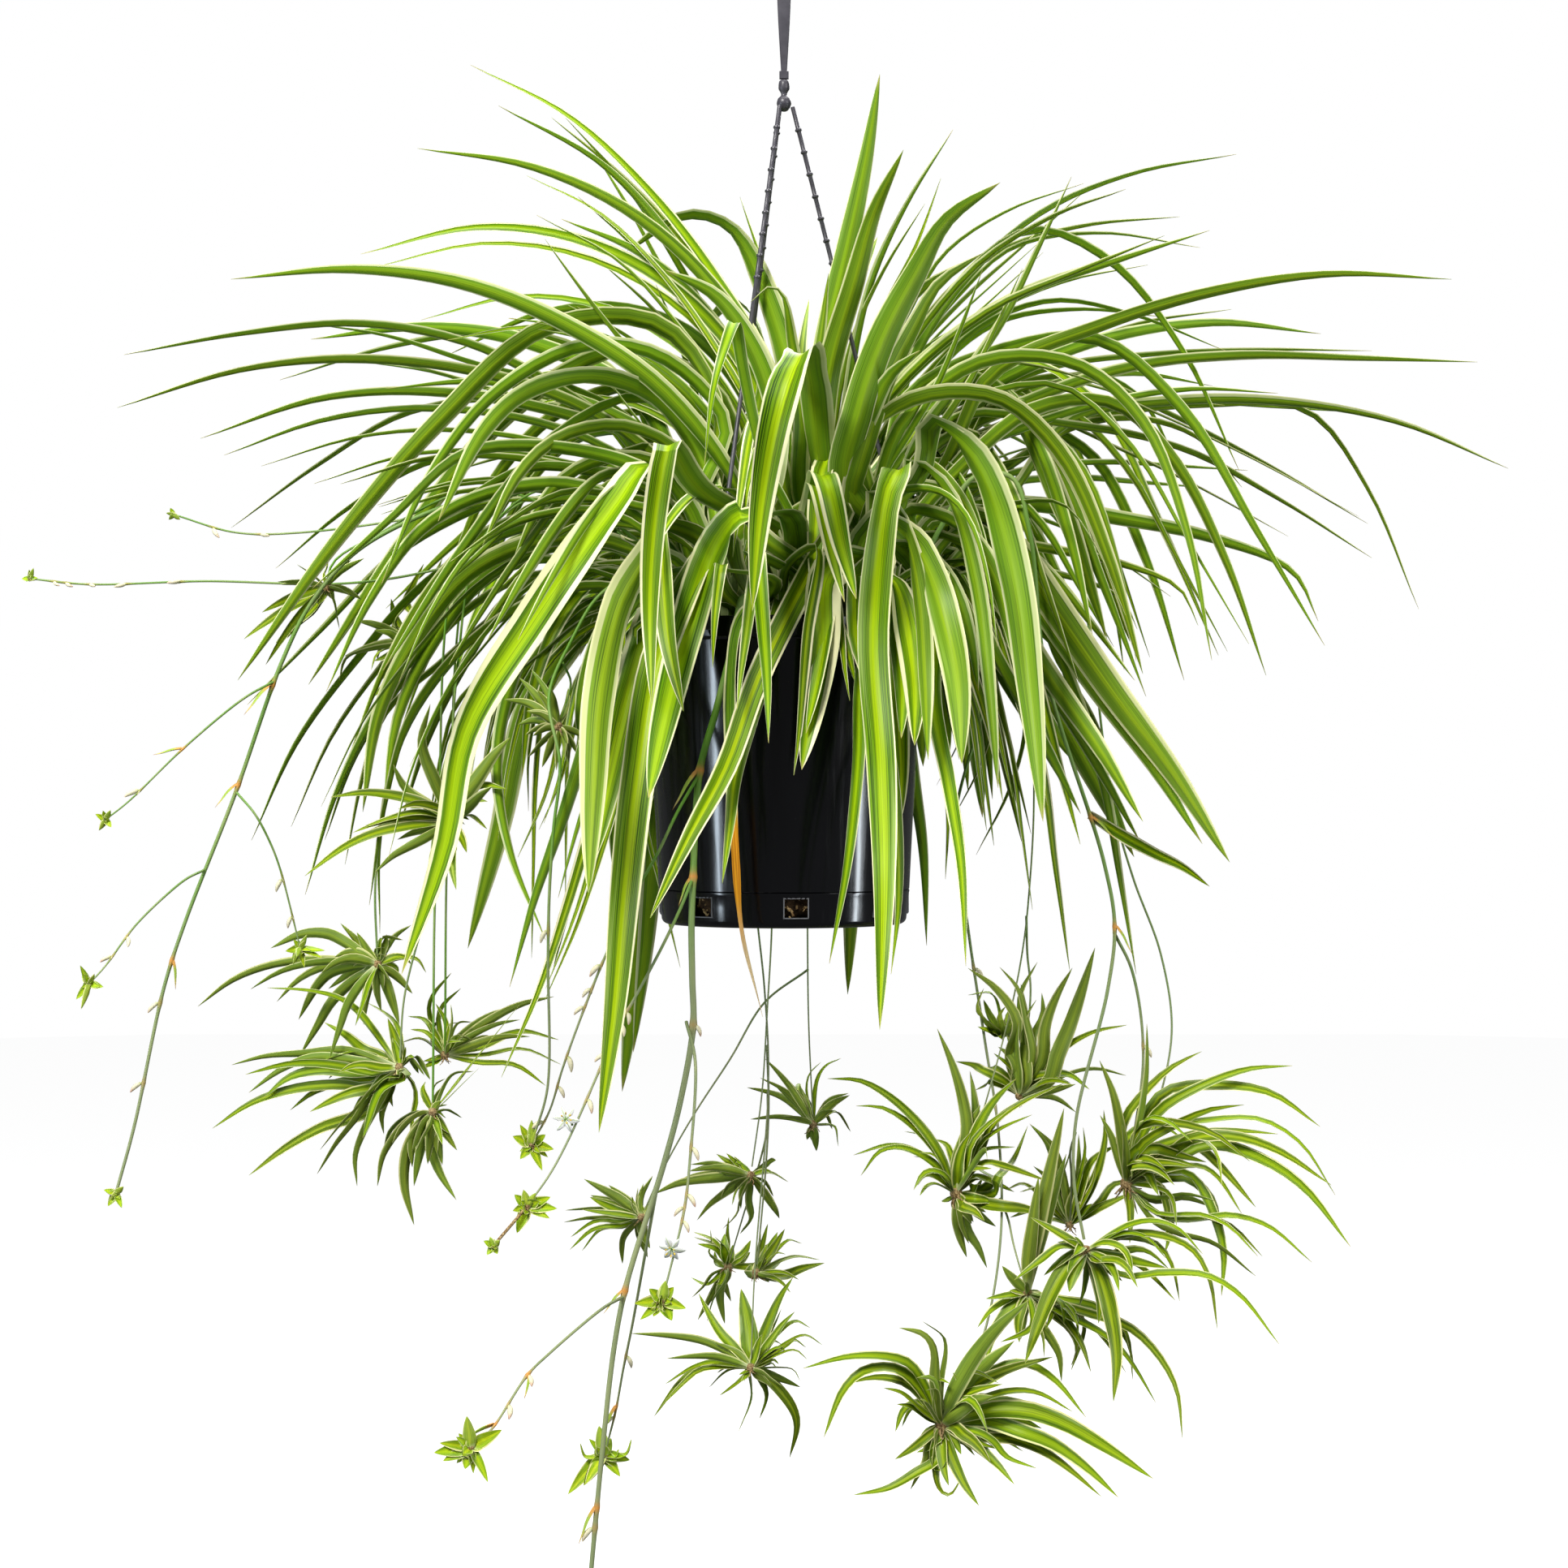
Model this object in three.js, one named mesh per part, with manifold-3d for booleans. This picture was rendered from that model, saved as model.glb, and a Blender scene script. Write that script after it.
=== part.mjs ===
// Potted spider plant in a hanging pot. Millimetres, +Z up, front is -Y.
// Origin: the saddle of the hook, where the object hangs. The pot's axis is the Z axis.
import * as THREE from "three";
import { mergeVertices } from "three/addons/utils/BufferGeometryUtils.js";
import Module from "manifold-3d";

const wasm = await Module();
wasm.setup();

// ---- driving dimensions ----
const RIM_Z = -460;          // top of the pot's rim
const RIM_R = 93;            // outside of the rim band
const RIM_BAND = 14;         // height of the rim band
const RIM_WALL = 3;          // wall at the rim band
const BODY_TOP_R = 91.6;     // outside just below the rim band
const SEAM_Z = -637;         // where the pot meets the saucer's top edge
const SEAM_R = 83.4;         // outside at the seam
const BASE_Z = -660;         // underside of the saucer
const BASE_R = 81.4;         // saucer's outside above its rounded corner
const CORNER = 4.5;          // rounded corner of the saucer
const WALL = 1.8;            // pot wall
const SAUCER_WALL = 1.6;     // saucer wall
const GAP = 0.3;             // clearance between pieces that touch
const SIDES = 32;            // facets round the pot
const WINDOWS = 8;           // slots round the base that show the mix
const WINDOW_W = 15, WINDOW_H = 12, WINDOW_Z = -647, WINDOW_TURN = 5.4;
const MIX_Z = -477;          // top of the potting mix
const STUB_LOW = 11, STUB_HIGH = 14, STUB_TOP = -440;  // a shoot's short stem
const PETIOLE_FROM = 5.2;    // a blade of a smaller half width than this grows from a point in its crown
const KEEL = 1.35;           // depth of a leaf's folded midrib below its blade
const HOOK_R = 8.8, HOOK_T = 2.6, HOOK_W = 9, STRAP_END_W = 4, STRAP_END_Z = -93;
const STEM_R = 1.45, COLLAR_R = 2.3, COLLAR_STEP = 15.2, COLLARS = 8;
const STEM_ANGLES = [0, 120, 240];
const CLIP_W = 7;            // width of the clip on a stem's lower end
const FLOWER_R = 8, PETALS = 6;
const TUBE_SIDES = 4;        // facets round a runner

// ---- shape tables: each leaf is [half width, width at its base, two numbers for its outline,
// [x, y, z of the midrib and the direction across the blade, ring by ring]]; a runner is [radius, points] ----

const SHOOTS = {
  shoot_centre: { at: [0, -2], leaves: [
    [8.53,0.3,4.4,0.8,[4.2,-4.7,-474,0.99,0.1,-0.04,6.3,-4.5,-421.3,0.99,0.1,-0.08,12.5,-8,-368.8,0.99,0.1,-0.13,29.7,-14.8,-265.6,0.98,0.1,-0.19,54,-21.6,-155.4,0.98,0.1,-0.18,62.9,-25,-101.4,0.98,0.1,-0.16]],
    [8.98,0.3,4.4,0.8,[4.2,-4.7,-474,0.95,0.29,-0.11,10.5,-6.7,-426.2,0.95,0.3,-0.12,18.9,-14.6,-383.3,0.95,0.29,-0.09,30.6,-35.2,-290.7,0.95,0.28,-0.14,44.7,-46.6,-244,0.95,0.22,-0.22,58.2,-61.7,-198.2,0.94,0.23,-0.26,76.1,-82.4,-163.1,0.91,0.24,-0.33]],
    [13.67,0.3,4.4,0.8,[0.8,-6.9,-474,0.85,0.2,-0.48,38.7,-27.4,-415,0.98,0.01,-0.21,25.8,-52.2,-359.5,0.74,-0.6,-0.3,17.7,-108.6,-306.2,0.78,-0.37,-0.5,8.4,-164.6,-303,0.86,-0.4,0.32,-3.5,-182.7,-341,0.92,-0.32,-0.23,-13.7,-162.2,-395.7,0.97,-0.2,-0.16,-19.4,-160.4,-461.7,0.97,-0.21,-0.09]],
    [6.06,0.3,3.2,0.9,[5,-2,-470,0.95,-0.19,-0.23,12.2,-26.8,-420.5,0.96,-0.28,-0.02,-0.1,-25.2,-368.5,0.93,-0.32,0.19,-6.7,-28.5,-329.9,0.7,-0.71,-0.05,-13.4,-41.2,-323.4,0.93,-0.35,0.15,-20.4,-67.4,-335.1,0.84,-0.47,0.27,-26.9,-97.9,-379.4,0.97,-0.22,-0.03,-32.2,-108.1,-424.5,0.98,-0.2,-0.07]],
    [5.5,0.3,3.2,0.9,[5,-1.4,-470,0.69,-0.69,-0.22,4.8,-15.8,-425,0.7,-0.68,-0.22,16.1,-17.8,-382.4,0.72,-0.67,-0.18,17.1,-19.2,-363.9,0.72,-0.69,-0.09,16.4,-20.1,-362.3,0.79,-0.36,-0.5,16,-19.1,-365.8,0.85,-0.51,0.13,21.7,-18.9,-392.3,0.77,-0.64,-0.03,15.5,-17.4,-419.8,0.69,-0.7,-0.19]],
    [5.53,0.3,3.2,0.9,[-0.1,3,-474,0.69,-0.63,0.36,-38.4,-18.1,-438.1,0.97,-0.18,-0.18,-1.5,-57.5,-421.6,0.93,0.29,-0.23,-15.9,-82.4,-426.7,0.87,-0.45,0.2,-20,-102.2,-441.9,0.94,-0.32,0.09,-23.4,-116.2,-470.3,0.97,-0.23,-0.02,-29.2,-136,-521.2,0.97,-0.23,0]],
    [9.34,0.3,4.4,0.8,[4.2,-4.7,-474,-0.87,0.47,0.18,15.1,-3.6,-423.9,-0.88,0.47,0.1,18.3,1.3,-379.6,-0.89,0.46,-0.03,21.3,13.9,-330.3,-0.9,0.44,-0.03,31.7,34.9,-281.4,-0.95,0.3,0.1,47,60.9,-229.2,-0.95,0.28,0.12,65.3,105.4,-184.5,-0.96,0.25,0.14]],
    [14.96,0.3,4.4,0.8,[0.7,-6.9,-474,0.91,-0.38,-0.16,18.6,7.8,-406.7,0.89,-0.45,0,19.2,29.3,-351.7,0.38,-0.72,0.59,7.9,84.3,-306.3,-0.92,-0.27,0.29,-3.3,144.7,-316.1,-0.72,-0.66,-0.2,-17.3,137.4,-390.2,-0.95,-0.31,0.11,-24.2,158.5,-462.1,-0.97,-0.26,0.02]] ] },
  shoot_back: { at: [0, 46], leaves: [
    [5.5,0.3,3.2,0.9,[4.2,43.3,-474,0.6,0.78,-0.18,36,34.2,-409.8,0.65,0.76,-0.03,27.9,26.9,-366.9,0.64,0.76,0.08,40.2,21.6,-320.3,0.63,0.77,-0.08,47.6,21,-272.7,0.62,0.77,-0.15,60.7,24.5,-222.7,0.57,0.77,-0.26,83.1,27.9,-175.1,0.53,0.78,-0.33,114,30,-125.7,0.51,0.78,-0.35]],
    [9.87,0.3,4.4,0.8,[4.2,43.3,-474,0.95,-0.27,0.15,-12.2,18.6,-414.6,0.98,-0.19,-0.06,9.1,27.2,-343,0.95,-0.29,-0.09,4.6,34,-290.2,0.93,-0.3,0.21,-13.6,38.2,-229.1,0.8,-0.51,0.33,-35.8,35,-190.5,0.39,-0.88,0.28,-66,29.9,-182.9,-0.01,-0.84,0.55,-105.5,24.4,-208.4,-0.4,-0.54,0.74]],
    [4.94,0.3,3.2,0.9,[4.2,43.3,-474,0.49,-0.85,-0.21,5.3,32.9,-429.5,0.49,-0.87,-0.05,-7.5,31.8,-379.8,0.47,-0.88,0.03,4.7,35.3,-336.6,0.48,-0.88,0.07,4.8,45.7,-291.5,0.46,-0.85,0.25,-2.4,55.4,-253.3,0.43,-0.86,0.27,-30.1,64.9,-164.4,0.44,-0.87,0.22]],
    [3.73,0.3,3.2,0.9,[-4.7,44.2,-474,0.46,0.81,-0.37,-22.2,78.4,-420.9,0.38,0.83,-0.4,27.8,88.6,-352.2,0.32,0.86,-0.41,51.3,109,-298.1,0.34,0.84,-0.42,84.7,121.6,-240.6,0.37,0.86,-0.34,112.7,123.9,-193.3,0.35,0.86,-0.38,158.7,127.1,-161.4,0.2,0.83,-0.51,212.4,131.6,-141.6,0.13,0.83,-0.55]],
    [3.71,0.3,3.2,0.9,[-4.6,44.2,-474,0.48,0.88,-0.08,10.3,39.7,-434.9,0.43,0.9,-0.06,-0.9,47.7,-388.3,0.42,0.89,-0.19,49.8,45.1,-324.5,0.37,0.88,-0.3,82.5,49.2,-280.6,0.31,0.87,-0.39,121.7,59,-236.4,0.26,0.86,-0.44,209.3,72.5,-156.8,0.27,0.87,-0.42]],
    [4.32,0.3,3.2,0.9,[-4.6,44.1,-474,0.4,0.88,-0.25,29.1,49,-403.3,0.44,0.88,-0.17,38.4,48.5,-344.1,0.43,0.88,-0.18,72.1,51.1,-292.4,0.37,0.88,-0.31,118.5,53.4,-234,0.28,0.9,-0.32,157.7,57.2,-199.6,0.1,0.91,-0.4,217,61.7,-189.3,-0.06,0.91,-0.42,285.7,66.3,-198.7,-0.12,0.9,-0.41]],
    [5.5,0.3,3.2,0.9,[-0.2,51,-474,-0.88,-0.45,0.16,-26.8,116.6,-437.1,-0.81,-0.48,-0.33,-37.9,108.5,-465.7,0.42,-0.91,0,-54.3,103.9,-511.3,0.5,-0.81,-0.31,-86.1,116,-561.3,0.45,-0.81,-0.39,-97.3,117,-588.2,0.5,-0.86,0.01,-87,114.8,-638.8,0.55,-0.8,0.22,-72.7,104.4,-695.9,0.54,-0.8,0.28]],
    [10.53,0.3,4.4,0.8,[4.6,44.1,-474,-0.91,-0.39,-0.1,-16.3,71.4,-391.1,-0.78,-0.61,-0.15,-63.6,107.3,-378.8,-0.78,-0.62,-0.05,-74.4,142.3,-362.1,-0.92,-0.39,-0.09,-81.1,151.1,-389.7,-0.87,-0.49,0.08,-86.7,149.7,-453.3,-0.94,-0.35,-0.02,-85.9,171.5,-517.6,-0.94,-0.32,-0.12]],
    [7.48,0.3,3.2,0.9,[4.6,44.1,-474,-0.92,-0.37,0.1,-5.1,77.6,-440.9,-0.91,-0.42,0.05,-22.9,111.6,-405.4,-0.77,-0.64,0.07,-36.6,121.7,-388.1,-0.32,-0.94,0.07,-52.6,122.9,-388.1,-0.14,-0.95,0.29,-70.8,122.5,-402.5,-0.6,-0.69,0.41,-88,125.8,-435.1,-0.76,-0.55,0.34]],
    [13.76,0.3,4.4,0.8,[4.6,44.1,-474,-0.9,-0.32,0.29,-0.2,111.1,-414.7,-0.62,-0.69,0.37,-27.5,112.2,-401.9,-0.2,-0.97,0.15,-41.8,120.4,-409.8,-0.34,-0.94,-0.04,-61.8,127.3,-462,-0.85,-0.51,0.14,-76.3,146.8,-520.3,-0.97,-0.19,0.12,-88.8,194.9,-576.3,-0.98,-0.15,0.09]],
    [12.52,0.3,4.4,0.8,[4.6,44.1,-474,-0.83,-0.51,-0.24,-33.8,86.6,-431.7,-0.7,-0.71,-0.06,-48.4,94.5,-448.4,-0.57,-0.82,0.06,-86.6,115.6,-532.4,-0.92,-0.37,0.12,-99.8,165.4,-617.9,-0.99,-0.07,0.09,-108.7,199.6,-706.5,-0.99,-0.06,0.09,-119.3,216.5,-794.2,-0.99,-0.06,0.11]],
    [10.81,0.3,4.4,0.8,[0.8,41.1,-474,-0.85,0.52,0.07,12.8,55,-429.4,-0.88,0.46,-0.07,11.5,73.9,-393.6,-0.93,0.32,-0.17,16.3,92.7,-378,-0.96,0.24,-0.13,18.2,109.4,-378.6,-0.85,0.49,0.17,23.6,117.5,-414.3,-0.98,0.04,-0.21,34.8,133.1,-453.5,-0.96,-0.02,-0.28]],
    [13.71,0.3,4.4,0.8,[0.8,41.1,-474,-0.97,0.23,0.09,17.8,95.5,-432.8,-0.91,0.33,0.26,39.4,110.8,-429.3,-0.6,0.1,0.79,20.5,115.8,-433.3,-0.85,-0.42,0.32,17.9,119.3,-474.3,-0.93,-0.36,0.06,10.6,126.9,-517.7,-0.98,-0.15,0.11,3.9,149,-558.4,-0.99,-0.13,0.09]],
    [8.96,0.3,4.4,0.8,[0.2,51,-474,0.85,-0.25,0.46,-7.3,97.1,-435.2,0.63,-0.27,0.73,-17.1,108.3,-437.8,-0.23,0.86,0.46,-4.7,117.2,-471,-0.8,0.59,0.12,-18.1,127,-534.4,-0.94,0.09,0.33,-41.3,177.7,-593.5,-0.92,0.02,0.39,-66.3,252.6,-654.8,-0.92,0.02,0.4]],
    [6.89,0.3,3.2,0.9,[-0.1,51,-474,-0.87,-0.47,0.11,-16.6,88.5,-442.9,-0.91,-0.4,0.14,-14,101.5,-421.1,-0.99,0.1,0.14,-11,114.9,-421.2,-0.97,-0.09,-0.24,-2.9,142.5,-504.4,-0.98,-0.16,-0.12,-1.7,161.7,-542,-0.98,-0.15,-0.11]] ] },
  shoot_back_right: { at: [38, 40], leaves: [
    [5.5,0.3,3.2,0.9,[42.2,37.3,-474,-0.67,0.72,0.18,20.4,4.7,-424.1,-0.56,0.79,0.25,47.1,9.8,-377.4,-0.55,0.84,0.05,47.9,16.7,-329.6,-0.57,0.82,-0.09,53.8,24.6,-285.3,-0.58,0.82,0,68.3,31,-244.9,-0.55,0.82,0.13,89.9,35.9,-201.5,-0.54,0.83,0.15,106.3,40,-156.6,-0.55,0.83,0.12]],
    [5.5,0.3,3.2,0.9,[37.5,45,-474,0.84,0.38,-0.38,62.1,46.2,-417.1,0.8,0.39,-0.46,83.9,43.4,-394.1,0.64,0.43,-0.64,115.4,40.4,-368.3,0.34,0.78,-0.52,137.1,38.9,-365.9,-0.14,0.85,-0.5,162.3,38.5,-384.5,-0.6,0.62,-0.52,186,36,-425.6,-0.79,0.47,-0.4,202.4,31.8,-470.9,-0.81,0.47,-0.34]],
    [6.39,0.3,3.2,0.9,[40.2,44.5,-474,0.85,0.29,-0.44,69.2,44.7,-418.1,0.74,0.34,-0.58,113.8,37.6,-383.1,0.41,0.5,-0.77,160.4,31.1,-378,0,0.43,-0.9,223.8,27.4,-387.6,-0.15,0.36,-0.92,289.4,24.9,-401.7,-0.26,0.37,-0.89,342.6,22.3,-424.8,-0.56,0.39,-0.73,358.9,19.9,-457.9,-0.8,0.42,-0.42]],
    [5.5,0.3,3.2,0.9,[40.2,44.5,-474,-0.56,0.71,0.42,90.9,61.7,-435.3,-0.52,0.74,0.42,84.4,50,-428.7,0.04,0.63,0.77,102.4,50.9,-427,-0.12,0.99,0.07,111.4,53.4,-430.6,-0.22,0.97,-0.13,129.8,52.8,-460,-0.43,0.85,-0.29,143.5,48.6,-493.3,-0.47,0.85,-0.24,150.2,44.6,-530,-0.5,0.85,-0.18]],
    [5.5,0.3,3.2,0.9,[40.2,44.5,-474,-0.16,0.57,-0.81,47.8,124.3,-419,-0.82,0.18,0.54,64.1,120.2,-463.7,0.37,0.92,0.1,85.4,116.9,-485,0.54,0.79,0.28,102.9,110.1,-509.8,0.63,0.77,0,109.8,97.2,-546.5,0.72,0.68,-0.15,113.5,81.4,-588.9,0.69,0.68,-0.25,110.9,64.1,-632.7,0.66,0.68,-0.31]],
    [5.5,0.3,3.2,0.9,[40.1,44.5,-474,-0.86,0.5,0.1,101,138,-417.7,-0.69,0.58,0.44,119.5,125.4,-456.7,0.41,0.9,0.16,152.8,122.9,-463.2,0.33,0.94,-0.03,163.7,109.2,-483.4,-0.22,0.88,-0.41,168.6,97.4,-526.2,-0.41,0.89,-0.18,156.9,88,-570.7,-0.45,0.89,0.02,133.2,81.3,-616.4,-0.44,0.89,0.1]],
    [10.19,0.3,4.4,0.8,[41.9,36.8,-474,0.98,0.19,-0.1,51.6,30.3,-389.5,0.94,0.22,-0.26,78.2,43.6,-338.4,0.63,0.57,-0.52,111.7,49.2,-295.5,0.2,0.88,-0.42,147.2,51.9,-289.3,-0.14,0.96,-0.26,181.1,50.7,-328,-0.66,0.61,-0.44,210.4,44.2,-396,-0.86,0.35,-0.36,233.8,32.9,-470.9,-0.88,0.35,-0.33]],
    [4.93,0.3,3.2,0.9,[33.3,38.2,-474,0.48,0.87,0.06,39.8,29.5,-398.5,0.47,0.88,-0.04,53.1,33.9,-329.6,0.43,0.88,-0.21,83.5,38.5,-272.5,0.37,0.87,-0.32,126.2,43.7,-219.5,0.3,0.87,-0.4,178.1,49.5,-176,0.19,0.86,-0.47,239.9,56.4,-149.4,0.06,0.85,-0.52,310.5,64.4,-135,0.01,0.85,-0.53]],
    [4.97,0.3,3.2,0.9,[33.4,38.1,-474,0.46,0.89,-0.07,42.2,38.7,-411.1,0.45,0.88,-0.16,57.2,49.3,-343.7,0.4,0.84,-0.37,76.3,80.2,-281.4,0.3,0.79,-0.53,110.3,106.5,-227.6,0.16,0.86,-0.49,152.4,117,-191.8,0.11,0.87,-0.48,211.3,123.9,-172.9,0.02,0.86,-0.51,280.1,130,-165.5,-0.02,0.85,-0.52]],
    [4.92,0.3,3.2,0.9,[33.4,38.1,-474,0.4,0.88,-0.24,72.7,36.7,-413.4,0.45,0.88,-0.13,71.7,34.7,-360,0.45,0.89,-0.1,100.4,34.3,-313.8,0.29,0.91,-0.29,138.4,37.1,-284.6,0.09,0.91,-0.4,189.9,43.9,-272,0.01,0.91,-0.42,244.5,51.2,-252.5,0.01,0.91,-0.42,306,56.6,-242.7,-0.01,0.91,-0.42]],
    [4.9,0.3,3.2,0.9,[34.9,36.1,-474,0.5,0.86,0.04,51.8,22.7,-405.8,0.46,0.88,-0.12,81.4,28.4,-352.3,0.32,0.88,-0.36,127.2,34.6,-309.2,0.15,0.92,-0.37,179.4,39.7,-285.2,0.05,0.92,-0.38,249.9,41.5,-275.3,0.03,0.92,-0.38,324.1,41,-272.3,0.01,0.92,-0.38,398.8,40.1,-273.4,0,0.92,-0.38]],
    [5.5,0.3,3.2,0.9,[33.5,37.9,-474,0.48,0.87,-0.12,70.3,27.4,-405.4,0.43,0.88,-0.21,121.1,24.9,-345.3,0.16,0.91,-0.38,203.3,39.7,-318.7,0.01,0.91,-0.41,288,39,-310,0.01,0.92,-0.4,355.4,39.7,-314.5,-0.18,0.94,-0.27,397,44.1,-366.4,-0.32,0.94,-0.11,432.9,50.5,-447.9,-0.33,0.94,-0.07]],
    [4.95,0.3,3.2,0.9,[33.5,37.9,-474,0.51,0.86,-0.05,62.5,24.3,-411.4,0.41,0.88,-0.23,93.8,40.7,-353.9,0.22,0.84,-0.5,150.9,69.5,-296.5,-0.06,0.88,-0.47,206.7,84.5,-284.3,-0.19,0.94,-0.29,264.4,89.3,-308.2,-0.2,0.94,-0.26,336.8,96,-344.3,-0.23,0.94,-0.25,408.6,104.5,-385.1,-0.25,0.94,-0.24]],
    [5.49,0.3,3.2,0.9,[33.5,37.8,-474,0.46,0.84,0.27,26.6,16.9,-397.8,0.48,0.88,-0.03,64.3,24.5,-350.4,0.33,0.88,-0.33,95.2,28.8,-297.7,0.34,0.89,-0.3,132.9,28.6,-258.5,0.22,0.93,-0.28,181.1,25.9,-241.4,0.07,0.95,-0.32,236.3,22.8,-251.9,-0.04,0.95,-0.3,296.7,20,-276.3,-0.07,0.95,-0.29]],
    [5.5,0.3,3.2,0.9,[33.5,37.8,-474,0.43,0.89,-0.14,27.6,49.8,-416,0.41,0.86,-0.3,61.7,63.1,-361.1,0.33,0.85,-0.41,84.6,78.3,-311.9,0.34,0.86,-0.37,118.1,81.2,-268.4,0.32,0.91,-0.27,151.5,74.5,-247.1,0.26,0.89,-0.37,202.3,68.4,-240.6,0.09,0.89,-0.45,258.6,64.5,-246.4,0.01,0.89,-0.46]],
    [5.5,0.3,3.2,0.9,[33.6,37.6,-474,0.78,0.57,-0.27,52.5,43,-408.6,0.73,0.55,-0.41,83.6,51.7,-367.3,0.52,0.57,-0.63,124.7,68.7,-325.6,0.38,0.55,-0.74,172.7,90,-293.4,0.11,0.59,-0.8,217.8,112.3,-280.1,-0.39,0.69,-0.62,253.8,134.7,-294.3,-0.7,0.65,-0.28,281.8,156.3,-336.9,-0.75,0.65,-0.16]],
    [11.38,0.3,4.4,0.8,[38.8,35.1,-474,-0.85,0.42,-0.3,33.9,89.3,-384,-0.54,0.63,-0.55,37.7,125.2,-369.6,-0.85,0.49,0.21,44,128.9,-435.5,-0.95,0.31,-0.02,48.9,146.7,-530.8,-0.99,0.15,0.05,50.9,236,-625.5,-0.99,0.12,0.1,48.9,307.3,-728.8,-0.99,0.13,0.11]],
    [12.51,0.3,4.4,0.8,[42.9,41.2,-474,-0.68,0.34,-0.65,10.6,94,-412.8,-0.62,0.65,-0.44,52.4,102.5,-397.2,-0.36,0.91,-0.22,67.7,119.5,-401.7,-0.48,0.85,0.23,87.3,135.2,-444.8,-0.75,0.66,0,96.7,152.7,-498.7,-0.97,0.25,0,101.2,187,-554.7,-0.98,0.2,0.04]],
    [6.51,0.3,3.2,0.9,[42.9,41.2,-474,-0.79,0.62,0.06,79.9,83.8,-429.7,-0.65,0.76,-0.03,105,95.6,-425.9,-0.56,0.81,0.18,79.9,94.7,-477.8,-0.89,0.42,0.19,88.8,117.3,-547.9,-0.96,0.29,0,100.2,163.2,-615.1,-0.96,0.26,0.06,104.6,205.1,-685.8,-0.96,0.26,0.1]],
    [11.89,0.3,4.4,0.8,[38.8,35.1,-474,-0.74,0.14,-0.66,24.8,79.7,-448.7,-0.79,0.46,-0.41,45.9,90.2,-426.1,-0.44,0.88,-0.19,58.6,99.9,-432.9,-0.5,0.85,0.14,66.1,108.3,-464.8,-0.88,0.48,0.02,68.2,121,-502.8,-0.99,0.15,0.05,67.9,144.2,-542.9,-0.99,0.13,0.08]],
    [13.39,0.3,4.4,0.8,[38.8,35.1,-474,-0.77,0.56,-0.32,52.1,100,-391.7,-0.45,0.78,-0.44,64.1,120.9,-347.2,-0.53,0.81,-0.25,98,144.9,-345.4,-0.35,0.93,0.04,125.1,146.9,-413.4,-0.79,0.6,-0.14,135.7,158.1,-501,-0.98,0.18,-0.06,145.3,201.4,-591.8,-0.99,0.14,-0.03]],
    [8.27,0.3,4.4,0.8,[37.5,45,-474,-0.59,0.75,0.3,74.3,52.7,-419.9,-0.47,0.84,-0.27,52,76.9,-399.1,-0.63,0.48,-0.61,81.9,96.9,-393.4,-0.44,0.9,0.08,107.2,105.4,-414.1,-0.45,0.88,-0.15,124.2,106.9,-463.5,-0.86,0.49,-0.16,131.8,114.7,-518.5,-0.9,0.42,-0.07]],
    [7.66,0.3,4.4,0.8,[41.8,36.8,-474,-0.66,0.68,0.33,103.3,59.2,-396.3,-0.7,0.67,-0.24,48.4,89.8,-342.8,-0.05,0.81,-0.59,102.2,112.2,-324.1,-0.2,0.89,-0.4,149.6,111.4,-345.5,-0.41,0.79,-0.46,184.1,103.3,-412.8,-0.86,0.37,-0.36,207.6,101.2,-495.5,-0.91,0.31,-0.27]],
    [9.9,0.3,4.4,0.8,[41.8,36.8,-474,-0.83,0.49,0.28,36.4,-9.7,-408.1,-0.82,0.44,0.38,76.5,-12,-343.3,-0.56,0.71,0.43,111,-12.3,-308.7,-0.07,0.97,0.23,148,-12.8,-318.3,-0.21,0.94,-0.26,184.6,-18,-387.5,-0.83,0.41,-0.37,212.8,-18.8,-471.3,-0.91,0.29,-0.31]],
    [5.91,0.3,3.2,0.9,[33.5,37.9,-474,0.89,0.37,-0.28,58.2,48,-382.7,0.79,0.51,-0.34,81.7,63.8,-323.3,0.29,0.69,-0.66,137.6,95.5,-298.8,-0.35,0.74,-0.57,193.1,118,-321.7,-0.61,0.71,-0.34,225.5,124.1,-395.9,-0.9,0.36,-0.24,240.6,126.6,-486.7,-0.94,0.32,-0.15]],
    [5.86,0.3,3.2,0.9,[33.6,37.6,-474,0.92,0.34,-0.18,55.6,16.8,-402.3,0.73,0.57,-0.38,105.1,26.9,-350.5,0.39,0.61,-0.69,166.3,33.1,-325.4,-0.07,0.84,-0.54,209.1,39.8,-344.7,-0.56,0.72,-0.4,246.4,45.3,-414.9,-0.88,0.34,-0.35,272.8,49.6,-496.6,-0.91,0.31,-0.28]],
    [12.4,0.3,4.4,0.8,[42.2,37.3,-474,0.58,0.48,-0.66,100.9,52.3,-411.9,0.87,0.48,-0.12,33.7,80.1,-367.9,0.55,0.83,-0.05,47,94.2,-313.6,0.62,0.72,-0.32,87.6,94.4,-230.3,0.42,0.81,-0.4,122,98.5,-204.3,0.41,0.65,-0.64]] ] },
  shoot_front_right: { at: [40, -36], leaves: [
    [11.69,0.3,4.4,0.8,[44.2,-38.7,-474,0.66,0.29,-0.7,88.6,-38.9,-432.3,0.98,0.19,0.1,39.2,-64.9,-374.5,0.84,0.28,0.46,46.8,-82.6,-330.1,0.9,0.4,-0.15,62.2,-83.5,-284,0.83,0.42,-0.36,83.5,-80.3,-242.3,0.78,0.44,-0.44,104.2,-80.9,-207.3,0.6,0.6,-0.53,137.7,-82.6,-183.9,0.52,0.49,-0.7]],
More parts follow.
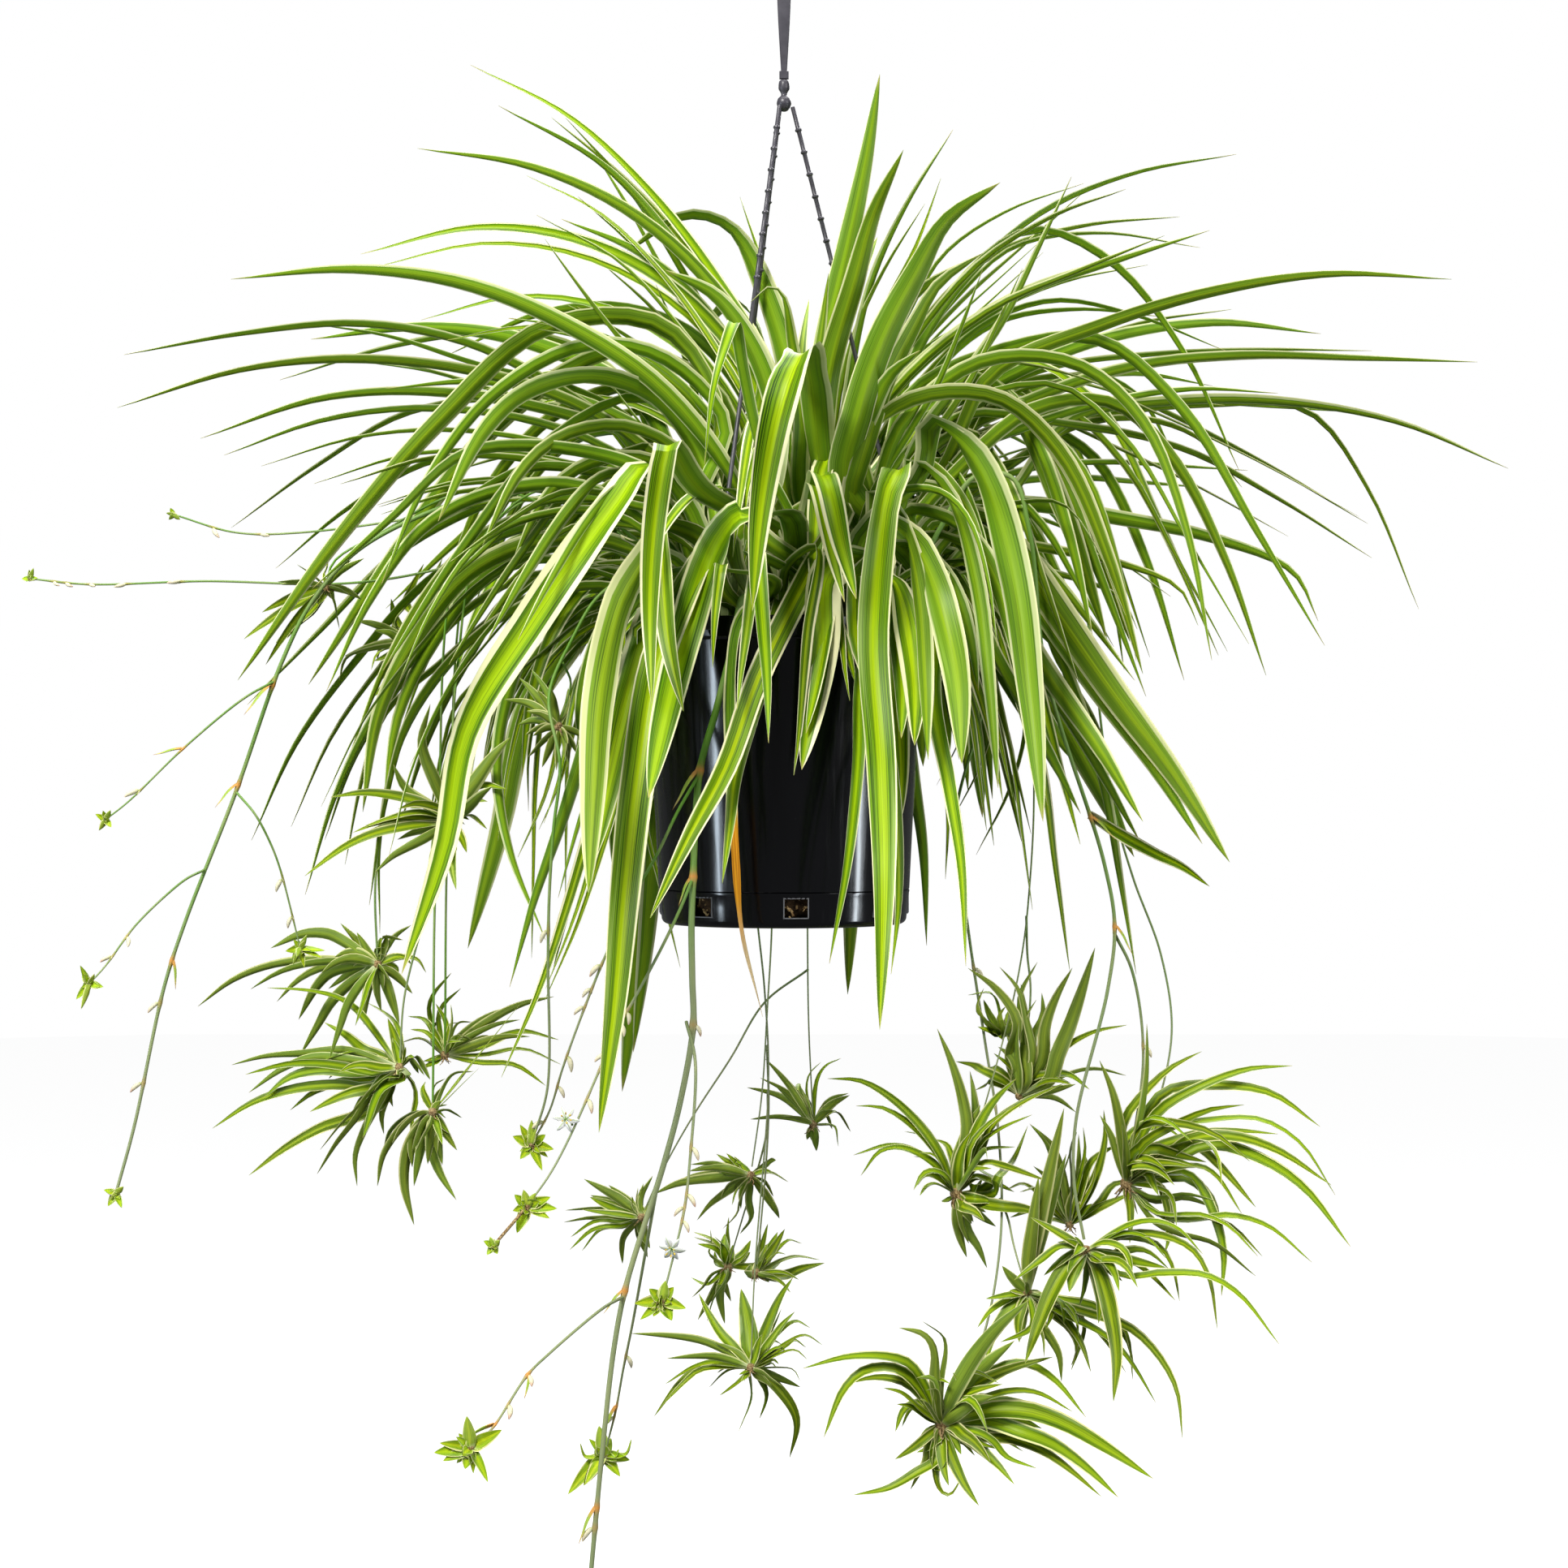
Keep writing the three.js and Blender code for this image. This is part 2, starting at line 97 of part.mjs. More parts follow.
    [10.36,0.3,4.4,0.8,[40.8,-40.9,-474,0.96,0.25,-0.11,54.9,-61.4,-396.2,0.9,0.44,-0.03,72.1,-98.9,-365.2,0.96,0.17,0.22,64.6,-123.6,-389.7,0.84,0.49,-0.23,55.9,-119.4,-469.6,0.99,0.11,-0.05,59.7,-153.2,-552.9,1,0.05,-0.02,58.6,-242.6,-629.6,1,0.04,-0.06,54.6,-286.1,-707.3,1,0.05,-0.08]],
    [5.5,0.3,3.2,0.9,[45,-35.7,-474,0.99,0.06,0.13,44.2,-107.3,-436.4,0.99,0.01,-0.1,45.3,-102.6,-474.4,0.94,0.28,0.18,57.9,-105.5,-511.2,0.95,0.26,0.17,66.1,-127.1,-555.8,0.98,0.18,0.01,69.5,-165.5,-599.9,0.99,0.12,-0.08,68.4,-202.5,-640.5,0.98,0.12,-0.16,63.4,-221,-679.9,0.97,0.13,-0.19]],
    [11.47,0.3,4.4,0.8,[44.9,-34.8,-474,0.88,0.45,-0.17,61.4,-48.7,-425.9,0.72,0.69,0.09,65.7,-65,-403.9,0.58,0.53,0.62,68,-89.3,-397.8,0.63,0.54,-0.56,88.9,-112.1,-423.1,-0.36,0.7,-0.62,100.2,-131.3,-463.5,-0.87,0.32,-0.37,106.1,-159.8,-506.1,-1,0,-0.06,106,-208.2,-555.4,-1,-0.01,0.01]],
    [6.05,0.3,3.2,0.9,[44.9,-34.8,-474,0.8,0.49,-0.36,75.3,-55.9,-434.4,0.63,0.76,-0.17,100.2,-69.7,-426,0.7,0.7,-0.14,101,-83.5,-445.4,0.84,0.5,-0.23,94,-96.7,-506.7,1,0.09,-0.02,102.4,-129.8,-566.9,0.99,0.06,0.08,107.8,-174.9,-619.3,1,0.05,0.02,108.4,-208,-675.9,1,0.05,-0.02]],
    [11.03,0.3,4.4,0.8,[40.8,-40.9,-474,0.82,0.56,-0.14,49.9,-47.9,-448.1,0.82,0.57,-0.07,61.4,-64,-420.8,0.73,0.53,0.42,62.5,-81.5,-427.6,0.73,0.52,-0.45,72.7,-96.3,-439.7,0.63,0.75,-0.18,79.3,-106.6,-474.8,0.97,0.24,0.04,82,-121.1,-506.1,0.99,0.12,-0.05,80.6,-145.1,-543.5,0.99,0.1,-0.1]],
    [7.76,0.3,4.4,0.8,[44.8,-34.5,-470,0.48,0.8,-0.35,77.2,-45.1,-449.4,0.29,0.96,-0.06,108.3,-52.9,-455.3,0.47,0.88,-0.1,105.6,-61.3,-459.4,-0.14,0.89,0.43,73.9,-68.4,-434.7,0.72,0.23,-0.66,71.7,-80.1,-502.5,0.97,0.25,-0.06,74.4,-101.5,-555.3,0.97,0.21,-0.11,72.7,-131,-589.7,0.97,0.16,-0.19]],
    [12.39,0.3,4.4,0.8,[40.8,-40.9,-474,0.96,0.29,0.05,47.3,-72.2,-411.1,0.76,0.65,-0.11,87.3,-77.3,-368.7,0.51,0.85,-0.11,94.8,-90.9,-334.8,0.59,0.79,-0.17,124.7,-104.3,-365.2,-0.47,0.77,-0.44,144.5,-118.5,-435,-0.9,0.35,-0.26,152.5,-142.4,-511.8,-0.97,0.19,-0.15,156.7,-181.1,-590.1,-0.97,0.18,-0.14]],
    [5.5,0.3,3.2,0.9,[40.8,-40.9,-474,0.03,-0.57,-0.82,60.9,-117.5,-420.7,0.65,0.14,0.75,51.8,-109.3,-471,0.4,0.92,0.02,46.6,-109.5,-501.6,0.77,0.62,-0.12,46.6,-117,-546.6,0.82,0.53,-0.22,42,-140.6,-594.9,0.83,0.45,-0.34,36.7,-167.3,-635.6,0.8,0.45,-0.4,27.4,-187,-675.7,0.77,0.48,-0.42]],
    [7.75,0.3,4.4,0.8,[39.5,-31,-474,0.69,0.47,-0.56,86.1,-30,-415.8,0.61,0.74,-0.29,84.2,-40.8,-406.1,0.48,0.61,0.63,80.3,-51.8,-390.4,0.7,0.59,-0.39,109.4,-65.3,-397.7,0.05,0.81,-0.59,131.1,-81.3,-426.5,-0.6,0.58,-0.55,144.7,-98.8,-471.5,-0.92,0.25,-0.29,150.2,-120.3,-519.8,-0.95,0.23,-0.21]],
    [7.26,0.3,4.4,0.8,[43.8,-39.2,-474,0.96,0.19,-0.18,58.5,-36.5,-394.6,0.95,0.32,-0.02,50.5,-52.8,-344.4,0.64,0.76,0.09,84.7,-67.7,-319,0.34,0.7,-0.63,138.3,-72.8,-319.9,-0.22,0.76,-0.61,178,-69.6,-355.4,-0.72,0.51,-0.47,208.5,-66.3,-421.2,-0.88,0.36,-0.32,231,-64.5,-496.4,-0.89,0.37,-0.26]],
    [5.55,0.3,3.2,0.9,[35.5,-38.2,-474,0.95,0.19,-0.26,57.7,-32.9,-388.5,0.93,0.28,-0.24,76.8,-55.2,-333.2,0.81,0.33,-0.49,126.9,-62.2,-294.9,0.32,0.54,-0.77,187.9,-70.3,-297.8,-0.2,0.6,-0.77,229.6,-81,-336,-0.7,0.47,-0.53,256.1,-92.5,-407.7,-0.89,0.35,-0.29,269.7,-104.5,-489.2,-0.91,0.36,-0.2]],
    [5.62,0.3,3.2,0.9,[35.6,-38.4,-474,0.81,0.27,-0.51,73.6,-29.6,-409.2,0.76,0.34,-0.55,113.1,-33,-363,0.66,0.38,-0.65,163.1,-37.9,-322.7,0.38,0.46,-0.8,214.5,-41.2,-319.2,-0.22,0.7,-0.68,253.3,-40.7,-355,-0.73,0.45,-0.52,288.2,-40,-422,-0.87,0.31,-0.38,314.3,-40,-496.6,-0.9,0.31,-0.31]] ] },
  shoot_front: { at: [0, -50], leaves: [
    [6.95,0.3,3.2,0.9,[4.2,-52.7,-474,0.93,-0.29,-0.23,22.1,-31.5,-428.9,0.98,-0.19,-0.02,10.7,-30.3,-372.1,0.97,-0.23,0.08,11.6,-39.4,-327.4,0.98,-0.19,0,5.1,-56.6,-279.4,0.93,-0.37,-0.01,-0.8,-72,-253.3,0.64,-0.76,-0.1,-8,-71.6,-248.1,-0.17,-0.91,0.37,-21.4,-70.1,-258,-0.42,-0.79,0.45]],
    [5.5,0.3,3.2,0.9,[3,-54,-474,0.64,-0.71,-0.29,8,-76.5,-407,0.66,-0.73,-0.18,-11.7,-93.8,-364.2,0.68,-0.73,-0.09,-25.2,-120.4,-308.7,0.81,-0.58,-0.13,-29.9,-137.2,-283.3,0.97,-0.22,-0.06,-31.6,-155.5,-285.2,0.97,-0.07,-0.25,-42.7,-169.3,-324.2,0.83,-0.54,-0.14,-48.7,-160.1,-371.8,0.77,-0.6,-0.21]],
    [9.5,0.3,4.4,0.8,[4.6,-51.9,-474,0.91,-0.37,-0.21,14.4,-58,-421.4,0.86,-0.44,0.27,-52.3,-105.3,-381.8,0.8,-0.46,0.39,-68.5,-149,-360.2,0.97,-0.21,0.12,-71.5,-182.1,-363.3,0.87,-0.49,-0.02,-79.1,-165.8,-406.5,0.97,-0.19,-0.16,-82.4,-159,-458.3,0.98,-0.18,0,-80.3,-175.1,-518.7,0.98,-0.17,0.08]],
    [8.75,0.3,4.4,0.8,[4.5,-47.8,-470,0.49,-0.59,0.64,-37.3,-55.8,-445.4,0.69,-0.52,0.51,-51.3,-64.9,-411.4,0.78,-0.5,0.38,-73.9,-79.2,-401.1,0.74,-0.56,0.36,-79,-97.5,-405.1,0.66,-0.6,0.45,-77.2,-109.8,-437.2,0.92,-0.34,0.19,-72.5,-121,-480.3,0.93,-0.25,0.25,-62.3,-139.4,-522.3,0.92,-0.23,0.32]],
    [6.83,0.3,3.2,0.9,[4.6,-51.9,-474,0.88,0.09,-0.47,25.6,-85.3,-441.8,0.92,-0.37,0.09,-13.7,-80.9,-408.3,0.63,-0.45,0.63,-28.8,-78.4,-382.8,0.45,-0.84,0.3,-39,-83.4,-377.6,0.55,-0.79,-0.25,-56.6,-97.4,-383.7,0.76,-0.58,-0.29,-71.2,-113.8,-401.1,0.88,-0.35,-0.33,-86.5,-126.3,-432.9,0.9,-0.28,-0.33]],
    [12.54,0.3,4.4,0.8,[4.6,-51.9,-474,0.95,-0.27,-0.14,4.8,-91.5,-397,0.88,-0.45,-0.14,-26.2,-136.3,-399.2,0.77,-0.63,-0.09,-30.4,-134.5,-399.3,0.05,-0.64,-0.76,-48.2,-106.2,-426,0.78,-0.38,-0.5,-62.8,-102.2,-474.8,0.97,-0.16,-0.2,-74,-133.4,-526,0.99,-0.1,-0.09,-81.3,-196.9,-575.8,1,-0.06,-0.07]],
    [11.48,0.3,4.4,0.8,[4.6,-51.9,-474,0.81,-0.39,0.44,-27.6,-73.5,-434.4,0.67,-0.74,-0.03,-36.7,-91.6,-404.4,0.52,-0.85,-0.05,-76,-100.8,-476.3,0.94,-0.21,-0.26,-90.5,-133.7,-562.6,0.99,0.03,-0.14,-96.3,-182.2,-634.9,0.99,0.04,-0.09,-101.4,-202.9,-703.8,0.99,0.03,-0.1,-109.5,-221,-773.6,0.99,0.03,-0.12]],
    [9.82,0.3,4.4,0.8,[0.8,-54.9,-474,0.81,0.41,-0.42,28.2,-54.6,-420.8,0.92,0.39,-0.08,13.7,-69.3,-397,0.93,0.25,0.27,22.4,-86.7,-371,0.92,0.38,0.13,23.9,-102.8,-370.7,0.98,0.19,-0.07,27.1,-114.8,-381.1,0.93,0.35,0.12,34.1,-114.7,-415.7,0.97,-0.05,0.25,45.2,-120.4,-451.8,0.95,-0.08,0.3]],
    [12.61,0.3,4.4,0.8,[0.8,-54.9,-474,0.86,0.49,-0.17,15.7,-72.5,-449.3,0.67,0.63,-0.38,53.8,-84.3,-428.7,0.78,0.61,-0.12,33.9,-92,-428.9,0.21,0.21,-0.95,26.3,-99.1,-438.1,0.89,0.36,-0.26,23.9,-104.1,-479.4,0.99,0.01,-0.1,17.7,-109,-521.1,0.99,-0.05,-0.15,11.1,-123.4,-558.4,0.99,-0.06,-0.15]],
    [5.5,0.3,3.2,0.9,[4.9,-49.1,-470,0.74,0.1,0.67,2.8,-57.1,-466.4,0.73,0.19,0.65,-0.7,-73.9,-456.4,0.7,0.53,0.48,2,-90.1,-428.8,0.8,0.59,0.02,22,-106.2,-417.7,0.45,0.85,-0.26,15.1,-110.6,-473,0.83,0.55,-0.13,9.7,-114.4,-534.3,0.81,0.56,-0.2,6.1,-128.7,-561.9,0.78,0.51,-0.36]],
    [5.5,0.3,3.2,0.9,[5,-50.5,-474,0.77,0.33,0.54,7.6,-148.9,-417.1,0.95,0.15,0.27,17.2,-144.2,-466.1,0.41,0.84,0.35,30.8,-140.4,-464.3,-0.27,0.68,-0.68,33.9,-136.9,-465.6,0.44,0.58,0.69,45.3,-116,-505.9,0.83,0.38,0.4]],
    [8.19,0.3,4.4,0.8,[0.2,-45,-474,0.89,-0.44,0.1,-5.7,-41.3,-405,0.63,-0.61,-0.49,41.2,-74.6,-384,0.55,0.58,-0.61,-16,-117,-500.4,0.9,0.1,-0.42,-34.4,-137.6,-553.4,0.9,0.07,-0.43,-57.4,-192.7,-600,0.88,0.04,-0.47,-78.2,-244.3,-645.7,0.89,0.05,-0.46]],
    [6.05,0.3,3.2,0.9,[0.2,-45,-474,0.97,-0.18,-0.16,-8.3,-122.9,-435.3,1,-0.03,-0.05,-2,-123.9,-467.3,0.92,-0.38,-0.04,-10.8,-123.1,-489.4,0.9,-0.32,-0.31,-21.7,-120.1,-527.5,0.96,-0.18,-0.23,-30.1,-132.4,-562.6,0.99,-0.12,-0.11,-37.3,-182.9,-627.4,1,-0.08,-0.05]],
    [6.26,0.3,3.2,0.9,[-0.1,-45,-474,0.97,-0.02,-0.24,8.2,-75.8,-437.3,0.97,-0.24,0.06,-20.1,-113.8,-421.5,0.91,-0.36,0.2,-17.2,-131.1,-421.7,0.89,-0.1,0.44,-15.4,-137.6,-436.5,0.94,-0.32,0.13,-12.4,-138.3,-474.1,0.98,-0.18,0.08,-10.3,-143,-508.4,0.98,-0.2,0.09,-9.5,-152.9,-542.1,0.98,-0.2,0.08]] ] },
  shoot_front_left: { at: [-40, -34], leaves: [
    [10.05,0.3,4.4,0.8,[-35.8,-36.6,-474,0.97,-0.15,0.21,-45.5,-29.7,-425.1,0.95,-0.2,-0.23,-15.3,-42,-385.9,0.65,-0.49,-0.58,-1.7,-53.9,-355.1,0.43,-0.83,-0.36,-6,-65.3,-321.7,0.8,-0.6,0.06,-21.7,-72.7,-283.3,0.76,-0.54,0.36,-43.6,-74.1,-254.4,0.5,-0.62,0.6,-75.9,-73.5,-238.2,0.38,-0.51,0.77]],
    [5.31,0.3,3.2,0.9,[-37.1,-38.1,-474,0.45,-0.78,0.42,-44,-17,-427.5,0.48,-0.87,0.1,-34.6,-26.1,-380.8,0.43,-0.88,-0.21,-39.4,-31.4,-356.5,0.39,-0.92,0.08,-129.2,-40.2,-248.6,0.39,-0.89,0.24,-155.4,-42.7,-212.9,0.4,-0.89,0.23]],
    [6.69,0.3,3.2,0.9,[-37.1,-38.1,-474,0.93,-0.28,-0.24,-22.2,-43,-409.5,0.87,-0.48,-0.12,-28.2,-47.2,-376.9,0.69,-0.68,0.25,-79.5,-65.8,-311.8,0.68,-0.3,0.67,-142.2,-71.6,-271,0.45,-0.3,0.84,-206.4,-73.3,-246,0.24,-0.31,0.92,-277.3,-77.6,-238,0.02,-0.33,0.94,-352.6,-82.6,-245.5,-0.07,-0.34,0.94]],
    [6.13,0.3,3.2,0.9,[-37.1,-38.1,-474,0.96,-0.21,0.2,-56.3,-42.8,-387.2,0.97,-0.26,-0.01,-37.8,-44.5,-333.5,0.77,-0.62,0.14,-77.5,-47.7,-290.5,0.42,-0.63,0.65,-128.6,-53.3,-283,-0.09,-0.62,0.78,-185.3,-62.6,-314.5,-0.53,-0.45,0.72,-226.9,-75.4,-369.7,-0.79,-0.32,0.51,-255.7,-90.6,-440.7,-0.85,-0.33,0.41]],
    [8.23,0.3,4.4,0.8,[-37.1,-38,-474,0.96,-0.29,0,-40.5,-49.5,-419.2,0.94,-0.31,0.12,-51.1,-37.8,-359.4,0.8,-0.52,0.3,-77.5,-48.7,-320.3,0.67,-0.65,0.35,-116.6,-76.5,-306.2,0.51,-0.61,0.61,-158.5,-114.4,-319.4,0.04,-0.54,0.84,-185.4,-149.6,-350.7,-0.62,-0.41,0.67,-209.1,-182,-408.5,-0.78,-0.35,0.52]],
    [5.5,0.3,3.2,0.9,[-37,-38,-474,0.86,-0.49,0.11,-50.3,-46.8,-405.9,0.72,-0.68,0.16,-71,-51.6,-377.4,0.42,-0.88,0.21,-99.8,-59.3,-360.1,0.35,-0.55,0.76,-162.2,-73,-350.3,0.17,-0.57,0.81,-205.3,-89.3,-358.4,-0.17,-0.64,0.75,-293.3,-130,-445.8,-0.47,-0.52,0.72]],
    [5.5,0.3,3.2,0.9,[-36.9,-38,-474,0.74,-0.6,0.31,-49.3,-25.9,-421.2,0.67,-0.69,0.28,-64.1,-31.3,-393.5,0.46,-0.89,0.03,-73.1,-36.8,-375.5,0.4,-0.72,0.57,-127.1,-42.4,-363.1,0.19,-0.72,0.66,-166.2,-48.4,-362.2,-0.07,-0.73,0.68,-208.5,-55.7,-385.5,-0.29,-0.7,0.65,-254,-64.5,-418,-0.32,-0.7,0.63]],
    [12.23,0.3,4.4,0.8,[-35.4,-35.9,-474,0.93,-0.31,0.19,-59.1,-55.3,-390.6,0.73,-0.68,0.08,-86.3,-77.5,-359.5,0.72,-0.68,-0.11,-108.4,-107.4,-390.9,0.88,-0.4,-0.28,-153.7,-152.7,-465,0.84,0.1,-0.54,-188.5,-208,-534.8,0.71,0.46,-0.54,-198.2,-247.1,-604.3,0.84,0.38,-0.39,-218,-286,-675.8,0.88,0.26,-0.39]],
    [6.07,0.3,3.2,0.9,[-35.4,-32,-470,0.84,-0.31,0.44,-61.3,-37.4,-424.9,0.87,-0.32,0.37,-74.6,-45.2,-388.1,0.82,-0.44,0.38,-98,-57.2,-368,0.62,-0.73,0.28,-116.9,-74.5,-370.2,0.21,-0.7,0.68,-137.8,-96,-395.6,-0.54,-0.47,0.7,-161.6,-122.3,-437.1,-0.77,-0.26,0.59,-182.5,-153.3,-479.7,-0.78,-0.26,0.57]],
    [11.49,0.3,4.4,0.8,[-35.4,-35.9,-474,0.8,-0.46,0.38,-66.3,-48.4,-423.7,0.6,-0.78,0.17,-97,-69.1,-409.7,0.84,-0.46,-0.29,-86.6,-91.8,-412.8,0.01,-0.72,0.7,-105.4,-115.8,-457.5,-0.73,-0.5,0.47,-114.5,-147.3,-515.4,-0.94,-0.24,0.25,-114.7,-197.5,-571.9,-0.99,-0.12,0.11,-113.3,-259,-630.5,-0.99,-0.12,0.1]],
    [11.05,0.3,4.4,0.8,[-35.4,-35.9,-474,0.82,-0.48,0.32,-54.6,-44,-437.3,0.59,-0.79,0.17,-71.6,-53,-428.2,0.63,-0.78,-0.03,-79.1,-63.8,-437.9,0.64,-0.75,0.15,-89.7,-77.1,-471.7,0.94,-0.31,-0.12,-101.3,-98.5,-521.8,0.99,-0.08,-0.15,-109.2,-134.4,-568.8,0.99,-0.05,-0.11,-115.4,-181.5,-614.6,0.99,-0.04,-0.1]],
    [5.5,0.3,3.2,0.9,[-40.1,-29,-474,0.91,0.29,-0.28,-6.6,-100.1,-437.8,0.99,-0.03,-0.1,-38.5,-115.5,-432,0.71,-0.71,-0.01,-38.5,-132,-430,1,-0.02,-0.09,-39.1,-140.1,-433.4,0.99,-0.04,-0.11,-43.1,-146.6,-471.8,1,0,-0.06,-44,-146.2,-495.4,1,0,-0.04]],
    [5.56,0.3,3.2,0.9,[-38.1,-29.4,-474,0.86,-0.3,0.41,-63,-37.8,-427.8,0.78,-0.33,0.53,-101.8,-44.6,-389.2,0.59,-0.43,0.69,-136.4,-52.1,-373.7,0.17,-0.47,0.87,-193.3,-61.8,-380.8,-0.17,-0.46,0.87,-231.9,-73.3,-403.8,-0.54,-0.46,0.7,-264.2,-86.8,-451.3,-0.77,-0.38,0.52,-289,-102.2,-509.1,-0.8,-0.39,0.45]],
    [7.27,0.3,4.4,0.8,[-38.1,-29.4,-474,0.77,-0.39,0.51,-66.7,-34.1,-434.2,0.62,-0.48,0.62,-109.7,-38.6,-409.7,0.28,-0.59,0.76,-155.9,-43.1,-408.1,-0.09,-0.63,0.77,-202.7,-47.7,-428.6,-0.42,-0.64,0.65,-237.3,-52.8,-470.4,-0.76,-0.37,0.52,-262.2,-58.4,-523,-0.88,-0.37,0.3,-271.2,-64.5,-585.3,-0.91,-0.38,0.17]],
    [5.5,0.3,3.2,0.9,[-38.6,-38.8,-474,0.23,-0.83,0.51,-76.3,-34,-449.6,0.22,-0.83,0.52,-123.5,-37.9,-437.1,0.06,-0.84,0.55,-170.4,-41.6,-450.9,-0.19,-0.85,0.5,-212.6,-44.2,-482.1,-0.34,-0.86,0.39,-243.8,-46.1,-525,-0.44,-0.86,0.24,-259.6,-48.1,-581.9,-0.48,-0.87,0.13,-269,-50.5,-645.9,-0.48,-0.87,0.1]],
    [5.55,0.3,3.2,0.9,[-38.6,-38.8,-474,0.9,-0.26,0.35,-68.9,-86.4,-431.7,0.54,-0.45,0.72,-100.4,-91.4,-460.5,-0.4,-0.84,0.36,-124.1,-96,-537.2,-0.93,-0.22,0.3,-157.1,-109.7,-640.2,-0.92,-0.21,0.31,-171.6,-119.4,-694.4,-0.93,-0.22,0.29]],
    [5.5,0.3,3.2,0.9,[-40.2,-29,-474,0.11,-0.55,-0.83,-66.9,-80.2,-443.8,0.4,-0.66,-0.63,-113.5,-77.7,-469.1,0.66,-0.68,-0.33,-99.6,-72,-525.9,0.91,-0.41,-0.07,-120.4,-73.6,-583,0.88,-0.37,-0.29,-138.1,-72.7,-641.8,0.88,-0.37,-0.3,-156.8,-68.8,-697.7,0.86,-0.37,-0.36,-181.9,-64.5,-756.2,0.84,-0.37,-0.39]] ] },
  shoot_back_left: { at: [-38, 40], leaves: [
    [6.39,0.3,3.2,0.9,[-35.2,44.1,-474,0.97,-0.19,-0.16,-29.4,26.7,-417.6,0.96,-0.19,-0.19,-17.8,24.4,-366.3,0.93,-0.31,-0.21,-10.7,21.8,-327.8,0.76,-0.65,0.09,-29.5,21.7,-285.3,0.81,-0.35,0.47,-61,21.8,-240.2,0.7,-0.34,0.63,-98,21.8,-209.4,0.48,-0.36,0.8,-149.6,22.2,-187.5,0.36,-0.37,0.86]],
    [5.5,0.3,3.2,0.9,[-35.1,35.9,-474,0.77,-0.59,-0.22,-31.2,15.5,-406.5,0.73,-0.65,0.21,-66.8,44.4,-340.2,0.83,-0.55,0.09,-5.8,71.2,-301.7,0.6,-0.79,0.12,-29.6,86,-251,0.6,-0.7,0.38,-66.7,76.1,-197.5,0.65,-0.68,0.35,-109.7,61.4,-151.7,0.59,-0.67,0.44,-158.4,50.8,-112.9,0.54,-0.68,0.5]],
    [4.95,0.3,3.2,0.9,[-35.1,35.9,-474,0.56,-0.74,0.37,-41.9,61.7,-411.6,0.56,-0.83,-0.02,-18.7,44.6,-351.9,0.42,-0.83,-0.37,-11.1,33.8,-313.1,0.31,-0.95,-0.02,-38.5,36.3,-276.3,0.27,-0.89,0.36,-77.3,49.8,-225,0.25,-0.85,0.46,-104.7,72.5,-173.6,0.23,-0.81,0.53,-138.6,104.2,-115.3,0.21,-0.8,0.56]],
    [5.5,0.3,3.2,0.9,[-35.1,35.9,-474,0.89,-0.3,0.34,-58.8,39.4,-408.6,0.94,-0.3,-0.18,-12.1,32.3,-349.2,0.79,-0.55,-0.25,-25.8,39.5,-305.9,0.69,-0.52,0.51,-62.5,53.3,-260.1,0.43,-0.5,0.75,-113.5,64.2,-239.7,0.07,-0.49,0.87,-169.3,66,-244.6,-0.24,-0.47,0.85,-230.1,63.2,-272.8,-0.36,-0.46,0.81]],
    [5.5,0.3,3.2,0.9,[-36.8,35.1,-474,0.45,-0.87,0.18,-65.5,30.5,-423.8,0.46,-0.88,0.11,-76.6,27.8,-360.3,0.45,-0.88,0.13,-102.5,26.1,-322.8,0.26,-0.92,0.29,-142.4,28.3,-300.7,0.09,-0.92,0.37,-205,32.2,-284.1,0.05,-0.92,0.38,-267.6,36.3,-264,0.04,-0.92,0.38,-322.8,40,-254.6,0,-0.92,0.38]],
    [5.5,0.3,3.2,0.9,[-35.5,35.7,-474,0.53,-0.83,0.2,-60.9,33.8,-415.2,0.5,-0.83,0.25,-84.4,44.1,-348.6,0.46,-0.83,0.33,-108.2,55.1,-294,0.24,-0.87,0.43,-150.1,67.8,-263.8,-0.03,-0.87,0.49,-211.1,80.6,-255,-0.17,-0.86,0.48,-279,92.8,-264,-0.24,-0.86,0.46,-352.9,104.7,-284.5,-0.26,-0.85,0.45]],
    [5.5,0.3,3.2,0.9,[-35.5,35.7,-474,0.39,-0.87,0.31,-78.1,40.8,-405.5,0.41,-0.87,0.27,-100.1,44,-350.1,0.29,-0.91,0.31,-132.8,55.5,-312.6,-0.05,-0.9,0.43,-197.7,72.5,-301.4,-0.23,-0.89,0.4,-264.1,89.9,-310.1,-0.34,-0.9,0.27,-327.2,109.2,-343.5,-0.4,-0.89,0.21,-391.6,130,-385.8,-0.42,-0.89,0.19]],
    [5.5,0.3,3.2,0.9,[-35.5,35.7,-474,0.45,-0.83,0.34,-75.4,35.2,-422.2,0.44,-0.82,0.37,-97.5,52.3,-365.2,0.23,-0.87,0.44,-126.7,64,-339.4,-0.01,-0.89,0.45,-190.2,67,-338.3,-0.04,-0.9,0.44,-245.2,65.6,-346.5,-0.14,-0.89,0.43,-300.5,64.5,-378.7,-0.26,-0.88,0.39,-348.9,64.5,-419.2,-0.3,-0.88,0.36]],
    [5.5,0.3,3.2,0.9,[-36.1,44.6,-474,0.53,-0.63,0.57,-65.5,67.5,-421.1,0.45,-0.7,0.55,-157.5,56.2,-362.5,0.16,-0.77,0.61,-211.7,50.4,-379.7,-0.2,-0.78,0.6,-266,46.1,-412.3,-0.36,-0.78,0.51,-364.1,40,-513.5,-0.43,-0.78,0.46]],
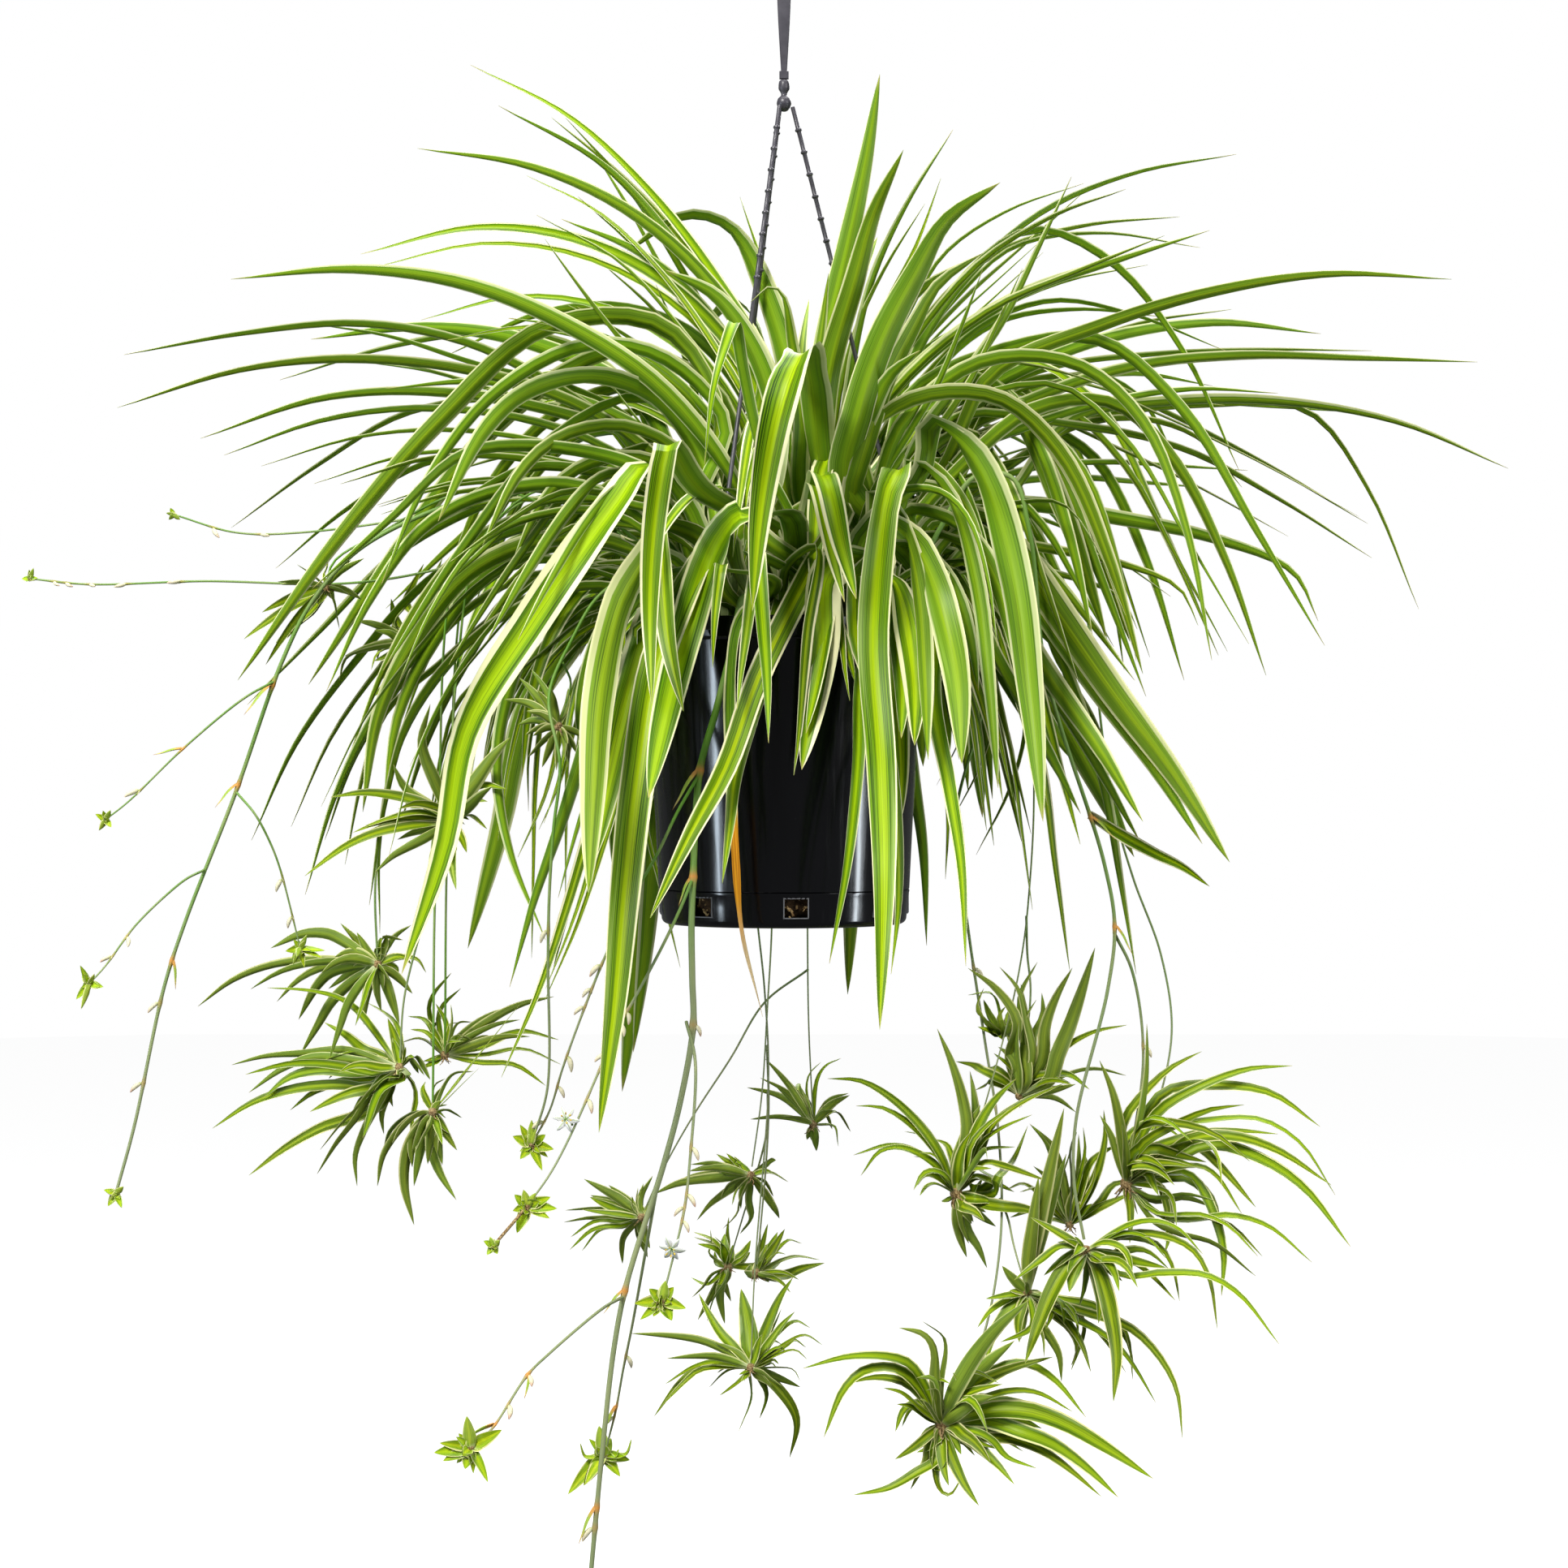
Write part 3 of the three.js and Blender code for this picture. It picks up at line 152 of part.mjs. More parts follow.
    [5.5,0.3,3.2,0.9,[-36.2,44.6,-474,0.23,-0.88,0.41,-90.7,43.5,-445.8,0.21,-0.88,0.42,-142.5,42.7,-425.2,0.09,-0.89,0.45,-177,44.1,-426.6,-0.2,-0.9,0.39,-219.1,48.6,-451.4,-0.38,-0.88,0.29,-261.8,56.8,-498.3,-0.46,-0.87,0.19,-296,68.5,-550.6,-0.52,-0.85,0.07,-318.3,83.1,-606.3,-0.54,-0.84,0]],
    [5.5,0.3,3.2,0.9,[-36.6,35.2,-474,0.44,-0.86,0.27,-77.4,24.3,-442.4,0.22,-0.87,0.44,-131.2,30.2,-436.3,-0.12,-0.9,0.42,-184.4,36.5,-447.3,-0.29,-0.91,0.31,-230.4,43.2,-489.2,-0.38,-0.9,0.2,-262.2,48.9,-540.4,-0.42,-0.9,0.1,-275.9,52.1,-603.2,-0.44,-0.9,0.01,-276.2,53.8,-669.5,-0.44,-0.9,-0.02]],
    [5.5,0.3,3.2,0.9,[-36.6,35.2,-474,0.57,-0.65,0.5,-74.3,25.3,-444,0.37,-0.68,0.64,-128,39.5,-416.8,-0.05,-0.69,0.73,-160.6,54.2,-423,-0.55,-0.74,0.4,-192.9,74.2,-441.6,-0.68,-0.71,0.19,-226,99.9,-489.1,-0.72,-0.69,0.07,-254.1,128,-540.6,-0.74,-0.67,-0.01,-275.9,156,-598.9,-0.74,-0.67,-0.04]],
    [4.93,0.3,3.2,0.9,[-38.2,45,-474,-0.83,-0.53,0.19,-59.9,95,-429.6,-0.48,-0.74,-0.47,-122.5,90.7,-460.1,0.32,-0.87,-0.37,-146.8,82.4,-475.7,0.46,-0.87,-0.17,-165.2,77.9,-512,0.52,-0.85,-0.07,-171.7,74.9,-565.2,0.58,-0.81,0.02,-173.4,64.5,-686.8,0.58,-0.81,0.07]],
    [10.57,0.3,4.4,0.8,[-33.8,37.3,-474,0.78,-0.62,0.12,-51.6,25.7,-416,0.77,-0.62,-0.12,-11.9,47.3,-383.1,0.64,-0.77,-0.04,-4.7,61.2,-353.1,0.37,-0.86,0.36,-17.6,75.7,-309,0.49,-0.78,0.4,-40.5,79.1,-273.8,0.33,-0.81,0.49,-74.2,85.2,-255.6,0.25,-0.69,0.68]],
    [7.04,0.3,3.2,0.9,[-35.1,35.9,-474,0.82,-0.57,-0.03,-52.9,5.6,-396.2,0.65,-0.76,0.08,-70.8,18.2,-354.3,0.46,-0.77,0.44,-98.2,29.2,-306.5,0.55,-0.42,0.72,-167.4,39.1,-269.2,0.26,-0.37,0.89,-244,48.9,-255.8,-0.01,-0.36,0.93,-324.3,61.4,-262.5,-0.13,-0.35,0.93]],
    [6.46,0.3,3.2,0.9,[-35.1,35.9,-474,0.92,-0.34,-0.21,-22.7,16.3,-389.9,0.83,-0.55,0.02,-43.8,28,-333.9,0.36,-0.82,0.45,-92.4,36.2,-298.4,-0.02,-0.84,0.53,-150.9,44.1,-312.8,-0.49,-0.61,0.62,-202.8,56.8,-365.6,-0.82,-0.32,0.47,-238.1,75.9,-441.7,-0.89,-0.3,0.34]],
    [8.92,0.3,4.4,0.8,[-35.1,35.9,-474,0.75,-0.44,0.5,-71.1,45.3,-412.5,0.79,-0.52,0.33,-55.4,78.9,-358,0.32,-0.79,0.52,-89.8,95.8,-324.6,-0.14,-0.9,0.42,-136.2,108.7,-321,-0.45,-0.84,0.3,-176.3,134.9,-345.1,-0.74,-0.64,0.2,-208.2,166.2,-403.6,-0.87,-0.44,0.23]],
    [5.5,0.3,3.2,0.9,[-35,36,-474,-0.82,-0.57,-0.02,-53.9,61,-394.3,-0.58,-0.81,0.03,-49.8,50.9,-366.8,0.04,-0.9,0.44,-121.2,72.3,-365.4,-0.14,-0.58,0.8,-179,91.7,-360,-0.35,-0.7,0.62,-225.7,98.5,-395.5,-0.63,-0.39,0.67,-278.8,105.8,-444.4,-0.66,-0.37,0.66]],
    [5.5,0.3,3.2,0.9,[-35,36,-474,0.75,-0.66,-0.02,-59.1,6.9,-415.8,0.54,-0.84,-0.05,-57.9,16.3,-393.6,0.05,-0.85,0.52,-88.3,27,-379.8,0.01,-0.72,0.7,-140.7,37.7,-370.4,-0.2,-0.76,0.62,-181.7,45.3,-386.7,-0.46,-0.65,0.61,-233.3,54.3,-422.4,-0.51,-0.63,0.59]],
    [13.44,0.3,4.4,0.8,[-33.4,38.1,-474,-0.78,-0.6,-0.17,-83.6,76.9,-379.8,-0.49,-0.85,0.21,-111.1,110.9,-359.3,-0.61,-0.78,-0.13,-133.1,124.4,-431.3,-0.91,-0.18,0.37,-186.4,176,-513.6,-0.69,0.44,0.58,-209.7,225.2,-597.8,-0.85,0.33,0.41,-237.8,261.6,-691,-0.88,0.28,0.38]],
    [6.55,0.3,3.2,0.9,[-33.4,42,-474,-0.83,-0.55,0,-47.8,63.6,-425,-0.83,-0.56,-0.04,-62.4,77.6,-380.7,-0.71,-0.7,0.09,-80,103.6,-366.8,-0.8,-0.6,-0.03,-99.4,127.1,-378.5,-0.67,-0.74,0.02,-123.1,140.5,-426.7,-0.88,-0.37,0.29,-147,165.5,-475.3,-0.91,-0.3,0.29]],
    [12.49,0.3,4.4,0.8,[-33.4,38.1,-474,-0.79,-0.54,0.28,-26.1,58.4,-413.6,-0.46,-0.72,0.51,-22.1,84.5,-398.6,-0.6,-0.8,-0.05,-96.3,113.1,-435,0.07,-0.84,-0.54,-114,140.4,-497.6,0.79,-0.46,-0.41,-120.9,186.2,-566.1,0.98,-0.1,-0.17,-126.5,246.5,-638.2,0.99,-0.07,-0.14]],
    [5.92,0.3,3.2,0.9,[-36.1,44.6,-474,-0.86,-0.5,-0.07,-57.3,74.3,-426.5,-0.77,-0.61,-0.19,-86.3,80.6,-382.4,-0.45,-0.79,-0.42,-132.1,89.9,-375.8,-0.12,-0.72,-0.69,-180,105.6,-392,0.25,-0.67,-0.7,-215,127,-440.6,0.76,-0.35,-0.55,-241.8,150.6,-506.9,0.84,-0.31,-0.45]],
    [7.66,0.3,4.4,0.8,[-36.1,44.6,-474,-0.8,-0.59,-0.07,-62.1,75,-433.7,-0.58,-0.81,-0.08,-101.2,84.6,-403.2,-0.24,-0.89,-0.38,-146.6,90.7,-416.1,0.18,-0.88,-0.43,-185.3,92.5,-453.8,0.64,-0.62,-0.46,-212.9,95.3,-515.5,0.86,-0.43,-0.26,-222.3,98.2,-585.5,0.92,-0.37,-0.14]],
    [5.5,0.3,3.2,0.9,[-36.6,35.2,-474,-0.08,-0.79,-0.61,-79.5,19.4,-447.8,-0.08,-0.83,-0.55,-126.5,24.9,-444.9,-0.01,-0.89,-0.45,-177.9,30.3,-467.5,0.26,-0.85,-0.46,-215.4,35.3,-513.9,0.49,-0.81,-0.33,-233.4,40,-574.2,0.56,-0.81,-0.17,-243.2,44.6,-645.9,0.56,-0.82,-0.13]],
    [5.89,0.3,3.2,0.9,[-36.6,35.2,-474,-0.9,-0.38,-0.21,-62,77.3,-440.9,-0.68,-0.51,-0.53,-72,78.1,-469.6,-0.34,-0.93,0.12,-111.9,86.7,-513.2,-0.79,-0.53,0.3,-126.9,100.7,-573.7,-0.93,-0.32,0.19,-147,117.3,-635.3,-0.92,-0.33,0.2,-163.3,126.1,-698.7,-0.92,-0.33,0.19]],
    [11.81,0.3,4.4,0.8,[-33.4,38.1,-474,-0.7,-0.64,-0.3,-62.9,49.4,-429.5,-0.48,-0.85,-0.22,-96.3,59.4,-418.8,-0.62,-0.78,-0.11,-87.6,72.9,-455.5,-0.53,-0.8,-0.29,-96.4,92,-507.3,-0.93,-0.37,0.01,-108.9,122.7,-562.4,-0.98,-0.18,0.1,-120.5,164.6,-617.8,-0.98,-0.16,0.08]] ] },
  shoot_left: { at: [-64, 2], leaves: [
    [5.5,0.3,3.2,0.9,[-61.1,-2.1,-474,-0.68,-0.7,0.22,-30,-9.3,-401.6,-0.62,-0.74,0.25,-5.2,-4.2,-342.8,-0.55,-0.81,0.2,-6.3,-0.3,-297.8,-0.68,-0.71,-0.19,-42.4,2.6,-233.9,-0.69,-0.58,-0.44,-91,5,-170.6,-0.63,-0.56,-0.54,-144.1,7.5,-121.2,-0.49,-0.57,-0.66,-209.5,10,-86.7,-0.4,-0.57,-0.72]],
    [5.68,0.3,3.2,0.9,[-61.1,-2.1,-474,0.99,-0.12,-0.01,-61.1,-9.9,-400.8,0.96,-0.1,-0.28,-22.7,-14.7,-336.4,0.83,-0.38,-0.4,-13.9,-19,-294.8,0.75,-0.64,0.16,-51.5,-22.6,-234.4,0.72,-0.37,0.59,-102.6,-25.4,-190.3,0.51,-0.38,0.77,-166.1,-27.8,-162.2,0.26,-0.4,0.88,-239.9,-30,-151,0.15,-0.41,0.9]],
    [5.5,0.3,3.2,0.9,[-61.1,-2.1,-474,-0.85,-0.37,0.38,-35.2,8.5,-405.4,-0.81,-0.43,0.39,-8.1,9.5,-352.1,-0.73,-0.67,0.1,-24.3,13.1,-291.6,-0.83,-0.37,-0.43,-72.1,18.5,-235.7,-0.63,-0.19,-0.75,-136.7,25,-200.9,-0.32,-0.13,-0.94,-207.5,32.3,-191,0.03,-0.15,-0.99,-287,40,-207.8,0.19,-0.16,-0.97]],
    [7.36,0.3,4.4,0.8,[-61.3,-2.2,-474,0.96,-0.21,-0.19,-46.5,-19,-378.3,0.93,-0.34,-0.14,-44.3,-23.2,-314,0.61,-0.79,0.13,-81.3,-27.8,-266,0.33,-0.67,0.67,-156.2,-32.8,-268.6,-0.26,-0.68,0.69,-224.8,-38.3,-329.8,-0.67,-0.32,0.67,-293.6,-44.1,-412.2,-0.76,-0.27,0.6,-354.2,-50.5,-500.1,-0.78,-0.27,0.56]],
    [5.5,0.3,3.2,0.9,[-61.5,-2.4,-474,0.6,-0.77,0.21,-80.6,2.8,-401.3,0.6,-0.77,0.21,-104,0.5,-339.5,0.47,-0.83,0.31,-151.2,-1.1,-303.3,0.3,-0.83,0.47,-215.4,-1.4,-272.2,0.16,-0.83,0.53,-285.7,-0.9,-260.9,0.01,-0.83,0.55,-360,-0.4,-267.6,-0.08,-0.84,0.54,-439,0,-281.8,-0.1,-0.84,0.54]],
    [5.5,0.3,3.2,0.9,[-61.5,-2.3,-474,0.77,-0.63,-0.12,-48.2,1.3,-408.1,0.69,-0.73,-0.01,-64.1,-6.4,-371.4,0.54,-0.77,0.35,-124.5,-13.3,-322.4,0.4,-0.71,0.58,-195.3,-19.6,-297.2,0.21,-0.73,0.65,-278.3,-26.3,-288.1,0.07,-0.74,0.67,-354.8,-33.1,-296.2,-0.08,-0.75,0.65,-434.5,-40,-322,-0.14,-0.76,0.63]],
    [5.5,0.3,3.2,0.9,[-62.1,6.6,-474,0.9,-0.43,0.07,-72.2,-5.8,-424.2,0.84,-0.49,0.24,-92.7,-6.5,-393.1,0.33,-0.65,0.68,-149.7,-7.2,-387.5,-0.05,-0.6,0.8,-195.8,-7.9,-400.3,-0.39,-0.61,0.69,-231.6,-8.6,-434.8,-0.65,-0.55,0.52,-262.2,-9.3,-485.4,-0.74,-0.55,0.38,-286.9,-10,-545.5,-0.77,-0.55,0.32]],
    [5.5,0.3,3.2,0.9,[-62.1,6.6,-474,0.54,-0.77,0.33,-92.4,7.3,-423.5,0.39,-0.82,0.42,-136,12.4,-394.3,0.03,-0.88,0.47,-185,17.7,-398.7,-0.24,-0.87,0.43,-239.9,23.2,-430.9,-0.38,-0.86,0.35,-287.6,29,-482.6,-0.45,-0.85,0.28,-329.8,35,-538.9,-0.5,-0.84,0.22,-361.5,41.1,-605.5,-0.52,-0.84,0.17]],
    [5.5,0.3,3.2,0.9,[-62.1,6.6,-474,0.54,-0.71,0.46,-100.6,1.8,-436.7,0.45,-0.73,0.52,-145.8,-5.1,-418.4,0.2,-0.81,0.55,-185.6,-12.1,-425.7,-0.17,-0.81,0.56,-228.6,-19.1,-464.5,-0.42,-0.76,0.49,-265.9,-26,-516.4,-0.5,-0.77,0.39,-293.6,-33,-574.4,-0.54,-0.79,0.29,-312.2,-40,-639.5,-0.56,-0.79,0.25]],
    [5.5,0.3,3.2,0.9,[-62.2,6.6,-474,0.42,-0.87,0.27,-103.1,-1.5,-437.2,0.24,-0.88,0.4,-147.7,0.6,-437.3,-0.1,-0.91,0.4,-180.5,2.7,-447.4,-0.24,-0.92,0.32,-266.3,6.6,-520.1,-0.35,-0.91,0.21,-281.4,8.3,-561.8,-0.41,-0.91,0.08,-293.6,10,-621.2,-0.42,-0.91,0.06]],
    [5.5,0.3,3.2,0.9,[-62.6,-2.8,-474,0.78,-0.45,0.44,-89.1,-12,-436.7,0.62,-0.59,0.51,-118.2,-20.1,-426.3,0.12,-0.82,0.56,-154,-28.8,-447,-0.48,-0.66,0.58,-176.4,-38.7,-496,-0.83,-0.43,0.34,-186.5,-49.5,-553,-0.88,-0.46,0.11,-177.1,-63.7,-609.4,-0.89,-0.44,-0.14,-152.2,-82.2,-666.9,-0.86,-0.45,-0.23]],
    [5.5,0.3,3.2,0.9,[-64.2,7,-474,-0.66,-0.75,0.04,-113.5,53.4,-419.2,-0.78,-0.5,-0.38,-100.4,53.7,-460.2,0.1,-0.99,0.02,-120.1,51.6,-469.9,0.39,-0.9,-0.2,-139.1,45.9,-499.3,0.6,-0.79,-0.13,-151.7,38,-536.1,0.62,-0.79,-0.01,-162,29.1,-576.8,0.62,-0.78,-0.03,-178.9,20,-616.6,0.62,-0.78,-0.09]],
    [5.5,0.3,3.2,0.9,[-61.2,-2.1,-474,0.58,-0.69,-0.42,-22.6,-13.2,-402,0.57,-0.75,-0.34,-0.8,-13.6,-347.2,0.45,-0.9,-0.02,-17,-13.4,-286.5,0.58,-0.76,0.3,-65.6,-13.1,-217.8,0.55,-0.72,0.43,-118.9,-13.5,-158.7,0.44,-0.73,0.53,-188.4,-14.4,-119.5,0.34,-0.73,0.59]],
    [7.51,0.3,4.4,0.8,[-61.3,-2.2,-474,0.88,-0.38,-0.28,-31.3,-8.7,-372.3,0.77,-0.64,-0.08,-41.1,0.1,-309.8,0.29,-0.87,0.39,-104.6,10.2,-276.5,-0.14,-0.86,0.48,-181.3,20.2,-315,-0.58,-0.53,0.62,-257.4,27.2,-405.1,-0.78,-0.25,0.57,-321.8,34.8,-500.1,-0.81,-0.25,0.53]],
    [5.5,0.3,3.2,0.9,[-61.5,-2.4,-474,0.66,-0.71,-0.27,-29.7,-0.2,-401.9,0.44,-0.9,0,-47.5,4.6,-357.2,0.34,-0.76,0.55,-137,9,-322.6,0.18,-0.66,0.73,-222.7,13.3,-305.4,0.03,-0.66,0.75,-307.6,19.4,-307.6,-0.17,-0.65,0.74,-392.9,25,-334.6,-0.27,-0.64,0.72]] ] },
  shoot_right: { at: [64, 2], leaves: [
    [5.63,0.3,3.2,0.9,[64.8,-2.9,-474,0.92,0.08,0.37,49.3,-19.5,-432,0.96,0.25,0.12,62,-23.5,-368.2,0.36,0.92,-0.18,82.8,-26.4,-354.9,0.41,0.84,-0.36,98.1,-37.2,-359.5,0,0.78,-0.63,118,-51.6,-386.1,-0.67,0.51,-0.54,133.9,-62.6,-428.4,-0.83,0.37,-0.41]],
    [5.67,0.3,3.2,0.9,[63.5,7,-474,0.8,0.25,-0.54,84.8,-6.1,-448.4,0.65,0.34,-0.68,120.9,-12.9,-429.2,0.38,0.77,-0.51,138.1,-20,-429.3,0.42,0.91,0,152.3,-27.4,-455.6,0.84,0.49,0.22,166.1,-34.9,-504.4,0.96,0.12,0.24,192.1,-50.5,-606.5,0.97,0.11,0.23]],
    [5.5,0.3,3.2,0.9,[63.5,7,-474,0.76,0.58,-0.29,87.1,-7.6,-440.9,0.73,0.58,-0.35,105.7,-6,-407.3,0.55,0.71,-0.45,125.4,-7.4,-394.2,0.22,0.93,-0.28,143.1,-12.8,-400.4,-0.15,0.83,-0.53,177,-21.4,-430.3,-0.48,0.61,-0.63,228.6,-39.9,-499.8,-0.55,0.62,-0.55]],
    [11.28,0.3,4.4,0.8,[63.5,7,-474,0.92,0.35,-0.18,81.9,-11.9,-418.7,0.76,0.63,-0.17,104.4,-19.7,-387.1,0.31,0.94,-0.11,140.4,-28.5,-396.5,-0.1,0.91,-0.4,172.5,-38.4,-445.3,-0.71,0.44,-0.55,211.3,-49,-504.2,-0.75,0.32,-0.58,252.1,-63.4,-562.2,-0.75,0.32,-0.58,284.2,-82.5,-617.2,-0.76,0.32,-0.56]],
    [5.5,0.3,3.2,0.9,[66.2,6.5,-474,0.81,0.58,-0.08,75,-1.6,-443.7,0.79,0.6,-0.09,83.3,-8.7,-424.1,0.72,0.69,-0.06,91.9,-17.6,-424.4,0.59,0.81,0.01,110.4,-28.2,-450.4,0.81,0.55,0.19,134.2,-50.1,-535.2,0.89,0.46,0.06,141.1,-63.9,-579,0.9,0.44,0]],
    [5.5,0.3,3.2,0.9,[66.2,6.5,-474,-0.46,0.57,0.68,68.5,-13,-456.2,-0.41,0.78,0.47,68.2,-17.8,-432.4,0.1,0.96,0.27,94.2,-20.9,-437.6,0.15,0.99,0.04,100.8,-22.3,-441.4,0.34,0.92,0.2,114.9,-22.3,-466.2,0.66,0.69,0.31,140.1,-20,-530.6,0.67,0.68,0.31]],
    [5.5,0.3,3.2,0.9,[66.1,6.5,-474,0.54,0.66,-0.52,100.9,8.3,-436,0.18,0.66,-0.73,151.1,0,-459.5,-0.06,0.86,-0.51,174,-6.2,-468.3,-0.3,0.87,-0.39,196.7,-10.2,-518.1,-0.69,0.66,-0.3,212.1,-13.2,-569.4,-0.73,0.66,-0.2,232,-20,-692.6,-0.73,0.66,-0.15]],
    [5.5,0.3,3.2,0.9,[66.1,6.5,-474,-0.8,0.59,0.06,93.9,40.2,-433.8,-0.51,0.73,0.46,135,37.4,-447.1,0.13,0.85,0.51,161.3,36.5,-444.7,0.21,0.97,0.1,171.5,30.1,-453.3,-0.07,0.93,-0.35,185.3,22.9,-485.3,-0.3,0.89,-0.33,208.4,15.8,-524.8,-0.32,0.9,-0.31,222,10,-561.5,-0.35,0.89,-0.27]],
    [6.27,0.3,3.2,0.9,[67.9,-1.2,-474,0.98,0.2,0.1,57.8,9.7,-394.3,0.95,0.31,0.04,56.3,15.1,-331.8,0.56,0.78,-0.29,96.5,17.5,-299.4,0.26,0.73,-0.63,140.4,13.1,-299.7,-0.22,0.76,-0.61,177.2,2.2,-348.2,-0.79,0.39,-0.48,209.2,-7.3,-428.5,-0.89,0.26,-0.37,239.2,-13.5,-509.6,-0.9,0.26,-0.35]],
    [5.5,0.3,3.2,0.9,[59.4,0.2,-474,0.68,0.71,-0.16,72.3,-0.6,-422.5,0.73,0.68,0.07,74.7,-27.2,-376.7,0.77,0.62,0.16,88.8,-42.4,-339.6,0.66,0.72,-0.19,117.8,-46.6,-301.1,0.61,0.69,-0.4,143.2,-46.3,-263.5,0.64,0.67,-0.36,186.3,-50.7,-173.8,0.7,0.66,-0.28]],
    [5.5,0.3,3.2,0.9,[59.4,0.1,-474,0.76,0.63,-0.18,74.7,8.4,-380.7,0.76,0.64,-0.11,79.8,4.7,-301.3,0.69,0.7,-0.17,118.7,1.6,-232.3,0.53,0.74,-0.41,164.4,0.1,-198.7,0.07,0.91,-0.42,217.1,-0.2,-219.3,-0.34,0.84,-0.43,266,-0.1,-280.2,-0.53,0.78,-0.33,302.9,0,-359.1,-0.57,0.78,-0.26]],
    [5.5,0.3,3.2,0.9,[59.4,0.1,-474,0.91,0.39,0.15,46.7,3,-405.6,0.9,0.39,0.19,35.7,-6.6,-349.8,0.79,0.62,-0.04,65,-14.8,-314.8,0.66,0.55,-0.52,104.9,-20.1,-277.1,0.57,0.46,-0.68,157.9,-23.8,-244.1,0.4,0.47,-0.78,278.7,-29.9,-204.7,0.28,0.48,-0.83]],
    [5.5,0.3,3.2,0.9,[59.4,0.1,-474,0.89,0.4,-0.23,84.2,-9.6,-396.2,0.87,0.42,-0.26,135.1,-42.3,-300.7,0.65,0.47,-0.6,203.2,-54.8,-271.1,0.36,0.52,-0.78,274.7,-62.3,-250.3,0.23,0.53,-0.81,349.5,-70.2,-240,0.1,0.55,-0.83,425.6,-82.5,-245.5,0.03,0.57,-0.82]],
    [5.5,0.3,3.2,0.9,[59.5,-0.1,-474,0.78,0.62,0.11,57.6,-11,-397.8,0.74,0.64,-0.2,97.8,-3.6,-345.1,0.38,0.71,-0.59,159.1,4.1,-313.2,0.28,0.67,-0.69,229.8,-2.7,-290.2,0.22,0.67,-0.71,302.1,-11.3,-283.7,0.08,0.68,-0.73,456.5,-20,-289.5,0,0.68,-0.73]],
    [5.5,0.3,3.2,0.9,[59.5,-0.1,-474,0.44,0.69,-0.57,109.4,12,-420.8,0.48,0.7,-0.53,152.4,12.4,-372.3,0.52,0.74,-0.44,190.6,12.2,-323.8,0.32,0.77,-0.56,263.4,10.8,-310.7,0.06,0.76,-0.65,340.9,10.1,-312,-0.06,0.76,-0.65,412.9,10.1,-326,-0.19,0.76,-0.63,484.1,10,-356.4,-0.26,0.75,-0.6]],
    [5.5,0.3,3.2,0.9,[59.5,-0.1,-474,0.63,0.76,0.19,68.6,-22.7,-414.4,0.54,0.83,-0.15,103.9,-13.6,-387.3,0.39,0.89,-0.25,138.8,-30.7,-333.4,0.27,0.9,-0.33,203,-23.7,-333,-0.11,0.9,-0.43,265.2,-22.2,-347.7,-0.11,0.91,-0.4,324.3,-30.3,-380.5,-0.11,0.91,-0.4,383.1,-40,-419.9,-0.11,0.91,-0.39]],
    [5.5,0.3,3.2,0.9,[59.5,-0.2,-474,0.93,0.37,0.02,66.4,-22,-377.8,0.91,0.4,-0.04,80.8,-31.4,-314,0.66,0.59,-0.47,148.7,-37.5,-282.1,0.27,0.62,-0.73,206.1,-45.2,-278.8,-0.15,0.7,-0.69,259.1,-57.1,-326.7,-0.61,0.53,-0.58,344.8,-82.5,-479,-0.7,0.54,-0.47]],
    [5.5,0.3,3.2,0.9,[59.6,-0.4,-474,0.46,0.74,-0.49,94.8,13.6,-419.4,0.47,0.75,-0.45,113,20.4,-383.9,0.37,0.81,-0.45,156.7,24.4,-349.4,0.29,0.8,-0.52,198.3,26.8,-325.3,0.14,0.84,-0.52,243.6,27.6,-321.1,-0.07,0.87,-0.5,281,28.3,-334.8,-0.32,0.85,-0.42,309.1,29.9,-366.9,-0.43,0.84,-0.34]],
    [5.78,0.3,3.2,0.9,[63.5,7,-474,-0.81,0.55,0.23,83.8,23.3,-441.3,-0.5,0.75,0.43,126.3,23.1,-428.3,-0.09,0.98,0.2,122.2,26.5,-439.1,-0.41,0.91,0.09,136.7,34.2,-490.9,-0.87,0.46,-0.15,161.9,49.4,-606.5,-0.93,0.34,-0.16]],
    [11.59,0.3,4.4,0.8,[63.5,7,-474,-0.79,0.61,0.06,85.1,29.4,-418.1,-0.39,0.92,0.02,124,30.9,-412.9,-0.11,0.99,0.05,130.3,34.1,-414.9,-0.51,0.84,-0.18,166.5,41.4,-483.7,-0.84,0.36,-0.41,206.8,55.5,-552.5,-0.87,0.27,-0.42,241.8,76.7,-617.8,-0.88,0.26,-0.39]],
    [5.5,0.3,3.2,0.9,[59.4,0.1,-474,0.82,0.35,-0.45,95.7,10.8,-399.9,0.81,0.54,-0.21,84.2,18.2,-334.2,0.53,0.77,-0.36,143,26.1,-296.5,0.38,0.41,-0.83,214.1,36,-266.4,0.2,0.35,-0.91,292.4,56.8,-251.6,-0.04,0.3,-0.95,374.5,98.1,-253.2,-0.16,0.27,-0.95]],
    [5.5,0.3,3.2,0.9,[59.5,-0.1,-474,-0.72,0.53,0.44,119.4,13.2,-391.2,-0.83,0.54,0.15,90.6,4.9,-317.3,-0.66,0.69,0.29,155.1,2.1,-284.3,-0.09,0.79,0.61,211,15.7,-313.7,0.47,0.57,0.68,257.5,47.6,-392.7,0.73,0.33,0.6,304.1,104.5,-477.3,0.73,0.31,0.61]],
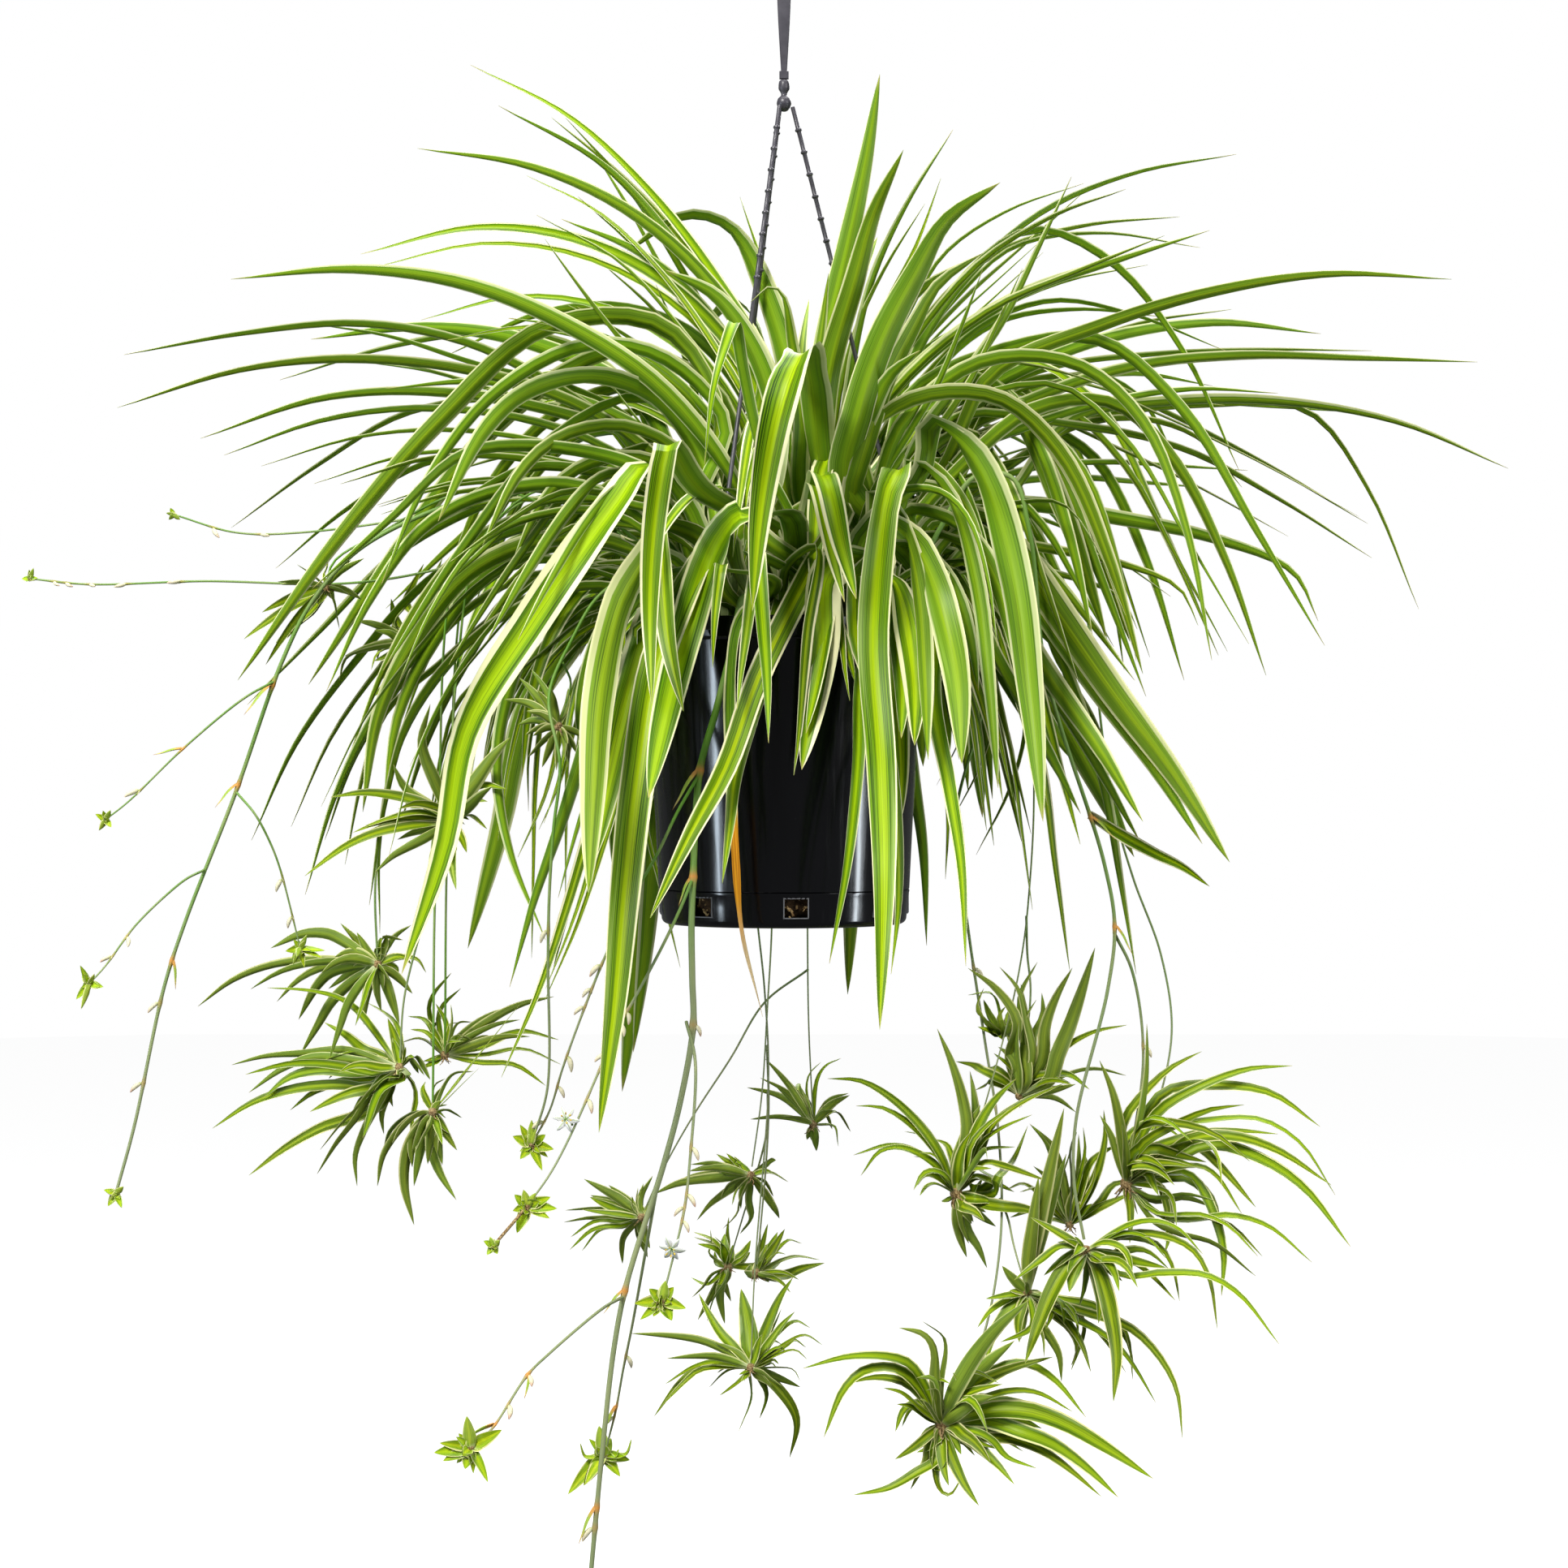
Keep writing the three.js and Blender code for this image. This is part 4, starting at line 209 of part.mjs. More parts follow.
    [5.5,0.3,3.2,0.9,[66.1,6.5,-474,-0.49,0.79,0.36,118.5,13.7,-418.9,-0.16,0.85,0.5,146,13.5,-460.3,0.14,0.99,0.07,153,14.3,-495.1,0.56,0.81,0.17,172.6,15.1,-554.6,0.77,0.61,0.18,191.7,16.2,-692.6,0.78,0.61,0.11]] ] },
};

const PLANTLETS = {
  plantlet_left_1: { crowns: [[-276, 40, -689.8, 5]], leaves: [
    [3.88,0.27,2.3,0.8,[-276,40,-689.8,0.46,-0.35,0.81,-297.4,44.7,-675.6,0.34,-0.39,0.85,-311.8,52.3,-669.7,0,-0.3,0.95,-331,60.7,-670.5,-0.33,-0.22,0.92,-353.1,69.1,-680.4,-0.46,-0.19,0.87]],
    [3,0.27,2.3,0.8,[-276,40,-689.8,-0.13,-0.51,0.85,-303.6,51.4,-687.2,-0.18,-0.49,0.85,-333.5,63.3,-688.4,-0.29,-0.46,0.84,-360.3,75.1,-694,-0.44,-0.41,0.8,-384.3,87.1,-704.4,-0.61,-0.36,0.7,-409.8,102.3,-723,-0.68,-0.34,0.65]],
    [3.88,0.27,2.3,0.8,[-276,40,-689.8,-0.27,-0.52,0.81,-297.8,47.7,-692.2,-0.35,-0.55,0.76,-311.2,52.2,-697.3,-0.6,-0.5,0.62,-320.5,56.4,-706.8,-0.81,-0.43,0.4,-333.4,65.1,-729.2,-0.85,-0.41,0.33]],
    [3,0.27,2.3,0.8,[-276,40,-689.8,0.46,-0.37,0.81,-285.5,49,-680.3,0.5,-0.42,0.76,-302.6,52.5,-662.8,0.59,-0.45,0.67]],
    [3,0.27,2.3,0.8,[-276,40,-689.8,0.31,0.73,-0.6,-264.3,52.6,-670.1,0.32,0.75,-0.58,-254.8,51.8,-663.9,0.42,0.72,-0.55]],
    [3.31,0.27,2.3,0.8,[-276,40,-689.8,-0.71,0.7,0,-274.2,41.7,-673.3,-0.46,0.89,0.01,-271.8,41.9,-671.2,-0.25,0.9,-0.37,-259.6,45.6,-673.5,-0.34,0.74,-0.58]],
    [3,0.27,2.3,0.8,[-276,40,-689.8,-0.41,0.74,0.53,-259.7,45.7,-685,-0.3,0.77,0.56,-249.6,48.4,-687.1,0.05,0.86,0.5,-244.2,51.1,-696,0.17,0.91,0.38]],
    [3,0.27,2.3,0.8,[-276,40,-689.8,-0.61,0.35,-0.71,-266.7,44.1,-695.7,-0.65,0.34,-0.68,-253.5,50.1,-710.3,-0.8,0.28,-0.54]],
    [3.33,0.27,2.3,0.8,[-276,40,-689.8,-0.62,-0.35,0.7,-294.2,48.5,-701.9,-0.68,-0.33,0.66,-309.4,55.9,-716.2,-0.8,-0.28,0.53,-333.7,73.5,-754.5,-0.87,-0.25,0.43]],
    [3,0.27,2.3,0.8,[-276,40,-689.8,-0.87,-0.44,0.22,-282.4,45.5,-704,-0.89,-0.42,0.18,-287.3,54.4,-731.7,-0.93,-0.37,0]],
    [3.31,0.27,2.3,0.8,[-276,40,-689.8,-0.92,0,-0.39,-270.5,42.2,-702.8,-0.94,-0.01,-0.35,-261.8,45.5,-731,-0.96,-0.01,-0.28]] ] },
  plantlet_left_2: { crowns: [[-258.5, 20, -757.8, 5]], leaves: [
    [3,0.27,2.3,0.8,[-258.5,20,-757.8,0.14,-0.52,0.84,-285.2,27,-749.1,0.03,-0.48,0.88,-299.4,36.7,-747.6,-0.21,-0.39,0.9,-327.2,46.3,-750.7,-0.2,-0.41,0.89,-354.1,51,-753.1,-0.25,-0.39,0.89,-377.8,57.7,-759.7,-0.35,-0.37,0.86]],
    [3,0.27,2.3,0.8,[-258.5,20,-757.8,0.08,-0.18,0.98,-317.3,34.2,-752.2,-0.18,-0.1,0.98,-341.2,44.4,-761.1,-0.48,-0.02,0.88,-365.4,53.4,-778.2,-0.58,0,0.82]],
    [3.85,0.27,2.3,0.8,[-258.5,20,-757.8,0.03,-0.27,-0.96,-286.2,30.4,-761.5,-0.02,-0.25,-0.97,-315.2,38.5,-761.2,0.03,-0.26,-0.96,-336.5,44,-766.8,0.34,-0.34,-0.88,-354.8,49.9,-781.1,0.49,-0.39,-0.78]],
    [3.31,0.27,2.3,0.8,[-258.5,20,-757.8,0.27,-0.5,-0.82,-281,30.4,-771.5,0.04,-0.54,-0.84,-302.9,37.4,-771.1,-0.09,-0.48,-0.87,-331.7,45.3,-774.5,0.12,-0.32,-0.94,-362.7,54.9,-784.7,0.3,-0.36,-0.88,-392.9,67.2,-804.2,0.39,-0.38,-0.84]],
    [3.84,0.27,2.3,0.8,[-258.5,20,-757.8,-0.61,-0.44,-0.66,-272.4,29.3,-751.1,-0.56,-0.48,-0.68,-285.6,35.4,-746.4,-0.52,-0.49,-0.7,-296.2,35.1,-737.5,-0.52,-0.49,-0.7,-311.5,38.5,-729.3,-0.49,-0.5,-0.71]],
    [3.86,0.27,2.3,0.8,[-258.5,20,-757.8,0.67,-0.46,-0.59,-270.3,33.4,-781.9,0.53,-0.43,-0.73,-289.2,41.7,-792.8,0.28,-0.38,-0.88,-313.2,44.5,-800.4,0.32,-0.36,-0.88,-339.7,52.1,-815.3,0.44,-0.32,-0.84,-367.1,63.3,-836,0.48,-0.33,-0.81]],
    [3,0.27,2.3,0.8,[-258.5,20,-757.8,-0.62,-0.74,0.24,-278.6,30.6,-776.9,-0.63,-0.74,0.24,-318.1,48.7,-833,-0.66,-0.73,0.19]],
    [3,0.27,2.3,0.8,[-258.5,20,-757.8,-0.76,-0.6,0.25,-285.5,37.2,-803.9,-0.79,-0.58,0.18,-291.3,41.7,-820.3,-0.85,-0.53,-0.02,-290.7,46.7,-841,-0.85,-0.5,-0.15]],
    [3,0.27,2.3,0.8,[-258.5,20,-757.8,-0.66,-0.73,-0.18,-290.5,37.1,-719.4,-0.55,-0.78,-0.3,-303.2,41,-712,-0.36,-0.84,-0.41,-325,46.3,-707.7,-0.27,-0.86,-0.44,-352.7,53.8,-706.7,-0.25,-0.86,-0.44]],
    [3.82,0.27,2.3,0.8,[-258.5,20,-757.8,-0.52,0.81,0.28,-250,22.8,-750.3,-0.38,0.92,0.12,-247.4,23.7,-750.7,-0.51,0.85,-0.13,-238.6,27,-766.7,-0.74,0.62,-0.28]],
    [4.37,0.27,2.3,0.8,[-258.5,20,-757.8,-0.3,-0.77,-0.56,-252.7,21,-762.4,-0.39,-0.8,-0.45,-254.4,21.5,-764.1,0.35,-0.78,-0.52,-269.8,19.1,-771.1,0.43,-0.8,-0.41,-284.1,27.2,-806.1,0.8,-0.43,-0.42]],
    [3.28,0.27,2.3,0.8,[-258.5,20,-757.8,-0.98,0.1,-0.15,-260.2,21.9,-745.9,-0.98,0.09,-0.2,-266.8,24.5,-725.5,-0.93,0.07,-0.35]] ] },
  plantlet_left_3: { crowns: [[-230.3, -30, -782.4, 5]], leaves: [
    [3.75,0.27,2.3,0.8,[-230.3,-30,-782.4,-0.73,-0.59,0.35,-243.4,-22.6,-797.4,-0.8,-0.55,0.26,-249.9,-17.1,-815,-0.88,-0.48,0.05,-251,-12.3,-833.4,-0.89,-0.42,-0.19,-245.5,-5.7,-859.9,-0.88,-0.4,-0.28]],
    [3.21,0.27,2.3,0.8,[-230.3,-30,-782.4,-0.87,-0.39,0.29,-236.6,-25,-794.6,-0.92,-0.35,0.2,-244.5,-13.8,-833,-0.94,-0.31,0.09]],
    [3.2,0.27,2.3,0.8,[-230.3,-30,-782.4,-0.94,-0.26,-0.22,-229.2,-23.5,-794.8,-0.94,-0.27,-0.22,-225.2,-18.6,-818.4,-0.94,-0.27,-0.21]],
    [3,0.27,2.3,0.8,[-230.3,-30,-782.4,-0.98,-0.18,0.09,-231.6,-28.8,-794,-0.98,-0.18,0.07,-234.8,-19,-817.8,-0.98,-0.18,0.06]],
    [3,0.27,2.3,0.8,[-230.3,-30,-782.4,0.59,0.59,0.55,-225.3,-26,-792.1,0.59,0.59,0.55,-215.4,-20.4,-808.6,0.58,0.59,0.55]],
    [3,0.27,2.3,0.8,[-230.3,-30,-782.4,-0.34,0.94,-0.1,-223.5,-27.4,-780.6,-0.34,0.94,-0.1,-211.8,-23.7,-786.8,-0.39,0.9,-0.18]],
    [3,0.27,2.3,0.8,[-230.3,-30,-782.4,-0.43,-0.77,0.48,-243.6,-24.8,-785.9,-0.55,-0.72,0.43,-255.1,-20.1,-797.2,-0.68,-0.66,0.31,-264.9,-15.3,-813,-0.78,-0.61,0.14,-269.1,-10.4,-833.4,-0.81,-0.59,0.03]],
    [3,0.27,2.3,0.8,[-230.3,-30,-782.4,0.25,0.88,-0.4,-221.5,-23.3,-762.1,0.09,0.93,-0.35,-216.6,-22.1,-757.6,0,0.92,-0.38,-204.6,-21.1,-756.6,-0.04,0.9,-0.43]],
    [3,0.27,2.3,0.8,[-230.3,-30,-782.4,0.32,0.86,-0.39,-228.7,-26.7,-773.9,0.31,0.86,-0.41,-223,-23.8,-765.5,0.26,0.82,-0.5]],
    [0.56,0.27,2.3,0.8,[-230.3,-30,-782.4,-0.6,0.79,0.13,-216.6,-22.2,-766.2,-0.61,0.78,0.13,-176,-0.7,-714.3,-0.6,0.79,0.14]] ] },
  plantlet_left_4: { crowns: [[-233, 64.5, -753.7, 5]], leaves: [
    [3,0.27,2.3,0.8,[-233,64.5,-753.7,0.41,0.26,-0.87,-216.4,85.7,-739.7,0.4,0.27,-0.88,-183,106.5,-721.4,0.16,0.21,-0.96,-162.6,120.2,-717.5,0.07,0.19,-0.98]],
    [3,0.27,2.3,0.8,[-233,64.5,-753.7,-0.54,0.57,0.62,-207.9,82.8,-748.6,-0.58,0.56,0.6,-191.7,94.2,-741.6,-0.57,0.56,0.61,-180.9,101.2,-740.3,-0.28,0.64,0.72,-158.8,115.4,-747.4,-0.19,0.66,0.73]],
    [3,0.27,2.3,0.8,[-233,64.5,-753.7,-0.65,-0.66,0.38,-244.4,87.2,-734,-0.53,-0.77,0.35,-246.6,88.2,-722.4,-0.43,-0.89,0.14,-243.9,90,-714,-0.32,-0.77,0.55,-232.3,98.6,-699.5,-0.25,-0.73,0.63]],
    [3,0.27,2.3,0.8,[-233,64.5,-753.7,-0.73,0.59,-0.34,-232.7,74.2,-737.7,-0.72,0.57,-0.39,-234.5,78.6,-730.5,-0.61,0.51,-0.6,-241.5,84.6,-720,-0.56,0.5,-0.66]],
    [3,0.27,2.3,0.8,[-233,64.5,-753.7,0.24,0.81,-0.53,-227.3,74.9,-735,-0.04,0.86,-0.5,-224.4,77.5,-732.1,-0.33,0.85,-0.41,-216.3,80.7,-732.1,-0.34,0.86,-0.37]],
    [3,0.27,2.3,0.8,[-233,64.5,-753.7,-0.54,0.81,0.21,-224.3,67.3,-741.9,-0.36,0.93,0.03,-221.6,68.6,-741,-0.68,0.73,-0.05,-214.7,76.1,-744.6,-0.74,0.67,-0.02]],
    [3,0.27,2.3,0.8,[-233,64.5,-753.7,-0.58,-0.81,-0.1,-243.5,69.6,-734,-0.6,-0.79,-0.06,-249.2,74.9,-729.3,-0.68,-0.71,-0.17,-260.6,84.7,-728.5,-0.64,-0.72,-0.28]],
    [2.93,0.27,2.3,0.8,[-233,64.5,-753.7,0.09,-0.61,-0.78,-238.8,68.3,-757.4,0.1,-0.62,-0.78,-249.8,74,-763.5,0.11,-0.63,-0.77]] ] },
  plantlet_upper_left: { crowns: [[-217, -40, -591.8, 5]], leaves: [
    [3.15,0.27,2.3,0.8,[-217,-40,-591.8,-0.31,-0.48,-0.82,-231.3,-49.5,-580.8,-0.21,-0.42,-0.88,-248.1,-58.8,-575.4,-0.01,-0.34,-0.94,-268.4,-70.5,-572.8,0.17,-0.27,-0.95,-288.7,-83.5,-575.8,0.28,-0.23,-0.93]],
    [3.68,0.27,2.3,0.8,[-217,-40,-591.8,-0.63,0.54,0.56,-206,-44.6,-575.1,-0.44,0.65,0.62,-199.9,-49.7,-569.8,0.05,0.58,0.81,-192.7,-55.6,-568.1,0.36,0.53,0.77,-179.4,-62.4,-570.6,0.41,0.53,0.74]],
    [3.67,0.27,2.3,0.8,[-217,-40,-591.8,0.82,0.34,0.46,-232,-63.2,-548.5,0.84,0.36,0.4,-232.6,-69.7,-536.8,0.89,0.45,0.09,-225.8,-81.6,-516.7,0.88,0.48,-0.01]],
    [3,0.27,2.3,0.8,[-217,-40,-591.8,0.31,-0.4,-0.86,-240.5,-53.6,-594,0.36,-0.38,-0.85,-264.3,-68,-599.3,0.49,-0.32,-0.81,-281.7,-81.4,-608.2,0.68,-0.23,-0.7,-302.4,-101.6,-625.4,0.73,-0.2,-0.65]],
    [3.17,0.27,2.3,0.8,[-217,-40,-591.8,0.45,0.87,-0.21,-207.2,-43.9,-587.2,0.38,0.92,-0.05,-203.2,-45.4,-587.8,0.42,0.9,0.12,-192.8,-49.4,-596.5,0.54,0.79,0.28]],
    [3.16,0.27,2.3,0.8,[-217,-40,-591.8,0.99,-0.09,0.07,-216.6,-45.6,-604.5,0.99,-0.08,0.09,-211.6,-59.9,-635.6,0.97,-0.02,0.25]],
    [3,0.27,2.3,0.8,[-217,-40,-591.8,-0.32,-0.42,0.85,-252.3,-61.2,-613.8,-0.38,-0.43,0.82,-262.7,-69.2,-624.3,-0.44,-0.45,0.78]],
    [4.73,0.27,2.3,0.8,[-217,-40,-591.8,0.82,-0.1,-0.56,-208,-51.6,-576.6,0.8,-0.08,-0.59,-187.8,-64.8,-550.3,0.75,-0.05,-0.66,-175.8,-73.1,-537.8,0.71,-0.03,-0.7]],
    [3,0.27,2.3,0.8,[-217,-40,-591.8,0.23,-0.83,-0.51,-230.5,-47.2,-586.3,0.27,-0.8,-0.53,-239.2,-51.6,-585.6,0.43,-0.74,-0.52,-271.2,-68.2,-595.7,0.56,-0.68,-0.47]],
    [3,0.27,2.3,0.8,[-217,-40,-591.8,0.77,0.58,0.27,-211.6,-43.9,-599,0.78,0.57,0.25,-206,-48.8,-611.8,0.84,0.52,0.12]],
    [3,0.27,2.3,0.8,[-217,-40,-591.8,0.64,-0.77,-0.03,-227.8,-49.4,-611.5,0.7,-0.71,0.11,-228.1,-57.9,-633.6,0.7,-0.65,0.28]] ] },
  plantlet_inner_1: { crowns: [[-251.4, 20, -471.5, 5]], leaves: [
    [3,0.27,2.3,0.8,[-251.4,20,-471.5,-0.21,-0.45,0.87,-267.9,24.7,-473,-0.15,-0.45,0.88,-279.4,20.9,-475.9,-0.24,-0.43,0.87,-295.6,24,-481.2,-0.35,-0.43,0.83]],
    [3,0.27,2.3,0.8,[-251.4,20,-471.5,-0.78,-0.43,0.45,-259.7,25.6,-480.5,-0.76,-0.45,0.47,-271.4,26.3,-497.5,-0.76,-0.45,0.47]],
    [3,0.27,2.3,0.8,[-251.4,20,-471.5,0.73,-0.56,-0.39,-257.9,20.8,-484.7,0.68,-0.55,-0.49,-270.5,26.9,-501.6,0.55,-0.51,-0.66,-279.4,29.2,-510.5,0.54,-0.51,-0.67]],
    [3.28,0.27,2.3,0.8,[-251.4,20,-471.5,-0.77,-0.41,0.48,-247.1,28.9,-457,-0.84,-0.5,0.19,-256.2,37.9,-445.9,-0.77,-0.63,-0.11,-251.7,30.7,-435.5,-0.83,-0.5,0.25,-243.4,30.2,-419,-0.77,-0.53,0.37]],
    [3,0.27,2.3,0.8,[-251.4,20,-471.5,0.64,0.71,-0.28,-248.4,23.5,-455.8,0.6,0.66,-0.45,-242.5,32,-442.3,0.59,0.66,-0.47,-231,31.9,-415,0.67,0.69,-0.27]],
    [3.28,0.27,2.3,0.8,[-251.4,20,-471.5,-0.89,-0.42,-0.2,-260.7,34.5,-460.4,-0.84,-0.51,-0.18,-263.5,33.6,-454.1,-0.78,-0.48,-0.41,-264.8,26.1,-442.8,-0.83,-0.41,-0.37]],
    [3,0.27,2.3,0.8,[-251.4,20,-471.5,0.38,-0.62,0.68,-264.8,19.8,-464.3,0.45,-0.59,0.67,-273.4,15.5,-460.8,0.06,-0.57,0.82,-287.9,27.2,-457.5,-0.14,-0.43,0.89]],
    [2.87,0.27,2.3,0.8,[-251.4,20,-471.5,0.05,-0.91,0.42,-276.4,16.5,-476.1,-0.07,-0.94,0.33,-290.9,20,-480.3,-0.36,-0.93,0.11,-296,23,-484.5,-0.42,-0.91,-0.08,-299.7,25.6,-497.5,-0.39,-0.92,-0.07]],
    [3,0.27,2.3,0.8,[-251.4,20,-471.5,-0.78,0.28,0.55,-244.8,19.8,-462,-0.84,0.28,0.46,-240.7,24.1,-454.2,-0.9,0.25,0.36,-235.8,26.1,-443.9,-0.89,0.26,0.37]] ] },
  plantlet_inner_2: { crowns: [[-145.4, -63.2, -530.4, 5]], leaves: [
    [3.15,0.27,2.3,0.8,[-145.4,-63.2,-530.4,0.48,-0.55,0.69,-158.7,-60.4,-518.9,0.39,-0.52,0.76,-166.6,-56.5,-514.9,0.09,-0.46,0.88,-180.8,-53.2,-512.8,0.02,-0.45,0.89]],
    [3,0.27,2.3,0.8,[-145.4,-63.2,-530.4,0.67,-0.34,0.66,-154.2,-56.4,-518.1,0.68,-0.36,0.64,-171.4,-52.7,-498.6,0.63,-0.35,0.7]],
    [3,0.27,2.3,0.8,[-145.4,-63.2,-530.4,0.61,-0.67,0.42,-150.4,-58.2,-514.9,0.6,-0.67,0.44,-163.5,-52.6,-493.4,0.54,-0.65,0.54]],
    [3,0.27,2.3,0.8,[-145.4,-63.2,-530.4,-0.83,-0.53,0.18,-149.2,-60.1,-539.4,-0.83,-0.53,0.18,-156.4,-55.8,-556.5,-0.81,-0.54,0.22]],
    [3,0.27,2.3,0.8,[-145.4,-63.2,-530.4,-0.68,0.73,-0.08,-141.3,-60.2,-538.2,-0.69,0.72,-0.03,-139.6,-56,-556.5,-0.71,0.69,0.12]],
    [3,0.27,2.3,0.8,[-145.4,-63.2,-530.4,-0.21,-0.8,0.57,-153.8,-60.8,-530,-0.25,-0.79,0.56,-166.8,-57.6,-535.5,-0.43,-0.75,0.5]],
    [3,0.27,2.3,0.8,[-145.4,-63.2,-530.4,-0.64,0.73,-0.24,-139.4,-60.2,-537.1,-0.65,0.73,-0.23,-133.2,-57,-548.6,-0.68,0.72,-0.14]] ] },
  plantlet_left_5: { crowns: [[-301.5, -20, -437.1, 5]], leaves: [
    [3,0.27,2.3,0.8,[-301.5,-20,-437.1,0.39,-0.18,-0.9,-330.5,-8.4,-451.9,0.43,-0.19,-0.88,-359.2,0.7,-470.8,0.51,-0.22,-0.83]],
    [3,0.27,2.3,0.8,[-301.5,-20,-437.1,0.52,-0.59,-0.62,-309.3,-14.4,-448.8,0.49,-0.57,-0.66,-337.4,-3.9,-473.7,0.48,-0.55,-0.68]],
    [3,0.27,2.3,0.8,[-301.5,-20,-437.1,0.11,0.78,-0.62,-297.2,-13.9,-428.6,0.15,0.85,-0.51,-293.7,-14,-424.9,0.12,0.84,-0.53,-287,-9.3,-419.2,0.01,0.77,-0.64]],
    [3,0.27,2.3,0.8,[-301.5,-20,-437.1,-0.38,0.66,-0.65,-292.5,-16.4,-438.7,-0.41,0.65,-0.65,-279.6,-12.1,-445.1,-0.54,0.6,-0.59]],
    [3,0.27,2.3,0.8,[-301.5,-20,-437.1,0.58,-0.66,-0.48,-303.4,-17.9,-442.2,0.58,-0.66,-0.48,-307.6,-15.2,-450.7,0.57,-0.65,-0.5]],
    [2.82,0.27,2.3,0.8,[-301.5,-20,-437.1,-0.21,-0.83,0.52,-312.9,-15.9,-435,-0.21,-0.83,0.52,-333.6,-10.2,-435.3,-0.24,-0.82,0.52]],
    [3,0.27,2.3,0.8,[-301.5,-20,-437.1,0.3,0.91,-0.29,-293,-18.8,-424.3,0.19,0.88,-0.43,-287.2,-13.1,-416.5,0.06,0.8,-0.59,-276.5,-7.3,-407.2,0.06,0.82,-0.57]] ] },
  plantlet_young_1: { crowns: [[-159.2, -104.5, -794.7, 3]], leaves: [
    [2.59,0.36,2,0.8,[-159.2,-104.5,-794.7,-0.4,-0.1,-0.91,-163,-105,-793,-0.4,-0.1,-0.91,-170.8,-105.9,-789.5,-0.4,-0.1,-0.91]],
    [2.07,0.36,2,0.8,[-159.2,-104.5,-794.7,-0.86,-0.1,-0.5,-161.5,-105,-790.6,-0.86,-0.1,-0.5,-166.2,-106,-782.3,-0.86,-0.1,-0.5]],
    [2.07,0.36,2,0.8,[-159.2,-104.5,-794.7,1,0.1,0,-159.1,-105,-789.6,1,0.1,0,-159,-106.1,-779.2,1,0.1,0]],
    [2.33,0.36,2,0.8,[-159.2,-104.5,-794.7,-0.57,0.1,0.82,-156.2,-104.9,-792.6,-0.57,0.1,0.82,-150.4,-105.6,-788.5,-0.57,0.1,0.82]],
    [2.59,0.36,2,0.8,[-159.2,-104.5,-794.7,0.21,0.1,0.97,-154.5,-105,-795.7,0.21,0.1,0.97,-145.2,-106,-797.6,0.21,0.1,0.97]],
    [2.07,0.36,2,0.8,[-159.2,-104.5,-794.7,0.92,0.1,0.38,-156.9,-105.1,-800.1,0.92,0.1,0.38,-152.4,-106.4,-810.9,0.92,0.1,0.38]],
    [2.33,0.36,2,0.8,[-159.2,-104.5,-794.7,0.79,0,-0.61,-161.5,-104.9,-797.8,0.79,0,-0.61,-166.2,-105.7,-803.8,0.79,0,-0.61]] ] },
  plantlet_young_2: { crowns: [[-152.9, -208, -819.1, 3], [-172, -221, -840.8, 2.2]], stalks: [[1,[-152.9,-208,-819.1,-172,-221,-840.8]]], leaves: [
    [2.28,0.36,2,0.8,[-152.9,-208,-819.1,-0.64,-0.19,-0.74,-155.4,-208.4,-816.8,-0.64,-0.19,-0.74,-160.5,-209.2,-812.2,-0.64,-0.19,-0.74]],
    [2.03,0.36,2,0.8,[-152.9,-208,-819.1,0.97,0.1,0.24,-153.7,-208.4,-815.8,0.97,0.1,0.24,-155.2,-209.2,-809.3,0.97,0.1,0.24]],
    [2.54,0.36,2,0.8,[-152.9,-208,-819.1,-0.36,0.1,0.93,-148.3,-208.6,-817.2,-0.36,0.1,0.93,-139.2,-209.7,-813.5,-0.36,0.1,0.93]],
    [2.54,0.36,2,0.8,[-152.9,-208,-819.1,0.08,0.1,0.99,-147,-208.7,-819.5,0.08,0.1,0.99,-135.3,-210.1,-820.3,0.08,0.1,0.99]],
    [2.03,0.36,2,0.8,[-152.9,-208,-819.1,0.48,0.19,0.86,-148.5,-208.6,-821.4,0.48,0.19,0.86,-139.7,-209.8,-826.1,0.48,0.19,0.86]],
    [2.79,0.36,2,0.8,[-152.9,-208,-819.1,0.93,0,-0.36,-154.9,-208.7,-824.3,0.93,0,-0.36,-159,-210.1,-834.8,0.93,0,-0.36]],
    [2.03,0.36,2,0.8,[-152.9,-208,-819.1,0.31,-0.1,-0.94,-155.8,-208.4,-820,0.31,-0.1,-0.94,-161.5,-209.1,-821.8,0.31,-0.1,-0.94]],
    [1.78,0.36,2,0.8,[-152.9,-208,-819.1,0.85,0,-0.53,-151.3,-208.4,-816.5,0.85,0,-0.53,-148,-209.1,-811.2,0.85,0,-0.53]],
    [1.75,0.36,2,0.8,[-172,-221,-840.8,-0.29,-0.63,-0.72,-173.9,-221.3,-839.8,-0.29,-0.63,-0.72,-177.6,-221.8,-837.8,-0.29,-0.63,-0.72]],
    [1.75,0.36,2,0.8,[-172,-221,-840.8,0.75,-0.47,-0.47,-173.2,-221.3,-842.5,0.75,-0.47,-0.47,-175.7,-221.8,-846,0.75,-0.47,-0.47]],
    [1.75,0.36,2,0.8,[-172,-221,-840.8,0.77,0.55,0.33,-171.1,-221.2,-842.4,0.77,0.55,0.33,-169.5,-221.6,-845.5,0.77,0.55,0.33]],
    [1.75,0.36,2,0.8,[-172,-221,-840.8,0.65,0.38,-0.66,-170.7,-221.2,-839.7,0.65,0.38,-0.66,-168.1,-221.6,-837.4,0.65,0.38,-0.66]],
    [1.75,0.36,2,0.8,[-172,-221,-840.8,0.81,-0.55,0.21,-172.6,-221.2,-839,0.81,-0.55,0.21,-173.8,-221.7,-835.4,0.81,-0.55,0.21]] ] },
  plantlet_young_3: { crowns: [[-178.6, -286, -945.6, 3]], leaves: [
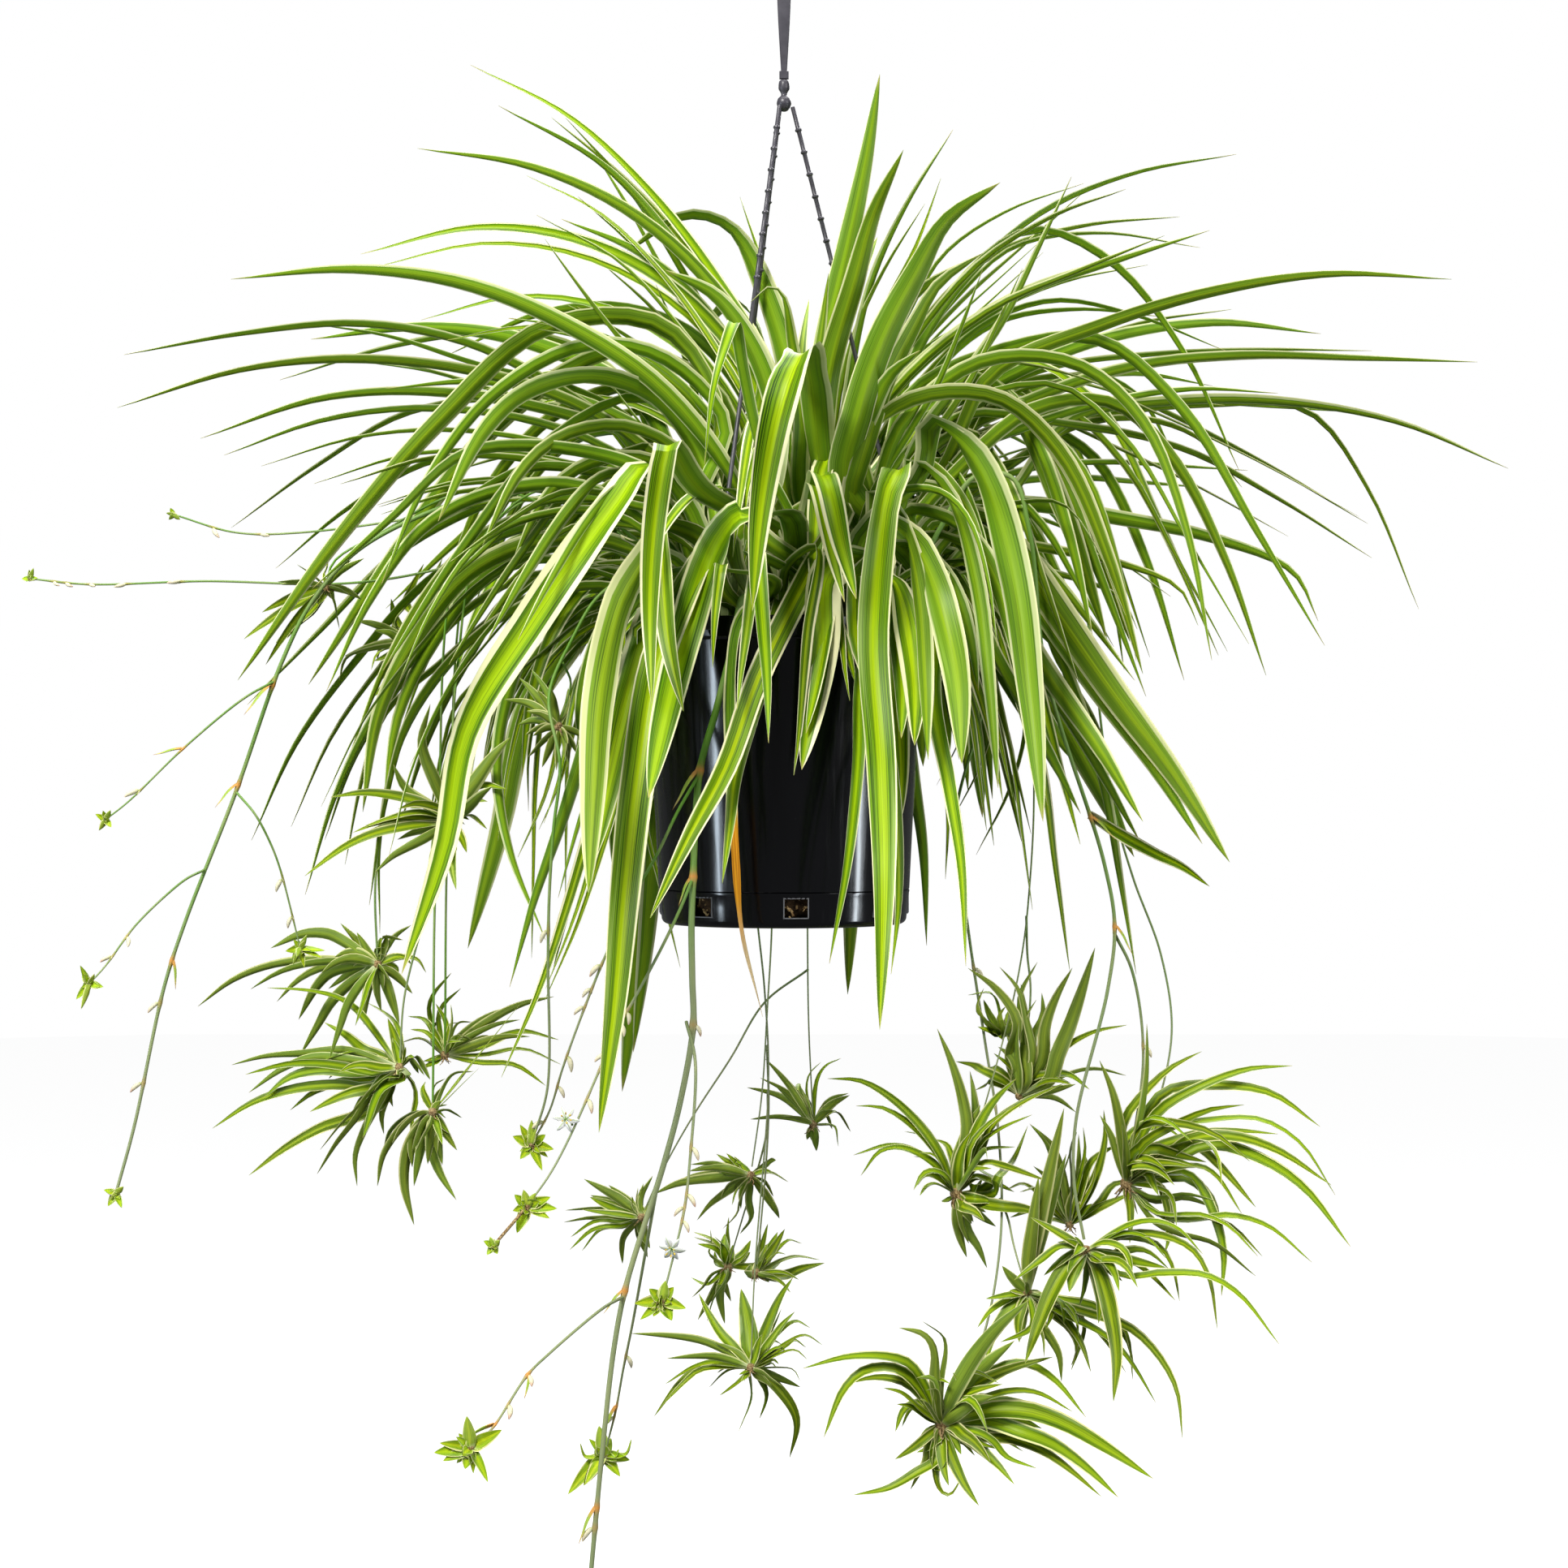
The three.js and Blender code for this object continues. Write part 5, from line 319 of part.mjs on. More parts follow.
    [3,0.36,2,0.8,[-178.6,-286,-945.6,0.15,-0.19,-0.97,-185.5,-286.9,-946.5,0.15,-0.19,-0.97,-199.2,-288.6,-948.2,0.15,-0.19,-0.97]],
    [2.5,0.36,2,0.8,[-178.6,-286,-945.6,0.44,-0.19,-0.87,-183.8,-286.7,-948.1,0.44,-0.19,-0.87,-194.1,-288.2,-953,0.44,-0.19,-0.87]],
    [2.25,0.36,2,0.8,[-178.6,-286,-945.6,-0.13,-0.2,-0.97,-184.4,-286.7,-944.7,-0.13,-0.2,-0.97,-196,-288.2,-942.8,-0.13,-0.2,-0.97]],
    [2.75,0.36,2,0.8,[-178.6,-286,-945.6,0.99,0.1,0.13,-179.3,-286.7,-939.6,0.99,0.1,0.13,-180.7,-288.2,-927.5,0.99,0.1,0.13]],
    [3,0.36,2,0.8,[-178.6,-286,-945.6,-0.49,0.1,0.87,-172.7,-286.8,-942.2,-0.49,0.1,0.87,-160.8,-288.5,-935.3,-0.49,0.1,0.87]],
    [2,0.36,2,0.8,[-178.6,-286,-945.6,0.84,0.29,0.45,-174.5,-287.2,-952.5,0.85,0.29,0.44,-168.6,-288.7,-964.9,0.89,0.28,0.36]],
    [3,0.36,2,0.8,[-178.6,-286,-945.6,0.97,0,-0.25,-179.7,-286.5,-949.6,0.97,0,-0.25,-181.7,-287.6,-957.7,0.97,0,-0.25]] ] },
  plantlet_young_4: { crowns: [[-73.6, -182, -879.7, 3]], leaves: [
    [2.81,0.36,2,0.8,[-73.6,-182,-879.7,0.12,-0.19,-0.97,-79.2,-182.7,-880.2,0.12,-0.19,-0.97,-90.2,-184,-881.3,0.12,-0.19,-0.97]],
    [2.04,0.36,2,0.8,[-73.6,-182,-879.7,0.66,-0.1,-0.74,-78,-182.7,-883.5,0.66,-0.1,-0.74,-86.8,-184.1,-891.1,0.66,-0.1,-0.74]],
    [2.55,0.36,2,0.8,[-73.6,-182,-879.7,-0.64,-0.19,-0.74,-76.2,-182.4,-877.3,-0.64,-0.19,-0.74,-81.4,-183.2,-872.6,-0.64,-0.19,-0.74]],
    [2.55,0.36,2,0.8,[-73.6,-182,-879.7,0.99,0,-0.17,-73,-182.5,-875.7,0.99,0,-0.17,-71.6,-183.4,-867.7,0.99,0,-0.17]],
    [2.55,0.36,2,0.8,[-73.6,-182,-879.7,-0.75,0.1,0.66,-71.3,-182.4,-877,-0.75,0.1,0.66,-66.7,-183.2,-871.6,-0.75,0.1,0.66]],
    [2.55,0.36,2,0.8,[-73.6,-182,-879.7,0.32,0.19,0.93,-68.9,-182.6,-881.2,0.32,0.19,0.93,-59.3,-183.8,-884.3,0.32,0.19,0.93]],
    [3.06,0.36,2,0.8,[-73.6,-182,-879.7,0.9,0.1,0.43,-71.6,-182.5,-883.7,0.9,0.1,0.43,-67.7,-183.6,-891.7,0.9,0.1,0.43]],
    [2.3,0.36,2,0.8,[-73.6,-182,-879.7,0.87,0,-0.49,-75.4,-182.4,-882.9,0.87,0,-0.49,-79,-183.3,-889.3,0.87,0,-0.49]] ] },
  plantlet_young_5: { crowns: [[-116.3, -50.5, -1002.3, 3]], leaves: [
    [3.42,0.36,2,0.8,[-116.3,-50.5,-1002.3,0.62,-0.38,-0.69,-123.9,-51.1,-1008.7,0.66,-0.38,-0.65,-139.9,-52.3,-1027.6,0.73,-0.37,-0.57]],
    [2.37,0.36,2,0.8,[-116.3,-50.5,-1002.3,0.1,-0.92,-0.37,-127.2,-51,-1003.9,0.06,-0.97,-0.24,-132.1,-51.4,-994.7,-0.21,-0.97,-0.1]],
    [1.84,0.36,2,0.8,[-116.3,-50.5,-1002.3,-0.69,-0.19,-0.69,-119.6,-50.7,-998.9,-0.69,-0.19,-0.69,-126.3,-51.2,-992.1,-0.69,-0.19,-0.69]],
    [3.42,0.36,2,0.8,[-116.3,-50.5,-1002.3,0.98,0.1,0.19,-117.5,-50.8,-996.1,0.98,0.1,0.19,-120,-51.4,-983.7,0.98,0.1,0.19]],
    [3.16,0.36,2,0.8,[-116.3,-50.5,-1002.3,0.05,0.92,0.38,-104.6,-51,-1002.5,0.03,0.99,0.16,-98.9,-51.5,-992.1,-0.3,0.94,0.14]],
    [2.63,0.36,2,0.8,[-116.3,-50.5,-1002.3,0.21,0.19,0.96,-110.9,-50.8,-1003.4,0.21,0.19,0.96,-100,-51.3,-1005.8,0.21,0.19,0.96]],
    [2.63,0.36,2,0.8,[-116.3,-50.5,-1002.3,0.8,0.19,0.56,-113,-50.8,-1006.9,0.8,0.19,0.56,-106.3,-51.4,-1016.3,0.8,0.19,0.56]],
    [2.37,0.36,2,0.8,[-116.3,-50.5,-1002.3,0.93,0,-0.37,-114.9,-50.7,-998.7,0.93,0,-0.37,-112.1,-51.1,-991.6,0.93,0,-0.37]] ] },
  plantlet_middle_1: { crowns: [[-104.9, 208, -885.8, 5]], leaves: [
    [3.44,0.27,2.3,0.8,[-104.9,208,-885.8,0.54,-0.12,0.84,-122.4,222.6,-873.6,0.42,-0.11,0.9,-148.5,236.5,-861.6,0.36,-0.1,0.93]],
    [3,0.27,2.3,0.8,[-104.9,208,-885.8,-0.24,-0.45,-0.86,-117.7,208.4,-882.5,-0.37,-0.43,-0.82,-128.5,215.4,-879.2,-0.54,-0.35,-0.76,-144,230.8,-874.1,-0.58,-0.33,-0.75]],
    [2.41,0.27,2.3,0.8,[-104.9,208,-885.8,-0.42,-0.47,0.78,-118.7,223.2,-884,-0.39,-0.54,0.75,-133.2,232.2,-882.8,-0.22,-0.69,0.69,-145.6,233.1,-882.8,-0.22,-0.7,0.68,-162.7,239.5,-885,-0.33,-0.67,0.67]],
    [3,0.27,2.3,0.8,[-104.9,208,-885.8,-0.28,-0.8,-0.54,-116.5,217,-893.1,-0.32,-0.81,-0.49,-130.8,224.2,-895.2,-0.3,-0.83,-0.47,-138.1,228.1,-898.9,-0.03,-0.86,-0.5,-150.3,236.3,-914.7,0.14,-0.83,-0.54]],
    [3.73,0.27,2.3,0.8,[-104.9,208,-885.8,-0.77,-0.6,0.23,-116.5,217.8,-898.9,-0.72,-0.69,0.05,-119.5,221.9,-906.3,-0.65,-0.72,-0.24,-119.8,228.8,-923.1,-0.69,-0.67,-0.26]],
    [3,0.27,2.3,0.8,[-104.9,208,-885.8,0.61,0.67,-0.43,-105.8,215.6,-875.3,0.58,0.66,-0.48,-97.4,225.9,-857.8,0.42,0.66,-0.62]],
    [3,0.27,2.3,0.8,[-104.9,208,-885.8,-0.57,-0.79,0.23,-109.1,212.5,-880.8,-0.56,-0.79,0.24,-112,217.5,-871.7,-0.47,-0.83,0.31]],
    [3,0.27,2.3,0.8,[-104.9,208,-885.8,-0.71,0.7,-0.09,-103,210.3,-882.6,-0.71,0.7,-0.09,-99.3,215,-876.1,-0.71,0.7,-0.09]] ] },
  plantlet_middle_2: { crowns: [[-23.9, 156, -848.1, 5]], leaves: [
    [3.42,0.27,2.3,0.8,[-23.9,156,-848.1,-0.14,0.02,0.99,-45.7,170.8,-851.4,-0.15,0.03,0.99,-78.8,188.9,-858.8,-0.35,0.06,0.93,-94.9,197,-867.1,-0.43,0.07,0.9]],
    [3,0.27,2.3,0.8,[-23.9,156,-848.1,0.22,-0.28,0.94,-41.4,159,-843.1,0.03,-0.21,0.98,-51.8,172.1,-843.8,-0.27,-0.12,0.96,-67.7,181.1,-847.8,-0.32,-0.14,0.94]],
    [3,0.27,2.3,0.8,[-23.9,156,-848.1,-0.66,-0.23,-0.72,-32.6,171.7,-845,-0.61,-0.32,-0.73,-39.7,168.4,-840.2,-0.51,-0.37,-0.78,-48.7,172.7,-835,-0.59,-0.35,-0.73]],
    [2.39,0.27,2.3,0.8,[-23.9,156,-848.1,-0.54,0.81,0.23,-12,163.6,-846.7,-0.52,0.82,0.26,2.9,171.8,-854.8,-0.25,0.91,0.33]],
    [3,0.27,2.3,0.8,[-23.9,156,-848.1,-0.59,0.8,-0.09,-15.9,161.5,-851.6,-0.6,0.8,-0.05,-7.6,168.9,-865,-0.56,0.82,0.11]],
    [3,0.27,2.3,0.8,[-23.9,156,-848.1,-0.6,-0.78,0.18,-36.2,164.1,-853.6,-0.61,-0.78,0.15,-45.7,171.7,-866.5,-0.62,-0.79,-0.03]],
    [3.7,0.27,2.3,0.8,[-23.9,156,-848.1,-0.81,-0.53,-0.26,-25.3,169.2,-870,-0.61,-0.69,-0.39,-23.6,174,-880.6,-0.6,-0.77,-0.22,-31.8,180.7,-893.7,-0.72,-0.69,0.1]],
    [2.98,0.27,2.3,0.8,[-23.9,156,-848.1,-0.66,-0.75,-0.01,-27.8,159.4,-844.1,-0.66,-0.75,-0.01,-35.7,166.3,-836,-0.66,-0.75,-0.01]] ] },
  plantlet_middle_3: { crowns: [[-41.6, 234, -925.8, 5]], leaves: [
    [3,0.27,2.3,0.8,[-41.6,234,-925.8,-0.72,-0.63,0.3,-48.8,248.1,-912.9,-0.67,-0.72,0.17,-53.7,249.4,-908.1,-0.39,-0.9,-0.21,-67.6,254.1,-903.4,-0.39,-0.87,-0.3]],
    [3.46,0.27,2.3,0.8,[-41.6,234,-925.8,-0.85,-0.4,-0.33,-43.5,230.2,-916.1,-0.88,-0.44,-0.18,-44.1,232.9,-910.9,-0.93,-0.26,0.25,-44.2,244.9,-903.3,-0.93,-0.2,0.31]],
    [3,0.27,2.3,0.8,[-41.6,234,-925.8,0.15,-0.74,-0.65,-55.1,243.5,-939.6,-0.12,-0.84,-0.52,-59.5,246,-941,-0.44,-0.86,-0.25,-69.3,249.9,-936.9,-0.46,-0.84,-0.28]],
    [3.46,0.27,2.3,0.8,[-41.6,234,-925.8,-0.82,-0.54,0.19,-46.9,236.6,-940.9,-0.89,-0.46,-0.04,-47.7,248.1,-952.8,-0.87,-0.38,-0.32,-44.5,258.1,-972.9,-0.85,-0.41,-0.34]],
    [3,0.27,2.3,0.8,[-41.6,234,-925.8,-0.94,-0.3,0.13,-49.5,251.7,-942,-0.9,-0.39,0.21,-56.6,252.5,-954.6,-0.83,-0.45,0.32,-64.7,259.6,-970.2,-0.87,-0.42,0.26]],
    [3,0.27,2.3,0.8,[-41.6,234,-925.8,-0.67,-0.34,0.66,-42.5,256.1,-915.3,-0.61,-0.61,0.51,-42.4,252.6,-904.3,-0.59,-0.81,-0.03,-41.4,254.5,-892.5,-0.57,-0.8,0.18]],
    [4.32,0.27,2.3,0.8,[-41.6,234,-925.8,-0.72,0.63,0.29,-33,241.1,-919.9,-0.73,0.63,0.26,-24.9,248.4,-908.7,-0.77,0.63,0.1]] ] },
  plantlet_middle_4: { crowns: [[-19.6, 130, -913.7, 5]], leaves: [
    [4.24,0.27,2.3,0.8,[-19.6,130,-913.7,-0.4,0.61,0.69,-6.6,142.3,-917.2,-0.38,0.64,0.67,1.1,146.9,-918,-0.4,0.7,0.59,12.8,150.9,-914.1,-0.43,0.7,0.57,29.1,158.7,-911.4,-0.43,0.69,0.59]],
    [3,0.27,2.3,0.8,[-19.6,130,-913.7,-0.7,0.7,0.1,-1.1,145.8,-895.8,-0.61,0.79,-0.01,4,148.6,-893.1,-0.42,0.89,0.2,12.8,152.5,-896.5,-0.31,0.92,0.26]],
    [3,0.27,2.3,0.8,[-19.6,130,-913.7,-0.63,-0.53,0.57,-17.1,138.5,-903.2,-0.62,-0.55,0.56,-11.6,150.9,-882.3,-0.62,-0.61,0.5]],
    [3,0.27,2.3,0.8,[-19.6,130,-913.7,-0.85,0.52,-0.01,-17.1,134.2,-907.7,-0.85,0.52,-0.01,-12.1,142.6,-895.5,-0.85,0.52,-0.01]],
    [2.38,0.27,2.3,0.8,[-19.6,130,-913.7,-0.62,0.77,0.17,-0.7,143.4,-906.4,-0.59,0.78,0.2,9.5,149.6,-905,-0.41,0.86,0.32,25.6,157,-908.8,-0.33,0.88,0.34]],
    [3,0.27,2.3,0.8,[-19.6,130,-913.7,-0.26,0.46,-0.85,-13.2,129.5,-915.9,-0.57,0.38,-0.73,-6.9,137.8,-919.6,-0.66,0.3,-0.69,-0.6,141.9,-922.6,-0.58,0.37,-0.72]] ] },
  plantlet_middle_5: { crowns: [[-23.1, 82.5, -971.8, 5]], leaves: [
    [3,0.27,2.3,0.8,[-23.1,82.5,-971.8,0.22,-0.31,0.92,-38.8,95.9,-963.5,0.17,-0.32,0.93,-57.1,106.1,-957.4,0.03,-0.31,0.95,-108.1,129.8,-956.8,-0.16,-0.28,0.95]],
    [3,0.27,2.3,0.8,[-23.1,82.5,-971.8,-0.38,-0.51,-0.77,-45.8,101.2,-973.1,-0.29,-0.54,-0.79,-61.3,111.4,-977.6,0.12,-0.68,-0.73,-73.7,112.5,-988.3,0.41,-0.71,-0.57,-91.7,123.2,-1014.1,0.51,-0.6,-0.61]],
    [3,0.27,2.3,0.8,[-23.1,82.5,-971.8,-0.24,-0.86,-0.45,-43,86.8,-969.1,-0.31,-0.84,-0.45,-54.6,93.6,-970.7,-0.34,-0.79,-0.51,-67,102,-976.8,-0.22,-0.81,-0.55,-83.3,114,-989.3,-0.18,-0.81,-0.55]],
    [3.37,0.27,2.3,0.8,[-23.1,82.5,-971.8,-0.81,-0.32,-0.49,-43.6,99.5,-951.4,-0.81,-0.32,-0.49,-60,115.7,-926.2,-0.89,-0.29,-0.35]],
    [6.17,0.27,2.3,0.8,[-23.1,82.5,-971.8,-0.95,0.23,-0.21,-25.1,97.7,-948.1,-0.94,0.22,-0.27,-30.2,111.2,-922.1,-0.93,0.22,-0.3]],
    [3.37,0.27,2.3,0.8,[-23.1,82.5,-971.8,-0.92,0.01,0.4,-15.7,94.5,-955.4,-0.92,0.01,0.4,-2.7,111.7,-927.7,-0.86,0.03,0.51,6.3,119.5,-915.4,-0.82,0.05,0.57]],
    [3,0.27,2.3,0.8,[-23.1,82.5,-971.8,-0.68,0.73,0.06,-7.2,95.7,-952.8,-0.65,0.75,0.11,4.2,101.9,-944.2,-0.55,0.79,0.26,9.4,104.2,-943.3,-0.23,0.86,0.45,18.2,108.1,-948.8,-0.11,0.89,0.44]],
    [3,0.27,2.3,0.8,[-23.1,82.5,-971.8,-0.62,0.63,0.47,7.4,99.5,-955.5,-0.34,0.87,0.36,15.3,103.2,-961.6,-0.04,0.87,0.48]],
    [3,0.27,2.3,0.8,[-23.1,82.5,-971.8,-0.61,0.26,-0.75,-12,92.1,-977.6,-0.56,0.31,-0.77,11.3,101.1,-989,-0.55,0.33,-0.77]],
    [3.65,0.27,2.3,0.8,[-23.1,82.5,-971.8,0.39,0.43,0.81,-6.7,94.6,-986,0.49,0.47,0.74,6.1,103,-1004.1,0.65,0.51,0.56,9.2,109.2,-1017.7,0.82,0.54,0.18,4,119,-1042.4,0.89,0.46,-0.01]],
    [2.35,0.27,2.3,0.8,[-23.1,82.5,-971.8,-0.15,0.96,0.25,11,81.3,-949.3,-0.07,0.96,0.29,16.8,81.1,-949.3,0.14,0.95,0.27,26.4,80.9,-955.7,0.19,0.95,0.25]],
    [2.35,0.27,2.3,0.8,[-23.1,82.5,-971.8,0.31,-0.92,-0.22,-29.3,82.1,-979.1,0.3,-0.92,-0.24,-44.4,81.6,-990.7,0.24,-0.93,-0.29]] ] },
  plantlet_middle_6: { crowns: [[21.2, 182, -814.3, 5]], leaves: [
    [3,0.27,2.3,0.8,[21.2,182,-814.3,0.28,-0.5,0.82,-0.3,200.3,-797.2,0.12,-0.48,0.87,-26.9,213.4,-791,-0.06,-0.47,0.88]],
    [3,0.27,2.3,0.8,[21.2,182,-814.3,-0.28,-0.61,0.74,5,193.3,-811.2,-0.31,-0.62,0.72,-24.4,208.2,-813.7,-0.4,-0.64,0.66]],
    [3,0.27,2.3,0.8,[21.2,182,-814.3,-0.51,0.73,-0.44,22.4,196.6,-791.7,-0.53,0.75,-0.4,25.4,203,-780.8,-0.55,0.81,-0.2,31.2,206.9,-773.6,-0.5,0.87,0.04,41.8,211.8,-769.3,-0.45,0.88,0.12]],
    [3,0.27,2.3,0.8,[21.2,182,-814.3,0.26,0.68,-0.68,29.7,192.1,-801.1,0.15,0.71,-0.69,34.6,195.9,-797.1,-0.1,0.71,-0.7,47,201.5,-794,-0.15,0.71,-0.68]],
    [3,0.27,2.3,0.8,[21.2,182,-814.3,-0.54,0.83,0.12,35.5,189.9,-805.7,-0.5,0.87,0.03,39.4,192.2,-806.5,-0.41,0.91,0.12,48.7,197.9,-821.5,-0.54,0.84,-0.02]],
    [3,0.27,2.3,0.8,[21.2,182,-814.3,-0.94,0.33,0.06,22,185.8,-821.3,-0.94,0.33,0.06,23.7,193.3,-835.2,-0.94,0.33,0.06]],
    [3,0.27,2.3,0.8,[21.2,182,-814.3,0.32,-0.66,0.68,14.2,193.5,-800,0.3,-0.66,0.69,-4.8,208.6,-778.6,0.21,-0.7,0.69]] ] },
  plantlet_right_1: { crowns: [[160.6, 50.5, -780.1, 5]], leaves: [
    [3.86,0.27,2.3,0.8,[160.6,50.5,-780.1,0.9,0.38,0.24,154,49.3,-753.4,0.93,0.33,0.15,157.9,34.1,-728,0.9,0.34,0.27,144.3,37.4,-706.7,0.71,0.26,0.65,124.8,35.6,-692.3,0.56,0.24,0.79]],
    [3,0.27,2.3,0.8,[160.6,50.5,-780.1,0.79,0.62,-0.04,168.8,41.8,-752.3,0.8,0.6,0.08,158.2,35.7,-706,0.73,0.55,0.4,146.2,35.5,-691.7,0.65,0.53,0.55]],
    [3,0.27,2.3,0.8,[160.6,50.5,-780.1,0.72,-0.69,-0.02,163.9,53,-750.9,0.7,-0.72,-0.06,160.9,41.5,-709.5,0.64,-0.67,-0.36,171.5,36.1,-688.4,0.59,-0.66,-0.47]],
    [3.86,0.27,2.3,0.8,[160.6,50.5,-780.1,0.86,0.03,-0.51,175.3,44.4,-755.7,0.94,-0.01,-0.33,177.2,41.8,-732.9,0.98,-0.02,-0.2,184.1,38.5,-712.7,0.92,0,-0.4,195.1,35.5,-692.3,0.88,0.01,-0.47]],
    [4.96,0.27,2.3,0.8,[160.6,50.5,-780.1,0.59,0.33,-0.74,180.1,40.5,-768.9,0.78,0.25,-0.57,185.3,37.5,-751.7,0.92,0.22,-0.33,194.1,39.2,-730.7,0.92,0.21,-0.33,210.2,32.6,-678.4,0.95,0.2,-0.25]],
    [3.87,0.27,2.3,0.8,[160.6,50.5,-780.1,0.84,0.3,-0.45,169.5,49.5,-764,0.93,0.28,-0.25,168.2,47.5,-740.7,0.96,0.21,0.16,164.1,46.9,-722.8,0.95,0.21,0.22]],
    [3,0.27,2.3,0.8,[160.6,50.5,-780.1,-0.4,0.83,0.39,178.1,49,-759,-0.33,0.81,0.48,193,42.6,-745,-0.2,0.78,0.59,210.2,39.3,-735.6,-0.1,0.78,0.62,232,36.5,-730.8,-0.04,0.77,0.64]],
    [3.59,0.27,2.3,0.8,[160.6,50.5,-780.1,-0.48,0.7,0.53,174.5,50.6,-767.6,-0.27,0.77,0.57,184,46.8,-764.3,0.16,0.74,0.65,195,44.4,-765.5,0.39,0.71,0.58,207.4,42.6,-774.9,0.52,0.64,0.57]],
    [3,0.27,2.3,0.8,[160.6,50.5,-780.1,0.22,0.28,-0.93,173.4,47.7,-777.9,0.24,0.28,-0.93,198.1,44,-771.7,0.28,0.27,-0.92]],
    [3,0.27,2.3,0.8,[160.6,50.5,-780.1,-0.51,-0.82,-0.27,157.3,47.7,-765.5,-0.5,-0.81,-0.32,153.8,46.6,-759.6,-0.43,-0.78,-0.46,143.1,47,-751,-0.42,-0.77,-0.48]],
    [3,0.27,2.3,0.8,[160.6,50.5,-780.1,-0.55,-0.47,-0.69,151.5,46.8,-770.4,-0.39,-0.42,-0.82,134.8,38,-761.4,-0.6,-0.52,-0.6,129.2,60.5,-759.8,-0.65,-0.23,-0.72,118.9,76.4,-759.2,-0.59,-0.35,-0.73]],
    [2.34,0.27,2.3,0.8,[160.6,50.5,-780.1,-0.08,0.68,-0.72,184.4,63.3,-770.8,-0.13,0.66,-0.74,204,75.5,-765.1,-0.24,0.61,-0.75,217.9,83.8,-764.9,-0.42,0.56,-0.71,238.1,94.2,-770.5,-0.48,0.56,-0.68]] ] },
  plantlet_right_2: { crowns: [[116.2, 30, -843.7, 7]], leaves: [
    [3,0.27,2.3,0.8,[116.2,30,-843.7,-0.79,-0.46,-0.41,105.3,24.6,-816.7,-0.75,-0.44,-0.49,89.9,20.7,-795.1,-0.64,-0.42,-0.64,70.6,17.3,-777.1,-0.51,-0.39,-0.77,51.1,14.6,-766.3,-0.23,-0.35,-0.91,29.3,12,-764.7,-0.03,-0.33,-0.94]],
    [3.82,0.27,2.3,0.8,[116.2,30,-843.7,0.98,0.18,-0.12,123.1,21.2,-799.7,0.99,0.15,0.03,113.2,16,-756.2,0.93,0.11,0.35,102.7,12.7,-731.6,0.91,0.1,0.4]],
    [3,0.27,2.3,0.8,[116.2,30,-843.7,-0.46,-0.67,-0.58,100.8,22.1,-822.4,-0.32,-0.71,-0.62,79,18.2,-811.4,-0.06,-0.8,-0.6,64.5,18.7,-814,0.33,-0.78,-0.53,51.8,19.6,-830.3,0.5,-0.76,-0.43]],
    [2.87,0.27,2.3,0.8,[116.2,30,-843.7,-0.29,-0.92,-0.26,99,29.5,-822.5,-0.24,-0.91,-0.33,85.2,27.2,-813,-0.09,-0.89,-0.45,70.7,26.2,-810.7,0.23,-0.85,-0.48,46.9,18.9,-816.6,0.36,-0.82,-0.45]],
    [3.82,0.27,2.3,0.8,[116.2,30,-843.7,-0.86,0.36,0.35,123.1,20.9,-817.4,-0.86,0.37,0.36,130.7,18.5,-796.8,-0.84,0.36,0.42,140,18.5,-781.4,-0.73,0.33,0.6,155.7,16.4,-765.1,-0.66,0.32,0.68]],
    [4.65,0.27,2.3,0.8,[116.2,30,-843.7,0.93,-0.37,-0.05,117.4,30.7,-824.8,0.91,-0.38,-0.16,124.8,25.3,-798.6,0.84,-0.34,-0.43,132,20.8,-783.6,0.81,-0.32,-0.49]],
    [3,0.27,2.3,0.8,[116.2,30,-843.7,-0.49,0.73,0.47,131.8,22,-815.1,-0.51,0.74,0.43,140.2,18.3,-795.7,-0.48,0.74,0.47,158.3,17.8,-781.8,-0.31,0.7,0.64,187.1,13.9,-768.1,-0.23,0.69,0.68]],
    [3,0.27,2.3,0.8,[116.2,30,-843.7,-0.48,0.88,-0.03,125.3,35.5,-825.3,-0.32,0.94,0.14,131.1,31,-816.9,0.05,0.83,0.55,137.9,26.8,-813.2,0.2,0.85,0.49,155.1,22.3,-811.6,0.19,0.87,0.46]],
    [3.83,0.27,2.3,0.8,[116.2,30,-843.7,0.38,0.38,0.84,132.8,25.5,-849.2,0.37,0.36,0.86,147.6,13.5,-850.2,0.19,0.41,0.89,163.1,19.4,-852.9,0.18,0.4,0.9,182.1,19.3,-859.7,0.31,0.4,0.86]],
    [3.28,0.27,2.3,0.8,[116.2,30,-843.7,-0.42,0.75,0.51,129.1,24.8,-825.6,-0.17,0.89,0.42,135.8,23.6,-821.9,0.09,0.92,0.38,148.4,22.3,-824.4,0.25,0.71,0.66,176.7,20.4,-834.2,0.31,0.55,0.78]],
    [3,0.27,2.3,0.8,[116.2,30,-843.7,-0.61,-0.27,-0.74,125.9,35.4,-853.7,-0.6,-0.26,-0.76,143.9,42.5,-868.1,-0.52,-0.23,-0.82]],
    [3.31,0.27,2.3,0.8,[116.2,30,-843.7,-0.96,-0.28,-0.08,116.8,32.9,-860.5,-0.95,-0.26,-0.17,119,39,-873.1,-0.92,-0.2,-0.33,124.3,45.6,-889.5,-0.91,-0.19,-0.37]],
    [3.31,0.27,2.3,0.8,[116.2,30,-843.7,-0.83,-0.3,-0.47,124.8,43.8,-871,-0.84,-0.31,-0.45,132.2,45.4,-882.9,-0.82,-0.3,-0.49,138.4,49.9,-897.4,-0.84,-0.31,-0.45]],
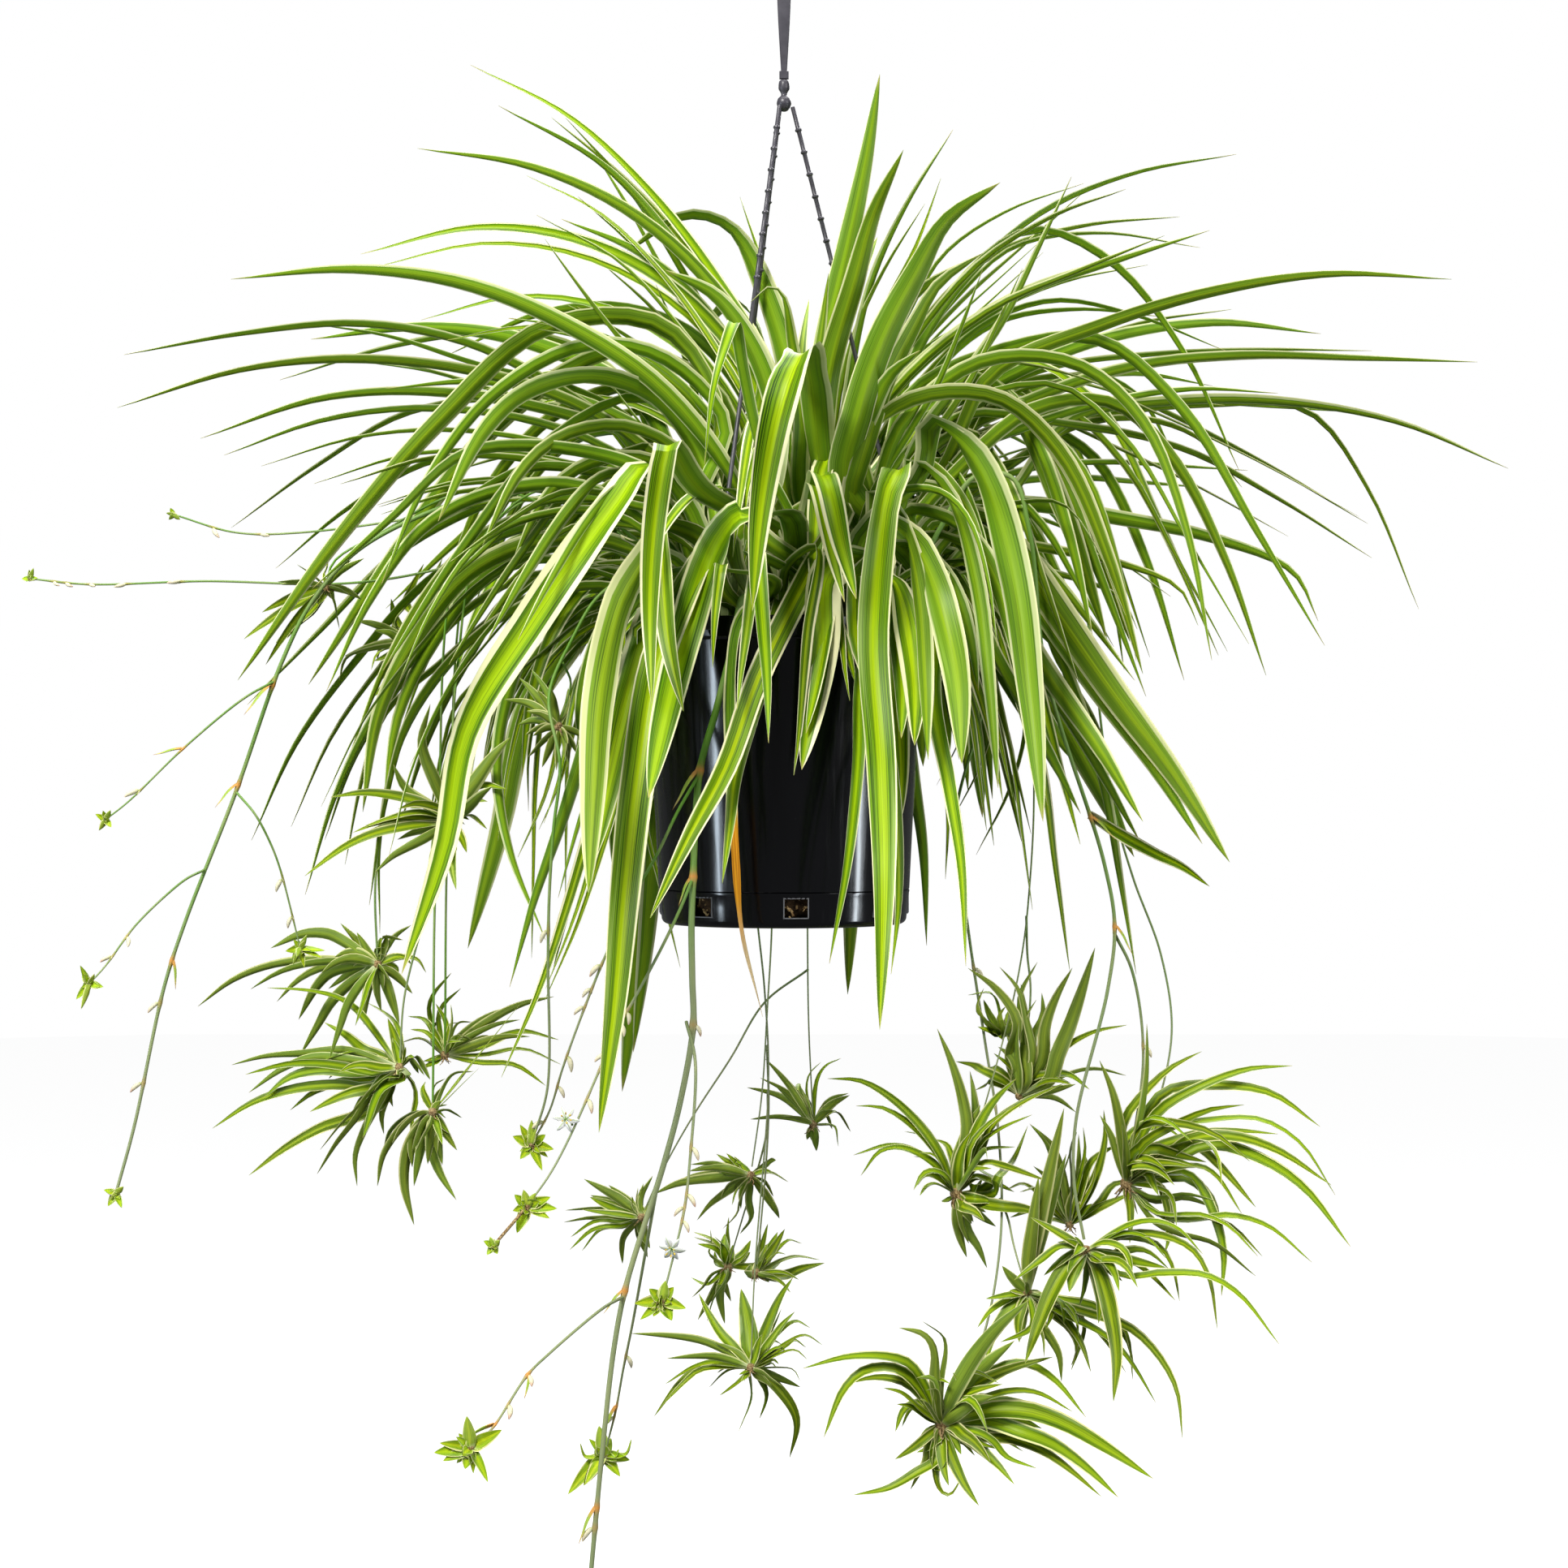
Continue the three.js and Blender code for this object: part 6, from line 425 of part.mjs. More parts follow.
    [3,0.27,2.3,0.8,[116.2,30,-843.7,-0.01,0.82,0.57,139.9,31.1,-845,-0.06,0.42,0.91,141.8,6.2,-831.1,-0.8,0.54,0.26,156.8,45.1,-821.7,-0.92,0.37,0.16,166.5,55,-801.6,-0.84,0.53,0.14]],
    [2.32,0.27,2.3,0.8,[116.2,30,-843.7,-0.64,-0.77,0.07,107.5,39,-824.3,-0.61,-0.79,0.02,94.2,46.1,-806.3,-0.38,-0.9,-0.22,82.5,49.7,-804.4,-0.32,-0.92,-0.24]] ] },
  plantlet_right_3: { crowns: [[196.2, 64.5, -869.6, 5]], leaves: [
    [3.33,0.27,2.3,0.8,[196.2,64.5,-869.6,0.95,0.19,0.26,190.9,57.9,-845.8,0.94,0.18,0.28,179,51.3,-811.1,0.8,0.14,0.58,167.6,49,-799.3,0.7,0.12,0.7]],
    [3,0.27,2.3,0.8,[196.2,64.5,-869.6,0.77,0.58,0.26,194.1,59.6,-852.5,0.78,0.62,-0.03,201.1,59.7,-838,0.77,0.64,-0.08,201.4,54.2,-823.6,0.79,0.59,0.16,201,51.2,-806.8,0.79,0.6,0.12]],
    [3.33,0.27,2.3,0.8,[196.2,64.5,-869.6,-0.68,0.58,0.44,202.3,53,-845,-0.71,0.62,0.34,208.1,56.1,-829.2,-0.75,0.6,0.28,213.6,56.5,-822.4,-0.42,0.56,0.71,228.2,51.2,-813.4,-0.3,0.53,0.79]],
    [3,0.27,2.3,0.8,[196.2,64.5,-869.6,-0.76,0.36,0.55,207.9,53,-845.9,-0.79,0.38,0.49,215.1,49.7,-827.7,-0.86,0.41,0.29,219,49.7,-808.3,-0.9,0.44,0.09,217.8,47.7,-789.8,-0.89,0.45,-0.01]],
    [3,0.27,2.3,0.8,[196.2,64.5,-869.6,-0.22,-0.75,-0.62,181.5,60.2,-859.2,-0.06,-0.84,-0.54,173.5,58.4,-857.9,0.24,-0.83,-0.51,154.8,55.3,-863.8,0.31,-0.74,-0.6]],
    [3,0.27,2.3,0.8,[196.2,64.5,-869.6,-0.32,0.53,0.78,215.2,58.5,-857.9,-0.29,0.53,0.79,237.9,53.9,-847,-0.28,0.53,0.8]],
    [3,0.27,2.3,0.8,[196.2,64.5,-869.6,-0.33,-0.75,-0.57,178.1,58.4,-851.3,-0.32,-0.76,-0.57,161.8,55.1,-840.6,0.22,-0.9,-0.37,151.9,53.6,-844.7,0.28,-0.89,-0.35]] ] },
  plantlet_right_4: { crowns: [[226.7, -10, -831.9, 7]], leaves: [
    [3.2,0.27,2.3,0.8,[226.7,-10,-831.9,-0.78,0.54,0.33,234.5,-17.6,-801.4,-0.73,0.52,0.44,247.9,-23.3,-781.2,-0.54,0.47,0.7,270.5,-27.7,-766.9,-0.35,0.44,0.83,303.6,-28.4,-754.6,-0.19,0.41,0.89,332.8,-31.3,-752,-0.04,0.4,0.92]],
    [3.74,0.27,2.3,0.8,[226.7,-10,-831.9,-0.84,0.47,0.27,239.5,-14.1,-785.5,-0.64,0.69,0.33,252.5,-15.5,-770,-0.17,0.76,0.62,284.2,-20.7,-765.6,0.07,0.42,0.91,319.5,-26.6,-770.2,0.39,0.36,0.85,350.9,-31.1,-791.8,0.57,0.33,0.75]],
    [3.74,0.27,2.3,0.8,[226.7,-10,-831.9,-0.4,0.48,0.78,252.2,-20.5,-812,-0.36,0.47,0.81,268.2,-35.5,-798.6,-0.19,0.47,0.86,297.2,-26.5,-798.9,0.09,0.4,0.91,324.7,-27.3,-808.1,0.45,0.38,0.81,358,-32.8,-829.9,0.55,0.36,0.75]],
    [3,0.27,2.3,0.8,[226.7,-10,-831.9,-0.33,0.93,0.19,248.3,-9.2,-797.8,-0.2,0.9,0.38,281.3,-16.1,-789,0.12,0.86,0.5,313.5,-24.2,-787.8,0.28,0.84,0.47,339,-27.4,-802.9,0.46,0.82,0.35,361.1,-30.4,-836.6,0.53,0.8,0.27]],
    [3.73,0.27,2.3,0.8,[226.7,-10,-831.9,-0.32,0.52,0.79,257.1,-17.4,-814.8,-0.28,0.58,0.77,281.4,-20,-804.5,0.08,0.53,0.85,316.6,-26.1,-814.9,0.44,0.32,0.84,342.6,-29.2,-833.5,0.71,0.28,0.65,370.4,-34.3,-870,0.78,0.27,0.56]],
    [3,0.27,2.3,0.8,[226.7,-10,-831.9,-0.47,0.71,0.52,239.6,-17.7,-809.5,-0.45,0.69,0.57,257.8,-13.5,-802.9,-0.25,0.65,0.72,274.3,-17.7,-797.4,-0.02,0.61,0.79,296.3,-22,-795.5,0.1,0.6,0.79,324,-26.5,-797.2,0.14,0.6,0.79]],
    [3,0.27,2.3,0.8,[226.7,-10,-831.9,0.54,0.76,0.36,249.3,-16.2,-852.3,0.43,0.82,0.38,265.1,-19.8,-854.5,0.17,0.86,0.48,293.2,-25.8,-850.6,0.15,0.8,0.59,318,-27.5,-857.5,0.38,0.76,0.52,345.6,-31,-880.6,0.48,0.75,0.46]],
    [3,0.27,2.3,0.8,[226.7,-10,-831.9,-0.36,0.81,-0.46,244.5,-16,-856.2,-0.29,0.79,-0.53,259.7,-19.2,-863.4,-0.08,0.75,-0.66,282.3,-23.5,-869.2,-0.21,0.77,-0.61,309.6,-26.7,-890.4,-0.32,0.78,-0.53]],
    [3.75,0.27,2.3,0.8,[226.7,-10,-831.9,-0.54,0.63,0.56,246.7,-10.7,-812.1,-0.43,0.75,0.51,261.5,-6.8,-806.8,-0.11,0.83,0.54,273.7,-10,-807.7,0.52,0.72,0.46,287.5,-17.7,-819.4,0.72,0.43,0.54,310,-23.7,-845.5,0.75,0.36,0.56]],
    [3.74,0.27,2.3,0.8,[226.7,-10,-831.9,-0.13,0.63,0.77,256,-14.5,-823.2,0.01,0.81,0.58,268.9,-15,-825.5,0.31,0.89,0.34,279.9,-15.9,-841.7,0.83,0.48,0.29,289.4,-20.7,-874.2,0.98,0.18,0.09,287.4,-25.2,-904,0.98,0.16,-0.09]],
    [3,0.27,2.3,0.8,[226.7,-10,-831.9,0.09,0.76,0.64,253.4,-22.6,-820.5,0.11,0.8,0.6,272.6,-26.4,-818.1,0.28,0.86,0.43,282.9,-30.6,-823.6,0.64,0.73,0.24,298.5,-39.6,-847.5,0.68,0.71,0.18]],
    [3.19,0.27,2.3,0.8,[226.7,-10,-831.9,0.98,0.09,0.18,223.4,-20.4,-808.3,0.98,0.08,0.19,214.6,-34.6,-767.9,0.94,0.03,0.34,205.7,-41.2,-747.8,0.91,0.01,0.41]],
    [3,0.27,2.3,0.8,[226.7,-10,-831.9,0.8,0.58,0.15,230.6,-22.7,-804.6,0.8,0.59,0.13,236.3,-41,-752.4,0.8,0.57,0.17,235.3,-50.3,-723.3,0.8,0.56,0.21]],
    [3,0.27,2.3,0.8,[226.7,-10,-831.9,0.86,0.5,-0.13,228.3,-16,-844,0.86,0.49,-0.16,227.2,-24.9,-869.3,0.86,0.46,-0.22]],
    [3,0.27,2.3,0.8,[226.7,-10,-831.9,-0.21,0.71,0.67,239.9,-17.2,-820.1,-0.11,0.72,0.68,247.5,-22.1,-815.6,0.13,0.63,0.76,255.6,-26.9,-814.8,0.29,0.59,0.75,272.3,-30.4,-818.5,0.29,0.59,0.75]] ] },
  plantlet_right_5: { crowns: [[195.8, -50.5, -869.6, 5]], leaves: [
    [5.25,0.27,2.3,0.8,[195.8,-50.5,-869.6,0.58,-0.68,-0.46,182.9,-55,-879.2,0.65,-0.65,-0.38,173.5,-59,-893.4,0.76,-0.6,-0.25,154.7,-70.3,-939.5,0.83,-0.53,-0.18]],
    [5.24,0.27,2.3,0.8,[195.8,-50.5,-869.6,0.85,0.35,0.39,204,-55.3,-883.2,0.91,0.32,0.25,210.9,-62.1,-910,0.95,0.3,0.1,213.8,-68.2,-935,0.96,0.27,-0.06,211,-75,-963,0.95,0.26,-0.16]],
    [3,0.27,2.3,0.8,[195.8,-50.5,-869.6,0.56,0.73,0.39,219.4,-60.7,-884.5,0.41,0.76,0.5,243.5,-68.4,-881.2,0.17,0.77,0.62,271.3,-74.5,-882.2,0.31,0.75,0.59,291,-78.6,-893.5,0.6,0.68,0.42,315,-87.5,-923.8,0.7,0.62,0.37]],
    [3,0.27,2.3,0.8,[195.8,-50.5,-869.6,0.09,0.88,0.47,215.9,-50.5,-873.6,0.21,0.87,0.45,227.7,-54,-877.6,0.43,0.83,0.36,238.2,-56.7,-885.6,0.58,0.78,0.23,251.8,-65.4,-899.7,0.64,0.75,0.15]],
    [3,0.27,2.3,0.8,[195.8,-50.5,-869.6,-0.06,0.81,0.58,223.2,-56.9,-858,0.04,0.79,0.61,245.6,-61.2,-859,0.27,0.76,0.58,263.3,-64,-867.4,0.54,0.73,0.42,273.6,-66.5,-885.4,0.76,0.65,0.08,277.6,-74.5,-916.3,0.81,0.58,-0.04]],
    [3.15,0.27,2.3,0.8,[195.8,-50.5,-869.6,0.05,-0.81,-0.59,182.3,-53.7,-866.3,0.15,-0.88,-0.44,176.3,-55.1,-867.2,0.36,-0.88,-0.3,148.6,-61.5,-887.3,0.54,-0.66,-0.53]],
    [3.41,0.27,2.3,0.8,[195.8,-50.5,-869.6,0.23,-0.01,0.97,219.9,-59.7,-874.1,0.17,0.01,0.99,246.4,-62.3,-879.3,0.18,0.01,0.98]],
    [3,0.27,2.3,0.8,[195.8,-50.5,-869.6,-0.31,-0.62,-0.72,184.2,-53.8,-861.7,-0.3,-0.62,-0.73,159.3,-59.4,-847.3,-0.28,-0.61,-0.74]],
    [3,0.27,2.3,0.8,[195.8,-50.5,-869.6,-0.05,0.9,0.43,221.4,-57.1,-852.8,0,0.89,0.45,237.2,-60.6,-849,0.19,0.87,0.46,253.6,-63.8,-853.5,0.42,0.84,0.35,269.1,-68.1,-869.5,0.51,0.82,0.27]] ] },
  plantlet_right_6: { crowns: [[160.4, -20, -902.2, 5]], leaves: [
    [3,0.27,2.3,0.8,[160.4,-20,-902.2,0.38,0.63,0.68,176.6,-21,-910.3,0.53,0.6,0.59,186.4,-24.1,-921.2,0.74,0.55,0.38,194.8,-29.4,-933.9,0.8,0.54,0.26,201,-30.7,-952.4,0.81,0.53,0.23]],
    [3,0.27,2.3,0.8,[160.4,-20,-902.2,0.25,0.77,0.59,185.9,-22.5,-909.8,0.22,0.86,0.45,196.2,-21.2,-917.7,0.3,0.93,0.21,197.6,-22.7,-926,0.58,0.75,-0.31,188.4,-29.3,-951.7,0.74,0.53,-0.41]],
    [3.2,0.27,2.3,0.8,[160.4,-20,-902.2,-0.79,0.46,-0.41,167.8,-24.1,-921.1,-0.76,0.45,-0.48,180.6,-27.7,-942.2,-0.84,0.48,-0.25,181.9,-30,-959,-0.86,0.49,-0.13]],
    [3,0.27,2.3,0.8,[160.4,-20,-902.2,0.37,0.53,0.76,195,-29.2,-912.8,0.36,0.54,0.76,225.2,-34.3,-922.2,0.46,0.52,0.71,243.6,-35.9,-939.3,0.72,0.48,0.5,256.2,-38.5,-962.5,0.88,0.43,0.21,259.5,-42.2,-993.6,0.91,0.41,0.05]],
    [3,0.27,2.3,0.8,[160.4,-20,-902.2,0.55,0.76,0.35,181.7,-29.9,-913.9,0.42,0.81,0.42,204,-31.1,-924.3,0.33,0.82,0.46,218.3,-32.9,-934.8,0.5,0.79,0.34,229.4,-36.7,-948.9,0.57,0.78,0.27,242.6,-38.1,-971.1,0.56,0.78,0.28]],
    [3,0.27,2.3,0.8,[160.4,-20,-902.2,0.18,0.92,0.35,195.7,-23.2,-911.7,0.21,0.92,0.35,218.1,-26.4,-919.7,0.34,0.9,0.29,225.3,-28.7,-929.2,0.53,0.85,0,228.4,-32.8,-957.4,0.54,0.84,-0.06]],
    [4.78,0.27,2.3,0.8,[160.4,-20,-902.2,0.95,-0.28,-0.14,166.4,-28.7,-856.3,0.94,-0.27,-0.22,182.6,-39.5,-779.2,0.94,-0.27,-0.23]],
    [3,0.27,2.3,0.8,[160.4,-20,-902.2,0.22,-0.82,-0.53,150.8,-21.8,-903.3,0.21,-0.82,-0.53,132.8,-24.4,-905.7,0.18,-0.82,-0.54]],
    [3.2,0.27,2.3,0.8,[160.4,-20,-902.2,0.7,-0.19,0.69,153.6,-21.6,-895.7,0.71,-0.19,0.68,143.5,-23.8,-884.4,0.77,-0.18,0.62]],
    [4.27,0.27,2.3,0.8,[160.4,-20,-902.2,0.53,-0.67,-0.52,154.7,-21.6,-905.9,0.61,-0.65,-0.45,142.5,-24.6,-920.1,0.67,-0.64,-0.37,136.5,-26.4,-930.7,0.77,-0.61,-0.19,132.5,-28.6,-947.5,0.8,-0.59,-0.11]] ] },
  plantlet_right_7: { crowns: [[102.7, -40, -985, 7]], leaves: [
    [5.78,0.27,2.3,0.8,[102.7,-40,-985,-0.15,0.62,0.77,130.3,-46.3,-974.5,-0.05,0.6,0.8,155.1,-51.4,-973.1,0.18,0.56,0.81,177.9,-55.1,-979.2,0.41,0.51,0.75,207,-61.5,-994.7,0.53,0.42,0.73,237.2,-69.1,-1013.8,0.56,0.42,0.72]],
    [4.73,0.27,2.3,0.8,[102.7,-40,-985,-0.04,0.48,0.88,130.8,-43.6,-981.9,0.15,0.44,0.88,154.8,-54.6,-986.8,0.36,0.41,0.84,173.6,-56.2,-993.9,0.47,0.4,0.79,194.5,-59.3,-1008.2,0.62,0.37,0.69,215.3,-64.4,-1026.9,0.67,0.36,0.65]],
    [3.16,0.27,2.3,0.8,[102.7,-40,-985,0.34,0.33,0.88,125.8,-47.1,-991.3,0.21,0.37,0.91,149.7,-45.3,-993.6,0.22,0.36,0.91,167.9,-50.9,-999.9,0.49,0.32,0.81,204.6,-61.8,-1027,0.65,0.29,0.7]],
    [3.42,0.27,2.3,0.8,[102.7,-40,-985,-0.55,0.62,0.56,123.3,-44.6,-959.3,-0.47,0.66,0.59,142.2,-46.3,-946,-0.24,0.7,0.67,157.1,-48.1,-943.6,0.26,0.66,0.7,174.6,-51.7,-952.8,0.61,0.58,0.54,195.1,-57.1,-976.7,0.72,0.45,0.53]],
    [3,0.27,2.3,0.8,[102.7,-40,-985,-0.15,0.87,0.48,125.3,-45.1,-968.7,-0.1,0.86,0.51,148.1,-48.7,-961.2,0.04,0.83,0.55,164.9,-51.4,-962.1,0.3,0.8,0.52,186.4,-55.2,-973.4,0.39,0.79,0.48]],
    [3.69,0.27,2.3,0.8,[102.7,-40,-985,-0.61,0.62,0.49,113.3,-44.3,-966.1,-0.53,0.6,0.6,125.6,-49.2,-955.7,-0.32,0.55,0.77,147.8,-52.9,-945.6,-0.23,0.54,0.81,173.8,-55.1,-938.2,-0.19,0.53,0.82]],
    [3.16,0.27,2.3,0.8,[102.7,-40,-985,-0.79,-0.46,-0.4,90.8,-44.9,-956.3,-0.66,-0.6,-0.45,81.6,-47.5,-943.8,-0.38,-0.63,-0.68,67.6,-49.7,-938.8,-0.03,-0.58,-0.81,41.5,-53.3,-938.2,0.17,-0.56,-0.81,12.1,-57.8,-945.1,0.27,-0.55,-0.79]],
    [4.22,0.27,2.3,0.8,[102.7,-40,-985,-0.67,-0.55,-0.5,84.1,-44.3,-955.4,-0.44,-0.75,-0.49,70.9,-46.2,-946.8,-0.03,-0.83,-0.56,51.9,-48,-948.4,0.31,-0.79,-0.52,38.6,-49.9,-960.2,0.66,-0.67,-0.33,25.8,-53.4,-990.6,0.81,-0.52,-0.28]],
    [3.17,0.27,2.3,0.8,[102.7,-40,-985,0.87,-0.49,0.03,99.6,-46.8,-1005.3,0.78,-0.56,-0.27,85.7,-49.8,-1013.9,0.43,-0.65,-0.63,67.2,-49.5,-1024.3,0.29,-0.67,-0.69,45.2,-52.6,-1028.1,0.22,-0.68,-0.7]],
    [3,0.27,2.3,0.8,[102.7,-40,-985,-0.67,-0.55,0.51,94.4,-39.9,-995.7,-0.75,-0.55,0.37,92.4,-40.9,-1007.1,-0.72,-0.56,0.4,82.2,-47.6,-1025.6,-0.68,-0.54,0.49]],
    [3.68,0.27,2.3,0.8,[102.7,-40,-985,0.88,-0.26,0.39,106.8,-47.4,-999.2,0.87,-0.24,0.42,117.5,-59.3,-1021.4,0.78,-0.16,0.6,125.3,-66,-1031.7,0.74,-0.14,0.65]],
    [3.68,0.27,2.3,0.8,[102.7,-40,-985,0.86,0.46,-0.23,98.7,-48.3,-1016.4,0.64,0.74,-0.19,102.6,-50.9,-1026.5,0.4,0.91,0.01,107.5,-52,-1027.9,0.12,0.96,0.26,114.5,-55,-1017,-0.24,0.89,0.39]],
    [3.42,0.27,2.3,0.8,[102.7,-40,-985,0.55,0.42,0.72,116.8,-47.6,-991.5,0.59,0.4,0.7,137.3,-59.7,-1006.2,0.76,0.32,0.57,148.1,-68,-1017.7,0.79,0.3,0.53]],
    [3,0.27,2.3,0.8,[102.7,-40,-985,0.4,0.7,0.59,126.9,-51.2,-988,0.48,0.75,0.46,135.4,-56.4,-992.3,0.68,0.68,0.3,143.4,-62,-1001,0.61,0.69,0.38,161.9,-72.1,-1006.3,0.52,0.73,0.45]],
    [3.67,0.27,2.3,0.8,[102.7,-40,-985,0.89,0.35,0.3,97.6,-54.5,-953.4,0.89,0.38,0.25,96.2,-60.8,-931.3,0.67,0.64,0.38,89.6,-65.2,-921.6,0.23,0.58,0.78,73.9,-72.4,-916.2,0.05,0.52,0.85]],
    [2.75,0.27,2.3,0.8,[102.7,-40,-985,0.48,-0.84,-0.26,102.2,-49.6,-955.2,0.48,-0.81,-0.33,104.5,-60.6,-931.6,0.48,-0.79,-0.38,102.4,-64.9,-922.7,0.53,-0.84,-0.08,89,-72.1,-912.1,0.55,-0.83,0.12]],
    [3,0.27,2.3,0.8,[102.7,-40,-985,0.01,-0.86,-0.51,75.5,-53.9,-961.1,0.11,-0.84,-0.54,64.5,-58.4,-957.5,0.15,-0.82,-0.55]],
    [5.24,0.27,2.3,0.8,[102.7,-40,-985,0.73,-0.48,-0.49,109.5,-52.3,-963,0.71,-0.47,-0.52,121.9,-64.1,-937.4,0.67,-0.43,-0.61,136.1,-77.5,-915.8,0.57,-0.38,-0.72,155.4,-94.3,-894.7,0.52,-0.36,-0.77]],
    [3,0.27,2.3,0.8,[102.7,-40,-985,0.51,0.18,-0.84,91.8,-45.7,-992.8,0.49,0.17,-0.85,71.9,-55,-1004.4,0.42,0.14,-0.89]],
    [3,0.27,2.3,0.8,[102.7,-40,-985,-0.63,0.68,0.37,111,-47.1,-958.1,-0.37,0.83,0.41,116.7,-51.1,-950.1,0.06,0.86,0.5,124.8,-54,-948,0.38,0.8,0.46,138.3,-59.1,-954.2,0.48,0.77,0.41]] ] },
};

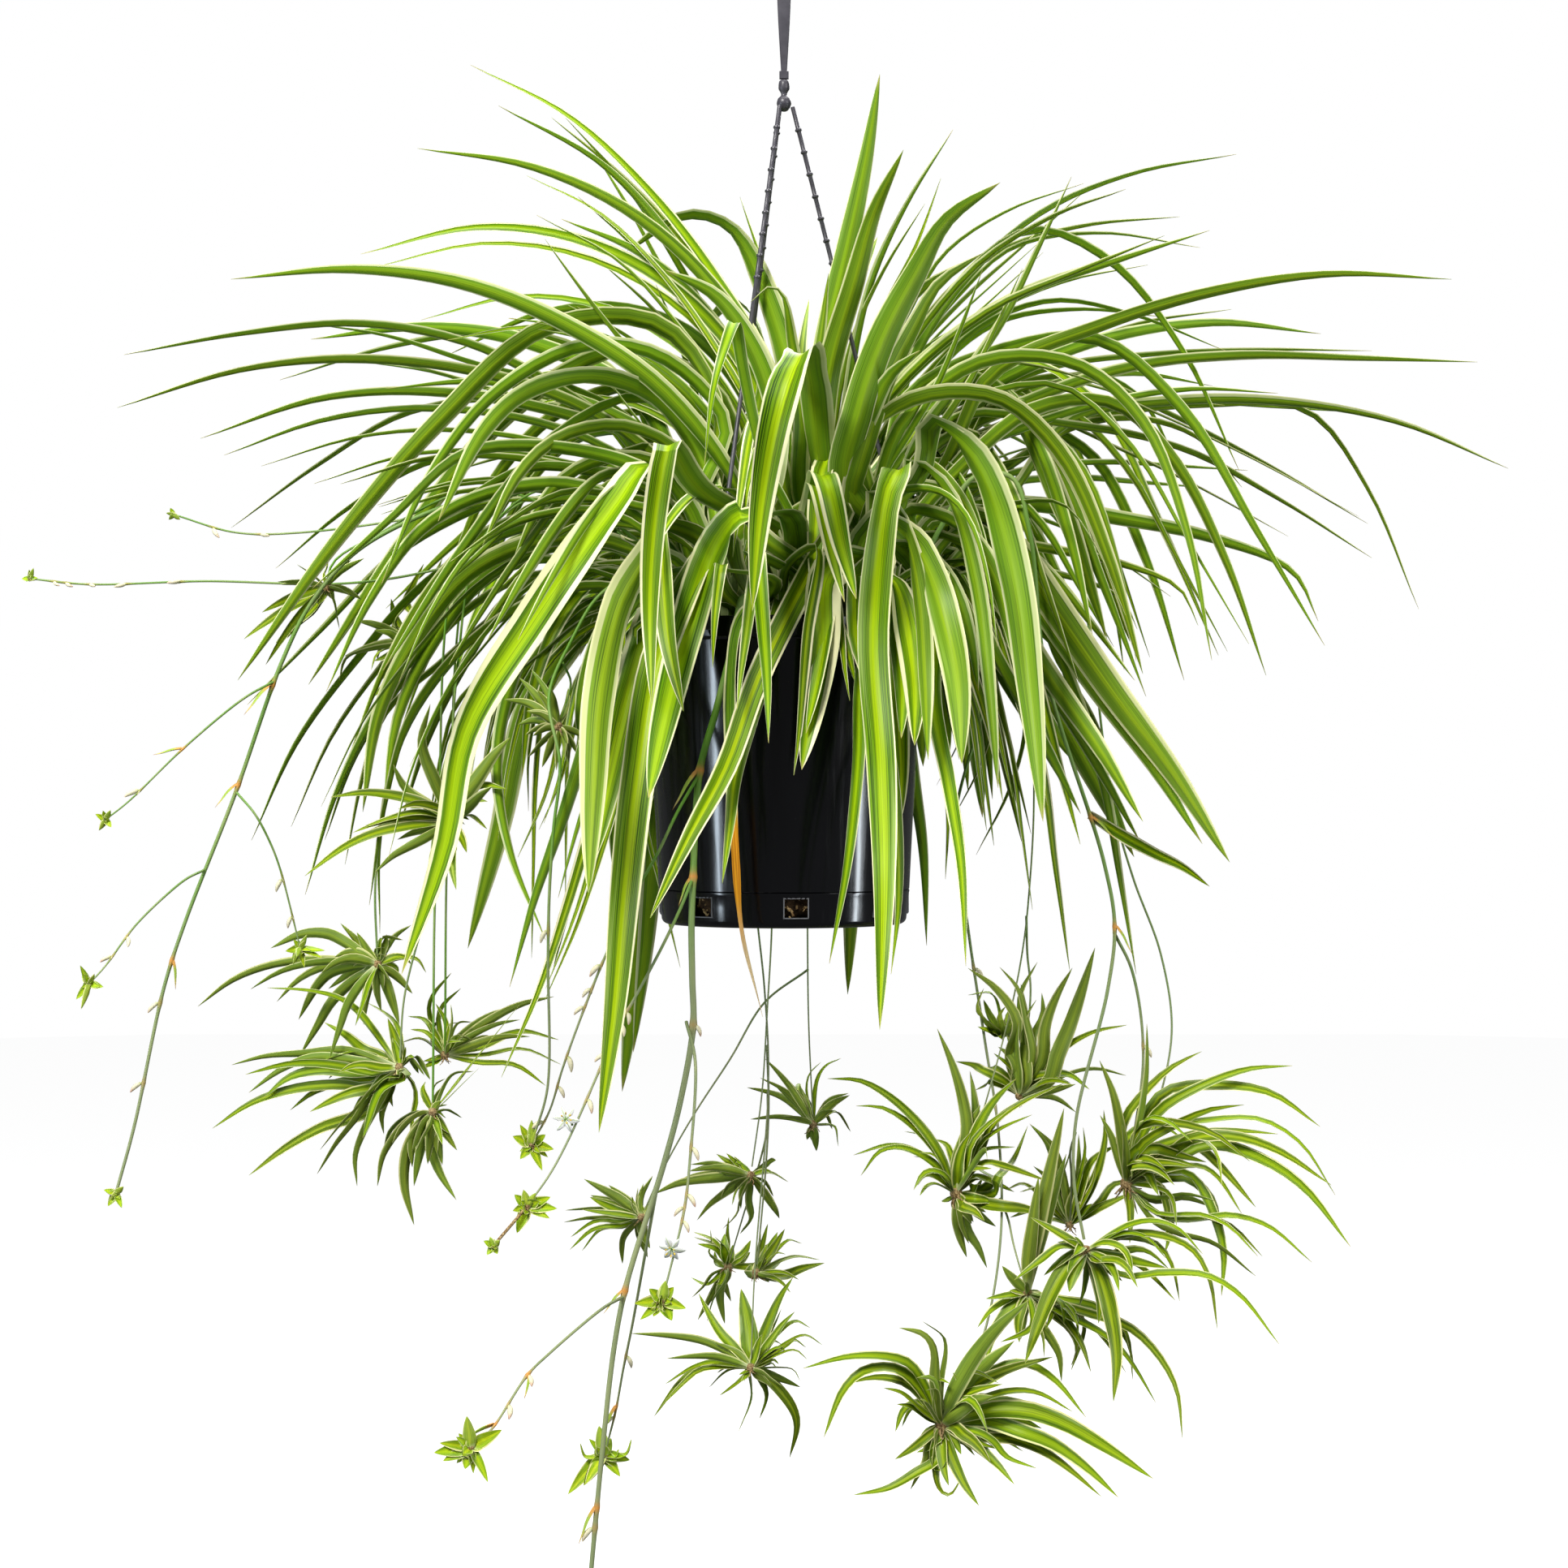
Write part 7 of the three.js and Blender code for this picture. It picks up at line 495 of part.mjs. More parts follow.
const RUNNERS = {
  runner_left_1: { stems: [[1.35,[-60,26,-475.5,-47.7,13.8,-443.6,-76.3,17.8,-410.6,-115.5,21.5,-382.2,-153.5,25,-366.4,-195.6,28.3,-373.4,-238.2,31.3,-385.2,-329,36.2,-397.3,-372.2,38.2,-396.9,-414.2,40,-384.6]]], crowns: [[-414.2, 40, -384.6, 2.2]], leaves: [
    [1.75,0.36,2,0.8,[-414.2,40,-384.6,-0.27,-0.87,0.41,-415.3,39.8,-385.8,-0.27,-0.87,0.41,-417.4,39.4,-388,-0.27,-0.87,0.41]],
    [1.75,0.36,2,0.8,[-414.2,40,-384.6,-0.46,-0.82,-0.34,-414.9,39.8,-383.2,-0.46,-0.82,-0.34,-416.3,39.4,-380.3,-0.46,-0.82,-0.34]],
    [1.75,0.36,2,0.8,[-414.2,40,-384.6,-0.35,0.7,-0.62,-412.7,39.8,-385.8,-0.35,0.7,-0.62,-409.7,39.3,-388,-0.35,0.7,-0.62]],
    [1.73,0.36,2,0.8,[-414.2,40,-384.6,0.21,-0.87,0.44,-415.8,39.8,-384.3,0.21,-0.87,0.44,-419,39.4,-383.6,0.21,-0.87,0.44]] ] },
  runner_left_2: { stems: [[1.35,[-81,-6,-475.5,-82.5,-1.8,-436.7,-96.4,-0.5,-406.7,-122,0.9,-392.6,-155.2,2.2,-400.1,-189.7,3.4,-413.8,-226.1,4.5,-423.3,-266.3,5.5,-431,-305.2,6.4,-434.1,-384.9,8,-432,-465.4,9.4,-434,-504.2,10,-430.2]]], crowns: [[-504.2, 10, -430.2, 2.2]], leaves: [
    [1.75,0.36,2,0.8,[-504.2,10,-430.2,0.08,-0.55,-0.83,-505.9,9.8,-430.2,0.08,-0.55,-0.83,-509.4,9.3,-430.2,0.08,-0.55,-0.83]],
    [1.75,0.36,2,0.8,[-504.2,10,-430.2,0.48,0.87,-0.05,-503.4,9.7,-427.9,0.48,0.87,-0.05,-501.8,9.1,-423.2,0.48,0.87,-0.05]],
    [1.71,0.36,2,0.8,[-504.2,10,-430.2,-0.28,-0.95,-0.14,-504.3,9.7,-428.2,-0.28,-0.95,-0.14,-504.5,9.2,-424.3,-0.28,-0.95,-0.14]],
    [1.71,0.36,2,0.8,[-504.2,10,-430.2,0.03,0.77,0.64,-502.5,9.8,-430,0.03,0.77,0.64,-499.1,9.4,-429.7,0.03,0.77,0.64]] ] },
  runner_left_3: { stems: [[2.16,[-66,-24,-475.5,-69.5,-16.2,-436.6,-91.2,-19.7,-403.6,-123.2,-23.1,-379.2,-161.6,-26.4,-372.1,-203.6,-29.8,-380.1,-244.4,-33.1,-394.9,-280.6,-36.4,-416.6,-307.6,-39.6,-448.2,-326.9,-42.7,-487.9,-355.8,-48.6,-572.5,-387.7,-54.3,-657,-400.9,-56.9,-699.5,-418.8,-62,-787.6,-430.1,-64.5,-830.9]],
    [1.1,[-331.5,-43.6,-500.5,-348.8,-64.1,-513,-383.7,-78.3,-544.5,-415.5,-95.1,-578.7,-427.9,-104.5,-590]],
    [1.1,[-355.8,-48.6,-572.5,-341.7,-58,-587.1,-333.7,-53.7,-603.3,-327.5,-49.8,-620.8,-315.4,-40,-674.4]],
    [1.1,[-375.3,-52,-623,-385,-78.3,-630.2,-409.5,-96.8,-655.8,-425.1,-118.5,-681.8,-432.2,-130,-691.7]]], crowns: [[-427.9, -104.5, -590, 2.2], [-432.2, -130, -691.7, 2.2], [-430.1, -64.5, -830.9, 2.2], [-315.4, -40, -674.4, 2.2]], leaves: [
    [1.75,0.36,2,0.8,[-427.9,-104.5,-590,-0.19,-0.67,-0.72,-429.7,-105.3,-588.8,-0.19,-0.67,-0.72,-433.5,-106.8,-586.4,-0.19,-0.66,-0.72]],
    [1.75,0.36,2,0.8,[-427.9,-104.5,-590,-0.44,-0.73,0.52,-429,-105.4,-592.2,-0.44,-0.73,0.52,-431.4,-107.1,-596.6,-0.44,-0.73,0.52]],
    [1.75,0.36,2,0.8,[-427.9,-104.5,-590,0.67,0.74,-0.12,-426.7,-105.2,-588,0.67,0.74,-0.12,-424.3,-106.8,-583.9,0.67,0.74,-0.12]],
    [1.75,0.36,2,0.8,[-427.9,-104.5,-590,0.67,0.67,0.31,-426.5,-105.1,-591.5,0.67,0.67,0.31,-423.8,-106.4,-594.6,0.67,0.67,0.31]],
    [1.75,0.36,2,0.8,[-427.9,-104.5,-590,-0.41,-0.84,-0.36,-428.2,-105.1,-588.1,-0.41,-0.84,-0.36,-429,-106.4,-584.4,-0.41,-0.84,-0.36]],
    [1.75,0.36,2,0.8,[-432.2,-130,-691.7,-0.49,-0.73,-0.48,-433.7,-131.5,-687.9,-0.49,-0.73,-0.48,-436.7,-134.4,-680.3,-0.49,-0.73,-0.48]],
    [1.8,0.36,2,0.8,[-432.2,-130,-691.7,0.77,0.1,-0.63,-434.5,-131.5,-694.8,0.77,0.1,-0.63,-439.2,-134.5,-701,0.77,0.1,-0.63]],
    [1.75,0.36,2,0.8,[-432.2,-130,-691.7,-0.55,-0.72,0.41,-433.4,-132,-696.8,-0.55,-0.72,0.41,-435.9,-135.9,-706.9,-0.55,-0.72,0.41]],
    [1.8,0.36,2,0.8,[-432.2,-130,-691.7,0.22,0.1,0.97,-429.1,-131,-692.3,0.22,0.1,0.97,-422.9,-133.1,-693.5,0.22,0.1,0.97]],
    [1.75,0.36,2,0.8,[-432.2,-130,-691.7,-0.52,-0.73,-0.44,-432.9,-130.8,-689.6,-0.52,-0.73,-0.44,-434.2,-132.3,-685.5,-0.52,-0.73,-0.44]],
    [1.75,0.36,2,0.8,[-432.2,-130,-691.7,0.55,0.84,0.01,-431,-130.8,-689.6,0.55,0.84,0.01,-428.6,-132.4,-685.5,0.55,0.84,0.01]],
    [1.75,0.36,2,0.8,[-430.1,-64.5,-830.9,-0.13,-0.54,-0.83,-432.6,-65.1,-830.1,-0.13,-0.54,-0.83,-437.5,-66.2,-828.6,-0.13,-0.54,-0.83]],
    [1.83,0.36,2,0.8,[-430.1,-64.5,-830.9,0.85,0.1,-0.52,-431.7,-65.2,-833.6,0.85,0.1,-0.52,-434.8,-66.6,-838.9,0.85,0.1,-0.52]],
    [1.75,0.36,2,0.8,[-430.1,-64.5,-830.9,0.76,0.62,0.2,-428.7,-65.2,-833.9,0.76,0.62,0.2,-426,-66.7,-840,0.76,0.62,0.2]],
    [1.75,0.36,2,0.8,[-430.1,-64.5,-830.9,-0.48,-0.69,0.54,-431,-64.9,-832.2,-0.48,-0.69,0.54,-433,-65.6,-834.9,-0.48,-0.69,0.54]],
    [1.75,0.36,2,0.8,[-430.1,-64.5,-830.9,0.63,0.54,-0.55,-428.4,-64.9,-829.4,0.63,0.54,-0.55,-425.1,-65.8,-826.5,0.63,0.54,-0.55]],
    [1.85,0.36,2,0.8,[-315.4,-40,-674.4,0.21,0,-0.98,-318.5,-40.4,-675.1,0.21,0,-0.98,-324.7,-41.3,-676.4,0.21,0,-0.98]],
    [1.75,0.36,2,0.8,[-315.4,-40,-674.4,-0.61,-0.7,0.36,-316.9,-40.5,-677.9,-0.61,-0.7,0.36,-319.9,-41.5,-684.9,-0.61,-0.7,0.36]],
    [1.75,0.36,2,0.8,[-315.4,-40,-674.4,0.71,0.7,0.07,-314.4,-40.6,-678.6,0.71,0.7,0.07,-312.5,-41.7,-687,0.71,0.7,0.07]],
    [1.75,0.36,2,0.8,[-315.4,-40,-674.4,0.36,0.7,0.61,-310.5,-40.7,-676.5,0.36,0.7,0.61,-300.8,-42,-680.6,0.36,0.7,0.61]],
    [1.75,0.36,2,0.8,[-315.4,-40,-674.4,0.15,0.63,0.76,-310,-40.7,-674.9,0.15,0.63,0.76,-299.2,-42.1,-675.9,0.15,0.63,0.76]],
    [1.75,0.36,2,0.8,[-315.4,-40,-674.4,0.67,0.7,-0.25,-313.9,-40.4,-671.6,0.67,0.7,-0.25,-311,-41.2,-665.9,0.67,0.7,-0.25]],
    [1.75,0.36,2,0.8,[-315.4,-40,-674.4,-0.51,-0.7,-0.5,-316.8,-40.3,-672.6,-0.51,-0.7,-0.5,-319.5,-40.9,-669.1,-0.51,-0.7,-0.5]] ] },
  runner_left_4: { stems: [[1.62,[-54,56,-475.5,-85.2,44.6,-436.7,-117.5,46.4,-432.8,-148.9,47.5,-399.2,-186.8,47.2,-402,-224.9,45,-432.6,-250.1,41.6,-479.7,-262.3,38.9,-531.1,-271.9,38.3,-583.7,-277.3,39,-637,-276.1,39.9,-683.3]],
    [1.1,[-237.5,43.3,-456.1,-245,39.8,-457.3,-251.1,26.6,-467.4,-251.2,25.2,-468.3]]], leaves: [
 ] },
  runner_left_5: { stems: [[1.35,[-76,22,-475.5,-99.6,6.8,-434.3,-126.7,9.4,-426,-161.5,11.7,-434.5,-187.9,13.8,-465.6,-220,16.7,-562.1,-228.8,17.7,-612.5,-254.6,19.3,-708.1,-258,19.9,-751.6]]], leaves: [
 ] },
  runner_middle_1: { stems: [[1.62,[-60,-46,-475.5,-69,-40.4,-441.2,-90.8,-48.5,-429.8,-118.4,-57.7,-444.8,-136.5,-69.3,-475.3,-149.7,-84.8,-511.3,-141.5,-101.3,-555.5,-144.3,-118,-595.7,-146.4,-124.5,-635.6,-147.4,-122.5,-676,-148.7,-110.7,-758.7,-157.9,-105.2,-790.5]],
    [1.1,[-141.8,-74.9,-489.7,-137.4,-63,-501.9,-139.2,-63.1,-511.6,-143.4,-63.2,-524.5]]], leaves: [
 ] },
  runner_middle_2: { stems: [[2.43,[-17,-70,-475.5,-39,-94.4,-433.3,-55.3,-88.9,-538.4,-66.9,-83.6,-556,-74,-82.9,-574.6,-74.6,-86.8,-596.2,-65.1,-106.4,-654.4,-61.4,-115.8,-690,-61,-123.1,-727.2,-66.5,-129.2,-765.6,-74.8,-134.2,-803.2,-97.6,-141.9,-876.7,-104.9,-145.2,-914,-120,-156,-1068.4]],
    [1.35,[-74.4,-85.6,-589.7,-70.4,-88.9,-589.8,-85.8,-96.1,-619.6,-100.2,-100.9,-649.7,-114.6,-102.2,-680.8,-138.9,-103.6,-744.3,-147.7,-104.1,-773.9,-157.1,-104.4,-791]],
    [1.35,[-67.8,-100.7,-638.6,-68.6,-119.3,-649.6,-78.9,-132.5,-671.5,-100,-154.7,-714.2,-129.6,-187,-781.2,-139.9,-197.5,-801.1,-150.6,-206.2,-815.9]],
    [1.35,[-61.1,-120.9,-716.1,-54.7,-144.4,-740,-57.7,-159.4,-798.8,-61,-167,-827.9,-72.6,-180.8,-875.7]],
    [1.35,[-99,-142.6,-884.1,-111.7,-182.2,-886.1,-139.1,-217,-905.2,-150.8,-234.3,-914.8,-168.4,-268.8,-939.1,-176.5,-282.5,-944.3]],
    [1.35,[-78.2,-135.5,-814.3,-83.7,-133,-845,-96.5,-92.3,-911.9,-102.9,-75.7,-942,-108.5,-61.7,-971.5,-115.3,-51.9,-998.3]]], leaves: [
 ] },
  runner_back_1: { stems: [[1.1,[-10,70,-475.5,-33.5,102.2,-438,-26.9,102.2,-491.8,-14.6,106.5,-550.2,-9.2,131,-610.8,-8.8,154.4,-669.7,-12,158.4,-729.3,-15.9,157.2,-790,-23,156.1,-842]]], leaves: [
 ] },
  runner_back_2: { stems: [[1.1,[13,74,-475.5,-1.8,100,-429.3,9.9,102.2,-519.8,16.4,126.2,-592,16.9,164.8,-665,17.8,177.3,-738.1,20.9,181.6,-808.2]],
    [1.1,[17.4,174.8,-701.7,-15.7,209.2,-729.7,-39.2,208.9,-769,-65.2,208.6,-808.8,-87.7,208.3,-848.4,-102.4,208,-880.3]]], leaves: [
 ] },
  runner_back_3: { stems: [[1.1,[-30,66,-475.5,-26.8,98.4,-437.6,-24.2,95.3,-517.4,-24.5,104,-581.4,-20.6,118.2,-646.6,-13.7,117.1,-712.5,-10.9,107.9,-776.3,-20.4,90.5,-906.8,-22.8,83.3,-965.7]],
    [1.1,[-12,111.5,-750.8,-10.8,112.2,-791.8,-12.5,118.1,-832.5,-19,129.1,-907.6]],
    [1.1,[-11.3,107,-782.9,-13,150.2,-819.8,-31.4,206.1,-889.1,-40.3,230.4,-921]]], leaves: [
 ] },
  runner_right_1: { stems: [[2.16,[76,-22,-475.5,86.6,-32.4,-434.9,103.5,-37.2,-397.7,125,-41.3,-366.8,148.2,-44.4,-368.1,159.9,-46.3,-404.6,169.9,-47.1,-494,208,-46.2,-618.5,214.9,-46.3,-659.6,210.3,-46.6,-701.5,189.6,-48.2,-785.8,188.3,-49.3,-826.6,194.6,-50.3,-862.9]],
    [1.1,[189.3,-48.4,-794,189,-14.5,-811.1,192.1,10.3,-828.4,194.3,35.2,-849.2,195.9,59.4,-866.1]],
    [1.35,[214.4,-46.3,-663.8,227.8,-35.2,-690.5,236,-25.1,-745.1,227.6,-11.4,-823.7]]], leaves: [
    [5,0.5,2.6,0.8,[198.5,-46.4,-587.4,0.25,-0.45,0.86,217.8,-51.4,-600.1,0.25,-0.45,0.86,238.4,-55.4,-611.6,0.25,-0.45,0.86,258.1,-57.4,-621.5,0.25,-0.45,0.86,275.3,-54.4,-633.7,0.25,-0.45,0.86]] ] },
  runner_right_2: { stems: [[1.35,[66,30,-475.5,85.2,43.7,-433.1,118.5,47.2,-396.2,151.5,48.8,-370.2,183.8,47.5,-385.4,200,43.3,-425.1,208.3,37.3,-472.6,220.7,23.5,-578.8,234.2,16.6,-630.4,251.9,9.8,-681.1,258.4,3.1,-731.9,247.7,-3.5,-781.9,229.9,-9,-824.2]]], leaves: [
 ] },
  runner_right_3: { stems: [[1.1,[54,56,-475.5,125.6,90.8,-365.9,128.5,85.5,-446.6,145.3,88.6,-426.2,158.1,87.9,-441.6,162.2,83.3,-472.2,168.9,77.5,-503.8,171.6,70.1,-543.9,171.3,62.4,-588.3,168.3,54.5,-631.8,163.4,47.9,-675.1,154.9,42.6,-717.6,130.7,33.9,-802.3,118.9,30.7,-836.1]],
    [1.1,[165.3,50.4,-657.8,167.7,70.8,-685.5,169.4,65,-710.1,161.3,51.7,-774.1]],
    [1,[165.4,58.5,-741.6,151.1,64.5,-740.3]]], crowns: [[151.1, 64.5, -740.3, 2.2]], leaves: [
    [2.33,0.27,2.3,0.8,[151.1,64.5,-740.3,0.42,-0.89,-0.16,146.5,58.3,-717.5,0.29,-0.91,-0.3,143.1,52.4,-711.1,0.42,-0.8,-0.43,139,49.9,-709.2,0.04,-0.99,-0.12,125.8,51.8,-711.5,-0.1,-0.97,-0.24]],
    [2.91,0.27,2.3,0.8,[151.1,64.5,-740.3,0.73,-0.68,-0.1,133.7,43.3,-724,0.5,-0.85,-0.2,131.8,48.2,-718.8,0.3,-0.92,0.24,136.1,48.6,-706.9,0.26,-0.96,-0.06]],
    [2.92,0.27,2.3,0.8,[151.1,64.5,-740.3,0.06,-0.78,-0.62,144.5,62.1,-737.9,0.33,-0.5,-0.8,138.3,47.5,-734.8,0.29,-0.58,-0.76,132.3,49.6,-733,-0.41,-0.77,-0.49]],
    [3,0.27,2.3,0.8,[151.1,64.5,-740.3,0.63,-0.74,0.22,144.5,61.5,-731.4,0.64,-0.74,0.2,136.7,58,-715.3,0.66,-0.74,0.14]],
    [3,0.27,2.3,0.8,[151.1,64.5,-740.3,0.73,0.69,0.02,152.4,62.8,-733.5,0.73,0.69,0.02,155.2,59.7,-719.9,0.73,0.69,0.01]],
    [2.33,0.27,2.3,0.8,[151.1,64.5,-740.3,0.47,0.75,-0.46,153.8,63.7,-738.7,0.47,0.75,-0.46,159.2,62.2,-735.7,0.47,0.75,-0.47]] ] },
  runner_right_4: { stems: [[1.62,[50,66,-475.5,65.9,81.2,-403.5,145.2,80,-438.6,137.1,71.3,-514.6,118.1,70.1,-591.5,126.5,65.1,-667.1,136.3,51.5,-737.7,145.4,34.7,-806,144.9,12.7,-872.9,131.2,-12.9,-934,106.4,-36.4,-978.3]],
    [1.1,[145.1,21.5,-846.1,150.7,24.5,-859.7,153.3,9.7,-874.6,157.5,-5.2,-891.8,159.4,-15,-898.7]]], leaves: [
 ] },
};

const FLOWERS = {"flower_1":{"at":[-131.6,-188.7,-769.5],"face":[0.15,-0.95,0.25],"stalk":[-131.6,-188.7,-769.5,-127.7,-184.8,-773.4]},"flower_2":{"at":[-67.9,-178.2,-848.9],"face":[-0.2,-0.9,-0.35],"stalk":[-67.9,-178.2,-848.9,-66.8,-175,-849.2]}};

const PRESSED = [["runner_right_4","shoot_back_right"],["runner_left_4","plantlet_left_1"],["runner_left_5","plantlet_left_2"],["runner_middle_1","plantlet_young_1"],["runner_middle_1","runner_middle_2"],["runner_middle_2","plantlet_young_1"],["runner_middle_2","plantlet_young_2"],["runner_middle_2","plantlet_young_4"],["runner_middle_2","plantlet_young_5"],["runner_right_1","plantlet_right_4"],["runner_right_3","plantlet_right_1"]];
const RESTING = [];

const WITHERED = [4.4,0.3,2.2,0.9,[-8,-80,-474,0.94,-0.33,0.09,-12,-87,-457,0.92,-0.38,0.13,-17,-94,-452,0.76,-0.65,0.04,-24,-101,-456,0.81,-0.5,-0.32,-31,-104,-472,0.95,-0.31,-0.1,-34.5,-104,-544,0.95,-0.3,0,-27,-106,-657.5,0.8,-0.58,0.17,-13.5,-112,-713.5,0.78,-0.57,0.25]];


// ---- small vector helpers ----
const V3 = (x, y, z) => new THREE.Vector3(x, y, z);
const rows = (flat, step) => Array.from({ length: flat.length / step }, (_, i) => flat.slice(i * step, i * step + step));

// ---- solids ----
function solidOf(positions, triangles) {
  let mesh = new wasm.Mesh({ numProp: 3, vertProperties: new Float32Array(positions), triVerts: new Uint32Array(triangles) });
  let s = new wasm.Manifold(mesh);
  if (s.volume() < 0) {
    const flipped = [];
    for (let i = 0; i < triangles.length; i += 3) flipped.push(triangles[i], triangles[i + 2], triangles[i + 1]);
    mesh = new wasm.Mesh({ numProp: 3, vertProperties: new Float32Array(positions), triVerts: new Uint32Array(flipped) });
    s = new wasm.Manifold(mesh);
  }
  return s;
}
function solidFrom(geometry) {
  const g = geometry.index ? geometry.clone() : geometry;
  g.deleteAttribute("normal");
  g.deleteAttribute("uv");
  const m = mergeVertices(g, 1e-4);
  const keep = [];
  const id = m.index.array;
  for (let i = 0; i < id.length; i += 3) if (id[i] !== id[i + 1] && id[i + 1] !== id[i + 2] && id[i] !== id[i + 2]) keep.push(id[i], id[i + 1], id[i + 2]);
  return solidOf(m.attributes.position.array, keep);
}
function lathe(points, sides, turn = 0) {
  const g = new THREE.LatheGeometry(points.map(([r, z]) => new THREE.Vector2(r, z)), sides);
  g.rotateX(Math.PI / 2);
  g.rotateZ(turn);
  return solidFrom(g);
}
const biggest = (s) => {
  const parts = s.decompose().filter((p) => p.volume() > 0);
  parts.sort((a, b) => b.volume() - a.volume());
  return parts[0];
};
const geometryOf = (s) => {
  const m = s.getMesh();
  const g = new THREE.BufferGeometry();
  g.setAttribute("position", new THREE.BufferAttribute(new Float32Array(m.vertProperties), 3));
  g.setIndex(Array.from(m.triVerts));
  g.computeVertexNormals();
  return g;
};

// takes out the very short edges and the needle-thin faces that a join leaves
function tidy(s, short = 0.04) {
  const m = s.getMesh(), P = Array.from({ length: m.vertProperties.length / 3 }, (_, i) => V3(...m.vertProperties.slice(i * 3, i * 3 + 3)));
  let T = rows(Array.from(m.triVerts), 3);
  for (let pass = 0; pass < 12; pass++) {
    const to = P.map((_, i) => i), find = (i) => { while (to[i] !== i) i = to[i]; return i; };
    let changed = 0;
    for (const t of T) for (let k = 0; k < 3; k++) {
      const a = find(t[k]), b = find(t[(k + 1) % 3]);
      if (a !== b && P[a].distanceTo(P[b]) < short) { to[b] = a; changed++; }
    }
    T = T.map((t) => t.map(find)).filter((t) => t[0] !== t[1] && t[1] !== t[2] && t[0] !== t[2]);
    const seen = new Map(), gone = new Set();
    T.forEach((t, i) => {
      const k = [...t].sort((a, b) => a - b).join();
      if (seen.has(k)) { gone.add(i); gone.add(seen.get(k)); seen.delete(k); } else seen.set(k, i);
    });
    T = T.filter((_, i) => !gone.has(i));
    const side = new Map();
    T.forEach((t, i) => { for (let k = 0; k < 3; k++) side.set(t[k] + "_" + t[(k + 1) % 3], i); });
    const busy = new Set();
    T.forEach((t, i) => {
      if (busy.has(i)) return;
      let k = 0;
      for (let j = 1; j < 3; j++) if (P[t[j]].distanceTo(P[t[(j + 1) % 3]]) > P[t[k]].distanceTo(P[t[(k + 1) % 3]])) k = j;
      const a = t[k], b = t[(k + 1) % 3], c = t[(k + 2) % 3], base = P[a].distanceTo(P[b]);
      const area = P[b].clone().sub(P[a]).cross(P[c].clone().sub(P[a])).length();
      if (area / base > 0.012) return;
      const j = side.get(b + "_" + a);
      if (j === undefined || busy.has(j)) return;
      const d = T[j].find((v) => v !== a && v !== b);
      if (d === c || side.has(c + "_" + d) || side.has(d + "_" + c)) return;
      T[i] = [a, d, c];
      T[j] = [d, b, c];
      for (const v of [[a, d], [d, c], [c, a]]) side.set(v.join("_"), i);
      for (const v of [[d, b], [b, c], [c, d]]) side.set(v.join("_"), j);
      busy.add(i); busy.add(j); changed++;
    });
    if (!changed) break;
  }
  const used = new Map(), pos = [], tri = [];
  for (const t of T) for (const v of t) {
    if (!used.has(v)) { used.set(v, used.size); pos.push(P[v].x, P[v].y, P[v].z); }
    tri.push(used.get(v));
  }
  try {
    const r = solidOf(pos, tri);
    if (r.numTri() > 0 && r.decompose().length === 1 && Math.abs(r.volume() - s.volume()) < 0.003 * s.volume() + 1) return r;
  } catch (e) { /* a fold was left: try a smaller edge */ }
  return short > 0.003 ? tidy(s, short / 2) : s;
}

// half width of a blade along its length: a narrow foot, widest past the first third, then a long point
const outline = (s, base, p, q) => (base + (1 - base) * Math.sin(Math.min(1, s / 0.45) * Math.PI / 2)) * Math.pow(Math.max(0, 1 - Math.pow(s, p)), q);

// a face of four corners where the blade twists, split so that it swells outwards
function bulge(pos, a, b, c, d) {
  const [A, B, C, D] = [a, b, c, d].map((k) => V3(pos[3 * k], pos[3 * k + 1], pos[3 * k + 2]));
  return A.sub(D).dot(B.sub(D).cross(C.sub(D))) > 0 ? [a, b, c, a, c, d] : [a, b, d, b, c, d];
}

// a leaf: a blade folded along its midrib, so that its section is a shallow triangle with the keel below
function leaf([half, base, p, q, flat], pad = 0) {
  const ring = rows(flat, 6), n = ring.length;
  const c = ring.map((r) => V3(r[0], r[1], r[2])), w = ring.map((r) => V3(r[3], r[4], r[5]).normalize());
  const s = [0];
  for (let i = 1; i < n; i++) s.push(s[i - 1] + c[i].distanceTo(c[i - 1]));
  const total = s[n - 1], pos = [], tri = [], m = pad ? 4 : 3, first = half < PETIOLE_FROM ? 1 : 0;
  for (let i = first; i < n - 1; i++) {
    const t = c[Math.min(n - 1, i + 1)].clone().sub(c[Math.max(0, i - 1)]).normalize();
    const up = t.clone().cross(w[i]).normalize();
    const h = half * (i ? outline(s[i] / total, base, p, q) : 0.14) + pad, k = KEEL * (0.35 + 0.65 * h / (half + pad)) + pad;
    const l = c[i].clone().addScaledVector(w[i], -h), r = c[i].clone().addScaledVector(w[i], h), d = c[i].clone().addScaledVector(up, -k);
    pos.push(l.x, l.y, l.z, d.x, d.y, d.z, r.x, r.y, r.z);
    if (pad) { const u = c[i].clone().addScaledVector(up, pad + 0.1); pos.push(u.x, u.y, u.z); }
  }
  const tip = c[n - 1].clone(), rings = n - 1 - first, end = rings * m;
  if (pad) tip.addScaledVector(c[n - 1].clone().sub(c[n - 2]).normalize(), pad);
  pos.push(tip.x, tip.y, tip.z);
  for (let i = 0; i < rings - 1; i++) for (let j = 0; j < m; j++) {
    const a = i * m + j, b = i * m + (j + 1) % m;
    tri.push(...bulge(pos, a, b, b + m, a + m));
  }
  for (let j = 0; j < m; j++) tri.push((rings - 1) * m + j, (rings - 1) * m + (j + 1) % m, end);
  if (first) {
    pos.push(c[0].x, c[0].y, c[0].z);
    for (let j = 0; j < m; j++) tri.push(j, end + 1, (j + 1) % m);
  } else for (let j = 1; j < m - 1; j++) tri.push(0, j + 1, j);
  return solidOf(pos, tri);
}

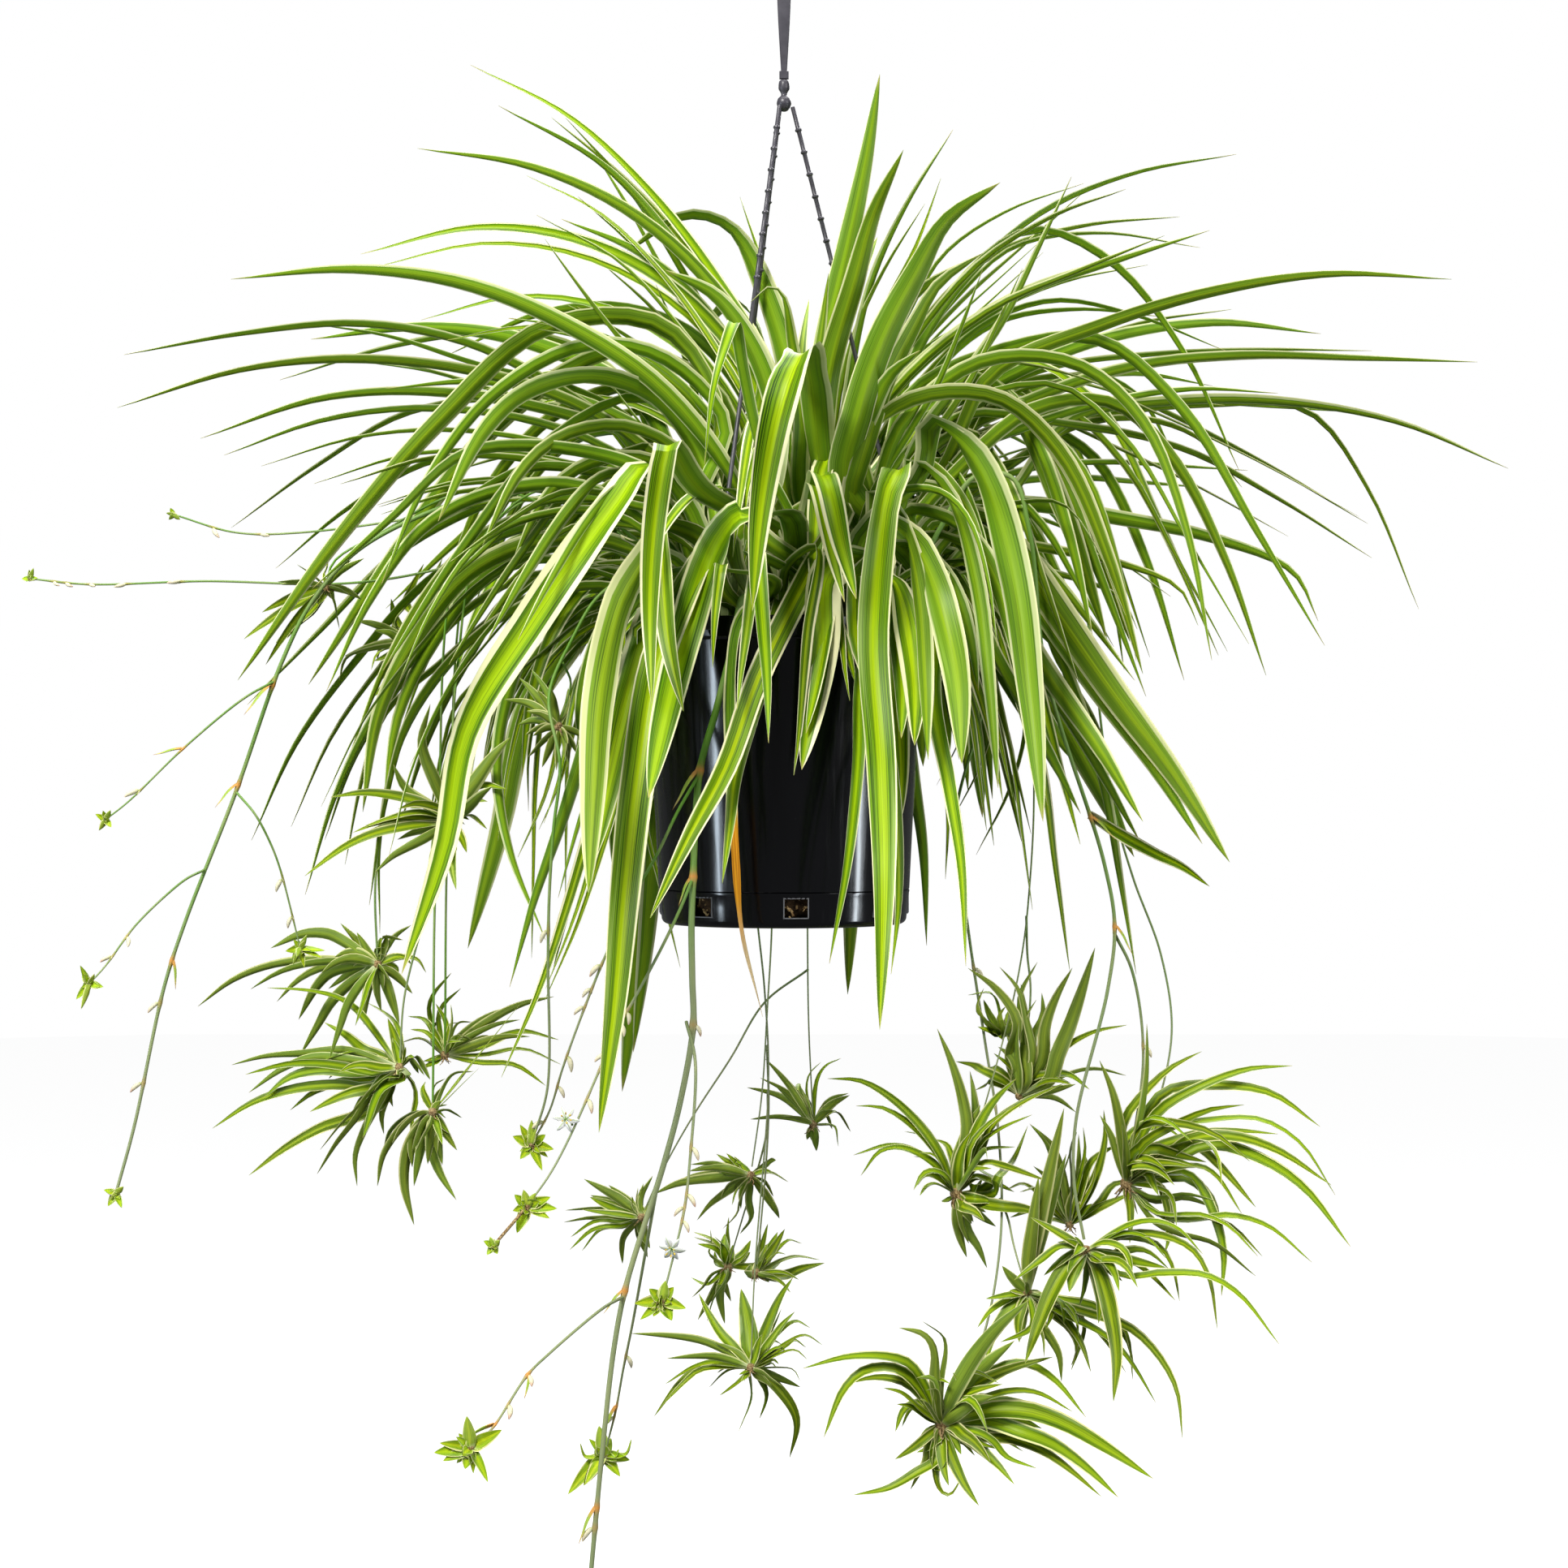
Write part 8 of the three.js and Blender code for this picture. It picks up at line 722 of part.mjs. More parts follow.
// a round stem or runner through its points, thinner towards its end
function tube([radius, flat], taper = 0.6, pad = 0, sides = TUBE_SIDES, rooted = false) {
  const c = rows(flat, 3).map((r) => V3(...r)), n = c.length, s = [0];
  for (let i = 1; i < n; i++) s.push(s[i - 1] + c[i].distanceTo(c[i - 1]));
  const pos = [], tri = [];
  let w = null;
  for (let i = 0; i < n; i++) {
    const t = i === 0 && rooted ? V3(0, 0, 1) : c[Math.min(n - 1, i + 1)].clone().sub(c[Math.max(0, i - 1)]).normalize();
    if (!w) w = Math.abs(t.y) < 0.8 ? t.clone().cross(V3(0, 1, 0)).normalize() : t.clone().cross(V3(1, 0, 0)).normalize();
    w = w.sub(t.clone().multiplyScalar(w.dot(t))).normalize();
    const u = t.clone().cross(w), r = radius * (1 - (1 - taper) * s[i] / s[n - 1]) + pad;
    for (let j = 0; j < sides; j++) {
      const a = j * 2 * Math.PI / sides, q = c[i].clone().addScaledVector(w, r * Math.cos(a)).addScaledVector(u, r * Math.sin(a));
      pos.push(q.x, q.y, q.z);
    }
  }
  for (let i = 0; i < n - 1; i++) for (let j = 0; j < sides; j++) {
    const a = i * sides + j, b = i * sides + (j + 1) % sides;
    tri.push(a, b, b + sides, a, b + sides, a + sides);
  }
  for (let j = 1; j < sides - 1; j++) tri.push(0, j + 1, j, (n - 1) * sides, (n - 1) * sides + j, (n - 1) * sides + j + 1);
  return solidOf(pos, tri);
}

// the crown of a young plant: a small knob
function crown([x, y, z, r], pad = 0) {
  r += pad;
  return lathe([[0, -r], [r * 0.72, -r * 0.6], [r * 0.95, 0.1 * r], [r * 0.55, r * 0.8], [0, r]], 6).translate(x, y, z);
}
const joinAll = (list, pad = 0) => pad ? wasm.Manifold.union(list) : biggest(wasm.Manifold.union(list));

// ---- the plant ----
function shootSolid(d, pad = 0) {
  const stub = lathe([[0, MIX_Z + GAP - pad], [STUB_LOW + pad, MIX_Z + GAP - pad], [STUB_HIGH + pad, STUB_TOP - 12], [STUB_HIGH * 0.7 + pad, STUB_TOP + pad], [0, STUB_TOP + pad]], 8).translate(d.at[0], d.at[1], 0);
  return joinAll([stub, ...d.leaves.map((l) => leaf(l, pad))], pad);
}
function plantletSolid(d, pad = 0) {
  return joinAll([...d.crowns.map((c) => crown(c, pad)), ...(d.stalks || []).map((t) => tube(t, 1, pad, 4)), ...d.leaves.map((l) => leaf(l, pad))], pad);
}
function runnerSolid(d, pad = 0) {
  return joinAll([...d.stems.map((t, i) => {
    if (i) return tube(t, 0.6, pad);
    const foot = [t[1][0], t[1][1], MIX_Z + GAP];
    return tube([t[0], [...foot, ...t[1].slice(3)]], 0.6, pad, TUBE_SIDES, true);
  }), ...(d.crowns || []).map((c) => crown(c, pad)), ...(d.leaves || []).map((l) => leaf(l, pad))], pad);
}

// a star of pointed petals on a short stalk
function flowerSolid({ at, face, stalk }) {
  const shape = new THREE.Shape();
  for (let i = 0; i < PETALS; i++) {
    const a = i * 2 * Math.PI / PETALS, put = (r, da) => [r * Math.cos(a + da), r * Math.sin(a + da)];
    if (i === 0) shape.moveTo(...put(2.0, -Math.PI / PETALS)); else shape.lineTo(...put(2.0, -Math.PI / PETALS));
    shape.lineTo(...put(FLOWER_R * 0.6, -0.26));
    shape.lineTo(...put(FLOWER_R, 0));
    shape.lineTo(...put(FLOWER_R * 0.6, 0.26));
  }
  const g = new THREE.ExtrudeGeometry(shape, { depth: 1, bevelEnabled: false });
  g.translate(0, 0, -0.5);
  g.applyQuaternion(new THREE.Quaternion().setFromUnitVectors(V3(0, 0, 1), V3(...face).normalize()));
  g.translate(...at);
  return joinAll([solidFrom(g), tube([0.75, stalk], 1, 0, 4)]);
}

const nodes = {};
for (const [name, d] of Object.entries(SHOOTS)) nodes[name] = shootSolid(d);
for (const [name, d] of Object.entries(RUNNERS)) nodes[name] = runnerSolid(d);
for (const [name, d] of Object.entries(PLANTLETS)) nodes[name] = plantletSolid(d);
nodes.withered_leaf = leaf(WITHERED);
for (const [name, d] of Object.entries(FLOWERS)) nodes[name] = flowerSolid(d);

// a few blades press against a neighbour: each is hollowed there, with the usual clearance
const sources = { ...SHOOTS, ...RUNNERS, ...PLANTLETS };
const fat = (name, pad) => (SHOOTS[name] ? shootSolid : RUNNERS[name] ? runnerSolid : plantletSolid)(sources[name], pad);
for (const [cut, by] of PRESSED) nodes[cut] = biggest(nodes[cut].subtract(fat(by, GAP + 0.15)));

// ---- pot, saucer and potting mix ----
const wallR = (z) => SEAM_R + (z - SEAM_Z) * (BODY_TOP_R - SEAM_R) / (RIM_Z - RIM_BAND - SEAM_Z);
const innerTop = RIM_R - RIM_WALL;
const saucerInner = (z) => BASE_R + (z - (BASE_Z + CORNER)) * (SEAM_R - BASE_R) / (SEAM_Z - BASE_Z - CORNER) - SAUCER_WALL;
const lowR = (z) => saucerInner(z) - GAP;            // the pot's outside within the saucer
const FLOOR_Z = BASE_Z + SAUCER_WALL + GAP;          // underside of the pot's floor
const windowsCut = (solid) => {
  for (let i = 0; i < WINDOWS; i++) {
    const g = new THREE.BoxGeometry(WINDOW_W, 14, WINDOW_H);
    g.translate(0, -(BASE_R - 2), WINDOW_Z);
    g.rotateZ((WINDOW_TURN + i * 360 / WINDOWS) * Math.PI / 180);
    solid = solid.subtract(solidFrom(g));
  }
  return solid;
};
const pot = lathe([
  [0, FLOOR_Z], [BASE_R - CORNER - SAUCER_WALL - 0.6, FLOOR_Z], [lowR(FLOOR_Z + 5.5), FLOOR_Z + 5.5], [lowR(SEAM_Z - GAP), SEAM_Z], [SEAM_R, SEAM_Z],
  [wallR(-560), -560], [BODY_TOP_R, RIM_Z - RIM_BAND], [RIM_R, RIM_Z - RIM_BAND + 0.6], [RIM_R, RIM_Z - 1], [RIM_R - 1, RIM_Z], [innerTop + 0.6, RIM_Z],
  [innerTop, RIM_Z - 1], [wallR(RIM_Z - RIM_BAND - 3) - WALL, RIM_Z - RIM_BAND - 3], [wallR(-560) - WALL, -560], [lowR(SEAM_Z) - WALL, SEAM_Z + 2], [lowR(FLOOR_Z + 7) - WALL, FLOOR_Z + 7], [BASE_R - CORNER - SAUCER_WALL - 2.4, FLOOR_Z + 2], [0, FLOOR_Z + 2],
], SIDES);
nodes.pot_shell = windowsCut(pot);
const saucer = lathe([
  [0, BASE_Z], [BASE_R - CORNER, BASE_Z], [BASE_R - CORNER * 0.3, BASE_Z + CORNER * 0.3], [BASE_R, BASE_Z + CORNER], [SEAM_R, SEAM_Z - GAP], [SEAM_R - SAUCER_WALL, SEAM_Z - GAP],
  [saucerInner(BASE_Z + CORNER), BASE_Z + CORNER], [BASE_R - CORNER * 0.3 - SAUCER_WALL, BASE_Z + SAUCER_WALL + 1], [BASE_R - CORNER - SAUCER_WALL, BASE_Z + SAUCER_WALL], [0, BASE_Z + SAUCER_WALL],
], SIDES);
nodes.drip_saucer = windowsCut(saucer);
const MIX_LOW = FLOOR_Z + 2 + GAP;
nodes.potting_mix = lathe([
  [0, MIX_LOW], [BASE_R - CORNER - SAUCER_WALL - 3.2, MIX_LOW], [lowR(FLOOR_Z + 7) - WALL - GAP - 0.1, FLOOR_Z + 7.8], [lowR(SEAM_Z) - WALL - GAP - 0.1, SEAM_Z + 2], [wallR(-560) - WALL - GAP, -560], [wallR(MIX_Z) - WALL - GAP, MIX_Z], [0, MIX_Z],
], SIDES);

// ---- hanger: a flat hook, a yoke under it and three stems clipped over the rim ----
{
  const path = [];
  path.push([-10.0, -18.5, 4.6], [-8.9, -14.5, 6.6], [-HOOK_R, -7.5, HOOK_W]);
  for (let a = 150; a >= 30; a -= 30) path.push([HOOK_R * Math.cos(a * Math.PI / 180), -7.5 + HOOK_R * Math.sin(a * Math.PI / 180), HOOK_W]);
  path.push([HOOK_R, -7.5, HOOK_W], [HOOK_R, -20, HOOK_W], [6.2, -30, HOOK_W], [1.6, -38, HOOK_W], [0, -46, HOOK_W]);
  path.push([0, -70, (HOOK_W + STRAP_END_W) / 2 + 0.2], [0, STRAP_END_Z, STRAP_END_W], [0, STRAP_END_Z - 0.6, 6.2], [0, STRAP_END_Z - 5.4, 6.2]);
  const pos = [], tri = [], n = path.length;
  path.forEach(([y, z, w], i) => {
    const a = path[Math.max(0, i - 1)], b = path[Math.min(n - 1, i + 1)];
    let ty = b[0] - a[0], tz = b[1] - a[1];
    const l = Math.hypot(ty, tz);
    ty /= l; tz /= l;
    const t = (i >= n - 2 ? 4.4 : HOOK_T) / 2;
    for (const [sx, sn] of [[-1, -1], [1, -1], [1, 1], [-1, 1]]) pos.push(sx * w / 2, y - tz * sn * t, z + ty * sn * t);
  });
  for (let i = 0; i < n - 1; i++) for (let j = 0; j < 4; j++) {
    const a = i * 4 + j, b = i * 4 + (j + 1) % 4;
    tri.push(a, b, b + 4, a, b + 4, a + 4);
  }
  tri.push(0, 2, 1, 0, 3, 2, (n - 1) * 4, (n - 1) * 4 + 1, (n - 1) * 4 + 2, (n - 1) * 4, (n - 1) * 4 + 2, (n - 1) * 4 + 3);
  nodes.hanger_hook = solidOf(pos, tri);
}
const YOKE_TOP = STRAP_END_Z - 5.4 - GAP, YOKE_LOW = -120;
nodes.hanger_yoke = lathe([[0, YOKE_LOW], [2.6, YOKE_LOW + 0.6], [4.9, YOKE_LOW + 5], [4.2, YOKE_LOW + 8.6], [1.9, YOKE_LOW + 10.4], [2.2, YOKE_LOW + 12.6], [3.7, YOKE_LOW + 15], [3.3, YOKE_TOP - 1], [1.6, YOKE_TOP], [0, YOKE_TOP]], 10);
const CLIP_IN = RIM_R - RIM_WALL - GAP - 0.7, CLIP_OUT = RIM_R + GAP, CLIP_T = 2;
STEM_ANGLES.forEach((deg, i) => {
  const a = deg * Math.PI / 180, dir = V3(Math.cos(a), Math.sin(a), 0);
  const from = dir.clone().multiplyScalar(5.7).add(V3(0, 0, YOKE_LOW + 3)), to = dir.clone().multiplyScalar(RIM_R - RIM_WALL / 2).add(V3(0, 0, RIM_Z + 3.2));
  const length = from.distanceTo(to), profile = [[0, 0], [STEM_R, 0]];
  for (let k = 0; k < COLLARS; k++) { const z = 16 + k * COLLAR_STEP; profile.push([STEM_R, z - 1.2], [COLLAR_R, z], [STEM_R, z + 1.2]); }
  profile.push([STEM_R, length], [0, length]);
  const g = new THREE.LatheGeometry(profile.map(([r, z]) => new THREE.Vector2(r, z)), 5);
  g.applyQuaternion(new THREE.Quaternion().setFromUnitVectors(V3(0, 1, 0), to.clone().sub(from).normalize()));
  g.translate(from.x, from.y, from.z);
  const section = new THREE.Shape();  // an upside-down U over the rim
  section.moveTo(CLIP_IN - CLIP_T, RIM_Z - 6);
  section.lineTo(CLIP_IN, RIM_Z - 6);
  section.lineTo(CLIP_IN, RIM_Z + GAP);
  section.lineTo(CLIP_OUT, RIM_Z + GAP);
  section.lineTo(CLIP_OUT, RIM_Z - 9);
  section.lineTo(CLIP_OUT + CLIP_T, RIM_Z - 9);
  section.lineTo(CLIP_OUT + CLIP_T, RIM_Z + 2.6);
  section.lineTo(CLIP_OUT, RIM_Z + 4.2);
  section.lineTo(CLIP_IN, RIM_Z + 4.2);
  section.lineTo(CLIP_IN - CLIP_T, RIM_Z + 2.6);
  const c = new THREE.ExtrudeGeometry(section, { depth: CLIP_W, bevelEnabled: false });
  c.translate(0, 0, -CLIP_W / 2);
  c.rotateX(Math.PI / 2);
  c.rotateZ(a);
  nodes["hanger_stem_" + (i + 1)] = joinAll([solidFrom(g), solidFrom(c)]);
});
// a blade that lies on the rim or on a stem's clip is hollowed there
for (const [cut, by] of RESTING) nodes[cut] = biggest(nodes[cut].subtract(nodes[by].translate(0, 0, GAP)).subtract(nodes[by].translate(0, 0, -GAP)).subtract(nodes[by].translate(GAP, 0, 0)).subtract(nodes[by].translate(-GAP, 0, 0)).subtract(nodes[by].translate(0, GAP, 0)).subtract(nodes[by].translate(0, -GAP, 0)));

// ---- colours ----
const look = (name) => {
  const m = (color, roughness, metalness = 0) => new THREE.MeshStandardMaterial({ color, roughness, metalness });
  if (name.startsWith("shoot")) return m(0x6f9a2c, 0.45);
  if (name.startsWith("plantlet")) return m(0x8aa644, 0.5);
  if (name.startsWith("runner")) return m(0xc8cc6a, 0.5);
  if (name.startsWith("flower")) return m(0xf6f4ea, 0.6);
  if (name === "withered_leaf") return m(0xb8762c, 0.8);
  if (name === "potting_mix") return m(0x3a271a, 0.95);
  if (name.startsWith("hanger")) return m(0x34323a, 0.4);
  return m(0x15161a, 0.18);
};

const plant = new THREE.Group();
plant.name = "potted_spider_plant";
for (const [name, solid] of Object.entries(nodes)) {
  const mesh = new THREE.Mesh(geometryOf(tidy(solid)), look(name));
  mesh.name = name;
  plant.add(mesh);
}
export default plant;
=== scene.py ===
import math
import random

import bmesh
import bpy
import numpy as np
from mathutils import Matrix, Vector


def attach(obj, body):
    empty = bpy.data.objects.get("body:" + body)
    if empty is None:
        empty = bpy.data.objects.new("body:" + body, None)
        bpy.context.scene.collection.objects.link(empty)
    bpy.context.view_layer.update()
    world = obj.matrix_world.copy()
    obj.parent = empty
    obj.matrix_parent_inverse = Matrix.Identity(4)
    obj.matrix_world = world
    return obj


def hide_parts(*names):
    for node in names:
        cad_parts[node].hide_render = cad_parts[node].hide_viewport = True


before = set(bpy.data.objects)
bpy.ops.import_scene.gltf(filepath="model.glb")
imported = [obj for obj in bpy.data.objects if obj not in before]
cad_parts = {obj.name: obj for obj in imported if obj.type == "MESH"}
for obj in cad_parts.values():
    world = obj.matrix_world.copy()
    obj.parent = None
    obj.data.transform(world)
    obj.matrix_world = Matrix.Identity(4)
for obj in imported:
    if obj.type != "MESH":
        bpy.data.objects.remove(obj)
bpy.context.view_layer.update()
random.seed(11)
rng = np.random.default_rng(11)

# leaf: half width, foot width, two numbers for its outline, then x, y, z of its midrib and the direction across it, ring by ring, in mm
SHOOT_LEAVES = {
    "shoot_centre": [
        (8.53, 0.3, 4.4, 0.8, [4.2,-4.7,-474,0.99,0.1,-0.04,6.3,-4.5,-421.3,0.99,0.1,-0.08,12.5,-8,-368.8,0.99,0.1,-0.13,21.1,-11.5,-316.9,0.98,0.1,-0.16,29.7,-14.8,-265.6,0.98,0.1,-0.19,42.3,-18.2,-210,0.97,0.11,-0.21,54,-21.6,-155.4,0.98,0.1,-0.18,62.9,-25,-101.4,0.98,0.1,-0.16]),
        (8.98, 0.3, 4.4, 0.8, [4.2,-4.7,-474,0.95,0.29,-0.11,10.5,-6.7,-426.2,0.95,0.3,-0.12,18.9,-14.6,-383.3,0.95,0.29,-0.09,24.3,-24.3,-336.8,0.96,0.28,-0.06,30.6,-35.2,-290.7,0.95,0.28,-0.14,44.7,-46.6,-244,0.95,0.22,-0.22,58.2,-61.7,-198.2,0.94,0.23,-0.26,76.1,-82.4,-163.1,0.91,0.24,-0.33]),
        (13.67, 0.3, 4.4, 0.8, [0.8,-6.9,-474,0.85,0.2,-0.48,38.7,-27.4,-415,0.98,0.01,-0.21,25.8,-52.2,-359.5,0.74,-0.6,-0.3,17.7,-108.6,-306.2,0.78,-0.37,-0.5,8.4,-164.6,-303,0.86,-0.4,0.32,-3.5,-182.7,-341,0.92,-0.32,-0.23,-13.7,-162.2,-395.7,0.97,-0.2,-0.16,-19.4,-160.4,-461.7,0.97,-0.21,-0.09]),
        (6.06, 0.3, 3.2, 0.9, [5,-2,-470,0.95,-0.19,-0.23,12.2,-26.8,-420.5,0.96,-0.28,-0.02,-0.1,-25.2,-368.5,0.93,-0.32,0.19,-6.7,-28.5,-329.9,0.7,-0.71,-0.05,-13.4,-41.2,-323.4,0.93,-0.35,0.15,-20.4,-67.4,-335.1,0.84,-0.47,0.27,-26.9,-97.9,-379.4,0.97,-0.22,-0.03,-32.2,-108.1,-424.5,0.98,-0.2,-0.07]),
        (5.5, 0.3, 3.2, 0.9, [5,-1.4,-470,0.69,-0.69,-0.22,4.8,-15.8,-425,0.7,-0.68,-0.22,16.1,-17.8,-382.4,0.72,-0.67,-0.18,17.1,-19.2,-363.9,0.72,-0.69,-0.09,16.4,-20.1,-362.3,0.79,-0.36,-0.5,16,-19.1,-365.8,0.85,-0.51,0.13,21.7,-18.9,-392.3,0.77,-0.64,-0.03,15.5,-17.4,-419.8,0.69,-0.7,-0.19]),
        (5.53, 0.3, 3.2, 0.9, [-0.1,3,-474,0.69,-0.63,0.36,-38.4,-18.1,-438.1,0.97,-0.18,-0.18,-1.5,-57.5,-421.6,0.93,0.29,-0.23,-15.9,-82.4,-426.7,0.87,-0.45,0.2,-20,-102.2,-441.9,0.94,-0.32,0.09,-23.4,-116.2,-470.3,0.97,-0.23,-0.02,-26.8,-126.3,-497.6,0.97,-0.23,-0.02,-29.2,-136,-521.2,0.97,-0.23,0]),
        (9.34, 0.3, 4.4, 0.8, [4.2,-4.7,-474,-0.87,0.47,0.18,15.1,-3.6,-423.9,-0.88,0.47,0.1,18.3,1.3,-379.6,-0.89,0.46,-0.03,21.3,13.9,-330.3,-0.9,0.44,-0.03,31.7,34.9,-281.4,-0.95,0.3,0.1,47,60.9,-229.2,-0.95,0.28,0.12,65.3,105.4,-184.5,-0.96,0.25,0.14]),
        (14.96, 0.3, 4.4, 0.8, [0.7,-6.9,-474,0.91,-0.38,-0.16,18.6,7.8,-406.7,0.89,-0.45,0,19.2,29.3,-351.7,0.38,-0.72,0.59,7.9,84.3,-306.3,-0.92,-0.27,0.29,-3.3,144.7,-316.1,-0.72,-0.66,-0.2,-17.3,137.4,-390.2,-0.95,-0.31,0.11,-24.2,158.5,-462.1,-0.97,-0.26,0.02])
    ],
    "shoot_back": [
        (5.5, 0.3, 3.2, 0.9, [4.2,43.3,-474,0.6,0.78,-0.18,36,34.2,-409.8,0.65,0.76,-0.03,27.9,26.9,-366.9,0.64,0.76,0.08,40.2,21.6,-320.3,0.63,0.77,-0.08,47.6,21,-272.7,0.62,0.77,-0.15,60.7,24.5,-222.7,0.57,0.77,-0.26,83.1,27.9,-175.1,0.53,0.78,-0.33,114,30,-125.7,0.51,0.78,-0.35]),
        (9.87, 0.3, 4.4, 0.8, [4.2,43.3,-474,0.95,-0.27,0.15,-12.2,18.6,-414.6,0.98,-0.19,-0.06,9.1,27.2,-343,0.95,-0.29,-0.09,4.6,34,-290.2,0.93,-0.3,0.21,-13.6,38.2,-229.1,0.8,-0.51,0.33,-35.8,35,-190.5,0.39,-0.88,0.28,-66,29.9,-182.9,-0.01,-0.84,0.55,-105.5,24.4,-208.4,-0.4,-0.54,0.74]),
        (4.94, 0.3, 3.2, 0.9, [4.2,43.3,-474,0.49,-0.85,-0.21,5.3,32.9,-429.5,0.49,-0.87,-0.05,-7.5,31.8,-379.8,0.47,-0.88,0.03,4.7,35.3,-336.6,0.48,-0.88,0.07,4.8,45.7,-291.5,0.46,-0.85,0.25,-2.4,55.4,-253.3,0.43,-0.86,0.27,-15.5,61.1,-208.6,0.44,-0.87,0.23,-30.1,64.9,-164.4,0.44,-0.87,0.22]),
        (3.73, 0.3, 3.2, 0.9, [-4.7,44.2,-474,0.46,0.81,-0.37,-22.2,78.4,-420.9,0.38,0.83,-0.4,27.8,88.6,-352.2,0.32,0.86,-0.41,51.3,109,-298.1,0.34,0.84,-0.42,84.7,121.6,-240.6,0.37,0.86,-0.34,112.7,123.9,-193.3,0.35,0.86,-0.38,158.7,127.1,-161.4,0.2,0.83,-0.51,212.4,131.6,-141.6,0.13,0.83,-0.55]),
        (3.71, 0.3, 3.2, 0.9, [-4.6,44.2,-474,0.48,0.88,-0.08,10.3,39.7,-434.9,0.43,0.9,-0.06,-0.9,47.7,-388.3,0.42,0.89,-0.19,49.8,45.1,-324.5,0.37,0.88,-0.3,82.5,49.2,-280.6,0.31,0.87,-0.39,121.7,59,-236.4,0.26,0.86,-0.44,164.9,67.1,-196.8,0.26,0.87,-0.43,209.3,72.5,-156.8,0.27,0.87,-0.42]),
        (4.32, 0.3, 3.2, 0.9, [-4.6,44.1,-474,0.4,0.88,-0.25,29.1,49,-403.3,0.44,0.88,-0.17,38.4,48.5,-344.1,0.43,0.88,-0.18,72.1,51.1,-292.4,0.37,0.88,-0.31,118.5,53.4,-234,0.28,0.9,-0.32,157.7,57.2,-199.6,0.1,0.91,-0.4,217,61.7,-189.3,-0.06,0.91,-0.42,285.7,66.3,-198.7,-0.12,0.9,-0.41]),
        (5.5, 0.3, 3.2, 0.9, [-0.2,51,-474,-0.88,-0.45,0.16,-26.8,116.6,-437.1,-0.81,-0.48,-0.33,-37.9,108.5,-465.7,0.42,-0.91,0,-54.3,103.9,-511.3,0.5,-0.81,-0.31,-86.1,116,-561.3,0.45,-0.81,-0.39,-97.3,117,-588.2,0.5,-0.86,0.01,-87,114.8,-638.8,0.55,-0.8,0.22,-72.7,104.4,-695.9,0.54,-0.8,0.28]),
        (10.53, 0.3, 4.4, 0.8, [4.6,44.1,-474,-0.91,-0.39,-0.1,-16.3,71.4,-391.1,-0.78,-0.61,-0.15,-63.6,107.3,-378.8,-0.78,-0.62,-0.05,-74.4,142.3,-362.1,-0.92,-0.39,-0.09,-81.1,151.1,-389.7,-0.87,-0.49,0.08,-86.7,149.7,-453.3,-0.94,-0.35,-0.02,-85.9,171.5,-517.6,-0.94,-0.32,-0.12]),
        (7.48, 0.3, 3.2, 0.9, [4.6,44.1,-474,-0.92,-0.37,0.1,-5.1,77.6,-440.9,-0.91,-0.42,0.05,-22.9,111.6,-405.4,-0.77,-0.64,0.07,-36.6,121.7,-388.1,-0.32,-0.94,0.07,-52.6,122.9,-388.1,-0.14,-0.95,0.29,-70.8,122.5,-402.5,-0.6,-0.69,0.41,-88,125.8,-435.1,-0.76,-0.55,0.34]),
        (13.76, 0.3, 4.4, 0.8, [4.6,44.1,-474,-0.9,-0.32,0.29,-0.2,111.1,-414.7,-0.62,-0.69,0.37,-27.5,112.2,-401.9,-0.2,-0.97,0.15,-41.8,120.4,-409.8,-0.34,-0.94,-0.04,-61.8,127.3,-462,-0.85,-0.51,0.14,-76.3,146.8,-520.3,-0.97,-0.19,0.12,-88.8,194.9,-576.3,-0.98,-0.15,0.09]),
        (12.52, 0.3, 4.4, 0.8, [4.6,44.1,-474,-0.83,-0.51,-0.24,-33.8,86.6,-431.7,-0.7,-0.71,-0.06,-48.4,94.5,-448.4,-0.57,-0.82,0.06,-86.6,115.6,-532.4,-0.92,-0.37,0.12,-99.8,165.4,-617.9,-0.99,-0.07,0.09,-108.7,199.6,-706.5,-0.99,-0.06,0.09,-119.3,216.5,-794.2,-0.99,-0.06,0.11]),
        (10.81, 0.3, 4.4, 0.8, [0.8,41.1,-474,-0.85,0.52,0.07,12.8,55,-429.4,-0.88,0.46,-0.07,11.5,73.9,-393.6,-0.93,0.32,-0.17,16.3,92.7,-378,-0.96,0.24,-0.13,18.2,109.4,-378.6,-0.85,0.49,0.17,23.6,117.5,-414.3,-0.98,0.04,-0.21,34.8,133.1,-453.5,-0.96,-0.02,-0.28]),
        (13.71, 0.3, 4.4, 0.8, [0.8,41.1,-474,-0.97,0.23,0.09,17.8,95.5,-432.8,-0.91,0.33,0.26,39.4,110.8,-429.3,-0.6,0.1,0.79,20.5,115.8,-433.3,-0.85,-0.42,0.32,17.9,119.3,-474.3,-0.93,-0.36,0.06,10.6,126.9,-517.7,-0.98,-0.15,0.11,3.9,149,-558.4,-0.99,-0.13,0.09]),
        (8.96, 0.3, 4.4, 0.8, [0.2,51,-474,0.85,-0.25,0.46,-7.3,97.1,-435.2,0.63,-0.27,0.73,-17.1,108.3,-437.8,-0.23,0.86,0.46,-4.7,117.2,-471,-0.8,0.59,0.12,-18.1,127,-534.4,-0.94,0.09,0.33,-41.3,177.7,-593.5,-0.92,0.02,0.39,-66.3,252.6,-654.8,-0.92,0.02,0.4]),
